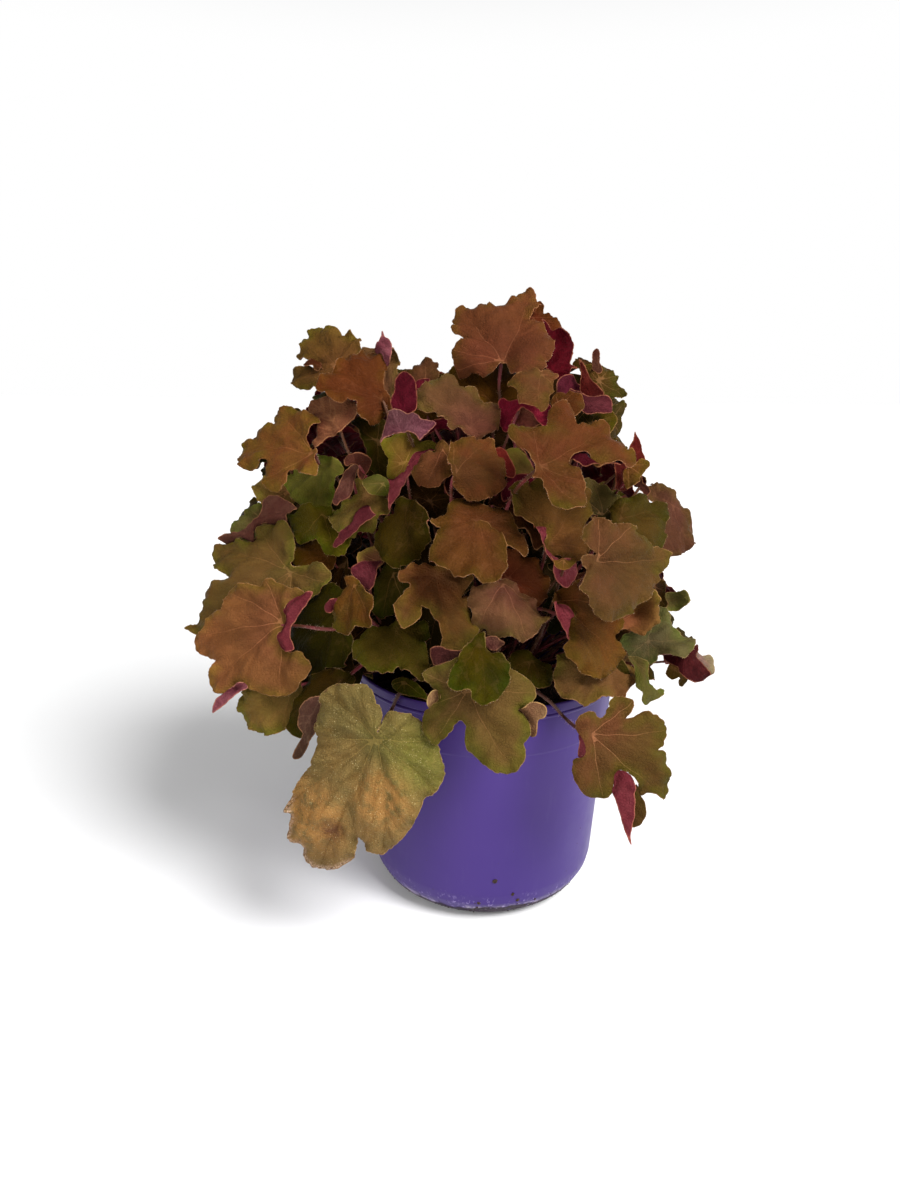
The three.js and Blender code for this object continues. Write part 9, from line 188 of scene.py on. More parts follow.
["K47","","U","orangebrown","under","leaf_orange",138,"0 33","5690 569 31063","0.2883 -0.8762 -0.3862 0.7448 0.4587 -0.4847 0.6018 -0.1479 0.7848 -0.6018 0.1479 -0.7848","-309 -182 350 484","358 264 157 66 45 122 161 239 265 190 104 35 30 103 182 259 171 116 55 6 14 91 191 273 91 45 11 -7 9 70 162 255 55 17 2 0 -1 32 113 212 80 65 59 47 18 27 89 161 152 159 156 130 89 78 91 106 240 253 251 222 180 139 96 50","-256 231 -286 202 -289 154 -272 101 -229 42 -238 4 -229 -34 -198 -50 -165 -83 -136 -106 -119 -139 -91 -162 -73 -143 -77 -93 -62 -59 -33 -30 3 -16 29 17 68 44 122 43 156 -5 168 -39 191 -52 211 -50 244 -53 277 -46 300 -19 317 21 330 70 327 119 304 167 270 215 223 259 193 276 184 330 183 389 162 434 116 463 79 461 52 438 37 414 16 400 7 385 -9 408 -48 442 -86 464 -123 462 -161 460 -162 429 -170 389 -190 364 -211 350 -223 309 -209 260 -225 237","32 57 1444 153 94 1827 263 109 2169 362 108 2470 449 97 2725 526 83 2932 593 72 3089",[],0,0.95,[]],
["K48","","U","dolive","under","leaf_olive",139,"0 7","-4928 1935 31436","0.9106 0.4124 0.0275 -0.4033 0.9012 -0.1588 -0.0903 0.1335 0.9869 0.0903 -0.1335 -0.9869","-241 -97 293 482","118 154 140 107 72 101 86 73 82 87 76 54 41 72 103 126 49 30 20 10 11 57 122 177 43 11 -5 -4 17 75 151 214 75 37 6 -2 31 105 177 224 132 82 30 6 42 128 178 204 191 131 67 35 66 133 156 170 243 175 114 84 94 119 130 137","-146 -67 -178 -50 -204 -22 -220 7 -221 37 -207 67 -199 97 -213 140 -220 201 -209 246 -186 284 -162 316 -125 336 -135 362 -147 395 -137 428 -117 456 -87 462 -54 456 -29 429 -14 395 9 382 28 389 74 357 108 331 142 300 178 256 207 225 233 177 252 147 267 105 273 58 262 28 240 16 229 -7 218 -30 187 -48 161 -59 131 -77 100 -61 76 -56 45 -68 18 -74 -12 -63 -27 -35 -28 -6 -60 -36 -99 -60","-94 109 1443 -135 155 1714 -203 178 2020 -287 187 2339 -372 189 2647 -446 191 2922 -496 200 3140",[],0,1.1,[]],
["K49","","U","orangebrown","under","leaf_orange",140,"0 15","-1362 4401 33113","-0.5148 0.7956 -0.3194 -0.8560 -0.4978 0.1395 -0.0480 0.3452 0.9373 0.0480 -0.3452 -0.9373","-237 -175 274 403","301 282 218 146 97 124 176 227 233 190 133 80 52 88 167 251 166 106 56 21 10 59 162 272 127 59 12 -7 0 56 162 282 136 71 23 0 2 56 163 280 187 137 83 38 18 67 166 260 254 216 167 106 74 107 165 219 324 286 242 189 154 150 158 170","250 62 255 123 248 170 188 186 203 247 209 310 192 340 154 345 111 326 79 311 57 277 33 251 23 269 19 293 1 318 -24 334 -62 329 -95 322 -111 335 -142 341 -169 369 -181 384 -204 353 -218 320 -214 288 -210 209 -201 115 -185 24 -151 -44 -127 -95 -108 -135 -86 -153 -61 -156 -28 -144 -2 -126 20 -90 27 -59 15 -31 21 -8 52 9 87 3 139 4 198 34","-124 151 1417 -206 282 1837 -241 347 2214 -241 372 2549 -218 378 2843 -184 390 3097 -150 431 3311",[],0,1.14,[]],
["K50","","U","oliveorange","under","leaf_olive_orange",141,"0 37","1815 864 32723","0.9328 0.2795 -0.2277 -0.2812 0.9593 0.0255 0.2255 0.0402 0.9734 -0.2255 -0.0402 -0.9734","-313 -164 277 433","170 233 237 270 310 321 221 139 151 143 133 155 182 200 187 164 136 73 38 52 66 88 139 185 151 66 7 -2 4 26 98 200 195 103 23 -10 7 53 136 236 245 142 42 5 46 134 221 285 280 178 79 50 108 209 273 320 299 209 139 126 178 254 308 354","228 206 254 180 257 137 242 90 204 37 211 3 204 -30 176 -45 146 -74 121 -94 106 -124 81 -144 65 -127 68 -83 55 -52 29 -27 -2 -14 -26 15 -61 39 -109 38 -139 -4 -150 -35 -170 -47 -187 -44 -217 -47 -246 -41 -267 -17 -282 18 -293 62 -291 106 -271 148 -241 192 -198 231 -172 246 -164 294 -163 346 -144 386 -103 412 -70 410 -46 390 -33 368 -14 356 -7 342 8 363 42 393 76 413 110 411 143 409 144 382 151 347 169 324 188 311 199 275 186 232 200 211","42 88 1435 66 66 1946 97 69 2354 130 87 2675 157 109 2924 173 124 3118 171 122 3271",[],0,1.02,[]],
# Rows M and N: inner leaves set behind the gaps between the front blades; where their brightness is low, that is
# painted shade for the dark inside of the clump.
["M00","","U","redbrown","under","leaf_bronze",400,"0 11","-6279 -3873 17841","-0.1043 0.9554 0.2761 -0.8834 0.0385 -0.4671 -0.4569 -0.2926 0.8400 0.4569 0.2926 -0.8400","-318 -105 322 541","-13 88 145 215 253 240 144 38 11 39 72 122 143 134 103 64 40 9 8 40 43 35 58 89 91 34 -4 -3 -4 -4 43 118 145 77 12 -5 19 53 107 160 172 88 7 3 70 153 190 197 166 84 14 27 119 209 221 221 138 80 48 77 154 220 241 249","-134 345 -175 373 -225 421 -258 435 -282 418 -300 377 -297 332 -283 293 -247 251 -199 205 -187 182 -196 162 -230 155 -249 130 -262 86 -275 43 -270 6 -250 -16 -215 -22 -174 -14 -126 -6 -70 -10 -29 -16 6 -31 28 -61 47 -50 66 -39 88 -51 126 -74 175 -87 206 -80 244 -73 272 -57 291 -20 304 21 292 64 267 98 222 122 175 141 137 166 102 182 74 185 47 174 29 182 20 223 29 257 53 278 96 291 126 307 132 351 157 387 187 404 207 416 214 446 211 486 190 520 161 524 130 521 118 495 99 504 65 512 26 510 -5 493 -43 511 -80 514 -108 487 -121 441 -126 395","-259 -100 1303 -299 -134 1423 -363 -158 1522 -427 -180 1604 -488 -210 1671 -541 -259 1726 -634 -385 1773",[],0,0.61],
["M01","","U","olivegreen2","under","leaf_green",401,"0 16","6992 9627 26910","-0.0193 -0.7645 -0.6444 0.9992 -0.0371 0.0141 -0.0347 -0.6436 0.7646 0.0347 0.6436 -0.7646","-255 -189 296 433","325 304 234 157 105 133 189 245 251 204 143 86 56 94 180 270 179 114 60 23 11 64 175 292 137 63 13 -7 0 61 174 304 147 76 24 0 2 60 175 302 202 148 90 41 20 72 179 280 274 233 180 114 80 116 178 235 349 308 260 203 166 162 171 183","269 67 275 132 267 183 203 201 219 266 225 334 207 367 166 371 119 351 85 335 61 298 35 271 24 290 20 316 1 343 -26 359 -67 355 -103 347 -120 361 -153 367 -182 397 -195 413 -219 380 -235 345 -230 310 -226 225 -217 123 -199 26 -163 -48 -137 -103 -117 -145 -93 -164 -66 -168 -30 -155 -2 -136 22 -97 29 -63 17 -33 22 -8 56 9 94 4 149 5 214 36","99 173 1332 179 310 1407 326 528 1553 408 630 1762 481 714 2026 557 795 2338 716 964 2689",[],0,0.95],
["M02","","U","dbrown","under","leaf_bronze",402,"0 0","-12277 79 30278","0.2050 0.5104 0.8351 -0.8817 0.4668 -0.0689 -0.4251 -0.7222 0.5457 0.4251 0.7222 -0.5457","-138 -85 156 216","75 79 65 45 29 35 37 40 53 48 38 24 16 24 40 56 32 22 13 6 3 17 44 72 21 7 0 -2 2 20 50 82 28 14 4 -1 3 23 54 84 50 36 21 7 5 26 53 76 77 61 42 23 18 32 47 59 106 85 63 45 36 37 39 41","-85 -70 -71 -74 -51 -75 -34 -74 -17 -74 9 -77 45 -75 78 -62 99 -38 111 -12 122 -1 132 12 141 25 148 39 147 55 139 69 128 72 111 76 94 82 102 94 106 110 105 126 100 141 86 150 80 155 78 173 67 189 53 201 39 207 23 208 9 199 -5 192 -16 176 -29 162 -35 148 -41 136 -49 124 -48 108 -41 91 -33 75 -36 63 -41 59 -52 60 -66 72 -82 81 -100 89 -112 94 -122 87 -126 71 -131 57 -130 41 -120 23 -111 12 -99 8 -87 3 -73 -2 -68 -16 -75 -31 -82 -45 -88 -56","-216 69 1414 -472 37 1755 -652 55 2086 -762 85 2392 -873 106 2661 -988 92 2877 -1227 8 3027",[],0,0.95],
["M03","","U","olivegreen2","under","leaf_green",403,"0 27","7409 -5695 17135","-0.9229 -0.0169 -0.3847 0.3851 -0.0484 -0.9216 -0.0030 -0.9987 0.0512 0.0030 0.9987 -0.0512","-102 -75 118 174","130 83 41 31 54 101 119 135 116 70 30 16 33 68 96 117 104 60 19 2 12 38 69 97 90 50 14 -3 0 14 41 76 77 38 7 -1 2 9 33 66 70 37 13 13 22 32 51 69 69 52 38 44 59 71 75 76 67 69 72 83 97 104 97 86","109 27 111 54 108 74 82 81 88 107 91 135 84 148 67 150 48 142 34 135 25 121 14 109 10 117 8 128 0 139 -11 145 -27 143 -42 140 -48 146 -62 148 -74 161 -79 167 -89 154 -95 139 -93 125 -91 91 -88 50 -80 10 -66 -19 -55 -41 -47 -59 -37 -66 -27 -68 -12 -63 -1 -55 9 -39 12 -26 7 -14 9 -3 22 4 38 1 60 2 86 15","86 -140 1339 183 -238 1440 305 -314 1517 438 -378 1575 536 -412 1619 614 -452 1655 751 -571 1689",[],0,0.92],
["M04","","U","dolive","under","leaf_olive",404,"0 11","-7824 3458 22179","-0.8627 0.4211 0.2800 -0.3615 -0.1265 -0.9238 -0.3536 -0.8982 0.2613 0.3536 0.8982 -0.2613","-308 -100 305 519","-26 77 133 189 207 182 102 10 -7 30 67 108 114 96 68 35 16 -1 8 37 32 17 33 59 61 19 -5 -1 -6 -8 29 89 115 63 10 -4 16 47 90 132 148 78 7 -3 55 129 162 168 148 73 6 9 86 168 186 191 127 65 27 43 107 169 198 217","129 332 169 358 216 405 248 418 271 402 289 363 285 319 272 282 238 241 191 197 180 175 188 156 221 149 240 125 252 83 265 41 260 6 241 -15 207 -22 168 -14 121 -6 67 -10 28 -15 -6 -30 -27 -58 -45 -48 -63 -38 -85 -49 -121 -71 -168 -84 -198 -77 -234 -70 -262 -55 -279 -20 -293 20 -281 62 -257 95 -214 117 -168 136 -132 160 -98 175 -71 178 -45 167 -28 175 -19 215 -27 247 -51 267 -92 279 -121 295 -127 338 -151 372 -180 389 -199 400 -206 429 -203 468 -183 500 -155 503 -125 501 -113 476 -95 485 -62 492 -25 490 5 474 41 491 77 495 104 469 117 424 122 380","-217 118 1393 -292 242 1621 -344 302 1817 -416 339 1977 -502 356 2098 -600 348 2176 -784 349 2207",[],0,0.54],
["M05","","U","dolive","under","leaf_olive",405,"0 26","-16337 2501 24722","-0.6179 0.3116 -0.7219 0.1087 -0.8755 -0.4709 -0.7787 -0.3694 0.5071 0.7787 0.3694 -0.5071","-123 -49 149 246","60 79 72 54 37 52 44 37 42 44 39 27 21 37 52 64 25 15 10 5 6 29 62 90 22 5 -2 -2 9 38 77 109 38 19 3 -1 16 53 90 114 67 42 15 3 21 65 91 104 97 67 34 18 34 68 80 87 124 89 58 43 48 61 66 70","-74 -34 -91 -26 -104 -11 -112 4 -113 19 -106 34 -101 50 -108 71 -112 103 -107 125 -95 145 -83 161 -64 171 -69 184 -75 201 -70 218 -59 232 -44 236 -28 232 -15 219 -7 202 5 195 14 198 38 182 55 169 72 153 91 131 106 115 119 90 128 75 136 54 139 29 134 14 122 8 117 -4 111 -15 96 -24 82 -30 67 -39 51 -31 39 -28 23 -34 9 -38 -6 -32 -14 -18 -14 -3 -31 -18 -50 -30","-234 154 1341 -451 292 1569 -734 418 1808 -926 449 2037 -1098 432 2235 -1280 365 2383 -1631 227 2460",[],0,0.95],
["M06","","U","redbrown","under","leaf_bronze",406,"0 37","11227 2493 26299","0.1530 -0.9229 -0.3534 0.8032 0.3245 -0.4996 0.5757 -0.2074 0.7909 -0.5757 0.2074 -0.7909","-156 -81 137 215","22 58 69 87 97 90 58 23 22 30 36 50 56 52 43 30 23 9 7 18 19 16 25 35 36 13 -1 0 0 1 17 43 58 32 8 -3 3 16 37 62 78 46 12 -2 14 44 69 84 88 52 16 5 27 63 85 100 90 54 27 22 41 70 93 114","113 102 127 90 128 68 121 45 102 18 105 2 102 -15 88 -22 73 -37 60 -47 53 -62 40 -72 32 -63 34 -41 27 -26 15 -13 -1 -7 -13 8 -30 20 -54 19 -69 -2 -75 -17 -85 -23 -93 -22 -108 -24 -123 -20 -133 -9 -141 9 -146 31 -145 53 -135 74 -120 95 -99 115 -86 122 -81 146 -81 172 -72 192 -51 205 -35 204 -23 194 -16 183 -7 177 -3 170 4 181 21 196 38 206 55 205 71 204 72 190 75 173 84 161 93 155 99 137 93 115 100 105","123 154 1322 374 364 1599 478 410 1873 601 429 2127 747 399 2345 900 319 2512 1152 261 2612",[],0,0.95],
["M07","","U","dbrown","under","leaf_bronze",407,"0 0","-5998 1110 27665","-0.3581 -0.5926 -0.7215 0.7167 -0.6697 0.1943 -0.5984 -0.4476 0.6646 0.5984 0.4476 -0.6646","-338 -130 282 528","123 175 180 236 298 279 173 81 113 103 100 139 183 195 159 117 108 52 25 51 76 107 134 151 127 53 2 1 9 33 103 181 160 80 9 -8 8 45 123 204 184 96 15 7 57 130 181 216 187 110 42 49 126 209 223 224 174 124 95 120 190 248 256 244","220 4 242 35 256 76 266 119 241 130 196 127 154 128 176 159 213 184 251 209 243 231 248 264 240 298 230 327 210 348 173 359 140 355 116 367 76 349 86 381 80 408 48 416 28 413 13 445 -20 467 -60 486 -93 508 -128 512 -160 497 -154 469 -150 437 -165 407 -194 384 -166 353 -125 310 -109 267 -113 221 -142 211 -191 211 -241 222 -275 214 -302 185 -318 152 -322 119 -311 79 -288 39 -256 7 -214 -18 -174 -25 -138 -12 -99 -7 -63 -29 -36 -59 -8 -89 16 -112 45 -114 79 -95 106 -66 110 -33 95 -3 97 14 134 14 183 4","-172 163 1390 -201 136 1625 -299 78 1841 -378 15 2050 -434 -13 2265 -490 5 2498 -595 115 2761",[],0,0.63],
["M08","","U","dgreen","under","leaf_olive",408,"0 15","-12571 1589 25210","-0.5004 0.7534 0.4266 -0.7673 -0.1576 -0.6216 -0.4011 -0.6384 0.6570 0.4011 0.6384 -0.6570","-223 -72 221 376","-19 56 96 137 150 132 74 7 -5 22 49 78 83 69 49 25 12 -1 6 27 23 12 24 43 45 14 -3 -1 -4 -6 21 65 84 45 7 -3 12 34 65 95 107 56 5 -2 40 93 117 122 107 53 4 7 63 122 134 138 92 47 19 31 77 122 143 157","93 240 122 259 156 293 180 303 196 291 209 263 207 231 197 204 172 174 138 143 130 126 136 113 160 108 174 91 183 60 192 30 188 4 174 -11 150 -16 121 -10 88 -4 49 -7 20 -11 -4 -22 -19 -42 -33 -35 -46 -27 -62 -35 -88 -52 -122 -61 -143 -56 -170 -51 -189 -40 -202 -14 -212 14 -203 45 -186 68 -155 85 -122 98 -96 116 -71 127 -52 129 -33 121 -20 126 -14 156 -20 179 -37 194 -67 202 -87 214 -92 245 -109 270 -130 281 -144 289 -149 311 -147 339 -132 362 -112 365 -91 363 -82 345 -69 351 -45 357 -18 355 4 343 30 356 56 358 75 339 84 307 88 275","-292 4 1332 -513 -38 1490 -679 -57 1645 -797 -51 1812 -915 -22 2003 -1032 38 2231 -1268 159 2509",[],0,0.93],
["M09","","U","dolive","under","leaf_olive",409,"0 0","-13441 1714 27473","0.2606 0.6426 0.7205 -0.8840 0.4589 -0.0895 -0.3881 -0.6136 0.6877 0.3881 0.6136 -0.6877","-135 -63 162 252","-5 55 80 88 65 48 23 -10 -1 23 40 47 31 19 19 19 5 -1 5 12 1 -2 20 47 28 7 -2 -2 -1 13 43 75 64 37 9 -3 14 49 79 95 96 59 15 -6 22 74 94 99 113 66 19 -2 27 71 85 93 120 70 29 15 30 54 72 87","-104 2 -115 17 -122 36 -126 56 -114 62 -93 60 -73 61 -84 76 -101 87 -119 99 -115 109 -117 125 -114 141 -109 155 -100 165 -82 170 -67 168 -55 174 -36 165 -41 180 -38 193 -23 197 -13 196 -6 211 9 221 28 230 44 241 60 243 76 235 73 222 71 207 78 193 92 182 78 167 59 147 52 127 54 105 68 100 91 100 114 105 130 102 143 88 151 72 153 56 148 37 137 18 121 3 101 -9 83 -12 65 -6 47 -3 30 -14 17 -28 4 -42 -8 -53 -22 -54 -38 -45 -50 -31 -52 -16 -45 -1 -46 6 -63 7 -87 2","-196 -60 1415 -369 -52 1661 -511 78 1905 -651 247 2141 -818 375 2363 -1029 373 2566 -1343 173 2746",[],0,0.95],
["M10","","U","dolive","under","leaf_olive",410,"0 0","13762 757 15326","-0.6316 -0.7604 0.1510 -0.0120 -0.1851 -0.9826 0.7752 -0.6225 0.1078 -0.7752 0.6225 -0.1078","-111 -63 99 149","115 79 47 16 5 23 43 76 87 61 34 9 3 21 49 78 58 42 22 3 1 22 53 79 30 18 8 -1 2 20 46 71 11 2 -2 -1 -1 9 29 54 10 7 9 9 2 0 15 37 26 31 35 31 17 8 14 24 49 58 60 52 38 24 17 11","93 14 91 7 74 -5 63 -19 60 -38 49 -52 33 -56 12 -53 -4 -49 -12 -37 -28 -41 -45 -43 -57 -37 -71 -17 -84 7 -94 31 -102 52 -104 67 -96 72 -77 64 -61 58 -61 75 -64 97 -60 113 -55 126 -51 135 -38 141 -23 142 -12 141 0 135 9 134 23 137 34 132 44 121 60 123 69 119 82 106 89 93 86 71 78 53 79 33 72 17","164 90 1318 288 121 1505 400 176 1594 532 228 1612 717 248 1588 987 207 1552 1376 76 1533",[],0,0.95],
["M11","","U","redbrown","under","leaf_bronze",411,"0 28","7008 2586 33937","-0.3092 -0.8521 -0.4222 0.7971 0.0099 -0.6037 0.5186 -0.5233 0.6762 -0.5186 0.5233 -0.6762","-91 -36 110 182","92 78 51 31 32 65 61 64 65 49 29 16 23 53 71 83 40 24 9 2 13 47 79 101 24 8 -1 -2 11 42 80 109 25 11 2 -1 9 39 75 103 45 32 19 9 13 42 67 84 76 63 46 32 32 50 57 61 109 93 76 62 56 55 48 39","-55 -25 -67 -19 -77 -8 -83 3 -83 14 -78 25 -75 37 -80 53 -83 76 -79 93 -70 107 -61 119 -47 127 -51 136 -55 149 -52 162 -44 172 -33 174 -21 172 -11 162 -5 149 3 144 11 147 28 135 41 125 54 113 67 97 78 85 88 67 95 55 101 40 103 22 99 11 90 6 86 -3 82 -11 71 -18 61 -22 49 -29 38 -23 29 -21 17 -25 7 -28 -5 -24 -10 -13 -10 -2 -23 -14 -37 -22","73 188 1342 101 324 1804 132 388 2196 185 443 2534 279 474 2833 440 438 3108 723 259 3377",[],0,0.95],
["M12","","U","olivegreen2","under","leaf_green",412,"0 11","1838 -4127 22252","-0.3838 -0.4227 -0.8210 0.7756 0.3348 -0.5351 0.5011 -0.8421 0.1994 -0.5011 0.8421 -0.1994","-305 -101 309 519","-13 85 139 207 243 230 139 37 10 38 69 117 137 128 99 62 38 9 7 39 41 34 55 85 87 33 -3 -3 -4 -4 41 113 139 74 11 -4 18 51 102 154 165 85 7 3 67 147 182 189 159 81 13 26 114 201 212 212 132 77 46 74 148 211 231 239","-128 331 -168 358 -215 404 -248 417 -270 402 -288 362 -285 319 -271 281 -237 240 -191 197 -179 174 -188 155 -221 149 -239 125 -252 83 -264 41 -259 6 -240 -15 -207 -21 -167 -14 -121 -6 -67 -10 -28 -15 6 -30 26 -58 45 -48 63 -38 85 -49 121 -71 168 -84 197 -77 234 -70 261 -55 279 -19 292 20 280 62 256 94 213 117 168 136 132 159 98 175 71 177 45 167 28 174 19 214 27 247 51 267 92 279 121 295 127 337 150 372 179 388 199 399 206 428 203 467 182 499 155 502 125 500 113 475 95 484 62 491 25 489 -5 473 -41 490 -77 494 -104 467 -116 423 -121 379","17 -110 1414 49 -190 1613 76 -225 1773 104 -258 1904 131 -291 2015 155 -325 2117 189 -403 2218",[],0,0.34],
["M13","","U","dbrown","under","leaf_bronze",413,"0 15","5444 1603 34470","-0.6534 -0.7315 -0.1949 0.6812 -0.4559 -0.5728 0.3302 -0.5070 0.7962 -0.3302 0.5070 -0.7962","-104 -37 101 180","28 42 44 42 37 38 26 13 21 24 24 24 21 22 24 25 15 9 7 7 5 10 23 37 16 5 0 -1 1 8 26 46 25 12 2 -1 4 18 36 54 38 23 7 1 9 29 45 56 50 32 14 7 16 35 46 53 59 40 25 19 25 36 44 50","84 16 71 7 60 -6 41 -9 22 -22 3 -16 -19 -28 -43 -31 -60 -26 -80 -27 -88 -17 -80 0 -70 20 -63 36 -78 27 -78 47 -82 69 -90 95 -98 110 -91 126 -81 138 -69 153 -60 165 -46 172 -30 174 -18 166 -20 148 -17 134 -7 122 -2 105 7 91 17 83 28 81 35 92 34 106 40 121 53 131 64 139 77 140 87 134 94 118 95 103 89 90 81 78 72 65 64 50 71 43 83 35","-160 134 1416 -50 90 1904 93 133 2354 247 211 2749 337 237 3073 408 222 3309 554 154 3438",[],0,0.95],
["M14","","U","dolive","under","leaf_olive",414,"0 13","13447 2929 16195","0.0592 -0.8483 -0.5262 0.8701 0.3022 -0.3893 0.4893 -0.4348 0.7560 -0.4893 0.4348 -0.7560","-118 -46 99 184","108 113 104 77 63 61 35 21 79 75 64 44 35 44 47 51 50 39 27 15 9 31 59 80 30 13 3 -1 3 31 70 103 33 13 1 -3 7 39 80 113 57 37 17 2 9 46 80 104 92 69 41 18 20 50 70 86 128 97 66 44 39 48 57 66","76 2 84 12 89 26 92 41 83 45 68 44 53 44 61 55 74 64 86 72 84 80 86 91 83 103 79 113 73 120 60 124 48 123 40 127 26 120 30 131 28 141 17 144 10 143 5 154 -7 161 -21 168 -32 175 -44 177 -55 171 -53 162 -52 151 -57 140 -67 133 -57 122 -43 107 -38 92 -39 76 -49 73 -66 73 -83 77 -95 74 -104 64 -110 52 -111 41 -107 27 -100 13 -88 2 -74 -6 -60 -8 -48 -4 -34 -2 -22 -10 -12 -20 -3 -31 6 -39 16 -39 27 -33 36 -23 38 -11 33 -1 34 5 46 5 63 1","130 137 1338 288 234 1499 470 298 1570 672 333 1585 890 342 1575 1076 317 1574 1356 297 1614",[],0,0.95],
["M15","","U","dgreen","under","leaf_olive",415,"0 0","-9984 1260 31963","0.6230 0.6863 0.3752 -0.7822 0.5463 0.2995 0.0006 -0.4801 0.8772 -0.0006 0.4801 -0.8772","-119 -67 106 159","123 85 50 17 5 24 46 81 93 66 36 10 3 23 52 84 62 45 23 3 1 23 56 85 32 19 8 -1 2 21 49 76 12 2 -2 -2 -1 10 31 58 11 7 9 10 2 0 16 40 28 33 37 33 18 8 15 26 53 62 64 56 40 26 18 12","99 15 98 7 79 -6 67 -21 64 -40 52 -56 35 -60 13 -57 -4 -53 -13 -40 -30 -44 -48 -46 -61 -39 -76 -19 -90 7 -101 33 -109 56 -112 71 -103 77 -82 69 -65 63 -66 81 -68 103 -64 121 -59 134 -55 145 -41 151 -25 152 -12 151 0 145 10 143 24 147 37 141 47 129 64 131 74 127 88 113 95 99 92 75 83 56 85 35 77 19","-249 -51 1379 -411 35 1860 -510 166 2235 -564 277 2530 -637 338 2770 -754 304 2983 -998 126 3196",[],0,0.95],
["M16","","U","dbrown","under","leaf_bronze",416,"0 23","12622 -76 16047","-0.5620 -0.5908 -0.5789 0.6809 0.0670 -0.7293 0.4697 -0.8040 0.3646 -0.4697 0.8040 -0.3646","-142 -105 165 242","181 170 131 88 59 74 106 137 140 114 80 48 31 53 101 151 100 64 34 13 6 36 98 163 76 35 7 -4 0 34 97 170 82 43 14 0 1 34 98 168 113 82 50 23 11 40 100 157 153 130 100 64 45 65 99 131 195 172 145 114 92 90 95 102","150 37 154 74 149 102 113 112 122 148 126 187 115 205 93 207 67 196 47 187 34 167 20 151 14 162 11 176 0 191 -15 201 -37 198 -57 194 -67 202 -86 205 -102 222 -109 231 -123 212 -131 193 -129 173 -126 126 -121 69 -111 14 -91 -27 -76 -57 -65 -81 -52 -92 -37 -94 -17 -87 -1 -76 12 -54 16 -35 9 -19 12 -5 31 5 52 2 83 3 119 20","174 63 1308 340 121 1440 521 158 1526 710 170 1575 902 150 1596 1029 88 1597 1277 -5 1588",[],0,0.95],
["M17","","U","dbrown","under","leaf_bronze",417,"0 37","2012 -389 32156","-0.0081 -0.6299 -0.7767 0.9897 -0.1163 0.0839 -0.1432 -0.7679 0.6243 0.1432 0.7679 -0.6243","-280 -165 318 440","325 240 143 60 41 111 146 218 241 172 95 32 28 93 165 235 156 105 50 5 12 83 174 248 83 41 10 -6 8 63 147 232 50 16 2 0 -1 29 103 192 73 59 54 43 17 24 81 146 138 144 142 118 81 71 83 96 218 230 228 202 164 127 87 45","-232 210 -260 184 -262 140 -247 92 -208 38 -216 3 -208 -31 -180 -46 -149 -75 -124 -96 -108 -126 -82 -147 -66 -130 -70 -85 -56 -53 -30 -27 2 -14 26 16 62 40 111 39 142 -4 153 -36 173 -48 191 -45 221 -48 251 -41 273 -18 288 19 300 64 297 108 276 151 246 195 202 235 176 251 167 300 166 353 147 394 105 421 72 419 47 398 33 376 15 363 7 349 -9 371 -43 401 -78 421 -112 420 -146 418 -147 390 -154 354 -173 330 -192 318 -203 281 -190 236 -204 215","41 -120 1398 33 -115 1800 51 -79 2117 60 61 2383 79 155 2632 129 147 2899 238 -43 3218",[],0,0.95],
["M18","","U","dolive","under","leaf_olive",418,"0 0","12588 3597 17470","-0.3987 -0.9012 -0.1698 0.4004 -0.0044 -0.9163 0.8251 -0.4333 0.3626 -0.8251 0.4333 -0.3626","-130 -82 146 196","157 107 58 34 42 83 123 169 125 82 40 18 26 61 104 146 93 58 23 3 11 42 83 122 64 35 9 -3 2 23 57 95 45 19 2 -1 0 10 37 74 46 28 19 21 18 20 41 68 65 61 58 60 57 57 66 74 89 98 103 104 102 98 92 83","-123 19 -121 9 -98 -7 -83 -26 -80 -50 -65 -69 -43 -75 -16 -70 5 -65 17 -49 38 -55 59 -57 75 -48 95 -23 111 9 125 41 135 69 138 89 128 96 102 85 81 78 81 100 84 128 80 150 73 167 68 179 51 187 31 189 15 187 0 179 -13 177 -30 182 -45 174 -59 160 -79 162 -92 158 -108 141 -118 123 -114 94 -103 70 -105 44 -96 23","165 72 1334 187 22 1448 283 33 1553 445 90 1644 666 174 1711 940 270 1748 1257 361 1746",[],0,0.95],
["M19","","U","brown3","under","leaf_bronze",419,"0 0","6857 -1592 24672","-0.7709 -0.5881 -0.2446 0.6014 -0.5455 -0.5838 0.2099 -0.5971 0.7742 -0.2099 0.5971 -0.7742","-306 -97 251 507","83 153 178 191 193 189 109 37 62 86 102 112 113 119 104 83 44 31 34 42 38 58 95 127 50 14 -1 2 5 34 99 168 81 36 -1 -3 19 66 135 198 117 62 8 5 53 128 180 213 141 82 26 27 91 174 203 219 150 98 62 72 127 188 217 233","155 -71 190 -53 217 -23 234 8 235 39 221 71 211 103 226 148 234 214 222 261 198 302 172 336 133 357 144 385 156 420 146 456 124 484 92 492 58 484 31 456 14 420 -9 406 -30 414 -78 379 -114 352 -151 319 -189 272 -220 240 -248 188 -268 156 -284 112 -290 61 -279 30 -255 17 -243 -7 -232 -32 -199 -51 -171 -63 -139 -82 -107 -65 -81 -59 -48 -72 -19 -79 13 -67 29 -37 29 -7 64 -38 105 -63","149 79 1360 217 53 1640 307 27 1877 408 -2 2075 502 -40 2237 562 -84 2365 685 -157 2464",[],0,0.6],
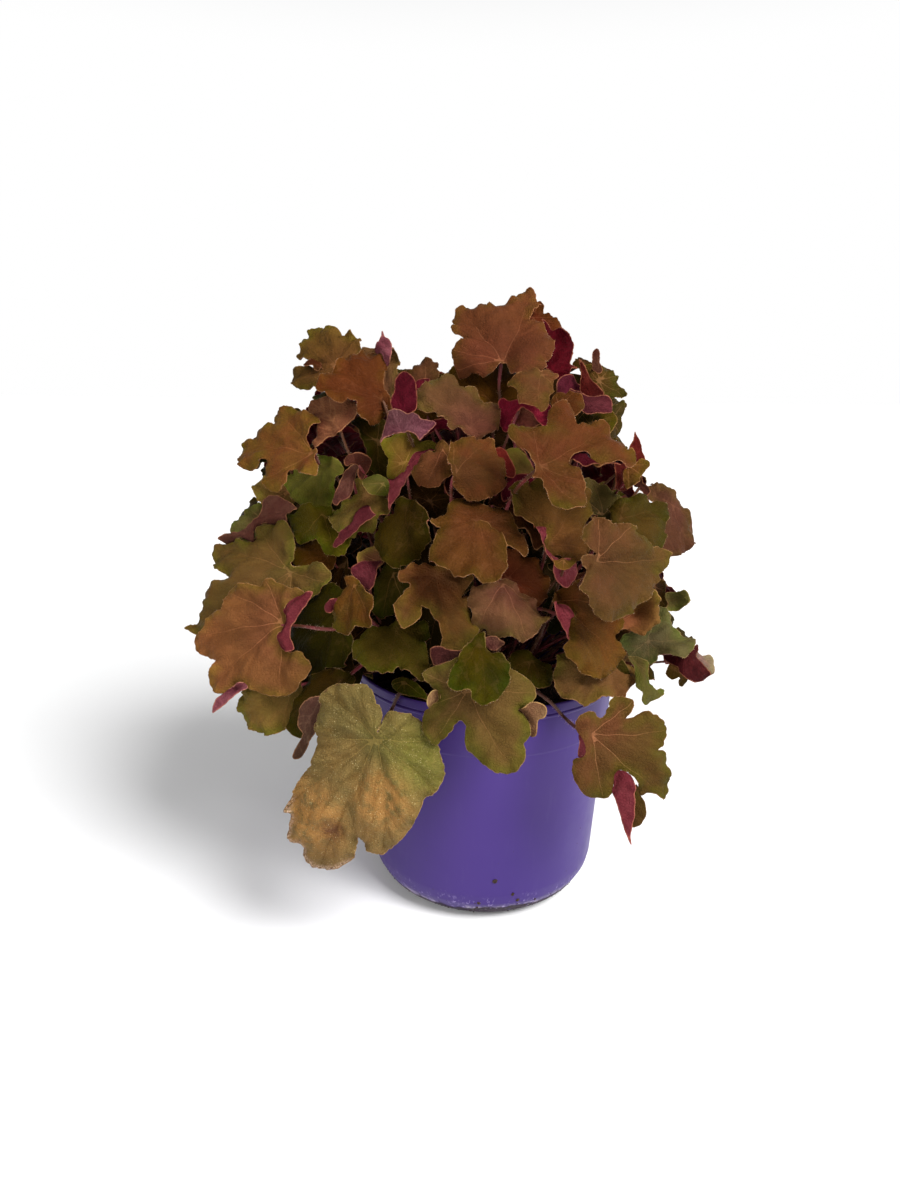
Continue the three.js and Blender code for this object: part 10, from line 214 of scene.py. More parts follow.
["M20","","U","olivegreen2","under","leaf_green",420,"0 0","-6012 3377 33582","-0.8204 -0.4766 -0.3159 0.5666 -0.6033 -0.5612 0.0769 -0.6394 0.7650 -0.0769 0.6394 -0.7650","-113 -62 100 156","131 104 74 41 32 54 46 56 99 76 48 23 19 42 60 77 66 47 25 6 7 35 70 96 37 20 6 -2 5 31 68 103 24 8 0 -2 2 22 57 96 34 22 16 9 3 17 48 80 61 55 47 33 21 27 43 59 94 88 78 62 48 41 39 37","61 -50 51 -53 37 -53 25 -53 12 -53 -7 -56 -32 -54 -56 -44 -71 -27 -80 -8 -87 -1 -94 9 -101 18 -106 28 -105 40 -100 50 -92 52 -80 55 -68 59 -73 68 -76 79 -75 90 -72 101 -62 108 -57 111 -56 124 -48 135 -38 144 -28 149 -17 149 -7 143 4 138 12 126 20 116 25 106 29 98 35 89 34 78 30 66 24 54 26 45 30 42 37 43 47 51 59 58 72 64 80 67 87 62 90 51 94 41 93 29 86 16 79 8 71 6 62 2 52 -1 48 -12 54 -22 59 -32 63 -40","-173 201 1337 -193 236 1787 -244 275 2262 -312 297 2710 -398 293 3077 -482 274 3310 -601 338 3358",[],0,0.95],
["M21","","U","dbrown","under","leaf_bronze",421,"0 0","-4563 -2078 23562","-0.9210 0.2935 0.2563 -0.3862 -0.6007 -0.7000 -0.0515 -0.7436 0.6666 0.0515 0.7436 -0.6666","-309 -101 254 511","121 124 118 160 238 268 184 128 109 83 67 97 155 199 182 153 100 51 19 38 77 133 165 176 98 42 0 3 23 64 129 189 96 41 -2 -5 9 45 116 189 92 42 7 18 45 90 139 180 86 61 45 69 114 162 172 174 76 85 101 138 185 215 205 178","155 -71 190 -53 217 -23 234 8 235 39 221 71 211 103 226 148 234 214 223 261 198 302 172 336 133 357 144 385 156 420 146 456 124 485 92 492 58 485 31 456 14 421 -9 407 -30 414 -78 380 -114 352 -151 319 -190 272 -220 240 -248 188 -268 156 -284 112 -290 61 -279 30 -255 17 -243 -7 -232 -32 -199 -51 -171 -63 -139 -82 -107 -65 -81 -59 -48 -72 -19 -79 13 -67 29 -37 29 -7 64 -38 105 -63","-188 28 1434 -221 -3 1684 -266 -17 1866 -311 -31 2003 -353 -57 2115 -389 -106 2225 -456 -204 2353",[],0,0.34],
["M22","","U","dolive","under","leaf_olive",422,"0 13","-7151 -352 26816","0.0136 0.5525 0.8334 -0.9941 0.0972 -0.0482 -0.1077 -0.8279 0.5505 0.1077 0.8279 -0.5505","-212 -85 257 424","213 181 118 73 74 153 143 149 152 114 67 37 54 124 166 194 93 56 21 5 31 109 184 235 55 19 -3 -5 26 98 186 254 58 25 5 -1 21 90 174 239 105 74 45 21 30 97 156 196 176 146 108 74 75 117 134 143 253 217 177 145 132 128 111 91","-128 -59 -157 -44 -179 -19 -193 6 -194 32 -182 59 -175 85 -187 123 -194 177 -184 216 -164 250 -143 278 -110 295 -119 318 -129 347 -121 377 -102 401 -76 407 -48 401 -26 377 -12 348 8 336 25 342 65 314 95 291 125 264 157 225 182 198 205 155 221 129 235 92 240 51 231 25 211 14 201 -6 192 -26 165 -42 142 -52 115 -68 88 -53 67 -49 39 -59 16 -65 -11 -56 -24 -31 -24 -6 -53 -32 -87 -52","-219 18 1417 -304 16 1623 -388 14 1819 -455 10 2015 -522 3 2218 -589 -9 2437 -728 -32 2680",[],0,0.7],
["M23","","U","olivegreen2","under","leaf_green",423,"0 0","-4787 832 25683","0.5101 0.8438 0.1667 -0.8442 0.5283 -0.0907 -0.1646 -0.0944 0.9818 0.1646 0.0944 -0.9818","-338 -130 281 527","375 341 281 192 171 197 128 104 279 236 175 111 100 151 172 189 184 133 80 34 34 121 208 271 110 53 14 -4 17 109 231 331 95 35 0 -10 18 109 236 344 147 92 46 12 22 114 220 304 241 190 128 72 66 136 193 238 344 283 215 157 135 149 161 170","220 4 242 35 256 76 266 119 241 130 196 126 154 128 176 159 213 184 250 209 243 230 247 264 240 298 230 326 210 347 172 358 140 355 115 366 76 348 86 380 80 407 48 416 28 413 13 444 -20 466 -60 485 -92 507 -127 511 -159 496 -154 468 -150 436 -164 406 -193 384 -165 352 -125 309 -109 266 -113 221 -142 211 -191 210 -240 221 -275 214 -301 185 -318 152 -322 118 -311 78 -288 39 -255 7 -213 -18 -174 -24 -138 -12 -99 -7 -63 -29 -35 -59 -8 -89 16 -112 45 -114 79 -94 105 -66 110 -33 95 -3 97 14 134 14 183 4","-143 61 1446 -212 32 1772 -258 21 2024 -302 26 2216 -346 38 2360 -388 54 2471 -478 84 2562",[],0,0.5],
["M24","","U","dgreen","under","leaf_olive",424,"0 0","-8886 -4719 17107","-0.8720 0.3900 0.2959 -0.4712 -0.5052 -0.7230 -0.1325 -0.7699 0.6243 0.1325 0.7699 -0.6243","-265 -167 297 399","320 218 119 70 86 168 250 345 254 166 82 36 53 125 212 297 190 118 47 6 22 85 170 248 130 71 19 -7 4 47 116 193 92 39 5 -2 0 20 75 150 94 57 38 42 37 41 82 139 131 124 119 121 116 116 134 151 181 199 209 211 207 200 187 169","-250 39 -246 18 -199 -14 -170 -52 -162 -102 -132 -140 -88 -152 -33 -143 11 -133 34 -100 77 -112 120 -116 153 -98 192 -47 226 18 253 83 276 141 281 180 260 195 207 173 164 158 165 203 172 261 162 306 148 339 138 365 103 380 62 384 31 380 0 364 -25 361 -61 370 -92 355 -119 326 -160 330 -187 321 -221 286 -239 249 -233 190 -210 142 -214 89 -195 47","-282 -59 1310 -383 -85 1435 -474 -119 1549 -562 -168 1641 -656 -237 1704 -743 -327 1729 -888 -469 1709",[],0,0.89],
["M25","","U","dgreen","under","leaf_olive",425,"0 28","7841 2931 31734","0.9478 -0.2235 -0.2273 0.2883 0.9052 0.3122 0.1360 -0.3614 0.9224 -0.1360 0.3614 -0.9224","-110 -35 90 182","30 55 64 68 69 68 39 13 22 31 37 40 40 43 37 30 16 11 12 15 14 21 34 46 18 5 0 1 2 12 36 60 29 13 0 -1 7 24 49 71 42 22 3 2 19 46 65 76 50 29 9 10 33 62 73 79 54 35 22 26 45 67 78 83","56 -25 68 -19 78 -8 84 3 84 14 79 26 76 37 81 53 84 77 80 94 71 108 62 120 48 128 51 138 56 150 52 163 44 174 33 176 21 174 11 163 5 151 -3 146 -11 148 -28 136 -41 126 -54 114 -68 98 -79 86 -89 67 -96 56 -102 40 -104 22 -100 11 -91 6 -87 -3 -83 -11 -71 -18 -61 -23 -50 -29 -38 -23 -29 -21 -17 -26 -7 -28 5 -24 10 -13 10 -2 23 -14 38 -23","87 187 1315 289 243 1629 414 190 2039 512 150 2470 597 133 2853 672 158 3114 792 319 3182",[],0,0.95],
["M26","","U","dolive","under","leaf_olive",426,"0 0","6914 1125 30756","0.1661 -0.9035 -0.3952 0.7767 0.3668 -0.5121 0.6076 -0.2219 0.7627 -0.6076 0.2219 -0.7627","-165 -102 186 257","30 68 81 96 98 97 74 39 31 37 42 52 53 53 55 53 35 15 7 14 13 15 37 67 51 21 0 -3 -1 9 40 84 78 43 11 -3 9 36 72 106 104 61 18 1 24 70 104 121 120 75 31 17 44 89 109 121 129 86 53 45 65 92 107 120","-101 -83 -85 -89 -61 -89 -41 -87 -20 -89 11 -92 54 -89 92 -73 117 -45 132 -14 145 -1 157 15 168 30 176 47 175 66 165 82 152 86 133 91 112 98 122 112 126 131 125 150 119 167 103 179 95 184 93 206 80 225 63 239 46 247 28 248 11 237 -6 228 -20 209 -34 193 -42 176 -49 162 -58 148 -57 129 -49 109 -39 90 -42 75 -49 70 -61 71 -78 85 -98 96 -119 106 -133 112 -145 103 -150 85 -155 68 -154 49 -143 27 -132 14 -118 10 -104 4 -87 -2 -80 -19 -89 -36 -97 -53 -104 -67","77 -102 1391 181 -157 1784 258 -170 2095 328 -145 2354 411 -86 2585 525 1 2817 691 113 3075",[],0,0.95],
["M27","","U","redbrown","under","leaf_bronze",427,"0 0","-34 537 26979","-0.9894 0.0152 0.1447 -0.0962 -0.8144 -0.5722 0.1092 -0.5801 0.8072 -0.1092 0.5801 -0.8072","-297 -107 336 561","349 289 189 86 55 131 116 144 245 190 115 44 39 117 166 206 142 97 49 5 20 120 208 264 68 25 1 -8 23 118 221 292 57 21 6 -4 11 93 194 271 118 95 71 29 10 76 151 208 222 200 163 100 64 90 112 129 337 300 251 190 140 107 76 46","290 214 296 254 316 318 299 370 267 408 222 400 186 366 176 422 143 468 98 483 69 468 51 514 27 542 -9 522 -39 530 -82 515 -116 481 -143 458 -146 401 -134 353 -88 315 -77 275 -107 282 -155 265 -197 259 -249 217 -277 158 -266 112 -236 98 -213 73 -173 79 -119 99 -103 71 -127 37 -151 -10 -154 -53 -137 -87 -90 -78 -38 -46 3 -41 36 -11 33 23 72 71 122 80 180 72 224 57 245 75 271 138","-14 205 1372 -14 119 1567 -15 119 1816 -17 119 2087 -14 91 2345 -3 20 2559 -4 57 2693",[],0,0.35],
["M28","","U","dbrown","under","leaf_bronze",428,"0 27","-15771 -424 23226","-0.0851 0.8959 0.4360 -0.9079 0.1106 -0.4044 -0.4106 -0.4302 0.8040 0.4106 0.4302 -0.8040","-132 -43 108 217","51 53 50 68 101 114 78 54 47 35 29 41 66 85 77 65 43 22 8 16 33 56 70 75 42 18 0 1 10 27 55 80 41 18 -1 -2 4 19 49 80 39 18 3 8 19 38 59 77 37 26 19 29 48 69 73 74 32 36 43 59 79 92 87 76","66 -30 81 -23 92 -10 100 3 100 17 94 30 90 44 96 63 100 91 95 111 84 129 73 143 57 152 61 164 66 179 62 194 53 206 39 209 25 206 13 194 6 179 -4 173 -13 176 -33 162 -49 150 -64 136 -81 116 -94 102 -106 80 -114 66 -121 48 -124 26 -119 13 -109 7 -104 -3 -99 -14 -85 -22 -73 -27 -59 -35 -45 -28 -34 -25 -20 -31 -8 -33 6 -29 12 -16 12 -3 27 -16 45 -27","-239 113 1377 -342 104 1532 -533 68 1631 -782 20 1717 -1062 -25 1831 -1294 -48 2016 -1601 -39 2312",[],0,0.95],
["M29","","U","dbrown","under","leaf_bronze",429,"0 0","2405 446 30366","-0.9608 0.0084 0.2770 -0.1821 -0.7727 -0.6082 0.2090 -0.6348 0.7439 -0.2090 0.6348 -0.7439","-276 -127 331 516","309 159 42 9 86 214 196 213 244 133 35 4 69 174 207 220 179 105 26 -5 46 138 196 221 107 57 9 -7 15 65 135 195 46 10 -4 3 -5 7 70 145 28 19 35 55 35 27 55 90 58 90 123 144 127 98 69 43 107 171 220 240 222 167 88 2","-215 4 -237 35 -251 74 -260 116 -236 127 -192 124 -151 125 -172 156 -209 180 -245 205 -238 225 -242 259 -235 291 -225 320 -206 340 -169 351 -137 348 -113 359 -74 341 -84 372 -79 398 -47 407 -28 404 -13 435 19 456 58 475 90 497 125 501 156 486 150 459 147 427 161 398 189 376 162 345 122 303 107 261 111 217 139 207 187 206 236 217 269 209 295 181 311 148 315 116 304 77 282 38 250 7 209 -18 171 -24 135 -12 97 -6 61 -29 35 -58 8 -87 -16 -110 -44 -111 -78 -92 -103 -64 -108 -32 -93 -3 -95 13 -131 14 -179 4","-18 -147 1394 32 -116 1753 102 -81 2074 146 44 2359 137 109 2613 154 123 2836 239 48 3033",[],0,0.72],
["M30","","U","dbrown","under","leaf_bronze",430,"0 0","4058 5188 21682","0.8099 -0.5220 -0.2676 -0.0680 0.3696 -0.9267 0.5827 0.7687 0.2638 -0.5827 -0.7687 -0.2638","-277 -130 331 515","81 118 134 208 274 309 205 98 102 77 68 111 155 184 168 138 129 54 8 27 47 73 125 175 168 78 5 -9 -1 25 109 206 204 104 15 -3 29 86 161 226 222 114 20 23 105 201 229 229 220 136 64 86 189 265 250 225 202 163 144 179 248 283 264 230","-213 4 -234 34 -248 74 -258 115 -233 126 -190 123 -150 124 -171 154 -207 178 -243 203 -235 223 -240 256 -233 289 -223 317 -204 337 -167 348 -136 344 -112 355 -74 338 -83 369 -78 395 -47 403 -27 400 -13 431 19 452 58 470 90 492 124 496 155 481 149 454 146 423 159 394 188 372 160 342 121 300 106 259 110 214 138 205 185 204 233 215 267 207 292 179 308 147 312 115 301 76 279 38 248 6 207 -18 169 -24 134 -12 96 -6 61 -28 34 -57 8 -86 -16 -109 -44 -110 -77 -92 -102 -64 -107 -32 -92 -3 -94 13 -130 14 -177 4","82 171 1358 154 242 1472 203 281 1600 249 321 1737 293 362 1881 331 408 2025 400 512 2166",[],0,0.46],
["M31","","U","dbrown","under","leaf_bronze",431,"0 37","-8794 -3163 22585","-0.6579 0.7531 -0.0086 -0.4254 -0.3810 -0.8209 -0.6215 -0.5364 0.5710 0.6215 0.5364 -0.5710","-321 -169 284 443","198 161 120 118 170 225 175 169 178 122 73 67 106 160 173 178 157 91 32 18 46 100 152 181 139 73 16 -4 9 42 100 165 125 61 9 -6 1 22 76 149 120 62 18 16 31 59 104 151 126 92 64 70 96 128 146 159 133 128 126 141 167 187 185 173","232 210 259 183 262 139 247 92 208 38 216 3 208 -31 180 -46 149 -75 123 -96 108 -126 82 -147 66 -130 70 -85 56 -53 30 -27 -2 -14 -26 16 -62 40 -111 39 -142 -4 -153 -35 -173 -48 -191 -45 -221 -48 -251 -41 -272 -18 -288 19 -299 64 -297 108 -276 151 -245 195 -202 235 -175 250 -167 300 -166 353 -147 393 -105 420 -72 418 -47 397 -33 375 -15 363 -7 349 9 370 43 401 78 421 112 419 146 417 147 389 154 353 172 330 191 317 203 280 190 236 204 215","-230 -107 1356 -317 -197 1624 -423 -258 1795 -522 -287 1905 -616 -296 1990 -711 -298 2085 -895 -330 2227",[],0,0.62],
["M32","","U","redbrown","under","leaf_bronze",432,"0 38","6054 -3317 22171","-0.1720 -0.8507 -0.4967 0.5462 0.3373 -0.7667 0.8198 -0.4032 0.4067 -0.8198 0.4032 -0.4067","-320 -167 282 442","46 118 141 179 199 186 119 48 44 61 75 103 115 107 87 61 47 19 15 36 39 34 51 73 73 27 -1 0 0 1 34 89 118 65 16 -5 5 32 76 127 159 94 25 -3 28 90 141 172 180 106 34 11 55 130 174 205 185 112 56 45 84 144 192 235","233 210 260 184 263 140 248 92 209 38 216 3 209 -31 180 -46 150 -75 124 -96 108 -126 83 -147 66 -130 70 -85 56 -53 30 -27 -2 -14 -26 16 -62 40 -111 39 -142 -4 -153 -36 -174 -48 -192 -45 -222 -49 -252 -42 -273 -18 -289 19 -300 64 -298 109 -277 152 -246 196 -203 236 -176 251 -167 301 -167 354 -148 395 -106 422 -72 420 -47 399 -33 377 -15 364 -7 350 9 371 43 402 78 422 112 420 147 419 148 390 155 354 173 331 192 318 203 281 191 237 205 215","123 -109 1333 248 -186 1476 310 -209 1642 374 -229 1813 439 -246 1973 502 -263 2103 625 -319 2188",[],0,0.48],
["M33","","U","brown3","under","leaf_bronze",433,"0 8","-1742 7456 21634","0.9535 -0.0035 -0.3014 -0.2697 0.4365 -0.8583 0.1346 0.8997 0.4153 -0.1346 -0.8997 -0.4153","-248 -99 301 496","250 212 139 86 87 179 167 174 178 134 79 43 63 145 194 227 109 65 25 6 36 128 215 275 64 22 -4 -6 30 115 218 297 68 29 5 -2 24 106 204 280 123 86 52 25 35 114 182 230 207 171 126 87 88 137 156 167 296 254 208 170 154 149 130 107","-150 -69 -184 -52 -210 -22 -226 8 -228 38 -214 69 -205 100 -219 144 -227 207 -215 253 -192 292 -167 325 -129 346 -139 373 -151 407 -142 441 -120 469 -89 476 -56 469 -30 441 -14 407 9 394 29 401 76 367 111 341 146 309 183 264 213 232 240 182 259 151 275 108 281 59 270 29 247 17 236 -7 224 -31 193 -49 166 -61 135 -79 103 -63 78 -57 46 -70 18 -76 -13 -65 -28 -36 -28 -7 -62 -37 -102 -61","-60 213 1366 -116 318 1522 -145 382 1655 -165 450 1774 -173 521 1891 -171 596 2014 -177 746 2156",[],0,0.58],
["M34","","U","olivegreen2","under","leaf_green",434,"0 0","-2658 -5790 20801","-0.9528 0.2888 -0.0938 -0.0496 -0.4525 -0.8904 -0.2996 -0.8437 0.4455 0.2996 0.8437 -0.4455","-280 -173 315 435","125 150 134 101 65 68 63 58 88 89 76 54 33 42 68 94 52 35 25 14 5 25 76 129 39 12 -1 -4 3 35 92 155 61 32 10 -2 8 50 111 167 108 77 41 9 10 58 114 156 161 123 78 36 30 67 98 124 212 163 114 76 62 69 78 89","-171 -140 -143 -149 -103 -150 -69 -147 -33 -149 18 -155 90 -150 156 -123 197 -75 223 -23 245 -2 264 24 283 50 297 79 294 111 279 139 256 145 223 153 189 164 205 189 213 220 211 252 200 282 173 301 160 310 156 347 135 378 107 402 77 415 47 417 19 400 -10 384 -33 352 -57 325 -71 296 -82 273 -98 249 -95 217 -83 183 -66 151 -71 126 -83 117 -103 120 -132 143 -164 162 -201 179 -224 188 -244 174 -252 142 -262 115 -259 82 -241 46 -222 23 -199 17 -175 6 -146 -3 -136 -33 -150 -61 -164 -90 -176 -113","-112 -157 1380 -146 -178 1564 -161 -223 1704 -169 -288 1814 -182 -371 1905 -210 -468 1990 -265 -578 2080",[],0,0.46],
["M35","","U","redbrown","under","leaf_bronze",435,"0 17","4281 2509 21602","0.2979 -0.8862 0.3549 0.3971 -0.2230 -0.8902 0.8681 0.4061 0.2855 -0.8681 -0.4061 -0.2855","-256 -189 297 437","363 299 206 121 90 152 219 295 286 214 132 66 51 112 206 300 210 135 65 17 13 80 191 301 153 76 19 -7 1 61 167 287 137 67 17 0 1 45 146 265 169 118 73 46 28 59 148 239 227 200 166 127 99 117 160 201 292 279 256 221 192 179 169 160","272 68 278 134 269 185 205 203 221 268 228 338 209 370 167 375 121 355 86 338 62 301 36 273 25 293 20 319 1 346 -26 363 -67 359 -104 350 -121 365 -155 371 -184 401 -197 417 -222 384 -237 348 -233 313 -228 227 -219 125 -201 26 -164 -48 -138 -104 -118 -147 -94 -166 -66 -170 -30 -157 -2 -137 22 -98 29 -64 17 -34 23 -8 56 10 95 4 151 5 216 37","125 81 1387 192 106 1527 234 125 1659 273 148 1784 311 172 1905 350 197 2025 432 246 2144",[],0,0.34],
["M36","","U","dgreen","under","leaf_olive",436,"0 0","-7960 -269 22178","-0.2107 0.9125 0.3507 -0.7108 0.1032 -0.6958 -0.6711 -0.3959 0.6268 0.6711 0.3959 -0.6268","-281 -173 316 437","225 236 203 198 207 256 221 186 186 152 115 106 118 161 196 221 151 84 35 26 36 81 166 250 143 64 6 -9 5 52 149 269 170 87 19 -5 16 78 181 287 221 135 56 25 56 142 228 288 278 201 124 94 131 206 240 263 329 266 212 192 213 242 243 237","-172 -141 -144 -150 -103 -151 -69 -148 -34 -150 18 -156 91 -151 157 -124 199 -76 224 -24 246 -2 266 25 285 51 299 79 296 112 280 140 258 146 225 154 190 165 206 190 214 221 212 254 201 284 174 303 161 312 157 350 136 381 108 405 78 418 47 420 19 402 -10 387 -33 355 -57 327 -71 298 -83 275 -98 251 -96 218 -83 184 -67 152 -72 127 -83 118 -104 121 -133 144 -165 163 -202 180 -226 189 -246 175 -254 143 -263 116 -261 83 -242 46 -223 24 -200 17 -176 6 -147 -3 -136 -33 -151 -62 -165 -91 -177 -114","-285 -41 1326 -344 -69 1524 -421 -49 1650 -496 -2 1744 -568 40 1844 -640 43 1988 -794 -26 2216",[],0,0.47],
["M37","","U","dolive","under","leaf_olive",437,"0 0","3214 -3517 23839","-0.7941 -0.0689 0.6039 -0.4554 -0.5905 -0.6663 0.4025 -0.8041 0.4375 -0.4025 0.8041 -0.4375","-286 -103 323 541","336 279 183 83 53 126 112 138 236 183 111 42 38 113 160 198 137 94 47 4 19 116 201 254 65 24 1 -8 22 113 213 281 55 20 6 -3 11 90 187 261 114 92 68 28 10 73 145 201 214 193 157 97 61 87 108 124 325 290 242 183 135 104 73 44","280 206 285 245 305 306 288 357 257 393 214 385 179 352 169 407 138 451 94 466 66 451 49 496 26 522 -9 503 -38 511 -79 496 -112 463 -138 441 -140 387 -129 340 -85 304 -75 265 -103 272 -149 255 -189 249 -240 209 -267 152 -256 108 -228 94 -206 70 -166 76 -115 95 -99 68 -123 36 -145 -9 -148 -51 -132 -84 -87 -76 -37 -45 3 -39 34 -11 32 22 70 68 117 77 173 70 216 55 236 72 262 133","58 -75 1418 76 -140 1543 95 -162 1668 121 -168 1803 162 -183 1959 226 -234 2149 319 -347 2382",[],0,0.38],
["M38","","U","dolive","under","leaf_olive",438,"0 0","488 5845 22620","0.9452 -0.3198 0.0663 0.1141 0.1331 -0.9845 0.3060 0.9381 0.1623 -0.3060 -0.9381 -0.1623","-258 -159 291 403","48 107 126 151 153 152 116 61 49 58 65 81 83 82 85 83 54 23 11 22 20 23 58 105 80 33 1 -5 -1 15 63 131 123 68 17 -4 14 56 114 167 163 96 28 2 38 110 163 189 189 117 48 26 70 140 170 190 202 135 83 71 101 144 168 188","-159 -130 -133 -139 -95 -139 -64 -137 -31 -139 17 -144 84 -139 145 -115 184 -70 207 -22 228 -2 246 23 263 47 276 73 274 103 259 129 238 135 208 142 176 153 191 176 198 205 196 235 186 262 161 280 149 289 145 323 126 352 99 374 72 387 44 388 17 372 -9 358 -31 328 -53 302 -66 276 -76 254 -91 232 -89 202 -77 170 -61 141 -66 117 -77 109 -96 111 -123 133 -153 151 -187 166 -209 175 -227 162 -234 132 -243 107 -241 77 -224 43 -206 22 -185 16 -163 6 -136 -3 -126 -30 -139 -57 -153 -84 -163 -105","-2 188 1388 6 258 1532 -20 311 1717 -59 360 1913 -85 410 2090 -60 469 2216 48 583 2262",[],0,0.39],
["M39","","U","dbrown","under","leaf_bronze",439,"0 38","-5267 -4317 22959","-0.6477 0.6406 0.4124 -0.6941 -0.2730 -0.6661 -0.3141 -0.7177 0.6215 0.3141 0.7177 -0.6215","-234 -137 266 369","188 191 155 123 102 123 131 138 143 121 91 66 56 80 121 160 100 62 32 16 15 46 112 180 79 34 4 -6 3 41 110 193 94 48 13 -2 7 49 122 200 138 94 51 21 22 70 137 193 194 152 106 68 65 103 138 167 250 207 164 131 121 129 133 137","-196 177 -219 155 -221 118 -209 78 -176 32 -182 3 -176 -26 -152 -39 -126 -64 -104 -81 -91 -107 -70 -124 -56 -110 -59 -72 -47 -45 -25 -23 2 -12 22 13 52 34 94 33 120 -4 129 -30 146 -40 162 -38 187 -41 212 -35 230 -15 243 16 253 54 251 92 233 128 207 165 171 199 148 212 141 253 140 298 124 333 89 356 61 354 40 336 28 318 12 307 6 295 -7 313 -36 339 -66 356 -95 354 -124 353 -124 329 -130 299 -146 279 -162 268 -171 237 -161 200 -173 182","-229 -69 1389 -289 -118 1605 -350 -141 1802 -411 -162 1973 -465 -201 2113 -500 -277 2214 -553 -442 2270",[],0,0.48],
["M40","","U","redbrown","under","leaf_bronze",440,"0 0","4140 961 26316","0.4843 -0.8660 -0.1246 0.7431 0.4823 -0.4638 0.4618 0.1321 0.8771 -0.4618 -0.1321 -0.8771","-287 -163 257 385","197 195 164 118 79 78 95 108 142 128 102 68 43 49 85 124 88 66 45 24 10 27 80 140 52 24 7 -1 1 30 87 152 53 23 5 -4 2 37 95 161 91 63 36 13 5 35 96 161 151 120 83 45 26 46 97 152 217 175 129 85 60 66 96 135","239 37 235 17 191 -14 162 -50 155 -97 126 -134 85 -145 32 -137 -10 -127 -32 -96 -73 -107 -115 -111 -147 -94 -184 -45 -216 18 -243 80 -264 135 -269 172 -249 187 -198 166 -157 151 -158 194 -164 249 -155 293 -141 324 -132 349 -98 364 -60 367 -30 364 0 349 24 345 58 355 88 340 114 312 154 316 179 307 211 274 229 239 223 182 201 136 204 85 187 45","-72 -124 1416 -17 -187 1677 15 -226 1847 63 -258 1978 154 -235 2119 262 -93 2319 413 96 2630",[],0,0.52],
["M41","","U","dolive","under","leaf_olive",441,"0 0","-6888 5527 22614","0.7595 0.3896 0.5209 0.2007 0.6214 -0.7573 -0.6187 0.6798 0.3938 0.6187 -0.6798 -0.3938","-296 -168 265 397","203 201 169 121 81 80 98 112 147 132 105 70 44 51 88 128 91 68 47 25 10 28 83 144 54 25 8 -1 1 31 90 157 54 24 5 -4 2 38 98 166 94 65 38 13 5 36 99 166 156 124 86 47 26 47 100 156 224 180 133 88 62 68 99 139","246 38 243 17 197 -14 167 -51 160 -100 130 -138 87 -150 33 -141 -11 -131 -33 -99 -76 -110 -119 -115 -151 -97 -190 -46 -223 18 -250 82 -272 139 -278 178 -257 192 -204 171 -162 156 -163 200 -169 257 -160 302 -146 334 -136 360 -102 375 -61 379 -31 375 0 360 25 356 60 366 91 350 118 322 158 326 185 316 218 282 236 246 230 188 207 140 211 88 193 46","-264 118 1334 -372 114 1463 -441 162 1624 -499 234 1802 -547 316 1978 -588 402 2137 -688 552 2261",[],0,0.58],
["M42","","U","dgreen","under","leaf_olive",442,"0 35","715 -3289 25808","-0.7503 0.5549 0.3594 -0.6429 -0.7392 -0.2008 0.1542 -0.3817 0.9113 -0.1542 0.3817 -0.9113","-262 -153 297 412","210 213 174 137 114 138 147 155 160 136 101 74 63 90 135 179 112 69 36 18 16 52 125 201 88 37 4 -7 3 45 123 215 105 53 15 -3 7 55 137 223 154 105 56 23 25 78 153 216 217 170 118 76 73 115 154 187 279 231 183 147 136 144 149 153","-219 198 -245 173 -248 132 -233 87 -197 36 -204 3 -197 -29 -170 -43 -141 -71 -117 -91 -102 -119 -78 -139 -63 -123 -66 -80 -53 -50 -28 -26 2 -14 25 15 59 38 105 37 134 -4 144 -34 164 -45 181 -43 209 -46 237 -39 258 -17 272 18 283 60 280 102 261 143 232 185 191 222 166 237 158 283 157 333 139 372 99 398 68 395 45 376 31 355 14 343 6 330 -8 350 -41 379 -73 398 -106 396 -138 395 -139 368 -146 334 -163 312 -181 300 -192 265 -180 223 -193 203","-30 -60 1447 -5 -119 1693 8 -187 1898 13 -223 2075 16 -256 2238 24 -288 2399 49 -355 2573",[],0,0.48],
["M43","","U","dbrown","under","leaf_bronze",443,"0 11","3352 4894 26161","0.3453 -0.8434 0.4116 0.9145 0.2038 -0.3495 0.2109 0.4971 0.8417 -0.2109 -0.4971 -0.8417","-308 -100 304 519","297 275 204 102 33 65 55 73 199 175 125 54 16 53 100 147 101 81 55 12 -1 59 145 218 34 10 3 -5 14 86 181 264 33 9 2 -5 15 87 183 266 101 80 54 10 -2 62 148 221 208 173 121 51 14 53 104 150 326 259 184 106 57 49 57 70","129 331 168 358 216 404 248 417 270 402 288 362 285 319 272 281 237 241 191 197 179 174 188 156 221 149 239 125 252 83 264 41 259 6 240 -15 207 -21 167 -14 121 -6 67 -10 28 -15 -6 -30 -26 -58 -45 -48 -63 -38 -85 -49 -121 -71 -168 -84 -197 -77 -234 -70 -261 -55 -279 -20 -292 20 -280 62 -256 94 -213 117 -168 136 -132 159 -98 175 -71 177 -45 167 -28 174 -19 214 -27 247 -51 267 -92 279 -121 295 -127 337 -150 372 -179 388 -199 399 -206 428 -203 467 -182 500 -155 503 -125 501 -113 475 -95 484 -62 492 -25 489 5 473 41 491 77 494 104 468 116 423 121 379","112 138 1364 155 214 1553 189 258 1754 225 299 1965 261 341 2181 291 387 2398 344 490 2611",[],0,0.63],
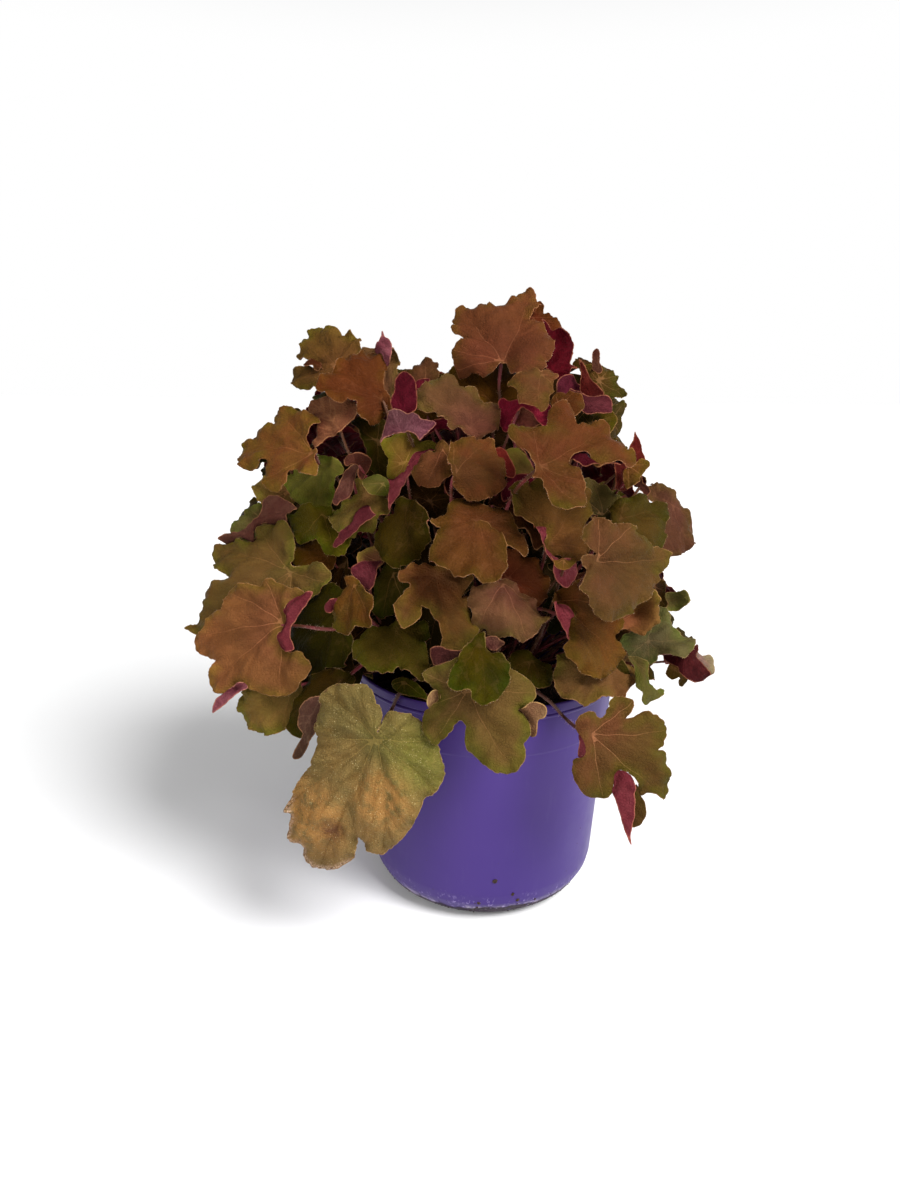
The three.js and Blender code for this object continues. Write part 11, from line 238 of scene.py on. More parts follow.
["M44","","U","dbrown","under","leaf_bronze",444,"0 9","-9219 -4 23144","-0.3574 0.8862 -0.2950 -0.4638 -0.4425 -0.7675 -0.8107 -0.1375 0.5691 0.8107 0.1375 -0.5691","-271 -90 268 455","354 251 149 96 131 225 183 199 273 183 95 52 89 180 218 245 192 119 45 10 47 147 233 286 120 61 10 -7 23 99 201 292 79 28 -1 -5 6 56 154 260 92 59 43 36 27 63 135 206 151 146 137 122 108 122 135 144 226 239 238 225 206 181 137 86","112 289 147 312 188 352 216 364 236 350 251 316 248 278 237 245 207 210 166 172 156 152 164 136 192 130 209 109 220 72 231 36 226 5 209 -13 180 -19 146 -12 105 -5 58 -9 24 -13 -5 -26 -23 -51 -39 -42 -55 -33 -74 -43 -105 -62 -146 -73 -172 -67 -204 -61 -228 -48 -243 -17 -255 17 -244 54 -223 82 -186 102 -147 118 -115 139 -85 152 -62 155 -40 145 -24 152 -17 187 -24 215 -44 233 -80 243 -105 257 -110 294 -131 324 -156 338 -173 348 -179 373 -177 407 -159 436 -135 438 -109 436 -99 414 -83 422 -54 429 -22 427 4 412 36 428 67 431 90 408 101 369 106 331","-283 -23 1342 -401 -24 1468 -480 -30 1589 -546 -35 1720 -624 -36 1873 -740 -27 2063 -921 -4 2303",[],0,0.58],
["M45","","U","dbrown","under","leaf_bronze",445,"0 0","2193 -2446 26531","-0.5285 -0.8400 0.1228 0.7144 -0.5182 -0.4702 0.4587 -0.1608 0.8739 -0.4587 0.1608 -0.8739","-249 -116 298 465","195 126 65 54 101 176 145 134 159 96 41 28 67 130 147 151 125 70 18 3 33 91 138 165 92 46 5 -6 9 46 106 161 69 28 2 0 4 29 84 139 70 42 28 34 39 60 86 108 92 89 88 96 105 109 93 77 121 142 158 169 170 147 102 51","-193 4 -212 31 -224 67 -233 104 -211 114 -172 111 -135 112 -154 139 -187 161 -219 183 -213 202 -217 231 -210 261 -202 286 -184 305 -151 314 -123 311 -101 321 -67 305 -75 333 -70 357 -42 365 -25 362 -11 390 17 409 52 425 81 444 112 448 140 435 135 411 132 382 144 356 169 336 145 309 109 271 96 234 99 194 125 185 168 184 211 194 241 188 264 162 278 133 282 104 273 69 252 34 224 6 187 -16 153 -21 121 -11 87 -6 55 -26 31 -52 7 -78 -14 -98 -40 -100 -69 -83 -92 -58 -96 -29 -83 -2 -85 12 -117 13 -160 3","26 -88 1424 64 -129 1717 88 -150 1935 111 -171 2106 136 -191 2263 164 -207 2433 217 -244 2649",[],0,0.52],
["M46","","U","olivegreen2","under","leaf_green",446,"0 0","-2066 4353 26248","0.9275 -0.3073 0.2127 0.3730 0.7982 -0.4730 -0.0244 0.5180 0.8550 0.0244 -0.5180 -0.8550","-275 -170 310 428","220 232 199 194 203 251 217 183 182 149 112 104 116 158 192 216 148 82 35 25 35 80 163 245 141 63 6 -9 5 51 147 264 167 85 19 -5 15 77 177 281 216 132 55 25 54 139 224 282 272 197 122 92 128 202 235 258 322 260 207 188 209 237 238 232","-169 -138 -141 -147 -101 -148 -68 -145 -33 -147 18 -153 89 -148 154 -122 195 -74 220 -23 241 -2 261 24 279 50 293 78 290 110 275 137 253 143 220 151 187 162 202 186 210 217 208 249 197 278 171 297 158 306 154 343 133 373 105 397 76 410 46 411 19 394 -10 379 -32 348 -56 321 -70 292 -81 270 -96 246 -94 214 -82 181 -65 149 -70 124 -82 116 -102 118 -130 142 -162 160 -198 177 -221 185 -241 172 -249 140 -258 114 -256 81 -238 45 -219 23 -196 17 -172 6 -144 -3 -134 -32 -148 -60 -162 -89 -173 -111","-76 161 1418 -95 190 1695 -117 228 1935 -137 267 2143 -156 307 2325 -173 348 2483 -207 434 2622",[],0,0.52],
["M47","","U","dbrown","under","leaf_bronze",447,"0 13","-3286 -3478 25025","-0.9909 0.0838 -0.1050 -0.0167 -0.8524 -0.5226 -0.1333 -0.5161 0.8461 0.1333 0.5161 -0.8461","-215 -86 262 431","217 184 120 74 76 155 145 152 155 116 68 38 55 126 169 197 95 57 22 5 31 111 187 239 56 19 -3 -5 26 100 189 259 59 25 5 -1 21 92 177 243 107 75 45 22 31 99 159 200 180 148 110 76 76 119 136 146 258 221 181 148 134 130 113 93","-131 -60 -160 -45 -183 -19 -197 7 -198 33 -186 60 -178 87 -190 125 -197 180 -187 220 -167 254 -145 283 -112 300 -121 324 -131 354 -123 384 -104 408 -78 414 -49 408 -26 384 -12 354 8 342 25 348 66 319 96 297 127 268 159 229 185 202 209 158 225 131 239 94 244 52 235 25 215 15 205 -6 195 -27 168 -43 144 -53 117 -69 90 -54 68 -50 40 -61 16 -66 -11 -57 -24 -31 -25 -6 -54 -32 -89 -53","-143 -13 1448 -213 24 1663 -258 23 1850 -303 -8 2018 -340 -75 2175 -347 -184 2330 -329 -358 2494",[],0,0.45],
["M48","","U","olivegreen2","under","leaf_green",448,"0 14","4316 1361 24402","0.5405 -0.8101 0.2270 0.6524 0.2333 -0.7211 0.5312 0.5378 0.6546 -0.5312 -0.5378 -0.6546","-230 -93 280 461","113 147 134 102 69 97 82 70 79 83 72 51 39 69 98 120 47 28 19 9 11 55 117 169 41 10 -4 -4 16 72 145 205 72 35 6 -1 29 100 169 214 126 79 29 6 40 122 170 195 182 125 64 33 63 127 149 163 232 167 109 80 90 114 124 131","-139 -64 -170 -48 -195 -21 -210 7 -211 35 -198 64 -190 93 -203 133 -210 192 -200 234 -178 271 -155 302 -119 320 -129 345 -140 377 -131 409 -111 435 -83 441 -52 435 -28 409 -13 377 9 365 27 372 70 341 103 316 136 286 170 244 198 215 223 169 240 140 255 100 261 55 250 27 229 16 219 -7 208 -29 179 -45 154 -57 125 -74 96 -58 72 -53 43 -65 17 -71 -12 -60 -26 -34 -26 -6 -58 -34 -94 -57","142 60 1377 192 68 1560 229 90 1769 262 119 1982 297 145 2178 340 153 2334 440 138 2429",[],0,0.39],
["M49","","U","dolive","under","leaf_olive",449,"0 14","-6007 3944 27334","0.6564 0.7537 -0.0331 -0.5353 0.4343 -0.7244 -0.5316 0.4932 0.6885 0.5316 -0.4932 -0.6885","-276 -88 226 458","75 138 160 173 175 170 98 34 56 78 92 101 102 107 94 75 40 28 30 38 34 52 86 115 45 13 -1 2 5 30 90 151 73 32 -1 -3 18 60 122 179 106 56 7 5 48 116 163 192 127 74 23 25 82 157 184 198 135 88 56 65 115 170 196 210","140 -64 171 -48 196 -21 211 7 212 35 199 64 191 93 204 134 212 193 201 236 179 272 156 303 120 322 130 347 141 379 132 411 112 437 83 444 52 437 28 412 13 380 -9 367 -27 374 -71 343 -103 318 -137 288 -171 246 -199 216 -224 170 -242 141 -256 101 -262 55 -252 27 -230 16 -220 -7 -209 -29 -180 -46 -155 -57 -126 -74 -96 -58 -73 -53 -43 -65 -17 -71 12 -61 26 -34 26 -6 58 -34 95 -57","-133 176 1396 -191 258 1688 -234 309 1948 -287 352 2180 -355 380 2385 -442 386 2564 -607 399 2721",[],0,0.67],
["M50","","U","redbrown","under","leaf_bronze",450,"0 18","2060 -3973 27041","-0.9588 -0.2162 0.1841 0.1075 -0.8765 -0.4691 0.2628 -0.4300 0.8637 -0.2628 0.4300 -0.8637","-195 -78 237 391","197 167 109 67 68 141 132 137 141 105 62 34 50 114 153 179 86 51 20 4 28 101 169 216 51 17 -3 -4 24 91 172 234 54 23 4 -1 19 83 161 221 97 68 41 20 28 90 144 181 163 134 99 68 69 108 123 132 233 200 164 134 121 118 103 84","-118 -54 -145 -41 -165 -18 -178 6 -179 30 -168 54 -161 79 -172 113 -179 163 -170 199 -151 230 -132 256 -101 272 -110 293 -119 320 -111 348 -95 369 -70 375 -44 370 -24 348 -11 321 7 310 23 316 60 289 87 269 115 243 144 208 168 183 189 143 204 119 216 85 221 47 213 23 195 13 186 -6 177 -24 152 -39 131 -48 106 -62 81 -49 62 -45 36 -55 14 -60 -10 -51 -22 -28 -22 -5 -49 -29 -80 -48","-103 -109 1423 -34 -201 1762 44 -242 2060 109 -267 2308 159 -290 2501 192 -320 2632 208 -412 2694",[],0,0.62],
["M51","","U","dbrown","under","leaf_bronze",451,"0 17","37 4114 28576","0.9719 -0.2338 0.0268 0.2081 0.8006 -0.5619 0.1099 0.5517 0.8268 -0.1099 -0.5517 -0.8268","-254 -187 295 434","324 206 101 78 135 252 296 337 290 175 74 39 82 169 239 292 258 149 48 4 31 95 173 241 224 124 34 -8 0 35 103 189 192 95 19 -3 4 23 82 164 175 93 31 34 56 81 127 172 171 130 96 110 146 177 187 190 166 172 181 206 241 258 243 214","271 67 277 133 269 184 204 202 220 267 227 337 208 369 167 374 120 354 85 337 62 300 35 272 25 292 20 318 1 345 -26 362 -67 357 -104 349 -121 364 -154 370 -184 400 -196 416 -221 383 -236 347 -232 312 -227 226 -218 124 -200 26 -164 -48 -138 -103 -118 -146 -93 -166 -66 -169 -30 -156 -2 -137 22 -97 29 -64 17 -34 22 -8 56 10 94 4 150 5 215 37","-155 183 1379 -117 145 1565 -112 195 1815 -76 253 2099 -17 302 2386 26 340 2645 7 422 2844",[],0,0.67],
["M52","","U","redbrown","under","leaf_bronze",452,"0 40","-3767 -1351 29388","-0.8251 -0.4771 -0.3026 0.4877 -0.8719 0.0449 -0.2852 -0.1105 0.9521 0.2852 0.1105 -0.9521","-209 -122 237 329","168 170 139 109 91 110 117 123 128 108 81 59 50 72 108 143 89 55 29 15 13 41 100 161 70 30 3 -5 3 36 99 172 84 43 12 -2 6 44 109 178 123 84 45 19 20 62 122 172 173 136 94 61 58 92 123 149 223 185 146 117 108 115 119 122","-175 158 -196 139 -198 105 -186 69 -157 28 -163 2 -157 -23 -136 -34 -113 -57 -93 -72 -81 -95 -62 -111 -50 -98 -52 -64 -42 -40 -23 -21 2 -11 20 12 47 30 84 30 107 -3 115 -27 131 -36 144 -34 167 -36 189 -31 206 -13 217 14 226 48 224 82 208 114 185 147 153 177 132 189 126 226 125 266 111 297 79 317 54 316 36 300 25 284 11 274 5 263 -6 280 -33 303 -59 318 -84 316 -110 315 -111 294 -116 267 -130 249 -144 240 -153 212 -143 178 -154 162","-123 -139 1396 -118 -129 1773 -151 -147 2093 -190 -158 2363 -234 -160 2589 -280 -155 2780 -357 -170 2940",[],0,0.75],
["M53","","U","dolive","under","leaf_olive",453,"0 0","4112 1619 27498","-0.9369 -0.1035 0.3340 0.1229 -0.9917 0.0376 0.3273 0.0763 0.9418 -0.3273 -0.0763 -0.9418","-287 -158 255 397","334 264 189 106 81 139 117 143 252 193 123 60 50 107 153 196 169 120 64 16 18 90 178 245 95 51 16 -4 12 78 174 263 62 20 -1 -6 5 56 146 245 86 57 40 22 8 42 122 205 155 141 119 84 53 69 110 151 239 225 198 157 121 105 99 94","156 -128 130 -136 94 -136 63 -134 30 -136 -17 -142 -83 -137 -142 -113 -180 -69 -203 -21 -223 -1 -241 22 -258 46 -271 72 -268 101 -254 127 -234 132 -204 139 -173 150 -187 172 -194 201 -192 230 -183 257 -158 274 -146 283 -143 317 -123 345 -97 367 -70 379 -43 380 -17 364 9 351 30 321 52 296 65 270 75 249 89 227 87 198 76 167 60 138 65 115 76 107 94 109 121 131 150 148 183 163 204 171 222 159 230 130 239 105 237 75 220 42 202 21 182 15 159 5 134 -3 124 -30 137 -56 150 -82 160 -103","-143 -64 1435 -180 -66 1795 -150 9 2103 -63 116 2356 67 207 2550 229 238 2682 411 162 2748",[],0,0.61],
["M54","","U","brown3","under","leaf_bronze",454,"0 17","-1486 2090 28006","0.0678 0.9973 -0.0293 -0.9613 0.0575 -0.2696 -0.2671 0.0465 0.9625 0.2671 -0.0465 -0.9625","-262 -194 303 445","333 312 240 161 108 137 194 251 257 209 147 88 57 97 185 277 184 117 62 24 11 65 179 300 141 65 13 -8 0 62 179 312 150 78 25 0 2 62 180 309 207 151 92 42 20 74 184 288 281 239 184 117 82 119 183 242 358 316 267 209 170 166 175 187","276 69 282 136 274 188 208 206 224 272 231 343 212 376 170 381 123 361 87 343 63 306 36 278 25 298 20 324 1 352 -27 369 -69 364 -106 356 -123 370 -157 377 -187 408 -200 424 -225 390 -241 354 -236 318 -232 231 -222 127 -204 27 -167 -49 -140 -105 -120 -149 -95 -169 -67 -173 -31 -159 -2 -139 22 -99 30 -65 17 -34 23 -9 57 10 96 4 153 5 219 37","-205 47 1424 -116 30 1725 -135 44 2002 -151 70 2253 -156 109 2471 -147 157 2653 -164 210 2793",[],0,0.56],
["M55","","U","dolive","under","leaf_olive",455,"0 21","-807 -2019 28908","-0.9420 0.0956 -0.3217 0.0262 -0.9347 -0.3546 -0.3345 -0.3424 0.8780 0.3345 0.3424 -0.8780","-205 -96 188 345","181 164 119 75 48 84 79 83 128 105 73 40 30 64 97 125 75 53 31 10 11 54 114 164 40 17 3 -3 11 58 125 189 38 14 0 -4 13 60 127 192 70 46 25 5 10 59 121 175 122 95 62 30 25 63 106 143 178 141 100 66 53 66 86 108","18 -30 34 -42 61 -59 89 -76 110 -70 119 -60 142 -72 156 -66 170 -43 175 -24 174 3 170 26 174 49 160 71 145 84 133 92 123 111 130 121 147 127 164 138 167 145 151 161 156 181 157 201 144 219 138 244 121 258 95 261 65 258 42 262 22 245 9 264 -17 262 -50 260 -72 279 -98 303 -121 323 -141 332 -155 326 -167 304 -169 273 -182 262 -166 237 -143 213 -128 189 -146 168 -161 148 -171 123 -180 94 -192 79 -191 55 -181 23 -166 2 -146 -11 -140 -24 -143 -46 -137 -59 -110 -70 -75 -76 -46 -83 -30 -73 -19 -55 -13 -28 -9 -10","-84 -153 1390 -23 -118 1593 -25 -123 1869 -40 -141 2177 -60 -157 2476 -78 -174 2725 -80 -221 2883",[],0,0.67],
["N00","","U","brown3","under","leaf_bronze",456,"0 36","14084 5850 23642","-0.0935 -0.5863 -0.8047 0.4869 0.6780 -0.5506 0.8684 -0.4433 0.2221 -0.8684 0.4433 -0.2221","-101 -59 115 160","82 83 67 53 44 53 57 60 62 53 39 28 24 35 52 69 43 27 14 7 6 20 48 78 34 15 2 -3 1 18 48 83 41 21 6 -1 3 21 53 86 60 41 22 9 9 30 59 83 84 66 46 30 28 45 60 72 108 90 71 57 53 56 58 59","-85 77 -95 67 -96 51 -90 34 -76 14 -79 1 -76 -11 -66 -17 -55 -28 -45 -35 -39 -46 -30 -54 -24 -47 -25 -31 -20 -20 -11 -10 1 -5 10 6 23 15 41 14 52 -2 56 -13 63 -17 70 -17 81 -18 92 -15 100 -6 105 7 110 23 109 40 101 55 90 71 74 86 64 92 61 110 61 129 54 144 39 154 26 153 17 146 12 138 5 133 2 128 -3 136 -16 147 -28 154 -41 153 -53 153 -54 142 -56 129 -63 121 -70 116 -74 103 -70 86 -75 79","159 -6 1357 388 61 1575 544 200 1676 677 368 1733 835 521 1816 1069 616 1996 1426 609 2345",[],0,0.95],
["N01","","U","dbrown","under","leaf_bronze",457,"0 30","-6706 -5304 19525","-0.7070 0.6584 0.2583 -0.6234 -0.4076 -0.6673 -0.3340 -0.6328 0.6986 0.3340 0.6328 -0.6986","-254 -91 287 481","195 177 125 54 15 50 47 67 131 111 75 27 11 48 81 109 68 50 30 3 4 58 112 149 26 6 -1 -4 13 70 132 172 28 11 5 -3 8 62 122 164 75 63 45 11 0 45 93 129 144 125 95 45 20 42 63 80 219 182 139 91 57 42 34 28","249 184 254 218 271 272 256 317 229 349 190 343 159 313 150 362 123 401 84 414 59 401 44 441 23 464 -8 448 -33 454 -70 441 -99 412 -123 393 -125 344 -115 302 -75 270 -66 236 -91 242 -133 227 -168 222 -213 186 -238 135 -228 96 -203 84 -183 63 -148 68 -102 85 -88 61 -109 32 -129 -8 -132 -46 -118 -75 -77 -67 -33 -40 3 -35 31 -10 28 20 62 61 104 69 154 62 192 49 210 64 233 119","-267 -84 1315 -362 -136 1426 -416 -213 1528 -453 -307 1625 -485 -398 1722 -534 -465 1823 -689 -542 1932",[],0,0.69],
["N02","","U","dolive","under","leaf_olive",458,"0 35","-13504 -1639 29479","-0.5790 0.5727 0.5803 -0.7597 -0.1206 -0.6390 -0.2960 -0.8109 0.5049 0.2960 0.8109 -0.5049","-134 -70 118 185","124 77 42 18 29 65 62 85 103 66 30 10 20 54 74 92 80 52 20 1 11 45 77 95 53 32 10 -2 5 28 58 85 30 11 -1 -2 -1 8 32 64 20 9 7 11 6 5 23 48 27 31 36 40 34 28 31 36 42 58 69 72 66 56 42 27","98 88 109 77 110 59 104 39 88 16 91 1 88 -13 76 -19 63 -32 52 -41 45 -53 35 -62 28 -55 29 -36 24 -22 13 -12 -1 -6 -11 7 -26 17 -47 16 -60 -2 -64 -15 -73 -20 -81 -19 -93 -20 -106 -17 -115 -7 -121 8 -126 27 -125 46 -116 64 -103 82 -85 99 -74 106 -70 126 -70 149 -62 166 -44 177 -30 176 -20 168 -14 158 -6 153 -3 147 4 156 18 169 33 178 47 177 62 176 62 164 65 149 73 139 81 134 85 118 80 100 86 91","-226 -23 1408 -268 -9 1581 -398 -33 1814 -595 -77 2086 -839 -126 2375 -1146 15 2635 -1380 -169 2923",[],0,0.95],
["N03","","U","dolive","under","leaf_olive",459,"0 19","-3931 4106 29923","0.8305 0.4825 -0.2782 -0.5504 0.7874 -0.2775 0.0852 0.3836 0.9196 -0.0852 -0.3836 -0.9196","-233 -119 254 428","101 67 43 71 127 193 167 143 98 55 25 39 82 129 143 143 97 47 7 10 37 73 111 140 92 45 4 -4 8 27 72 129 82 36 1 -1 6 21 65 120 70 33 9 22 40 62 91 116 59 47 42 64 96 121 121 115 48 66 87 119 152 166 150 122","-23 -37 -42 -52 -76 -73 -111 -94 -136 -86 -147 -74 -176 -89 -193 -82 -211 -53 -217 -30 -216 4 -211 32 -215 61 -199 88 -179 104 -164 114 -153 137 -160 149 -182 157 -203 170 -207 180 -186 199 -193 224 -195 248 -179 272 -171 302 -150 319 -117 323 -81 320 -53 324 -28 303 -11 327 21 325 62 322 89 345 122 375 149 400 175 411 192 404 206 377 209 338 225 324 205 293 177 264 158 234 181 208 199 183 211 152 223 116 237 97 236 68 224 29 206 2 181 -13 173 -29 177 -57 170 -73 137 -87 92 -94 57 -103 37 -90 24 -68 16 -34 11 -12","-80 46 1458 -55 30 1763 -87 45 1991 -156 91 2185 -245 170 2387 -334 281 2640 -404 425 2985",[],0,0.87],
["N04","","U","redbrown","under","leaf_bronze",460,"0 0","12284 8034 25539","-0.8441 -0.5097 0.1666 0.3935 -0.7997 -0.4534 0.3643 -0.3172 0.8756 -0.3643 0.3172 -0.8756","-131 -61 156 244","-5 53 78 85 63 46 22 -10 -1 22 39 45 30 18 18 18 5 -1 5 12 1 -2 19 46 27 7 -2 -2 -1 12 42 73 62 36 9 -3 13 48 76 92 93 57 14 -6 21 71 91 96 109 64 18 -2 26 69 82 90 116 67 29 14 29 53 69 84","-101 2 -111 16 -118 35 -122 55 -111 60 -90 58 -71 59 -81 73 -98 84 -115 96 -111 106 -114 121 -110 137 -106 150 -96 160 -79 165 -64 163 -53 168 -35 160 -39 175 -37 187 -22 191 -13 190 -6 204 9 214 27 223 42 233 59 235 73 228 71 215 69 200 75 187 89 176 76 162 57 142 50 122 52 102 65 97 88 97 111 102 126 98 138 85 146 70 148 54 143 36 132 18 117 3 98 -8 80 -11 63 -6 46 -3 29 -13 16 -27 4 -41 -7 -51 -21 -52 -36 -43 -48 -30 -50 -15 -44 -1 -45 6 -61 7 -84 2","112 169 1304 175 302 1617 280 440 1835 432 571 1998 638 683 2145 901 764 2317 1228 804 2552",[],0,0.95],
["N05","","U","redbrown","under","leaf_bronze",461,"0 35","-10862 2861 33991","-0.1134 0.8880 0.4457 -0.9294 -0.2533 0.2683 0.3512 -0.3838 0.8540 -0.3512 0.3838 -0.8540","-70 -25 79 132","82 68 45 20 13 31 27 34 58 45 27 10 9 28 39 48 33 23 11 1 5 28 49 62 16 6 0 -2 5 28 52 69 13 5 1 -1 3 22 46 64 28 22 17 7 2 18 36 49 52 47 38 24 15 21 26 30 79 71 59 45 33 25 18 11","68 50 70 60 74 75 70 87 63 96 52 94 44 86 41 99 34 110 23 114 16 110 12 121 6 128 -2 123 -9 125 -19 121 -27 113 -34 108 -34 94 -32 83 -21 74 -18 65 -25 66 -36 62 -46 61 -59 51 -65 37 -63 26 -56 23 -50 17 -41 19 -28 23 -24 17 -30 9 -35 -2 -36 -13 -32 -20 -21 -18 -9 -11 1 -10 8 -3 8 5 17 17 29 19 42 17 53 14 58 18 64 33","-203 91 1415 -344 143 1857 -514 183 2231 -693 213 2554 -802 219 2846 -909 229 3125 -1127 275 3411",[],0,0.95],
["N06","","U","brown3","under","leaf_bronze",462,"0 15","7843 -2201 18161","-0.6711 -0.6006 -0.4346 0.6759 -0.2549 -0.6915 0.3045 -0.7578 0.5770 -0.3045 0.7578 -0.5770","-214 -71 211 359","279 198 118 76 103 177 145 157 215 144 75 41 70 142 172 194 152 94 35 8 37 116 184 226 95 48 8 -5 18 78 159 231 62 22 -1 -4 5 44 122 205 72 46 34 28 21 50 107 163 119 115 108 96 85 97 106 114 179 188 188 177 162 143 108 68","88 228 116 246 148 278 171 287 186 276 198 249 196 219 187 193 163 165 131 135 123 120 129 107 152 102 165 86 173 57 182 28 178 4 165 -11 142 -15 115 -9 83 -4 46 -7 19 -11 -4 -21 -18 -40 -31 -33 -44 -26 -58 -34 -83 -49 -115 -58 -136 -53 -161 -48 -180 -38 -192 -13 -201 14 -193 42 -176 65 -147 81 -116 93 -91 110 -67 120 -49 122 -31 115 -19 120 -13 148 -19 170 -35 184 -63 192 -83 203 -87 232 -103 256 -123 267 -137 274 -142 295 -140 321 -125 344 -106 346 -86 344 -78 327 -66 333 -43 338 -17 337 3 325 28 338 53 340 71 322 80 291 83 261","151 -60 1341 303 -90 1505 424 -113 1623 498 -128 1702 571 -146 1753 643 -169 1784 793 -221 1803",[],0,0.74],
["N07","","U","redbrown","under","leaf_bronze",463,"0 8","10300 9066 24515","0.3449 -0.8670 -0.3597 0.8868 0.4266 -0.1778 0.3076 -0.2577 0.9160 -0.3076 0.2577 -0.9160","-304 -97 249 504","254 168 91 74 138 218 173 170 200 123 57 44 102 185 201 204 148 84 24 13 65 159 213 235 97 49 5 0 37 111 189 246 58 19 -5 -5 14 64 146 225 50 26 17 16 15 53 119 184 74 76 78 73 66 88 115 137 111 132 142 141 134 129 115 94","154 -70 188 -53 215 -23 232 8 233 39 219 71 210 102 224 147 233 213 221 259 197 299 171 333 132 354 143 382 155 417 145 452 123 481 91 488 57 481 31 452 14 417 -9 403 -30 411 -78 376 -114 350 -150 316 -188 270 -218 238 -246 186 -266 155 -281 111 -288 61 -277 30 -253 17 -241 -7 -230 -32 -198 -50 -170 -63 -138 -81 -106 -64 -80 -59 -47 -71 -19 -78 13 -67 29 -37 29 -7 64 -38 104 -63","32 214 1328 74 545 1469 214 704 1679 405 761 1920 613 776 2153 797 779 2342 1036 911 2447",[],0,0.95]
]


# ---------------------------------------------------------------- colours (sRGB)
C = {
 'aged': (137,113,65), 'bgreen': (64,53,4), 'brown': (85,55,30), 'brown2': (95,43,16), 'brown3': (92,55,30),
 'brownolive': (88,50,24), 'brownorange': (99,62,30), 'brownorange2': (116,75,40), 'dbrown': (55,33,4),
 'dgreen': (52,46,4), 'dolive': (55,42,4), 'dolive2': (80,54,25), 'green': (92,83,44), 'greygreen': (57,48,20),
 'greygreen2': (88,82,48), 'lgreen': (85,81,30), 'lgreen2': (74,56,16), 'lgreen3': (92,82,39), 'olive': (96,75,34),
 'olivebronze': (89,63,26), 'olivebrown': (102,70,41), 'olivegreen': (74,57,17), 'olivegreen2': (63,52,11),
 'oliveorange': (100,79,38), 'oliveorange2': (97,57,23), 'oliveorange3': (99,65,34), 'olivetan': (96,68,36),
 'orange': (99,58,27), 'orange2': (102,57,32), 'orangebrown': (83,51,16), 'orangepink': (93,61,32),
 'peach': (124,98,66), 'beige': (144,119,103), 'pinkbrown': (84,58,46), 'pinkbrown2': (85,54,35),
 'pinktan': (95,63,32), 'pinktan2': (101,63,45), 'redbrown': (75,35,17), 'tan': (110,75,45), 'tangreen': (98,56,31),
 'yolive': (114,89,34), 'bronze_up': (90,46,16), 'pink': (101,44,49), 'palepink': (90,58,46), 'magenta': (87,18,31),
 'darkmagenta': (63,4,4), 'mauve': (76,42,31), 'mauvepink': (68,38,33), 'purple': (80,27,38), 'red': (77,22,17),
 'darkred': (80,8,19), 'darkred2': (69,22,24), 'under': (102,28,36), 'apricot': (102,66,35), 'rosetan': (103,63,42),
 'mauvebrown': (83,57,46), 'faded': (102,88,73), 'clay': (89,59,24), 'moss': (72,70,27), 'rosepink': (103,60,67),
 'shellpink': (123,70,77), 'russet': (97,53,22), 'sienna': (91,54,23),
}
# second tone that drifts over each blade
C2 = {
 'orange': (91,65,24), 'orange2': (91,53,28), 'orangepink': (79,57,27), 'orangebrown': (71,55,16),
 'oliveorange': (89,74,32), 'oliveorange3': (89,67,31), 'oliveorange2': (86,59,23), 'olive': (78,67,27),
 'lgreen': (66,69,21), 'lgreen2': (62,55,12), 'bgreen': (43,41,4), 'aged': (121,105,61), 'brownorange': (82,57,28),
 'brownolive': (73,50,21), 'olivebrown': (85,68,34), 'pinktan': (87,68,28), 'pinktan2': (90,60,37),
 'tangreen': (84,58,28),
}
GAIN_UP, GAIN_LOW, GAIN_POT = 0.72, 0.72, 0.44
WASH_B = 0.30
# towards which hour of the clock, seen from the front, a blade is lighter (0: painted light and shade across the blade)
# or redder (3: its own hue), and how much
LEAN_PAINTED_LIGHT_AND_RED = dict(
    B7=((9, 0.08, 0), (10, 0.06, 3)), B5=((11, 0.05, 0), (5, 0.3, 3)), B15=((2, 0.08, 0), (1, 0.26, 3)), B19=((5, 0.2, 0), (5, 0.16, 3)),
    B24=((7, 0.28, 0), (3, 0.08, 3)), B23=((11, 0.1, 0), (11, 0.2, 3)), B22=((5, 0.15, 0), (3, 0.1, 3)), B27=((10, 0.1, 0), (10, 0.2, 3)),
    B29=((8, 0.12, 0), (1, 0.2, 3)), B37=((6, 0.18, 0), (1, 0.22, 3)), A2=((10, 0.1, 0), (10, 0.22, 3)), A7=((9, 0.12, 0), (3, 0.08, 3)),
    A18=((4, 0.2, 0), (3, 0.03, 3)), A11=((8, 0.12, 0), (8, 0.28, 3)), A15=((7, 0.1, 0), (8, 0.12, 3)), B17=((2, 0.1, 0), (2, 0.1, 3)),
    A5=((9, 0.08, 0), (5, 0.12, 3)), B33=((5, 0.1, 0), (5, 0.1, 3)), B42=((11, 0.1, 0), (11, 0.1, 3)))


def lin(c, k=1.0):
    c = np.array(c, float) / 255
    return np.where(c <= 0.04045, c / 12.92, ((c + 0.055) / 1.055) ** 2.4) * k


def nums(s, k=10.0):
    return np.array(s.split(), float) / k


# ---------------------------------------------------------------- blade geometry helpers
def basis1(t):
    return np.stack([(1 - t) ** 3, 3 * t**3 - 6 * t**2 + 4, -3 * t**3 + 3 * t**2 + 3 * t + 1, t**3], -1) / 6


def height(H, box, uv):
    u0, v0, u1, v1 = box
    a = np.clip((uv[:, 0] - u0) / (u1 - u0) * 5, 0, 5 - 1e-6)
    b = np.clip((uv[:, 1] - v0) / (v1 - v0) * 5, 0, 5 - 1e-6)
    i, j = a.astype(int), b.astype(int)
    A, B = basis1(a - i), basis1(b - j)
    h = np.zeros(len(uv))
    for p in range(4):
        for q in range(4):
            h += A[:, p] * B[:, q] * H[(i + p) * 8 + (j + q)]
    return h


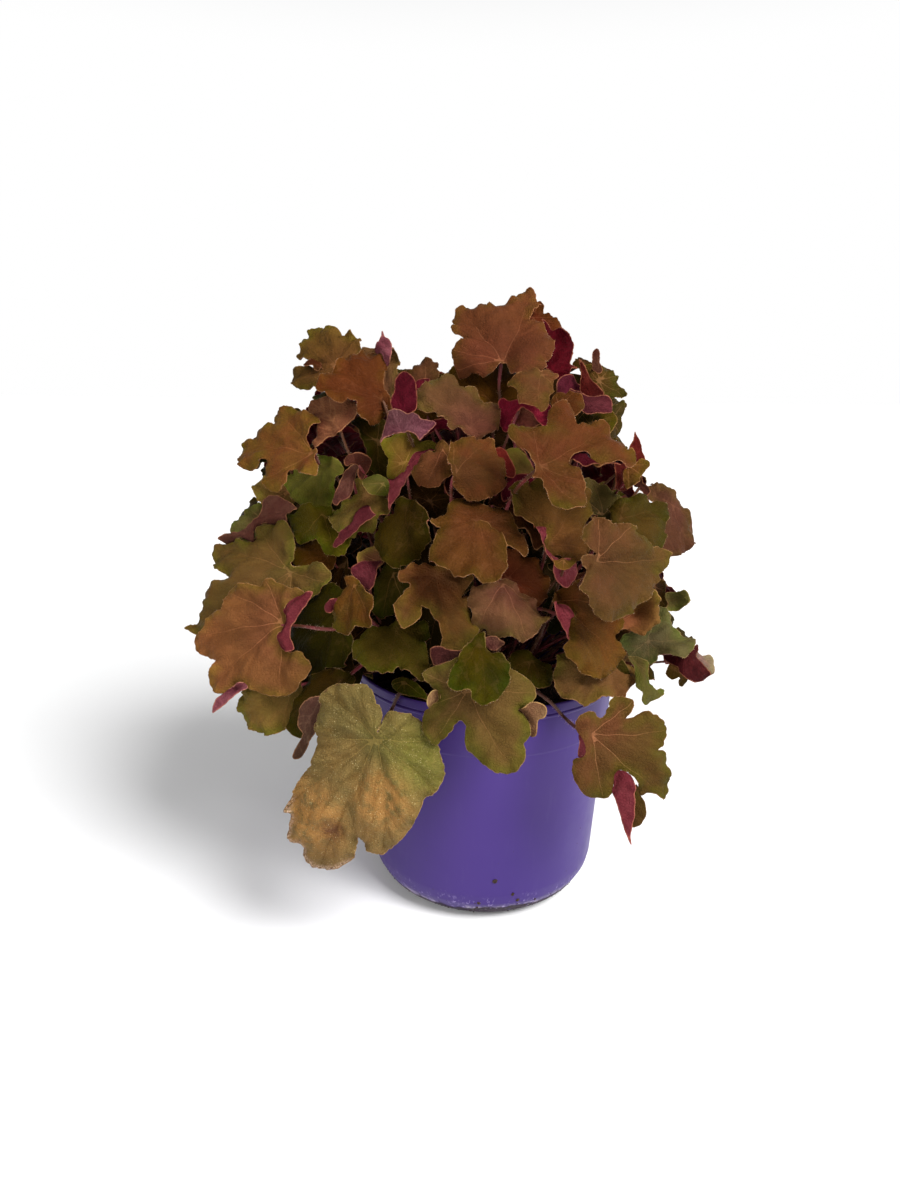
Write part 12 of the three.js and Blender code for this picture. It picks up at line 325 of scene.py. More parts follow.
def closed_curve(p, step):
    """Smooth closed curve through p (centripetal Catmull-Rom), resampled evenly."""
    n = len(p)
    out = []
    for i in range(n):
        P = [p[(i + k) % n] for k in (-1, 0, 1, 2)]
        t = [0.0]
        for k in range(3):
            t.append(t[-1] + max(np.linalg.norm(P[k + 1] - P[k]), 1e-4) ** 0.5)
        m = max(2, int(np.linalg.norm(P[2] - P[1]) / (step * 0.5)))
        s = np.linspace(t[1], t[2], m, endpoint=False)[:, None]
        A1 = (t[1] - s) / (t[1] - t[0]) * P[0] + (s - t[0]) / (t[1] - t[0]) * P[1]
        A2 = (t[2] - s) / (t[2] - t[1]) * P[1] + (s - t[1]) / (t[2] - t[1]) * P[2]
        A3 = (t[3] - s) / (t[3] - t[2]) * P[2] + (s - t[2]) / (t[3] - t[2]) * P[3]
        B1 = (t[2] - s) / (t[2] - t[0]) * A1 + (s - t[0]) / (t[2] - t[0]) * A2
        B2 = (t[3] - s) / (t[3] - t[1]) * A2 + (s - t[1]) / (t[3] - t[1]) * A3
        out.append((t[2] - s) / (t[2] - t[1]) * B1 + (s - t[1]) / (t[2] - t[1]) * B2)
    return even(np.vstack(out), step)


def even(q, step):
    d = np.linalg.norm(np.roll(q, -1, 0) - q, axis=1)
    L = np.r_[0, np.cumsum(d)]
    n = max(12, int(L[-1] / step))
    s = np.linspace(0, L[-1], n, endpoint=False)
    qq = np.vstack([q, q[:1]])
    return np.stack([np.interp(s, L, qq[:, 0]), np.interp(s, L, qq[:, 1])], -1)


def signed_area(p):
    x, y = p.T
    return (np.dot(x, np.roll(y, -1)) - np.dot(y, np.roll(x, -1))) / 2


def crenate(p, rng, depth, wave):
    """Rounded teeth along a closed outline."""
    t = np.roll(p, -1, 0) - np.roll(p, 1, 0)
    t /= np.maximum(np.linalg.norm(t, axis=1), 1e-9)[:, None]
    nrm = np.stack([t[:, 1], -t[:, 0]], -1)
    d = np.linalg.norm(np.roll(p, -1, 0) - p, axis=1)
    s = np.r_[0, np.cumsum(d)[:-1]]
    T = d.sum()
    k = max(6, round(T / wave))
    a, b = rng.uniform(0, 6.28, 2)
    ph = s / T * k * math.pi + 0.9 * np.sin(s / T * 2 * math.pi * 3 + a) + 0.5 * np.sin(s / T * 2 * math.pi * 7 + b)
    amp = depth * (0.75 + 0.4 * np.sin(s / T * 2 * math.pi * 5 + a * 2))
    fine = 0.16 * depth * np.sin(s / T * 2 * math.pi * round(T / 2.3) + a) * (0.6 + 0.4 * np.sin(s / T * 2 * math.pi * 9 + b))
    return p + nrm * (amp * (np.abs(np.sin(ph)) ** 0.7 - 0.62) + fine)[:, None]


def inside(pt, poly):
    x, y = pt[:, 0][:, None], pt[:, 1][:, None]
    x1, y1 = poly[:, 0], poly[:, 1]
    x2, y2 = np.roll(x1, -1), np.roll(y1, -1)
    c = (y1 > y) != (y2 > y)
    with np.errstate(divide='ignore', invalid='ignore'):
        xi = (x2 - x1) * (y - y1) / (y2 - y1) + x1
    return (c & (x < xi)).sum(1) % 2 == 1


def seg_dist(pt, a, b):
    """Distance from each point to the nearest of the segments a-b, and which one."""
    if not len(a):
        return np.full(len(pt), 99.0), np.zeros(len(pt), int)
    ab = b - a
    L2 = np.maximum((ab**2).sum(1), 1e-12)
    best = np.full(len(pt), 1e9)
    who = np.zeros(len(pt), int)
    for c in range(0, len(a), 256):
        s = slice(c, c + 256)
        w = pt[:, None, :] - a[None, s]
        t = np.clip((w * ab[None, s]).sum(2) / L2[None, s], 0, 1)
        d = np.hypot(*np.moveaxis(w - t[..., None] * ab[None, s], 2, 0))
        k = d.argmin(1)
        m = d[np.arange(len(pt)), k]
        u = m < best
        best[u], who[u] = m[u], k[u] + c
    return best, who


def vein_net(out, rng, far):
    """Main veins from the junction (0, 0) to the lobes and their side veins, as polylines."""
    r = np.hypot(out[:, 0], out[:, 1])
    th = np.arctan2(out[:, 1], out[:, 0])
    n = len(out)
    step = np.linalg.norm(out[1] - out[0]) + 1e-9
    w = max(1, int(2.6 / step))
    rs = np.mean([np.roll(r, k) for k in range(-w, w + 1)], 0)
    w2 = max(2, int(6.5 / step))
    loc = rs >= np.max([np.roll(rs, k) for k in range(-w2, w2 + 1)], 0) - 1e-9
    cand = sorted([(rs[i], i) for i in range(n) if loc[i] and rs[i] > 0.4 * rs.max()], reverse=True)
    tips = []
    def sep(a, b):
        return abs((a - b + math.pi) % (2 * math.pi) - math.pi)
    for rr, i in cand:
        if all(sep(th[i], th[j]) > math.radians(25) for j in tips) and len(tips) < 8:
            tips.append(i)
    for _ in range(4):
        an = sorted((th[i], i) for i in tips)
        best = None
        for k in range(len(an)):
            a0 = an[k][0]
            a1 = an[(k + 1) % len(an)][0] + (2 * math.pi if k == len(an) - 1 else 0)
            gap = a1 - a0
            if gap > math.radians(64) and (best is None or gap > best[0]):
                parts = max(2, round(gap / math.radians(46)))
                mid = a0 + gap / parts
                d = np.array([sep(mid, t) for t in th])
                m = np.where(d < 0.08)[0]
                if len(m):
                    i = m[np.argmax(r[m])]
                    if r[i] > 0.32 * rs.max():
                        best = (gap, i)
        if best is None:
            break
        tips.append(best[1])
    prim, sec = [], []
    for i in tips:
        tip = out[i]
        L = np.linalg.norm(tip)
        if L < 5:
            continue
        d = tip / L
        q = np.array([-d[1], d[0]])
        bow = rng.uniform(-0.05, 0.05) * L
        m = max(4, int(L * 0.95 / 1.5))
        t = np.linspace(0, 0.955, m)
        line = np.outer(t * L, d) + np.outer(bow * np.sin(t * math.pi) + 0.006 * L * np.sin(t * 17 + i), q)
        prim.append(line)
        if far:
            fr = np.arange(0.3, 0.82, max(0.22, 5.5 / L))
        else:
            fr = np.arange(0.26, 0.84, max(0.15, 4.4 / L))
        for side in (1, -1):
            for k, f in enumerate(fr):
                f = f + (0.04 if side > 0 else -0.02) + rng.uniform(-0.015, 0.015)
                at = int(round(f / 0.955 * (m - 1)))
                if at >= m - 1 or at < 1:
                    continue
                tan = line[min(at + 1, m - 1)] - line[at - 1]
                tan /= np.linalg.norm(tan)
                ang = side * math.radians(rng.uniform(36, 46))
                ls = L * (0.42 - 0.24 * abs(f - 0.42)) * rng.uniform(0.9, 1.1)
                if ls < 2.6:
                    continue
                ms = max(3, int(ls / 1.5))
                tt = np.linspace(0, 1, ms)
                a = ang * (1 - 0.35 * tt)
                dirs = np.stack([tan[0] * np.cos(a) - tan[1] * np.sin(a), tan[0] * np.sin(a) + tan[1] * np.cos(a)], -1)
                pts = line[at] + np.vstack([[0, 0], np.cumsum(dirs[1:] * ls / (ms - 1), 0)])
                sec.append(pts)
    return prim, sec


def tri_mesh(out, prim, sec, sp, edge, first=()):
    """Triangulates the inside of out, keeping the vein lines as edges. Returns 2-D points and triangles."""
    pts = [out]
    edges = []
    base = len(out)
    oa, ob = out, np.roll(out, -1, 0)
    placed = []
    for lines, gap in ((first, 0.22), (prim, 0.75), (sec, 0.85)):
        for ln in lines:
            ok = inside(ln, out) & (seg_dist(ln, oa, ob)[0] > edge * 0.9)
            if placed:
                P = np.vstack(placed)
                first_free = True
                d = np.sqrt(((ln[:, None] - P[None]) ** 2).sum(2)).min(1)
                ok &= d > gap
            # keep the longest run that starts earliest
            run, best = [], []
            for i, o in enumerate(ok):
                if o:
                    run.append(i)
                else:
                    if len(run) > len(best):
                        best = run
                    run = []
            if len(run) > len(best):
                best = run
            if len(best) < 2:
                continue
            q = ln[best]
            pts.append(q)
            edges += [(base + k, base + k + 1) for k in range(len(q) - 1)]
            base += len(q)
            placed.append(q)
    # a row just inside the margin, then a triangular grid
    t = np.roll(out, -1, 0) - np.roll(out, 1, 0)
    t /= np.maximum(np.linalg.norm(t, axis=1), 1e-9)[:, None]
    nin = np.stack([-t[:, 1], t[:, 0]], -1)
    ring = out + nin * edge
    ring = ring[inside(ring, out)]
    ring = ring[seg_dist(ring, oa, ob)[0] > edge * 0.8]
    lo, hi = out.min(0), out.max(0)
    gx, gy = np.meshgrid(np.arange(lo[0], hi[0], sp), np.arange(lo[1], hi[1], sp * 0.866))
    gx = gx + (np.arange(gx.shape[0]) % 2)[:, None] * sp / 2
    g = np.stack([gx.ravel(), gy.ravel()], -1)
    g = g[inside(g, out)]
    g = g[seg_dist(g, oa, ob)[0] > edge + sp * 0.55]
    if placed:
        P = np.vstack(placed)
        def clear(q, r):
            keep = np.ones(len(q), bool)
            for c in range(0, len(q), 2000):
                keep[c:c + 2000] = np.sqrt(((q[c:c + 2000, None] - P[None]) ** 2).sum(2)).min(1) > r
            return q[keep]
        g = clear(g, sp * 0.62)
        ring = clear(ring, 0.5) if len(ring) else ring
    pts += [ring, g]
    allp = np.vstack(pts)
    n = len(out)
    r = delaunay_2d_cdt([Vector(p) for p in allp], edges, [list(range(n))], 1, 1e-4, False)
    q, f = np.array([tuple(v) for v in r[0]]), np.array(r[2], int)
    return q, f[inside(q[f].mean(1), out)]


class Build:
    """Collects the triangles of one piece, with what its materials need to know at each point."""
    def __init__(self):
        self.v, self.f, self.m = [], [], []
        self.a = {k: [] for k in ('ca', 'cb', 'luv', 'vd', 'sd', 'ed', 'rad', 'rnd')}
        self.n = 0

    def add(self, v, f, mat, **at):
        k = len(v)
        self.v.append(v)
        self.f.append(np.asarray(f, int) + self.n)
        self.m.append(np.full(len(f), mat) if np.isscalar(mat) else np.asarray(mat))
        dflt = dict(ca=(.2, .1, .05), cb=(.2, .1, .05), luv=(0, 0, 0), vd=30.0, sd=30.0, ed=30.0, rad=0.5, rnd=0.5)
        for key in self.a:
            x = np.asarray(at.get(key, dflt[key]), float)
            w = 3 if key in ('ca', 'cb', 'luv') else 1
            self.a[key].append(np.broadcast_to(x.reshape(-1, w) if w == 3 else x.reshape(-1, 1), (k, w)))
        self.n += k

    def make(self, name, mats):
        v = np.vstack(self.v) * MM
        f = np.vstack(self.f)
        me = bpy.data.meshes.new(name)
        me.vertices.add(len(v))
        me.vertices.foreach_set('co', v.astype(np.float32).ravel())
        me.loops.add(len(f) * 3)
        me.loops.foreach_set('vertex_index', f.ravel().astype(np.int32))
        me.polygons.add(len(f))
        me.polygons.foreach_set('loop_start', np.arange(0, len(f) * 3, 3, dtype=np.int32))
        me.polygons.foreach_set('loop_total', np.full(len(f), 3, np.int32))
        me.polygons.foreach_set('material_index', np.concatenate(self.m).astype(np.int32))
        me.polygons.foreach_set('use_smooth', np.ones(len(f), bool))
        me.update(calc_edges=True)
        me.validate()
        for key, parts in self.a.items():
            x = np.vstack(parts).astype(np.float32)
            if key in ('ca', 'cb', 'luv'):
                me.attributes.new(key, 'FLOAT_VECTOR', 'POINT').data.foreach_set('vector', x.ravel())
            else:
                me.attributes.new(key, 'FLOAT', 'POINT').data.foreach_set('value', x.ravel())
        for m in mats:
            me.materials.append(m)
        ob = bpy.data.objects.new(name, me)
        bpy.context.scene.collection.objects.link(ob)
        return ob


def vertex_normals(v, f):
    n = np.cross(v[f[:, 1]] - v[f[:, 0]], v[f[:, 2]] - v[f[:, 0]])
    out = np.zeros_like(v)
    for k in range(3):
        np.add.at(out, f[:, k], n)
    return out / np.maximum(np.linalg.norm(out, axis=1), 1e-12)[:, None]


def boundary(f):
    """Directed edges that only one triangle uses."""
    e = np.vstack([f[:, [0, 1]], f[:, [1, 2]], f[:, [2, 0]]])
    key = np.sort(e, 1)
    _, inv, cnt = np.unique(key, axis=0, return_inverse=True, return_counts=True)
    return e[cnt[inv.ravel()] == 1]


def sheet_solid(B, P, f, nrm, t, up_first, at, groove=None, ridge=None):
    """Upper and under skins of a thin blade, joined round the margin. up_first: the upper side faces nrm."""
    n = len(P)
    ed = at['ed']
    thin = 0.55 + 0.45 * np.clip(ed / 1.2, 0, 1)
    top = P + nrm * (t / 2 * thin)[:, None]
    bot = P - nrm * (t / 2 * thin)[:, None]
    if ridge is not None:
        if up_first:
            bot = bot - nrm * ridge[:, None]
        else:
            top = top + nrm * ridge[:, None]
    b = boundary(f)
    rim = np.vstack([np.stack([b[:, 1], b[:, 0], b[:, 0] + n], -1), np.stack([b[:, 1], b[:, 0] + n, b[:, 1] + n], -1)])
    F = np.vstack([f, f[:, ::-1] + n, rim])
    mt, mb = (0, 1) if up_first else (1, 0)
    mat = np.r_[np.full(len(f), mt), np.full(len(f), mb), np.full(len(rim), mt)]
    V = np.vstack([top, bot])
    two = {k: (np.concatenate([v, v]) if isinstance(v, np.ndarray) and v.ndim and len(v) == n else v) for k, v in at.items()}
    # colours: the skin that faces nrm first, then the other
    cf, cb = (('ua', 'ub'), ('la', 'lb')) if up_first else (('la', 'lb'), ('ua', 'ub'))
    def spread(c):
        c = np.asarray(c, float)
        return c[:n] if c.ndim == 2 else np.tile(c, (n, 1))
    ca = np.vstack([spread(at[cf[0]]), spread(at[cb[0]])])
    cb_ = np.vstack([spread(at[cf[1]]), spread(at[cb[1]])])
    B.add(V, F, mat, ca=ca, cb=cb_, luv=two['luv'], vd=two['vd'], sd=two['sd'], ed=two['ed'], rad=two['rad'], rnd=two['rnd'])


def tube(B, line, radius, mat, sides=8, **at):
    """Closed round tube along line; radius is one number a point."""
    line = np.asarray(line, float)
    n = len(line)
    t = np.gradient(line, axis=0)
    t /= np.maximum(np.linalg.norm(t, axis=1), 1e-9)[:, None]
    u = np.cross(t[0], [0.3, 0.5, 0.81])
    u /= np.linalg.norm(u)
    rings, frames = [], []
    for i in range(n):
        u = u - (u @ t[i]) * t[i]
        u /= np.linalg.norm(u)
        w = np.cross(t[i], u)
        a = np.arange(sides) * 2 * math.pi / sides
        rings.append(line[i] + radius[i] * (np.cos(a)[:, None] * u + np.sin(a)[:, None] * w))
        frames.append((u.copy(), w))
    V = np.vstack(rings + [line[:1] - t[:1] * radius[0] * 0.3, line[-1:] + t[-1:] * radius[-1] * 0.6])
    F = []
    for i in range(n - 1):
        for k in range(sides):
            a, b = i * sides + k, i * sides + (k + 1) % sides
            F += [(a, b, b + sides), (a, b + sides, a + sides)]
    c0, c1 = n * sides, n * sides + 1
    for k in range(sides):
        F.append((c0, (k + 1) % sides, k))
        F.append((c1, (n - 1) * sides + k, (n - 1) * sides + (k + 1) % sides))
    rad = np.r_[np.repeat(np.linspace(0, 1, n), sides), 0, 1]
    B.add(V, F, mat, rad=rad, **at)
    return frames, t


def open_spline(p, step):
    p = np.asarray(p, float)
    P = np.vstack([2 * p[0] - p[1], p, 2 * p[-1] - p[-2]])
    out = []
    for i in range(1, len(P) - 2):
        a, b, c, d = P[i - 1:i + 3]
        m = max(2, int(np.linalg.norm(c - b) / step))
        t = np.linspace(0, 1, m, endpoint=False)[:, None]
        out.append(.5 * ((2 * b) + (-a + c) * t + (2 * a - 5 * b + 4 * c - d) * t * t + (-a + 3 * b - 3 * c + d) * t**3))
    out.append(p[-1:])
    return np.vstack(out)


def hairs(B, pts, dirs, length, width, rng, mat, **at):
    """Short tapering hairs, each a closed three-sided spike."""
    n = len(pts)
    d = dirs / np.linalg.norm(dirs, axis=1)[:, None]
    u = np.cross(d, rng.normal(0, 1, (n, 3)))
    u /= np.linalg.norm(u, axis=1)[:, None]
    w = np.cross(d, u)
    base = [pts + width * (math.cos(a) * u + math.sin(a) * w) for a in (0, 2.094, 4.189)]
    tip = pts + d * length[:, None]
    V = np.stack(base + [tip], 1).reshape(-1, 3)
    o = np.arange(n)[:, None, None] * 4
    F = (np.array([[0, 1, 3], [1, 2, 3], [2, 0, 3], [0, 2, 1]])[None] + o).reshape(-1, 3)
    B.add(V, F, mat, **at)


def beside(ln, sp_):
    """Unit vectors square to a 2-D line, on the side where the point sp_ lies."""
    t = np.gradient(ln, axis=0)
    t /= np.maximum(np.linalg.norm(t, axis=1), 1e-9)[:, None]
    n = np.stack([-t[:, 1], t[:, 0]], -1)
    k = ((ln - sp_) ** 2).sum(1).argmin()
    return n if (sp_ - ln[k]) @ n[k] > 0 else -n


def signed_dist(p, ln, sp_):
    """Distance from the line, positive on the side of the point sp_."""
    n = beside(ln, sp_)
    d, who = seg_dist(p, ln[:-1], ln[1:])
    s = ((p - ln[who]) * (n[who] + n[who + 1])).sum(1)
    return np.where(s > 0, d, -d)


# how clearly the pale veins show: 1 clear, 0 hardly
VEINS = dict(A15=1.0, B42=0.95, B23=0.8, B29=0.75, B7=0.6, A7=0.6, B37=0.6, B33=0.55, B17=0.4, A11=0.55, B15=0.35, B19=0.3, B27=0.25, B24=0.08,
             B25=0.05, B30=0.12, B32=0.1, A2=0.2, B5=0.15, A18=0.05, B22=0.3, A8=0.1, B26=0.2, B38=0.1, B9=0.35, A17=0.3, A1=0.35, B21=0.3, B40b=0.4, B8=0.1)


def build_leaf(B, row):
    key, node, side, cu, cl, slot_, seed, juv, O, ax, box, H, out, pet, flaps, front, brightness_with_painted_light = row[:17]
    folds = [(kind, open_spline(nums(ln).reshape(-1, 2), 1.3), nums(sp_), amt, wid) for kind, ln, sp_, amt, wid in (row[17] if len(row) > 17 else [])]
    rng = np.random.default_rng(1000 + seed)
    O = nums(O, 100)
    ax = nums(ax, 1).reshape(4, 3)
    U, V, N, D = ax
    box, H, out, juv = nums(box), nums(H, 20), nums(out).reshape(-1, 2), nums(juv)
    up = side == 'U'
    if signed_area(out) < 0:
        out = out[::-1]
    vis = bool(node) or bool(front)
    step = 0.95 if vis else 1.45
    sp = 1.55 if vis else 2.5
    dense = closed_curve(out, step)
    if signed_area(dense) < 0:
        dense = dense[::-1]
    R = math.sqrt(abs(signed_area(dense)) / math.pi)
    dense = crenate(dense, rng, 0.66 if R > 12 else 0.4, 5.2 if R > 12 else 3.8)
    dense = even(dense, step)
    prim, sec = vein_net(dense, rng, not vis)
    edge = 0.7
    steps = []
    for kind, ln, sp_, amt, wid in folds:
        if kind == 'step':
            steps += [ln, ln + beside(ln, sp_) * 0.32]
    try:
        uv, f = tri_mesh(dense, prim, sec, sp, edge, steps)
    except Exception as ex:
        print('blade', key, 'veins left out', ex)
        uv, f = tri_mesh(dense, [], [], sp, edge)
    def segs(lines):
        if not lines:
            return np.zeros((0, 2)), np.zeros((0, 2))
        return np.vstack([l[:-1] for l in lines]), np.vstack([l[1:] for l in lines])
    vd = seg_dist(uv, *segs(prim))[0]
    sd = seg_dist(uv, *segs(sec))[0]
    ed, near = seg_dist(uv, dense, np.roll(dense, -1, 0))
    if not up:
        ed = ed * np.clip(5 * np.linalg.norm(np.roll(dense, -1, 0) - dense, axis=1).sum() / (2 * abs(signed_area(dense))), 1, 2)
    rmax = np.hypot(dense[:, 0], dense[:, 1]).max()
    rad = np.hypot(uv[:, 0], uv[:, 1]) / max(rmax, 1)
    aged = cu == 'aged'
    h = height(H, box, uv)
    for kind, ln, sp_, amt, wid in folds:
        d = signed_dist(uv, ln, sp_)
        if kind == 'tilt':
            h += amt * np.logaddexp(0, d / wid) * wid
        elif kind == 'valley':
            h -= amt * (np.sqrt(d * d + wid * wid) - wid) * np.exp(-(d / 26) ** 2)
        elif kind == 'step':
            q = seg_dist(uv, ln[:-1], ln[1:])[0]
            s0 = np.clip(d / 0.32, 0, 1)
            h += amt * s0 * np.exp(-(q / wid) ** 2)
            ed = np.where(d <= 0.02, np.minimum(ed, q + 0.02), ed)
    sg = 1.0 if up else -1.0
    k = min(1.0, R / 20)
    soft = 0.25 + 0.75 * np.clip(ed / 6, 0, 1)
    a, b = rng.uniform(0, 6.28, 2)
    puff = (3.1 * (1 - np.exp(-(vd / (6.5 * k)) ** 2)) + 0.7 * (1 - np.exp(-(np.minimum(sd, vd) / 2.0) ** 2))) * k * soft
    swell = np.sin(uv[:, 0] * 0.23 + a + 1.3 * np.sin(uv[:, 1] * 0.13 + b)) * np.sin(uv[:, 1] * 0.26 + b + 1.1 * np.sin(uv[:, 0] * 0.12 + a)) * 0.8 * k * k
    arc = near / len(dense)
    waves = max(4, round(2 * math.pi * R / 15))
    ruff = (2.0 * np.sin(arc * 2 * math.pi * waves + a) + 0.7 * np.sin(arc * 2 * math.pi * waves * 2.3 + b)) * np.clip(1 - ed / (8 * k + 1), 0, 1) ** 1.5 * k
    grain = np.sin(uv[:, 0] * 1.9 + 2 * np.sin(uv[:, 1] * 0.9 + a)) * np.sin(uv[:, 1] * 2.1 + 2 * np.sin(uv[:, 0] * 0.8 + b)) * 0.10
    if aged:
        puff, grain = puff * 1.1, grain * 2.2
    if key in ('B2', 'A10', 'A20', 'B28'):
        grain = grain + 0.55 * np.sin(uv[:, 0] * 1.05 + 1.6 * np.sin(uv[:, 1] * 0.7)) * np.sin(uv[:, 1] * 1.15 + 1.4 * np.sin(uv[:, 0] * 0.6 + a)) * k
    off = sg * (puff + grain - 1.5 * k) + ruff + swell
    P = O + uv[:, :1] * U + uv[:, 1:] * V + h[:, None] * D + off[:, None] * N
    nrm = vertex_normals(P, f)
    ridge = 0.42 * np.exp(-(vd / 0.75) ** 2) * np.clip(1.15 - rad, 0.15, 1) * k + 0.14 * np.exp(-(sd / 0.5) ** 2) * k
    # the leaf's brightness carries painted light and shade as well as its own tone
    kc = brightness_with_painted_light * (1 + rng.uniform(-0.03, 0.03))
    ua, ub = lin(C[cu], GAIN_UP * kc), lin(C2.get(cu, tuple(int(x * 0.86) for x in C[cu])), GAIN_UP * kc)
    la = lin(C[cl], GAIN_LOW * kc)
    lb = la * np.array([0.74, 0.6, 0.66])
    ua0, la0 = ua, la
    # no blade is one even colour: towards which side it is lighter (painted light and shade, partly random tone) and
    # redder, and how its heart differs from its margin
    turn = np.random.default_rng(5000 + seed).normal(0, 1, 6).clip(-1.6, 1.6)
    light_shade_and_red_lean = turn * (0.24, 0.24, 0.2, 0.12, 0.12, 0.15)
    if key in LEAN_PAINTED_LIGHT_AND_RED:
        light_shade_and_red_lean[5] *= 0.3
    for h0, amt, col in LEAN_PAINTED_LIGHT_AND_RED.get(key, ()):
        d = np.array([math.sin(h0 * math.pi / 6), 0, math.cos(h0 * math.pi / 6)])
        light_shade_and_red_lean[col:col + 2] = amt * np.array([d @ U, d @ V]) / max(np.hypot(d @ U, d @ V), 1e-6)
    xy = uv / max(rmax, 1)
    base3 = np.c_[xy, rad**2 - 0.35]
    light, red = 0.8 * np.tanh(base3 @ light_shade_and_red_lean[:3] / 0.8), 0.6 * np.tanh(base3 @ light_shade_and_red_lean[3:] / 0.6)
    tint = np.exp(light)[:, None] * np.exp(red[:, None] * np.array([0.42, -0.58, WASH_B]))
    if up:
        ua, ub = ua * tint, ub * tint
    else:
        la, lb = la * tint, lb * tint
    vein = VEINS.get(key, rng.random())
    at = dict(ua=ua, ub=ub, la=la, lb=lb, luv=np.c_[uv, np.full(len(uv), seed * 7.3)], vd=vd, sd=sd, ed=ed, rad=rad,
              rnd=np.full(len(uv), vein))
    sheet_solid(B, P, f, nrm, 0.42, up, at, ridge=ridge)
    # folded margins
    for fs, fc, fbox, fH, fout, ffold, flap_brightness_with_painted_light in flaps:
        fbox, fH, fout, ffold = nums(fbox), nums(fH, 20), nums(fout).reshape(-1, 2), nums(ffold).reshape(-1, 2)
        if signed_area(fout) < 0:
            fout = fout[::-1]
        fd = closed_curve(fout, 0.75)
        if signed_area(fd) < 0:
            fd = fd[::-1]
        fuv, ff = tri_mesh(fd, [], [], 1.15, 0.5)
        fe, _ = seg_dist(fuv, fd, np.roll(fd, -1, 0))
        df, _ = seg_dist(fuv, ffold[:-1], ffold[1:])
        fe = fe * np.clip(4.5 * np.linalg.norm(np.roll(fd, -1, 0) - fd, axis=1).sum() / (2 * abs(signed_area(fd))), 1, 2.4)
        hf, hp = height(fH, fbox, fuv), height(H, box, fuv)
        w = np.exp(-(df / 1.6) ** 2)
        hh = hf + (hp - hf) * w * 0.92
        offp = np.concatenate([off[((uv[None] - fuv[c:c + 400, None]) ** 2).sum(2).argmin(1)] for c in range(0, len(fuv), 400)])
        roll = 1.6 * np.sin(np.clip(df / 7, 0, 1) * math.pi) * (1 if fs == 'L' else 0)
        ripple = 0.55 * np.sin(fuv[:, 0] * 0.9 + a) * np.sin(fuv[:, 1] * 0.8 + b) * np.clip(df / 3, 0, 1)
        FP = O + fuv[:, :1] * U + fuv[:, 1:] * V + hh[:, None] * D + ((roll + ripple) * (1 - w) + offp * w)[:, None] * N
        fn = vertex_normals(FP, ff)
        # the flap's brightness likewise carries painted light and shade as well as its own tone
        fl_, fu_ = (lin(C[fc], GAIN_LOW * flap_brightness_with_painted_light), ua0) if fs == 'L' else (la0, lin(C[fc], GAIN_UP * flap_brightness_with_painted_light))
        fat = dict(ua=fu_, ub=fu_ * 0.85, la=fl_, lb=fl_ * np.array([0.76, 0.6, 0.66]),
                   luv=np.c_[fuv, np.full(len(fuv), seed * 7.3 + 3)], vd=30 * np.ones(len(fuv)), sd=np.abs(np.sin(fuv[:, 0] * .35 + fuv[:, 1] * .3)) * 3 + .05,
                   ed=np.where(df < 1.2, 9.0, fe), rad=np.full(len(fuv), .6), rnd=np.full(len(fuv), .5))
        sheet_solid(B, FP, ff, fn, 0.42, fs == 'U', fat)
    # stalk: from the crown to the underside of the blade at the junction
    ctrl = nums(pet).reshape(-1, 3)
    jn = ((uv - juv) ** 2).sum(1).argmin()
    under = -N if up else N * (1 if (ctrl[-2] - P[jn]) @ N > 0 else -1)
    line = open_spline(np.vstack([ctrl[:-1], P[jn] + under * 1.15]), 2.4 if vis else 3.5)
    n = len(line)
    t = np.linspace(0, 1, n)
    big = 1.0 if R > 17 else 0.82
    wob = 1 + 0.05 * np.sin(t * 23 + seed)
    rr = (1.18 - 0.2 * t + 0.75 * np.exp(-(t / 0.06) ** 2) + 0.25 * np.exp(-((1 - t) / 0.04) ** 2)) * big * wob
    rr[-1] *= 0.7
    pc = lin((116, 44, 50) if rng.random() < 0.7 else (92, 56, 34), 0.9)
    if key in ('A21', 'B42'):
        pc = lin((90, 56, 44), 1.0)
    pb = lin((76, 44, 26), 0.9)
    luv = np.c_[np.r_[np.repeat(t * n * 2.4, 8), 0, 0], np.zeros(8 * n + 2), np.full(8 * n + 2, seed * 3.1)]
    tube(B, line, rr, 2, 8, ca=pc, cb=pb, luv=luv, rnd=rng.random())
    if vis:
        L = np.r_[0, np.cumsum(np.linalg.norm(np.diff(line, axis=0), axis=1))]
        m = int(L[-1] * (1.5 if node else 0.8))
        s = rng.uniform(0.06, 0.985, m) * L[-1]
        base = np.stack([np.interp(s, L, line[:, c]) for c in range(3)], -1)
        tg = np.stack([np.interp(s, L, np.gradient(line, axis=0)[:, c]) for c in range(3)], -1)
        tg /= np.linalg.norm(tg, axis=1)[:, None]
        d = np.cross(tg, rng.normal(0, 1, (m, 3)))
        d /= np.linalg.norm(d, axis=1)[:, None]
        rad_here = np.interp(s, L, rr)
        hairs(B, base + d * (rad_here * 0.8)[:, None], d + tg * rng.uniform(-0.1, 0.5, m)[:, None], rng.uniform(0.9, 1.9, m), 0.055, rng, 3,
              ca=lin((190, 150, 140), 1.0), rad=0.5)
        # fringe of fine hairs along the margin
        mb = np.where(ed < 1e-3)[0]
        if len(mb) > 20 and node:
            pick = rng.choice(mb, min(len(mb), int(2 * math.pi * R / 1.3)), replace=False)
            outw = P[pick] - (O + (uv[pick] * 0.9)[:, :1] * U + (uv[pick] * 0.9)[:, 1:] * V + h[pick][:, None] * D)
            outw += rng.normal(0, 0.25, outw.shape) * np.linalg.norm(outw, axis=1)[:, None]
            hairs(B, P[pick], outw, rng.uniform(0.35, 0.8, len(pick)), 0.05, rng, 3, ca=lin((190, 160, 130), 1.0), rad=0.5)


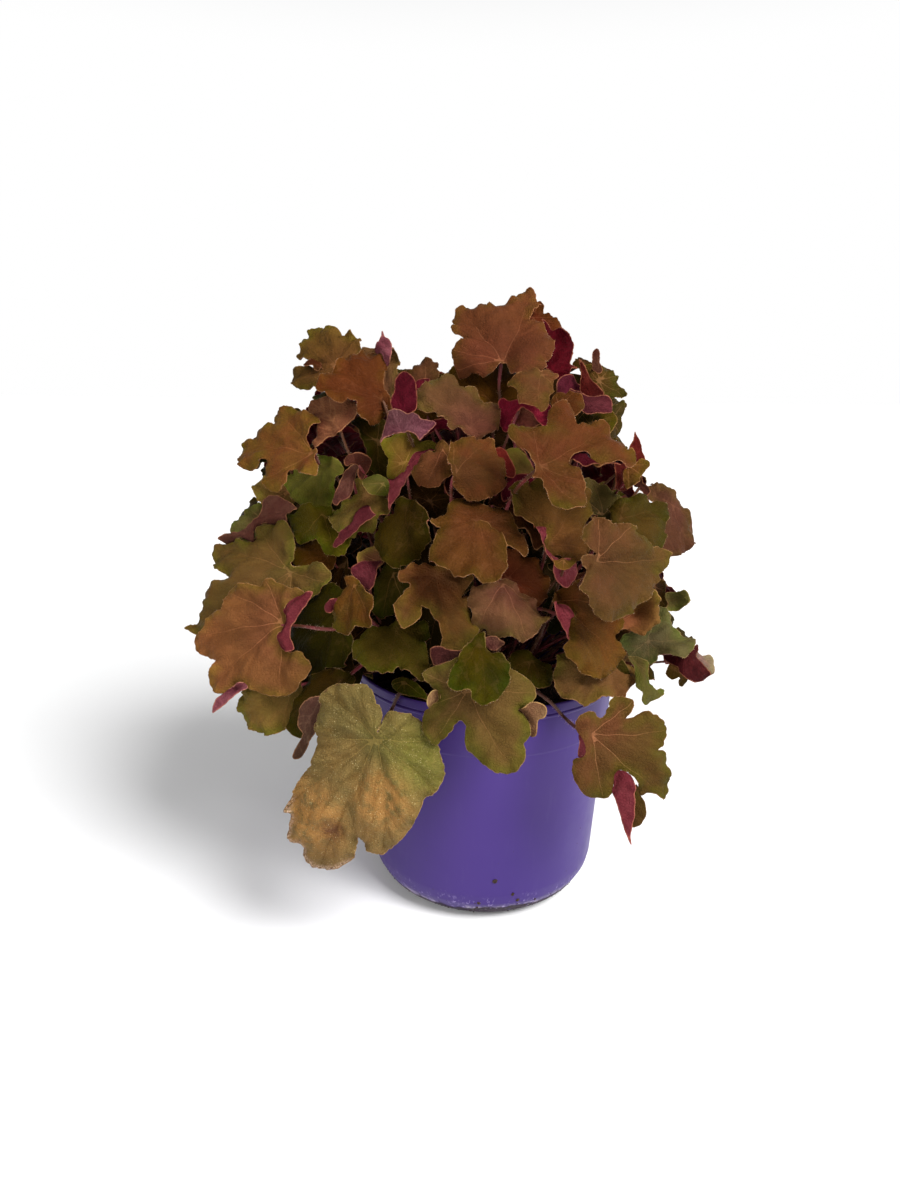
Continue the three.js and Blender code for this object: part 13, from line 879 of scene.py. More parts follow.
# ---------------------------------------------------------------- materials
class Mat:
    def __init__(self, name, rough=0.5, spec=0.5, sheen=0.0):
        self.m = bpy.data.materials.new(name)
        self.m.use_nodes = True
        self.nt = self.m.node_tree
        self.nt.nodes.clear()
        o = self.nt.nodes.new('ShaderNodeOutputMaterial')
        self.b = self.nt.nodes.new('ShaderNodeBsdfPrincipled')
        self.nt.links.new(self.b.outputs[0], o.inputs[0])
        self.b.inputs['Roughness'].default_value = rough
        self.b.inputs['Specular IOR Level'].default_value = spec
        if sheen:
            self.b.inputs['Sheen Weight'].default_value = sheen
            self.b.inputs['Sheen Roughness'].default_value = 0.45

    def put(self, sock, x):
        if isinstance(x, bpy.types.NodeSocket):
            self.nt.links.new(x, sock)
        elif x is not None:
            sock.default_value = x

    def math(self, op, a, b=None, c=None, clamp=False):
        n = self.nt.nodes.new('ShaderNodeMath')
        n.operation, n.use_clamp = op, clamp
        self.put(n.inputs[0], a)
        self.put(n.inputs[1], b)
        self.put(n.inputs[2], c)
        return n.outputs[0]

    def mix(self, fac, a, b, mode='MIX'):
        n = self.nt.nodes.new('ShaderNodeMix')
        n.data_type, n.blend_type = 'RGBA', mode
        self.put(n.inputs[0], fac)
        for s, x in ((n.inputs[6], a), (n.inputs[7], b)):
            self.put(s, x if isinstance(x, bpy.types.NodeSocket) else (*[float(q) for q in x], 1.0))
        return n.outputs[2]

    def ramp(self, x, lo, hi, a=0.0, b=1.0):
        n = self.nt.nodes.new('ShaderNodeMapRange')
        n.interpolation_type, n.clamp = 'SMOOTHSTEP', True
        self.put(n.inputs[0], x)
        for k, q in ((1, lo), (2, hi), (3, a), (4, b)):
            self.put(n.inputs[k], q)
        return n.outputs[0]

    def attr(self, name, vec=False):
        n = self.nt.nodes.new('ShaderNodeAttribute')
        n.attribute_type, n.attribute_name = 'GEOMETRY', name
        return n.outputs['Vector' if vec else 'Fac']

    def obj(self):
        return self.nt.nodes.new('ShaderNodeTexCoord').outputs['Object']

    def stretch(self, vec, k, shift=(0, 0, 0)):
        n = self.nt.nodes.new('ShaderNodeMapping')
        self.put(n.inputs[0], vec)
        n.inputs['Scale'].default_value = k
        n.inputs['Location'].default_value = shift
        return n.outputs[0]

    def noise(self, vec, scale, detail=3.0, rough=0.55):
        n = self.nt.nodes.new('ShaderNodeTexNoise')
        self.put(n.inputs['Vector'], vec)
        n.inputs['Scale'].default_value = scale
        n.inputs['Detail'].default_value = detail
        n.inputs['Roughness'].default_value = rough
        return n.outputs[0]

    def cells(self, vec, scale, feature='DISTANCE_TO_EDGE', out='Distance', rnd=1.0):
        n = self.nt.nodes.new('ShaderNodeTexVoronoi')
        n.feature = feature
        self.put(n.inputs['Vector'], vec)
        n.inputs['Scale'].default_value = scale
        n.inputs['Randomness'].default_value = rnd
        return n.outputs[out]

    def dist(self, vec, p):
        n = self.nt.nodes.new('ShaderNodeVectorMath')
        n.operation = 'DISTANCE'
        self.put(n.inputs[0], vec)
        n.inputs[1].default_value = p
        return n.outputs['Value']

    def bump(self, h, strength, dist):
        n = self.nt.nodes.new('ShaderNodeBump')
        n.inputs['Strength'].default_value = strength
        n.inputs['Distance'].default_value = dist
        self.put(n.inputs['Height'], h)
        self.put(self.b.inputs['Normal'], n.outputs[0])

    def vec(self, op, a, b=None):
        n = self.nt.nodes.new('ShaderNodeVectorMath')
        n.operation = op
        self.put(n.inputs[0], a)
        self.put(n.inputs[1], b)
        return n.outputs[0]

    def streaks(self, luv):
        """Noise drawn out along the directions that leave the stalk joint."""
        d = self.vec('MULTIPLY', self.vec('NORMALIZE', self.vec('MULTIPLY', luv, (1, 1, 0))), (7.5, 7.5, 0))
        return self.noise(self.vec('ADD', d, self.vec('MULTIPLY', luv, (0.035, 0.035, 1))), 1.0, 3, 0.6)

    def colour(self, x):
        self.put(self.b.inputs['Base Color'], x)


def leaf_skin(name, upper, aged=False):
    s = Mat(name, spec=0.02)
    luv, ca, cb = s.attr('luv', True), s.attr('ca', True), s.attr('cb', True)
    vd, sd, ed, rad, rnd = (s.attr(k) for k in ('vd', 'sd', 'ed', 'rad', 'rnd'))
    broad = s.ramp(s.noise(luv, 0.055, 2.5, 0.6), 0.36, 0.64)
    mid = s.ramp(s.noise(luv, 0.32, 4, 0.6), 0.34, 0.68)
    fine = s.noise(luv, 2.6, 3, 0.6)
    net = s.cells(s.stretch(luv, (1, 1, 0.3)), 0.62)
    col = s.mix(broad if aged or not upper else s.math('MULTIPLY', broad, 0.7), ca, cb)
    if aged:
        # yellow-green by the junction and to the right, tan-orange in the low lobes, one brown bruise
        spots = AGED
        green = s.math('MULTIPLY', s.ramp(s.dist(s.stretch(luv, (1, 1, 0)), (*spots['green2'], 0)), 34, 8), s.ramp(mid, 0, 1, 0.75, 1))
        tan = s.math('MAXIMUM', s.ramp(s.dist(s.stretch(luv, (1, 1, 0)), (*spots['tanL'], 0)), 30, 8), s.ramp(s.dist(s.stretch(luv, (1, 1, 0)), (*spots['tanR'], 0)), 24, 6))
        tan = s.math('MULTIPLY', tan, s.ramp(s.noise(luv, 0.16, 4, 0.65), 0.36, 0.56))
        col = s.mix(s.math('MULTIPLY', green, 0.8), col, lin((112, 112, 48), GAIN_UP))
        col = s.mix(s.math('MULTIPLY', tan, 0.85), col, lin((172, 126, 72), GAIN_UP))
        bruise = s.math('ADD', s.dist(s.stretch(luv, (1, 1, 0)), (*spots['brown'], 0)), s.math('MULTIPLY', s.math('SUBTRACT', s.noise(luv, 0.35, 4, 0.7), 0.5), 11))
        col = s.mix(s.ramp(bruise, 10.5, 2.5, 0.0, 0.72), col, lin((110, 72, 46), GAIN_UP))
        col = s.mix(s.ramp(bruise, 4.0, 0.5, 0.0, 0.5), col, lin((84, 50, 48), GAIN_UP))
        pale = s.math('MULTIPLY', s.ramp(s.noise(luv, 1.6, 5, 0.75), 0.53, 0.68), s.ramp(s.noise(luv, 0.12, 2, 0.5), 0.35, 0.6))
        col = s.mix(s.math('MULTIPLY', pale, 0.42), col, lin((196, 172, 112), GAIN_UP))
        dots = s.math('MULTIPLY', s.ramp(s.cells(luv, 0.28, 'F1'), 0.13, 0.05), s.ramp(s.noise(luv, 0.11, 1, 0.5), 0.52, 0.56))
        col = s.mix(s.math('MULTIPLY', dots, 0.75), col, lin((88, 60, 34), GAIN_UP))
        grit = s.noise(luv, 1.15, 4, 0.8)
        col = s.mix(s.ramp(grit, 0.52, 0.66, 0.0, 0.55), col, (1.38, 1.34, 1.26), 'MULTIPLY')
        col = s.mix(s.ramp(grit, 0.47, 0.34, 0.0, 0.55), col, (0.66, 0.62, 0.50), 'MULTIPLY')
        motes = s.math('MULTIPLY', s.ramp(s.cells(luv, 0.9, 'F1'), 0.26, 0.10), s.ramp(s.noise(luv, 0.2, 3, 0.6), 0.46, 0.62))
        col = s.mix(s.math('MULTIPLY', motes, 0.6), col, lin((228, 212, 158), GAIN_UP * 1.15))
        low = s.math('MAXIMUM', s.ramp(s.dist(s.stretch(luv, (1, 1, 0)), (*spots['tip'], 0)), 24, 12), s.ramp(s.dist(s.stretch(luv, (1, 1, 0)), (*spots['left'], 0)), 24, 14))
        crumb = s.math('MULTIPLY', s.math('MULTIPLY', s.ramp(ed, 4.2, 0.3), low), s.ramp(s.noise(luv, 0.9, 4, 0.8), 0.47, 0.54))
        col = s.mix(s.math('MULTIPLY', crumb, 0.75), col, lin((232, 200, 176), GAIN_UP * 1.15))
        crust = s.math('MULTIPLY', s.math('MULTIPLY', s.ramp(ed, 2.6, 0.2), low), s.ramp(s.noise(luv, 0.55, 4, 0.8), 0.50, 0.56))
        col = s.mix(s.math('MULTIPLY', crust, 0.85), col, lin((78, 36, 46), GAIN_UP))
        fold = s.math('MULTIPLY', s.ramp(s.dist(s.stretch(luv, (1, 1, 0)), (*spots['slit1'], 0)), 16, 3), s.ramp(mid, 0.0, 1.0, 0.6, 1.0))
        col = s.mix(s.math('MULTIPLY', fold, 0.4), col, lin((104, 108, 52), GAIN_UP))
        burnt = s.math('MULTIPLY', s.ramp(ed, 1.8, 0.2), s.ramp(s.noise(luv, 0.22, 3, 0.6), 0.52, 0.62))
        col = s.mix(s.math('MULTIPLY', burnt, 0.7), col, lin((104, 66, 48), GAIN_UP))
    col = s.mix(s.math('MULTIPLY', mid, 0.25), col, (0.72, 0.66, 0.60), 'MULTIPLY')
    col = s.mix(s.ramp(fine, 0.42, 0.72, 0.0, 0.22), col, (1.24, 1.22, 1.18), 'MULTIPLY')
    streak = s.streaks(luv)
    # darker and lighter streaks running out from the joint: painted shade and highlight of fine radial pleats
    col = s.mix(s.ramp(streak, 0.42, 0.66, 0.0, 0.30), col, (0.70, 0.66, 0.60), 'MULTIPLY')
    col = s.mix(s.ramp(streak, 0.46, 0.26, 0.0, 0.22), col, (1.28, 1.26, 1.2), 'MULTIPLY')
    if upper:
        if not aged:
            wide = s.math('MULTIPLY_ADD', s.noise(luv, 0.09, 2, 0.5), 14.0, 1.0)
            band = s.math('MULTIPLY', s.ramp(ed, wide, 0.4), s.ramp(s.noise(luv, 0.06, 2, 0.5), 0.40, 0.60, 0.15, 1.0))
            col = s.mix(band, col, s.mix(1.0, col, (0.95, 1.30, 0.74), 'MULTIPLY'))
            col = s.mix(s.ramp(rad, 0.6, 0.15, 0.0, 0.7), col, s.mix(1.0, col, (1.1, 0.92, 1.25), 'MULTIPLY'))
        near = s.math('MINIMUM', vd, sd)
        # darker either side of the veins, where the blade dips into them: painted shade
        col = s.mix(s.ramp(near, 1.6, 0.2, 0.0, 0.34), col, (0.76, 0.68, 0.62), 'MULTIPLY')
        col = s.mix(s.ramp(net, 0.09, 0.0, 0.0, 0.24), col, (0.80, 0.76, 0.70), 'MULTIPLY')
        if aged:
            pale_main = s.mix(0.2, s.mix(1.0, ca, (1.5, 1.5, 1.3), 'MULTIPLY'), lin((190, 170, 96)))
            col = s.mix(s.math('MULTIPLY', s.ramp(vd, 0.5, 0.05), s.ramp(rad, 0.35, 0.7, 0.0, 0.5)), col, (0.62, 0.56, 0.46), 'MULTIPLY')
            pleat = s.noise(s.vec('MULTIPLY', luv, (1, 1, 0.2)), 1.1, 2, 0.5)
            col = s.mix(s.math('MULTIPLY', s.ramp(s.streaks(s.vec('MULTIPLY', luv, (1, 1, 3.1))), 0.5, 0.62), s.ramp(pleat, 0.3, 0.6, 0.2, 0.42)), col, (0.66, 0.62, 0.5), 'MULTIPLY')
            pm = s.math('MULTIPLY', s.ramp(vd, 0.34, 0.05), s.ramp(rad, 0.05, 0.45, 0.4, 0.0))
            col = s.mix(pm, col, pale_main)
        else:
            pale_main = s.mix(0.14, s.mix(1.0, col, (2.0, 1.9, 2.05), 'MULTIPLY'), lin((200, 146, 108)))
            w = s.math('MULTIPLY_ADD', rad, -0.14, 0.34)
            pm = s.math('MULTIPLY', s.math('MULTIPLY', s.ramp(vd, w, 0.03), s.ramp(rad, 0.15, 0.95, 0.86, 0.24)), s.ramp(rnd, 0.05, 0.95, 0.16, 1.0))
            col = s.mix(pm, col, pale_main)
            col = s.mix(s.ramp(sd, 0.18, 0.03, 0.0, 0.10), col, pale_main)
            col = s.mix(s.ramp(rad, 0.10, 0.0, 0.0, 0.14), col, pale_main)
        rim = s.mix(0.22, s.mix(1.0, ca, (1.75, 1.8, 1.8), 'MULTIPLY'), lin((206, 158, 110)))
        col = s.mix(s.math('MULTIPLY', s.ramp(ed, 0.54, 0.08, 0.0, 0.76), s.ramp(s.noise(luv, 0.16, 3, 0.6), 0.36, 0.58, 0.3, 1.0)), col, rim)
    else:
        near = s.math('MINIMUM', vd, sd)
        col = s.mix(s.ramp(near, 0.55, 0.08, 0.0, 0.7), col, s.mix(1.0, col, (1.45, 1.6, 1.55), 'MULTIPLY'))
        col = s.mix(s.ramp(net, 0.12, 0.0, 0.0, 0.34), col, (0.70, 0.54, 0.58), 'MULTIPLY')
        col = s.mix(s.math('MULTIPLY', s.ramp(ed, 0.7, 0.15, 0.0, 0.85), s.ramp(s.noise(luv, 0.2, 3, 0.6), 0.34, 0.55, 0.35, 1.0)), col, s.mix(0.30, s.mix(1.0, ca, (1.5, 2.0, 1.5), 'MULTIPLY'), lin((200, 128, 92))))
    col = s.mix(rnd, col, s.mix(0.16, col, (0.6, 0.58, 0.5), 'MULTIPLY'))
    s.colour(col)
    s.put(s.b.inputs['Roughness'], s.ramp(s.noise(luv, 0.5, 3, 0.6), 0.3, 0.75, 0.40 if upper else 0.46, 0.60 if upper else 0.66))
    hgt = s.math('ADD', s.math('MULTIPLY', s.ramp(net, 0.0, 0.22), 0.9), s.math('MULTIPLY', fine, 0.55))
    hgt = s.math('ADD', hgt, s.math('MULTIPLY', s.noise(luv, 0.9, 3, 0.6), 0.9))
    hgt = s.math('ADD', hgt, s.math('MULTIPLY', streak, 1.3))
    s.bump(hgt, 0.7 if aged else 0.65, 0.0006 if aged else 0.0005)
    return s.m


def petiole_skin():
    s = Mat('petiole', rough=0.5, spec=0.2)
    luv, ca, cb, rad = s.attr('luv', True), s.attr('ca', True), s.attr('cb', True), s.attr('rad')
    col = s.mix(s.ramp(s.noise(luv, 0.08, 2, 0.5), 0.35, 0.65), ca, cb)
    col = s.mix(s.ramp(rad, 0.16, 0.0), col, lin((150, 118, 84), 1.0))
    # darker towards the crown end, where the stalks run down inside the plant: painted shade
    col = s.mix(s.ramp(rad, 0.85, 0.35, 0.0, 0.72), col, (0.42, 0.34, 0.30), 'MULTIPLY')
    col = s.mix(s.ramp(s.noise(s.obj(), 900, 3, 0.6), 0.4, 0.7, 0.0, 0.4), col, (0.62, 0.5, 0.5), 'MULTIPLY')
    s.colour(col)
    s.bump(s.noise(s.stretch(s.obj(), (1, 1, 0.25)), 2600, 3, 0.6), 0.3, 0.0002)
    return s.m


def hair_skin():
    s = Mat('leaf_hair', rough=0.6, spec=0.4)
    s.colour(s.mix(s.ramp(s.noise(s.obj(), 300, 2, 0.5), 0.4, 0.6), s.attr('ca', True), lin((214, 186, 160), 1.0)))
    return s.m


def pot_skin():
    s = Mat('pot_plastic', rough=0.5, spec=0.2)
    p = s.obj()
    z = s.nt.nodes.new('ShaderNodeSeparateXYZ')
    s.put(z.inputs[0], p)
    z = z.outputs[2]
    base = s.mix(s.ramp(s.noise(p, 9, 3, 0.5), 0.3, 0.7), lin((91, 62, 156), GAIN_POT), lin((84, 57, 150), GAIN_POT))
    streak = s.noise(s.stretch(p, (1, 1, 0.12)), 240, 4, 0.65)
    base = s.mix(s.ramp(streak, 0.52, 0.8, 0.0, 0.08), base, lin((126, 108, 178), GAIN_POT))
    low = s.ramp(z, 0.024, 0.004)
    dust = s.math('MULTIPLY', low, s.ramp(s.noise(p, 70, 5, 0.7), 0.46, 0.66))
    base = s.mix(s.math('MULTIPLY', dust, 0.14), base, lin((150, 138, 168), 1.0))
    grit = s.math('MULTIPLY', s.ramp(z, 0.026, 0.011), s.math('MULTIPLY', s.ramp(s.noise(s.stretch(p, (1, 1, 0.5)), 520, 4, 0.8), 0.56, 0.62), s.ramp(s.noise(p, 60, 3, 0.6), 0.42, 0.56)))
    base = s.mix(s.math('MULTIPLY', grit, 0.75), base, lin((176, 160, 206), 1.0))
    scuff = s.math('MULTIPLY', s.ramp(z, 0.0150, 0.0100), s.ramp(s.noise(s.stretch(p, (1, 1, 1.6)), 380, 5, 0.8), 0.46, 0.54))
    scuff = s.math('MULTIPLY', scuff, s.ramp(s.noise(p, 34, 3, 0.6), 0.40, 0.56))
    base = s.mix(s.math('MULTIPLY', scuff, 0.85), base, lin((182, 172, 182), 1.0))
    # dark band at the very foot: partly grime, partly painted contact shade where the pot stands on the floor
    grime_and_contact_shade = s.math('MULTIPLY', s.ramp(s.math('MULTIPLY_ADD', s.noise(p, 42, 3, 0.6), -0.016, z), 0.0032, 0.0012), s.ramp(s.noise(p, 240, 4, 0.75), 0.32, 0.42))
    base = s.mix(s.math('MULTIPLY', grime_and_contact_shade, 0.92), base, lin((38, 29, 33), 1.0))
    specks = s.math('MULTIPLY', s.ramp(s.cells(p, 190, 'F1'), 0.16, 0.08), s.ramp(s.noise(p, 46, 2, 0.5), 0.60, 0.64))
    base = s.mix(s.math('MULTIPLY', s.math('MULTIPLY', specks, s.ramp(z, 0.05, 0.01)), 0.8), base, lin((46, 34, 40), 1.0))
    s.colour(base)
    rough = s.math('ADD', s.ramp(s.noise(p, 40, 3, 0.6), 0.3, 0.7, 0.40, 0.50), s.math('MULTIPLY', s.math('MAXIMUM', dust, grime_and_contact_shade), 0.3))
    s.put(s.b.inputs['Roughness'], rough)
    s.bump(s.math('ADD', s.noise(p, 2400, 2, 0.5), s.math('MULTIPLY', streak, 0.4)), 0.12, 0.0001)
    return s.m


def earth_skin(name, dark, light):
    s = Mat(name, rough=0.92, spec=0.2)
    p = s.obj()
    col = s.mix(s.ramp(s.noise(p, 260, 5, 0.7), 0.36, 0.66), lin(dark), lin(light))
    col = s.mix(s.ramp(s.noise(p, 1300, 3, 0.6), 0.55, 0.75, 0.0, 0.5), col, s.attr('ca', True))
    s.colour(col)
    s.bump(s.math('ADD', s.noise(p, 900, 5, 0.7), s.cells(p, 420)), 0.8, 0.0008)
    return s.m


def crown_skin():
    s = Mat('crown_bark', rough=0.85, spec=0.25)
    p = s.obj()
    col = s.mix(s.ramp(s.noise(p, 190, 4, 0.65), 0.36, 0.66), lin((70, 46, 32)), lin((128, 88, 60)))
    col = s.mix(s.ramp(s.noise(p, 800, 3, 0.6), 0.5, 0.75, 0.0, 0.6), col, lin((46, 30, 22)))
    s.colour(col)
    s.bump(s.math('ADD', s.noise(p, 500, 5, 0.7), s.cells(p, 160)), 0.9, 0.0012)
    return s.m


AGED = {'brown': [-32.4, -52.2], 'slit0': [3.8, 10.1], 'slit1': [0.3, 1.0], 'tanL': [-44.7, -43.8], 'tanR': [0.2, -34.9], 'green': [19.7, 2.2], 'green2': [26.6, -12.0], 'mid': [-14.9, -3.7], 'tip': [-44.1, -75.1], 'dark': [12.5, 13.6], 'left': [-56.3, -52.4]}
UPPER, LOWER, PETIOLE, HAIR = leaf_skin('leaf_upper', True), leaf_skin('leaf_under', False), petiole_skin(), hair_skin()
AGED_UP = leaf_skin('leaf_aged_upper', True, aged=True)

# ---------------------------------------------------------------- leaves
loose = {}
for row in LEAVES:
    key, node = row[0], row[1]
    if node:
        B = Build()
        build_leaf(B, row)
        ob = B.make(node + '_leaf', [AGED_UP if row[3] == 'aged' else UPPER, LOWER, PETIOLE, HAIR])
        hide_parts(node)
        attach(ob, 'root')
    else:
        O = nums(row[8], 100)
        az = int((math.degrees(math.atan2(O[1], O[0])) + 360) // 60) % 6
        g = ('inner_' if row[15] == 0 else 'small_') + 'abcdef'[az] + ('_high' if O[2] > 235 else '_low')
        loose.setdefault(g, []).append(row)
for g, rows in sorted(loose.items()):
    B = Build()
    for row in rows:
        build_leaf(B, row)
    ob = B.make('leaves_' + g, [UPPER, LOWER, PETIOLE, HAIR])
    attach(ob, 'root')


# ---------------------------------------------------------------- pot
def lathe(B, prof, seg, mat, close_axis=(False, False), **at):
    prof = np.asarray(prof, float)
    n = len(prof)
    a = np.arange(seg) * 2 * math.pi / seg
    V = np.stack([prof[:, 0][:, None] * np.cos(a), prof[:, 0][:, None] * np.sin(a), np.repeat(prof[:, 1][:, None], seg, 1)], -1).reshape(-1, 3)
    F = []
    for i in range(n - 1):
        k = np.arange(seg)
        a0, b0 = i * seg + k, i * seg + (k + 1) % seg
        F.append(np.stack([a0, b0, b0 + seg], -1))
        F.append(np.stack([a0, b0 + seg, a0 + seg], -1))
    B.add(V, np.vstack(F), mat, **at)


def rounded(pts, r, k=4):
    """Polyline with its inner corners rounded to about r."""
    pts = [np.array(p, float) for p in pts]
    out = [pts[0]]
    for a, b, c in zip(pts, pts[1:], pts[2:]):
        rr = min(r, np.linalg.norm(a - b) * 0.45, np.linalg.norm(c - b) * 0.45)
        p, q = b + (a - b) / np.linalg.norm(a - b) * rr, b + (c - b) / np.linalg.norm(c - b) * rr
        for t in np.linspace(0, 1, k):
            out.append((1 - t) ** 2 * p + 2 * t * (1 - t) * b + t * t * q)
    out.append(pts[-1])
    return np.array(out)


def disc_with_holes(B, R, z, seg, holes, r, mat, down):
    a = np.arange(seg) * 2 * math.pi / seg
    outer = np.stack([R * np.cos(a), R * np.sin(a)], -1)
    hs = 24
    b = np.arange(hs) * 2 * math.pi / hs
    pts, edges, base = [outer], [], seg
    for c in holes:
        h = np.stack([c[0] + r * np.cos(b), c[1] + r * np.sin(b)], -1)
        pts.append(h)
        edges += [(base + k, base + (k + 1) % hs) for k in range(hs)]
        base += hs
    g = np.stack(np.meshgrid(np.arange(-R, R, 6.0), np.arange(-R, R, 6.0)), -1).reshape(-1, 2)
    g = g[np.hypot(*g.T) < R - 4]
    for c in holes:
        g = g[np.hypot(g[:, 0] - c[0], g[:, 1] - c[1]) > r + 3]
    pts.append(g)
    p = np.vstack(pts)
    res = delaunay_2d_cdt([Vector(q) for q in p], edges, [list(range(seg))], 1, 1e-5, False)
    q, f = np.array([tuple(v) for v in res[0]]), np.array(res[2], int)
    cen = q[f].mean(1)
    keep = np.ones(len(f), bool)
    for c in holes:
        keep &= np.hypot(cen[:, 0] - c[0], cen[:, 1] - c[1]) > r * 0.98
    f = f[keep]
    if down:
        f = f[:, ::-1]
    B.add(np.c_[q, np.full(len(q), z)], f, mat)


FOOT_R, WALL_T, FLOOR_T = 61.4, 1.4, 2.0
hole_c = [(44 * math.cos(2 * math.pi * (i + .5) / 8), 44 * math.sin(2 * math.pi * (i + .5) / 8)) for i in range(8)]
B = Build()
SEG = 224
outer = rounded([(59.9, 0), (61.4, 0.9), (69.4, 7.4), (74.2, 15.8), (75.7, 22.5), (81.9, 120.4), (82.35, 121.3), (82.45, 122.6),
                 (83.5, 142.6), (83.5, 143.6), (84.2, 144.4), (84.9, 144.6), (85.0, 145.8), (84.35, 146.2), (84.35, 146.8), (85.0, 147.2), (85.05, 151.6), (84.5, 152.4),
                 (83.7, 152.4), (83.3, 151.7), (82.2, 144), (80.9, 121), (74.3, 22.6), (72.8, 16.6), (68.2, 8.6), (59.6, 2.0)], 0.9, 4)
lathe(B, outer, SEG, 0)
disc_with_holes(B, 59.9, 0.0, SEG, hole_c, 4.5, 0, True)
disc_with_holes(B, 59.6, 2.0, SEG, hole_c, 4.5, 0, False)
for c in hole_c:
    b = np.arange(24) * 2 * math.pi / 24
    ring = np.stack([c[0] + 4.5 * np.cos(b), c[1] + 4.5 * np.sin(b)], -1)
    V = np.vstack([np.c_[ring, np.zeros(24)], np.c_[ring, np.full(24, 2.0)]])
    k = np.arange(24)
    k2 = (k + 1) % 24
    B.add(V, np.vstack([np.stack([k, k + 24, k2], -1), np.stack([k2, k + 24, k2 + 24], -1)]), 0)
pot = B.make('pot_body', [pot_skin()])
bm_weld = pot.modifiers.new('weld', 'WELD')
bm_weld.merge_threshold = 0.00002
dg = bpy.context.evaluated_depsgraph_get()
me = bpy.data.meshes.new_from_object(pot.evaluated_get(dg))
pot.modifiers.clear()
pot.data = me
pot.data.set_sharp_from_angle(angle=math.radians(38))
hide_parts('pot')
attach(pot, 'root')

# crumbs of earth stuck low on the wall
rng = np.random.default_rng(77)
ico_v = None


def icosphere():
    t = (1 + 5 ** 0.5) / 2
    v = np.array([(-1, t, 0), (1, t, 0), (-1, -t, 0), (1, -t, 0), (0, -1, t), (0, 1, t), (0, -1, -t), (0, 1, -t), (t, 0, -1), (t, 0, 1), (-t, 0, -1), (-t, 0, 1)], float)
    f = np.array([(0, 11, 5), (0, 5, 1), (0, 1, 7), (0, 7, 10), (0, 10, 11), (1, 5, 9), (5, 11, 4), (11, 10, 2), (10, 7, 6), (7, 1, 8), (3, 9, 4), (3, 4, 2), (3, 2, 6), (3, 6, 8), (3, 8, 9), (4, 9, 5), (2, 4, 11), (6, 2, 10), (8, 6, 7), (9, 8, 1)])
    return v / np.linalg.norm(v[0]), f


IV, IF = icosphere()


def split(v, f):
    e = np.sort(np.vstack([f[:, [0, 1]], f[:, [1, 2]], f[:, [2, 0]]]), 1)
    u, inv = np.unique(e, axis=0, return_inverse=True)
    inv = inv.ravel()
    m = v[u].mean(1)
    m /= np.linalg.norm(m, axis=1)[:, None]
    a = inv.reshape(3, -1) + len(v)
    nf = np.vstack([np.stack([f[:, 0], a[0], a[2]], -1), np.stack([f[:, 1], a[1], a[0]], -1), np.stack([f[:, 2], a[2], a[1]], -1), np.stack([a[0], a[1], a[2]], -1)])
    return np.vstack([v, m]), nf


IV2, IF2 = split(IV, IF)


def wall_r(z):
    return np.interp(z, [0, 0.9, 7.4, 15.8, 22.5, 120.4], [60.5, 61.4, 69.4, 74.2, 75.7, 81.9])


B = Build()
spec = [(-83.5, 34.0, 2.3), (-74.5, 23.5, 1.4), (-71.5, 18.0, 1.6), (-90.5, 17.0, 1.5), (-91.5, 12.5, 1.1), (-62.0, 15.0, 1.0)]
spec += [(rng.uniform(-180, 180), abs(rng.normal(0, 6)) + 1.5, rng.uniform(0.25, 0.7)) for _ in range(170)]
spec += [(rng.uniform(-180, 180), rng.uniform(8, 60), rng.uniform(0.2, 0.45)) for _ in range(40)]
for a, z, r in spec:
    a = math.radians(a)
    rr = wall_r(z) + 0.05
    c = np.array([rr * math.cos(a), rr * math.sin(a), max(z, r * 0.6)])
    nrm = np.array([math.cos(a), math.sin(a), 0])
    v = IV * (r * rng.uniform(0.6, 1.1, (12, 1)))
    v = v - np.outer(v @ nrm, nrm) * 0.45
    v[:, 2] = np.maximum(v[:, 2] + c[2], 0.02) - c[2]
    B.add(v + c, IF, 0, ca=lin((40, 28, 34)))
dirt = B.make('pot_dirt', [earth_skin('earth_crumb', (38, 28, 26), (74, 58, 48))])
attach(dirt, 'root')

# ---------------------------------------------------------------- compost
B = Build()
nr, ns = 64, 176
rr = np.r_[np.linspace(0.5, 80.6, nr)]
ang = np.arange(ns) * 2 * math.pi / ns
RR, AA = np.meshgrid(rr, ang, indexing='ij')
X, Y = RR * np.cos(AA), RR * np.sin(AA)
Z = np.empty_like(X)
for i in range(nr):
    for j in range(ns):
        q = Vector((X[i, j], Y[i, j], 0))
        Z[i, j] = 1.5 * mnoise.fractal(q * 0.055, 1.0, 2.0, 3) + 1.1 * mnoise.fractal(q * 0.28, 0.8, 2.1, 4) + 0.35 * mnoise.noise(q * 1.3)
Z = 126.9 + np.clip(Z, -2.6, 2.2) - 2.2 * np.clip((RR - 70) / 10.6, 0, 1) ** 2
top = np.stack([X, Y, Z], -1).reshape(-1, 3)
side_prof = [(80.3, 118.0), (74.0, 24.0), (67.0, 9.0), (58.0, 2.4)]
V = [top]
for r_, z_ in side_prof:
    V.append(np.stack([r_ * np.cos(ang), r_ * np.sin(ang), np.full(ns, z_)], -1))
V.append(np.array([[0, 0, 2.4], [0, 0, float(Z[0].mean())]]))
V = np.vstack(V)
F = []
k = np.arange(ns)
k2 = (k + 1) % ns
for i in range(nr - 1 + len(side_prof)):
    a0, b0 = i * ns + k, i * ns + k2
    F += [np.stack([a0, a0 + ns, b0 + ns], -1), np.stack([a0, b0 + ns, b0], -1)]
lastr = (nr - 1 + len(side_prof)) * ns
bot, cen = len(V) - 2, len(V) - 1
F += [np.stack([lastr + k, np.full(ns, bot), lastr + k2], -1), np.stack([k, k2, np.full(ns, cen)], -1)]
B.add(V, np.vstack(F), 0, ca=lin((78, 56, 38)))
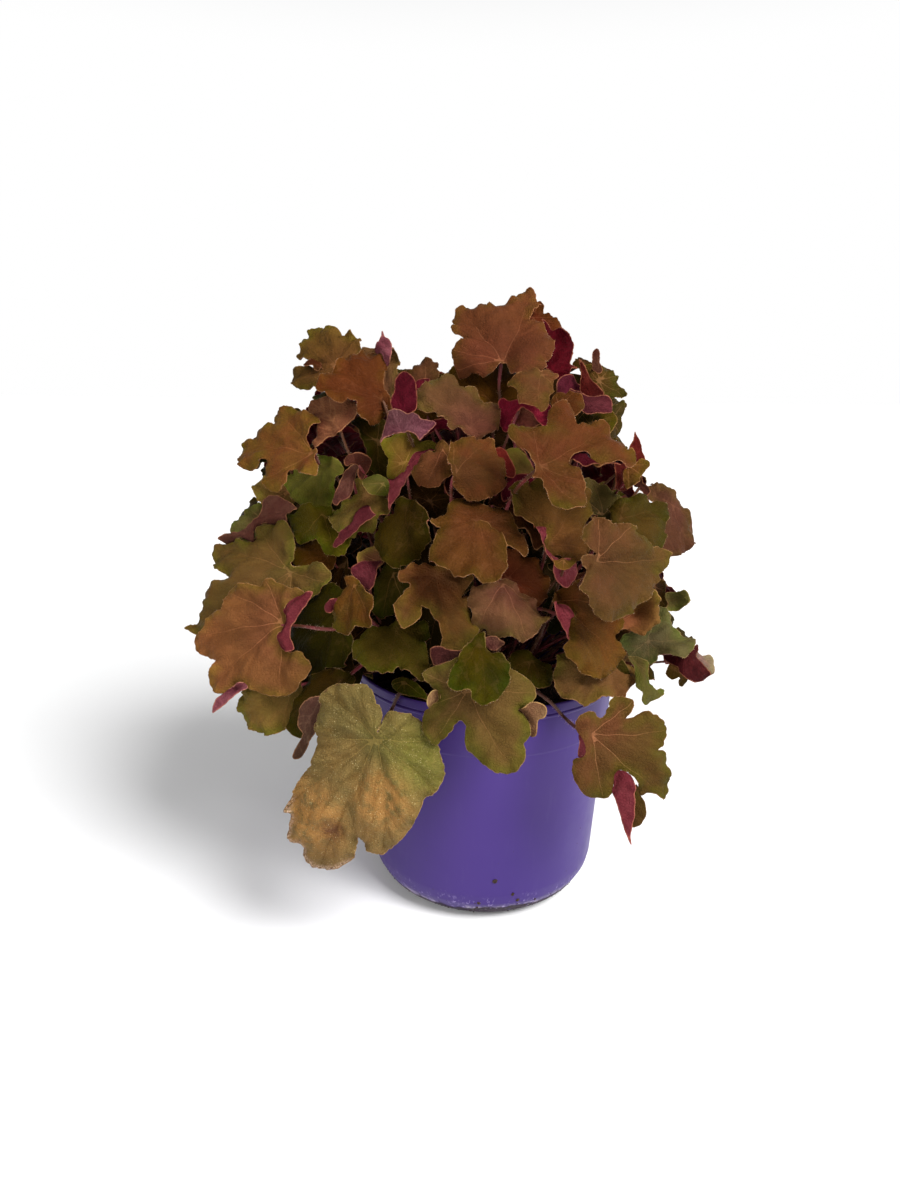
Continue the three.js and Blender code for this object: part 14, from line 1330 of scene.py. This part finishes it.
for _ in range(1500):
    r_, a_ = 80 * math.sqrt(rng.random()), rng.uniform(0, 2 * math.pi)
    if math.hypot(r_ * math.cos(a_) + 6, r_ * math.sin(a_) - 2) < 23:
        continue
    i, j = min(nr - 1, int(r_ / 80.6 * (nr - 1))), int(a_ / (2 * math.pi) * ns) % ns
    s_ = rng.uniform(0.5, 1.5) if rng.random() < 0.9 else rng.uniform(1.5, 2.6)
    M = np.array(Matrix.Rotation(rng.uniform(0, 6), 3, Vector(rng.normal(0, 1, 3)).normalized()))
    v = (IV * rng.uniform(0.7, 1.2, (12, 1)) * s_ * np.array([1, rng.uniform(0.6, 1), rng.uniform(0.4, 0.8)])) @ M.T
    c = np.array([min(r_, 78.5) * math.cos(a_), min(r_, 78.5) * math.sin(a_), Z[i, j] + s_ * 0.25])
    tint = lin((52, 38, 28)) if rng.random() < 0.8 else lin((104, 76, 50))
    B.add(v + c, IF, 0, ca=tint)
for _ in range(90):
    r_, a_ = 76 * math.sqrt(rng.random()), rng.uniform(0, 2 * math.pi)
    if r_ < 26:
        continue
    i, j = min(nr - 1, int(r_ / 80.6 * (nr - 1))), int(a_ / (2 * math.pi) * ns) % ns
    L_, b_ = rng.uniform(4, 10), rng.uniform(0, 6.28)
    c = np.array([r_ * math.cos(a_), r_ * math.sin(a_), Z[i, j] + 0.5])
    d = np.array([math.cos(b_), math.sin(b_), rng.uniform(-0.08, 0.12)])
    t = np.linspace(-0.5, 0.5, 6)[:, None]
    ln = c + d * t * L_ + np.array([0, 0, 0.6]) * (0.25 - t**2)
    if np.hypot(ln[:, 0], ln[:, 1]).max() < 79:
        tube(B, ln, np.full(6, rng.uniform(0.2, 0.55)), 0, 6, ca=lin((110, 84, 56)))
soil = B.make('compost_surface', [earth_skin('compost', (30, 22, 17), (66, 50, 38))])
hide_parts('potting_soil')
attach(soil, 'root')

# ---------------------------------------------------------------- crown
B = Build()
v, f = IV2, IF2
for _ in range(3):
    v, f = split(v, f)
w = np.empty(len(v))
for i, q in enumerate(v):
    q = Vector(q)
    w[i] = 1 + 0.055 * mnoise.fractal(q * 4, 1.0, 2.0, 4) - 0.06 * abs(mnoise.noise(q * 7))
v = v * w[:, None] * np.array([23.4, 21.0, 16.6]) + np.array([-6, 2, 129])
B.add(v, f, 0)
for i in range(70):
    cz = rng.uniform(0.1, 0.95)
    ph = rng.uniform(0, 6.28)
    q = math.sqrt(1 - cz * cz)
    d = np.array([q * math.cos(ph), q * math.sin(ph), cz])
    p = np.array([-6, 2, 129]) + d * np.array([22.6, 20.2, 16.0])
    L_ = rng.uniform(2.5, 6)
    t = np.linspace(0, 1, 5)[:, None]
    bend = rng.normal(0, 0.25, 3)
    ln = p + (d + np.array([0, 0, 0.35])) * t * L_ + bend * (t**2) * L_ * 0.6
    tube(B, ln, np.array([1.9, 1.6, 1.4, 1.2, 0.8]) * rng.uniform(0.8, 1.15), 0, 7)
crown = B.make('crown_bark_dome', [crown_skin()])
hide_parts('crown')
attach(crown, 'root')

# ---------------------------------------------------------------- floor, light, camera
fm = Mat('studio_floor_painted_glow', rough=0.8, spec=0.1)
fm.colour(fm.mix(fm.ramp(fm.noise(fm.obj(), 1.2, 2, 0.5), 0.3, 0.7), (0.86, 0.86, 0.865), (0.875, 0.875, 0.875)))
pos = fm.nt.nodes.new('ShaderNodeVectorMath')
pos.operation = 'LENGTH'
fm.put(pos.inputs[0], fm.obj())
# the floor glows, more the farther it lies from the pot: painted light that whitens the far floor and lifts the shade
# round the plant
fm.b.inputs['Emission Color'].default_value = (1, 1, 1, 1)
fm.put(fm.b.inputs['Emission Strength'], fm.math('ADD', fm.ramp(pos.outputs['Value'], 0.25, 1.2, 0.0, 0.36), fm.ramp(pos.outputs['Value'], 1.0, 3.0, 0.0, 0.30)))
me = bpy.data.meshes.new('studio_floor_painted_glow')
me.from_pydata([(-9, -9, 0), (9, -9, 0), (9, 9, 0), (-9, 9, 0)], [], [(0, 1, 2, 3)])
me.materials.append(fm.m)
floor = bpy.data.objects.new('studio_floor_painted_glow', me)
bpy.context.scene.collection.objects.link(floor)

world = bpy.data.worlds.new('studio')
bpy.context.scene.world = world
world.use_nodes = True
wn = world.node_tree
wn.nodes.clear()
wo = wn.nodes.new('ShaderNodeOutputWorld')
bg = wn.nodes.new('ShaderNodeBackground')
tc = wn.nodes.new('ShaderNodeTexCoord')
sx = wn.nodes.new('ShaderNodeSeparateXYZ')
mr = wn.nodes.new('ShaderNodeMapRange')
mr.interpolation_type = 'SMOOTHSTEP'
for k_, q in ((1, 0.30), (2, 0.62), (3, 1.0), (4, 0.26)):
    mr.inputs[k_].default_value = q
wn.links.new(tc.outputs['Generated'], sx.inputs[0])
wn.links.new(sx.outputs[2], mr.inputs[0])
wn.links.new(mr.outputs[0], bg.inputs[1])
bg.inputs[0].default_value = (1, 1, 1, 1)
wn.links.new(bg.outputs[0], wo.inputs[0])


def lamp(name, loc, target, size, watts):
    d = bpy.data.lights.new(name, 'AREA')
    d.shape, d.size, d.energy = 'DISK', size, watts
    o = bpy.data.objects.new(name, d)
    o.location = loc
    o.rotation_mode = 'QUATERNION'
    o.rotation_quaternion = (Vector(target) - Vector(loc)).to_track_quat('-Z', 'Y')
    bpy.context.scene.collection.objects.link(o)
    return o


lamp('key', (1.10, -1.00, 1.70), (0, 0, 0.15), 1.15, 80)
lamp('front', (-0.5, -1.6, 1.0), (0, 0, 0.2), 1.2, 9)

cam = bpy.data.cameras.new('view')
cam.sensor_fit, cam.sensor_width, cam.lens = 'AUTO', 36.0, 820 * 36 / 1200
cam.clip_start, cam.clip_end = 0.01, 60
co = bpy.data.objects.new('view', cam)
bpy.context.scene.collection.objects.link(co)
yaw, pitch, roll = math.radians(-2.66), math.radians(15.72), math.radians(0.54)
F_ = Vector((math.sin(yaw) * math.cos(pitch), math.cos(yaw) * math.cos(pitch), -math.sin(pitch)))
R0 = Vector((math.cos(yaw), -math.sin(yaw), 0))
U0 = R0.cross(F_)
R_ = math.cos(roll) * R0 + math.sin(roll) * U0
U_ = -math.sin(roll) * R0 + math.cos(roll) * U0
M = Matrix((R_, U_, -F_)).transposed().to_4x4()
M.translation = Vector((0, -0.51784, 0.33866))
co.matrix_world = M
bpy.context.scene.camera = co
vs = bpy.context.scene.view_settings
vs.view_transform, vs.look, vs.exposure, vs.gamma = 'Standard', 'None', 0.0, 1.0
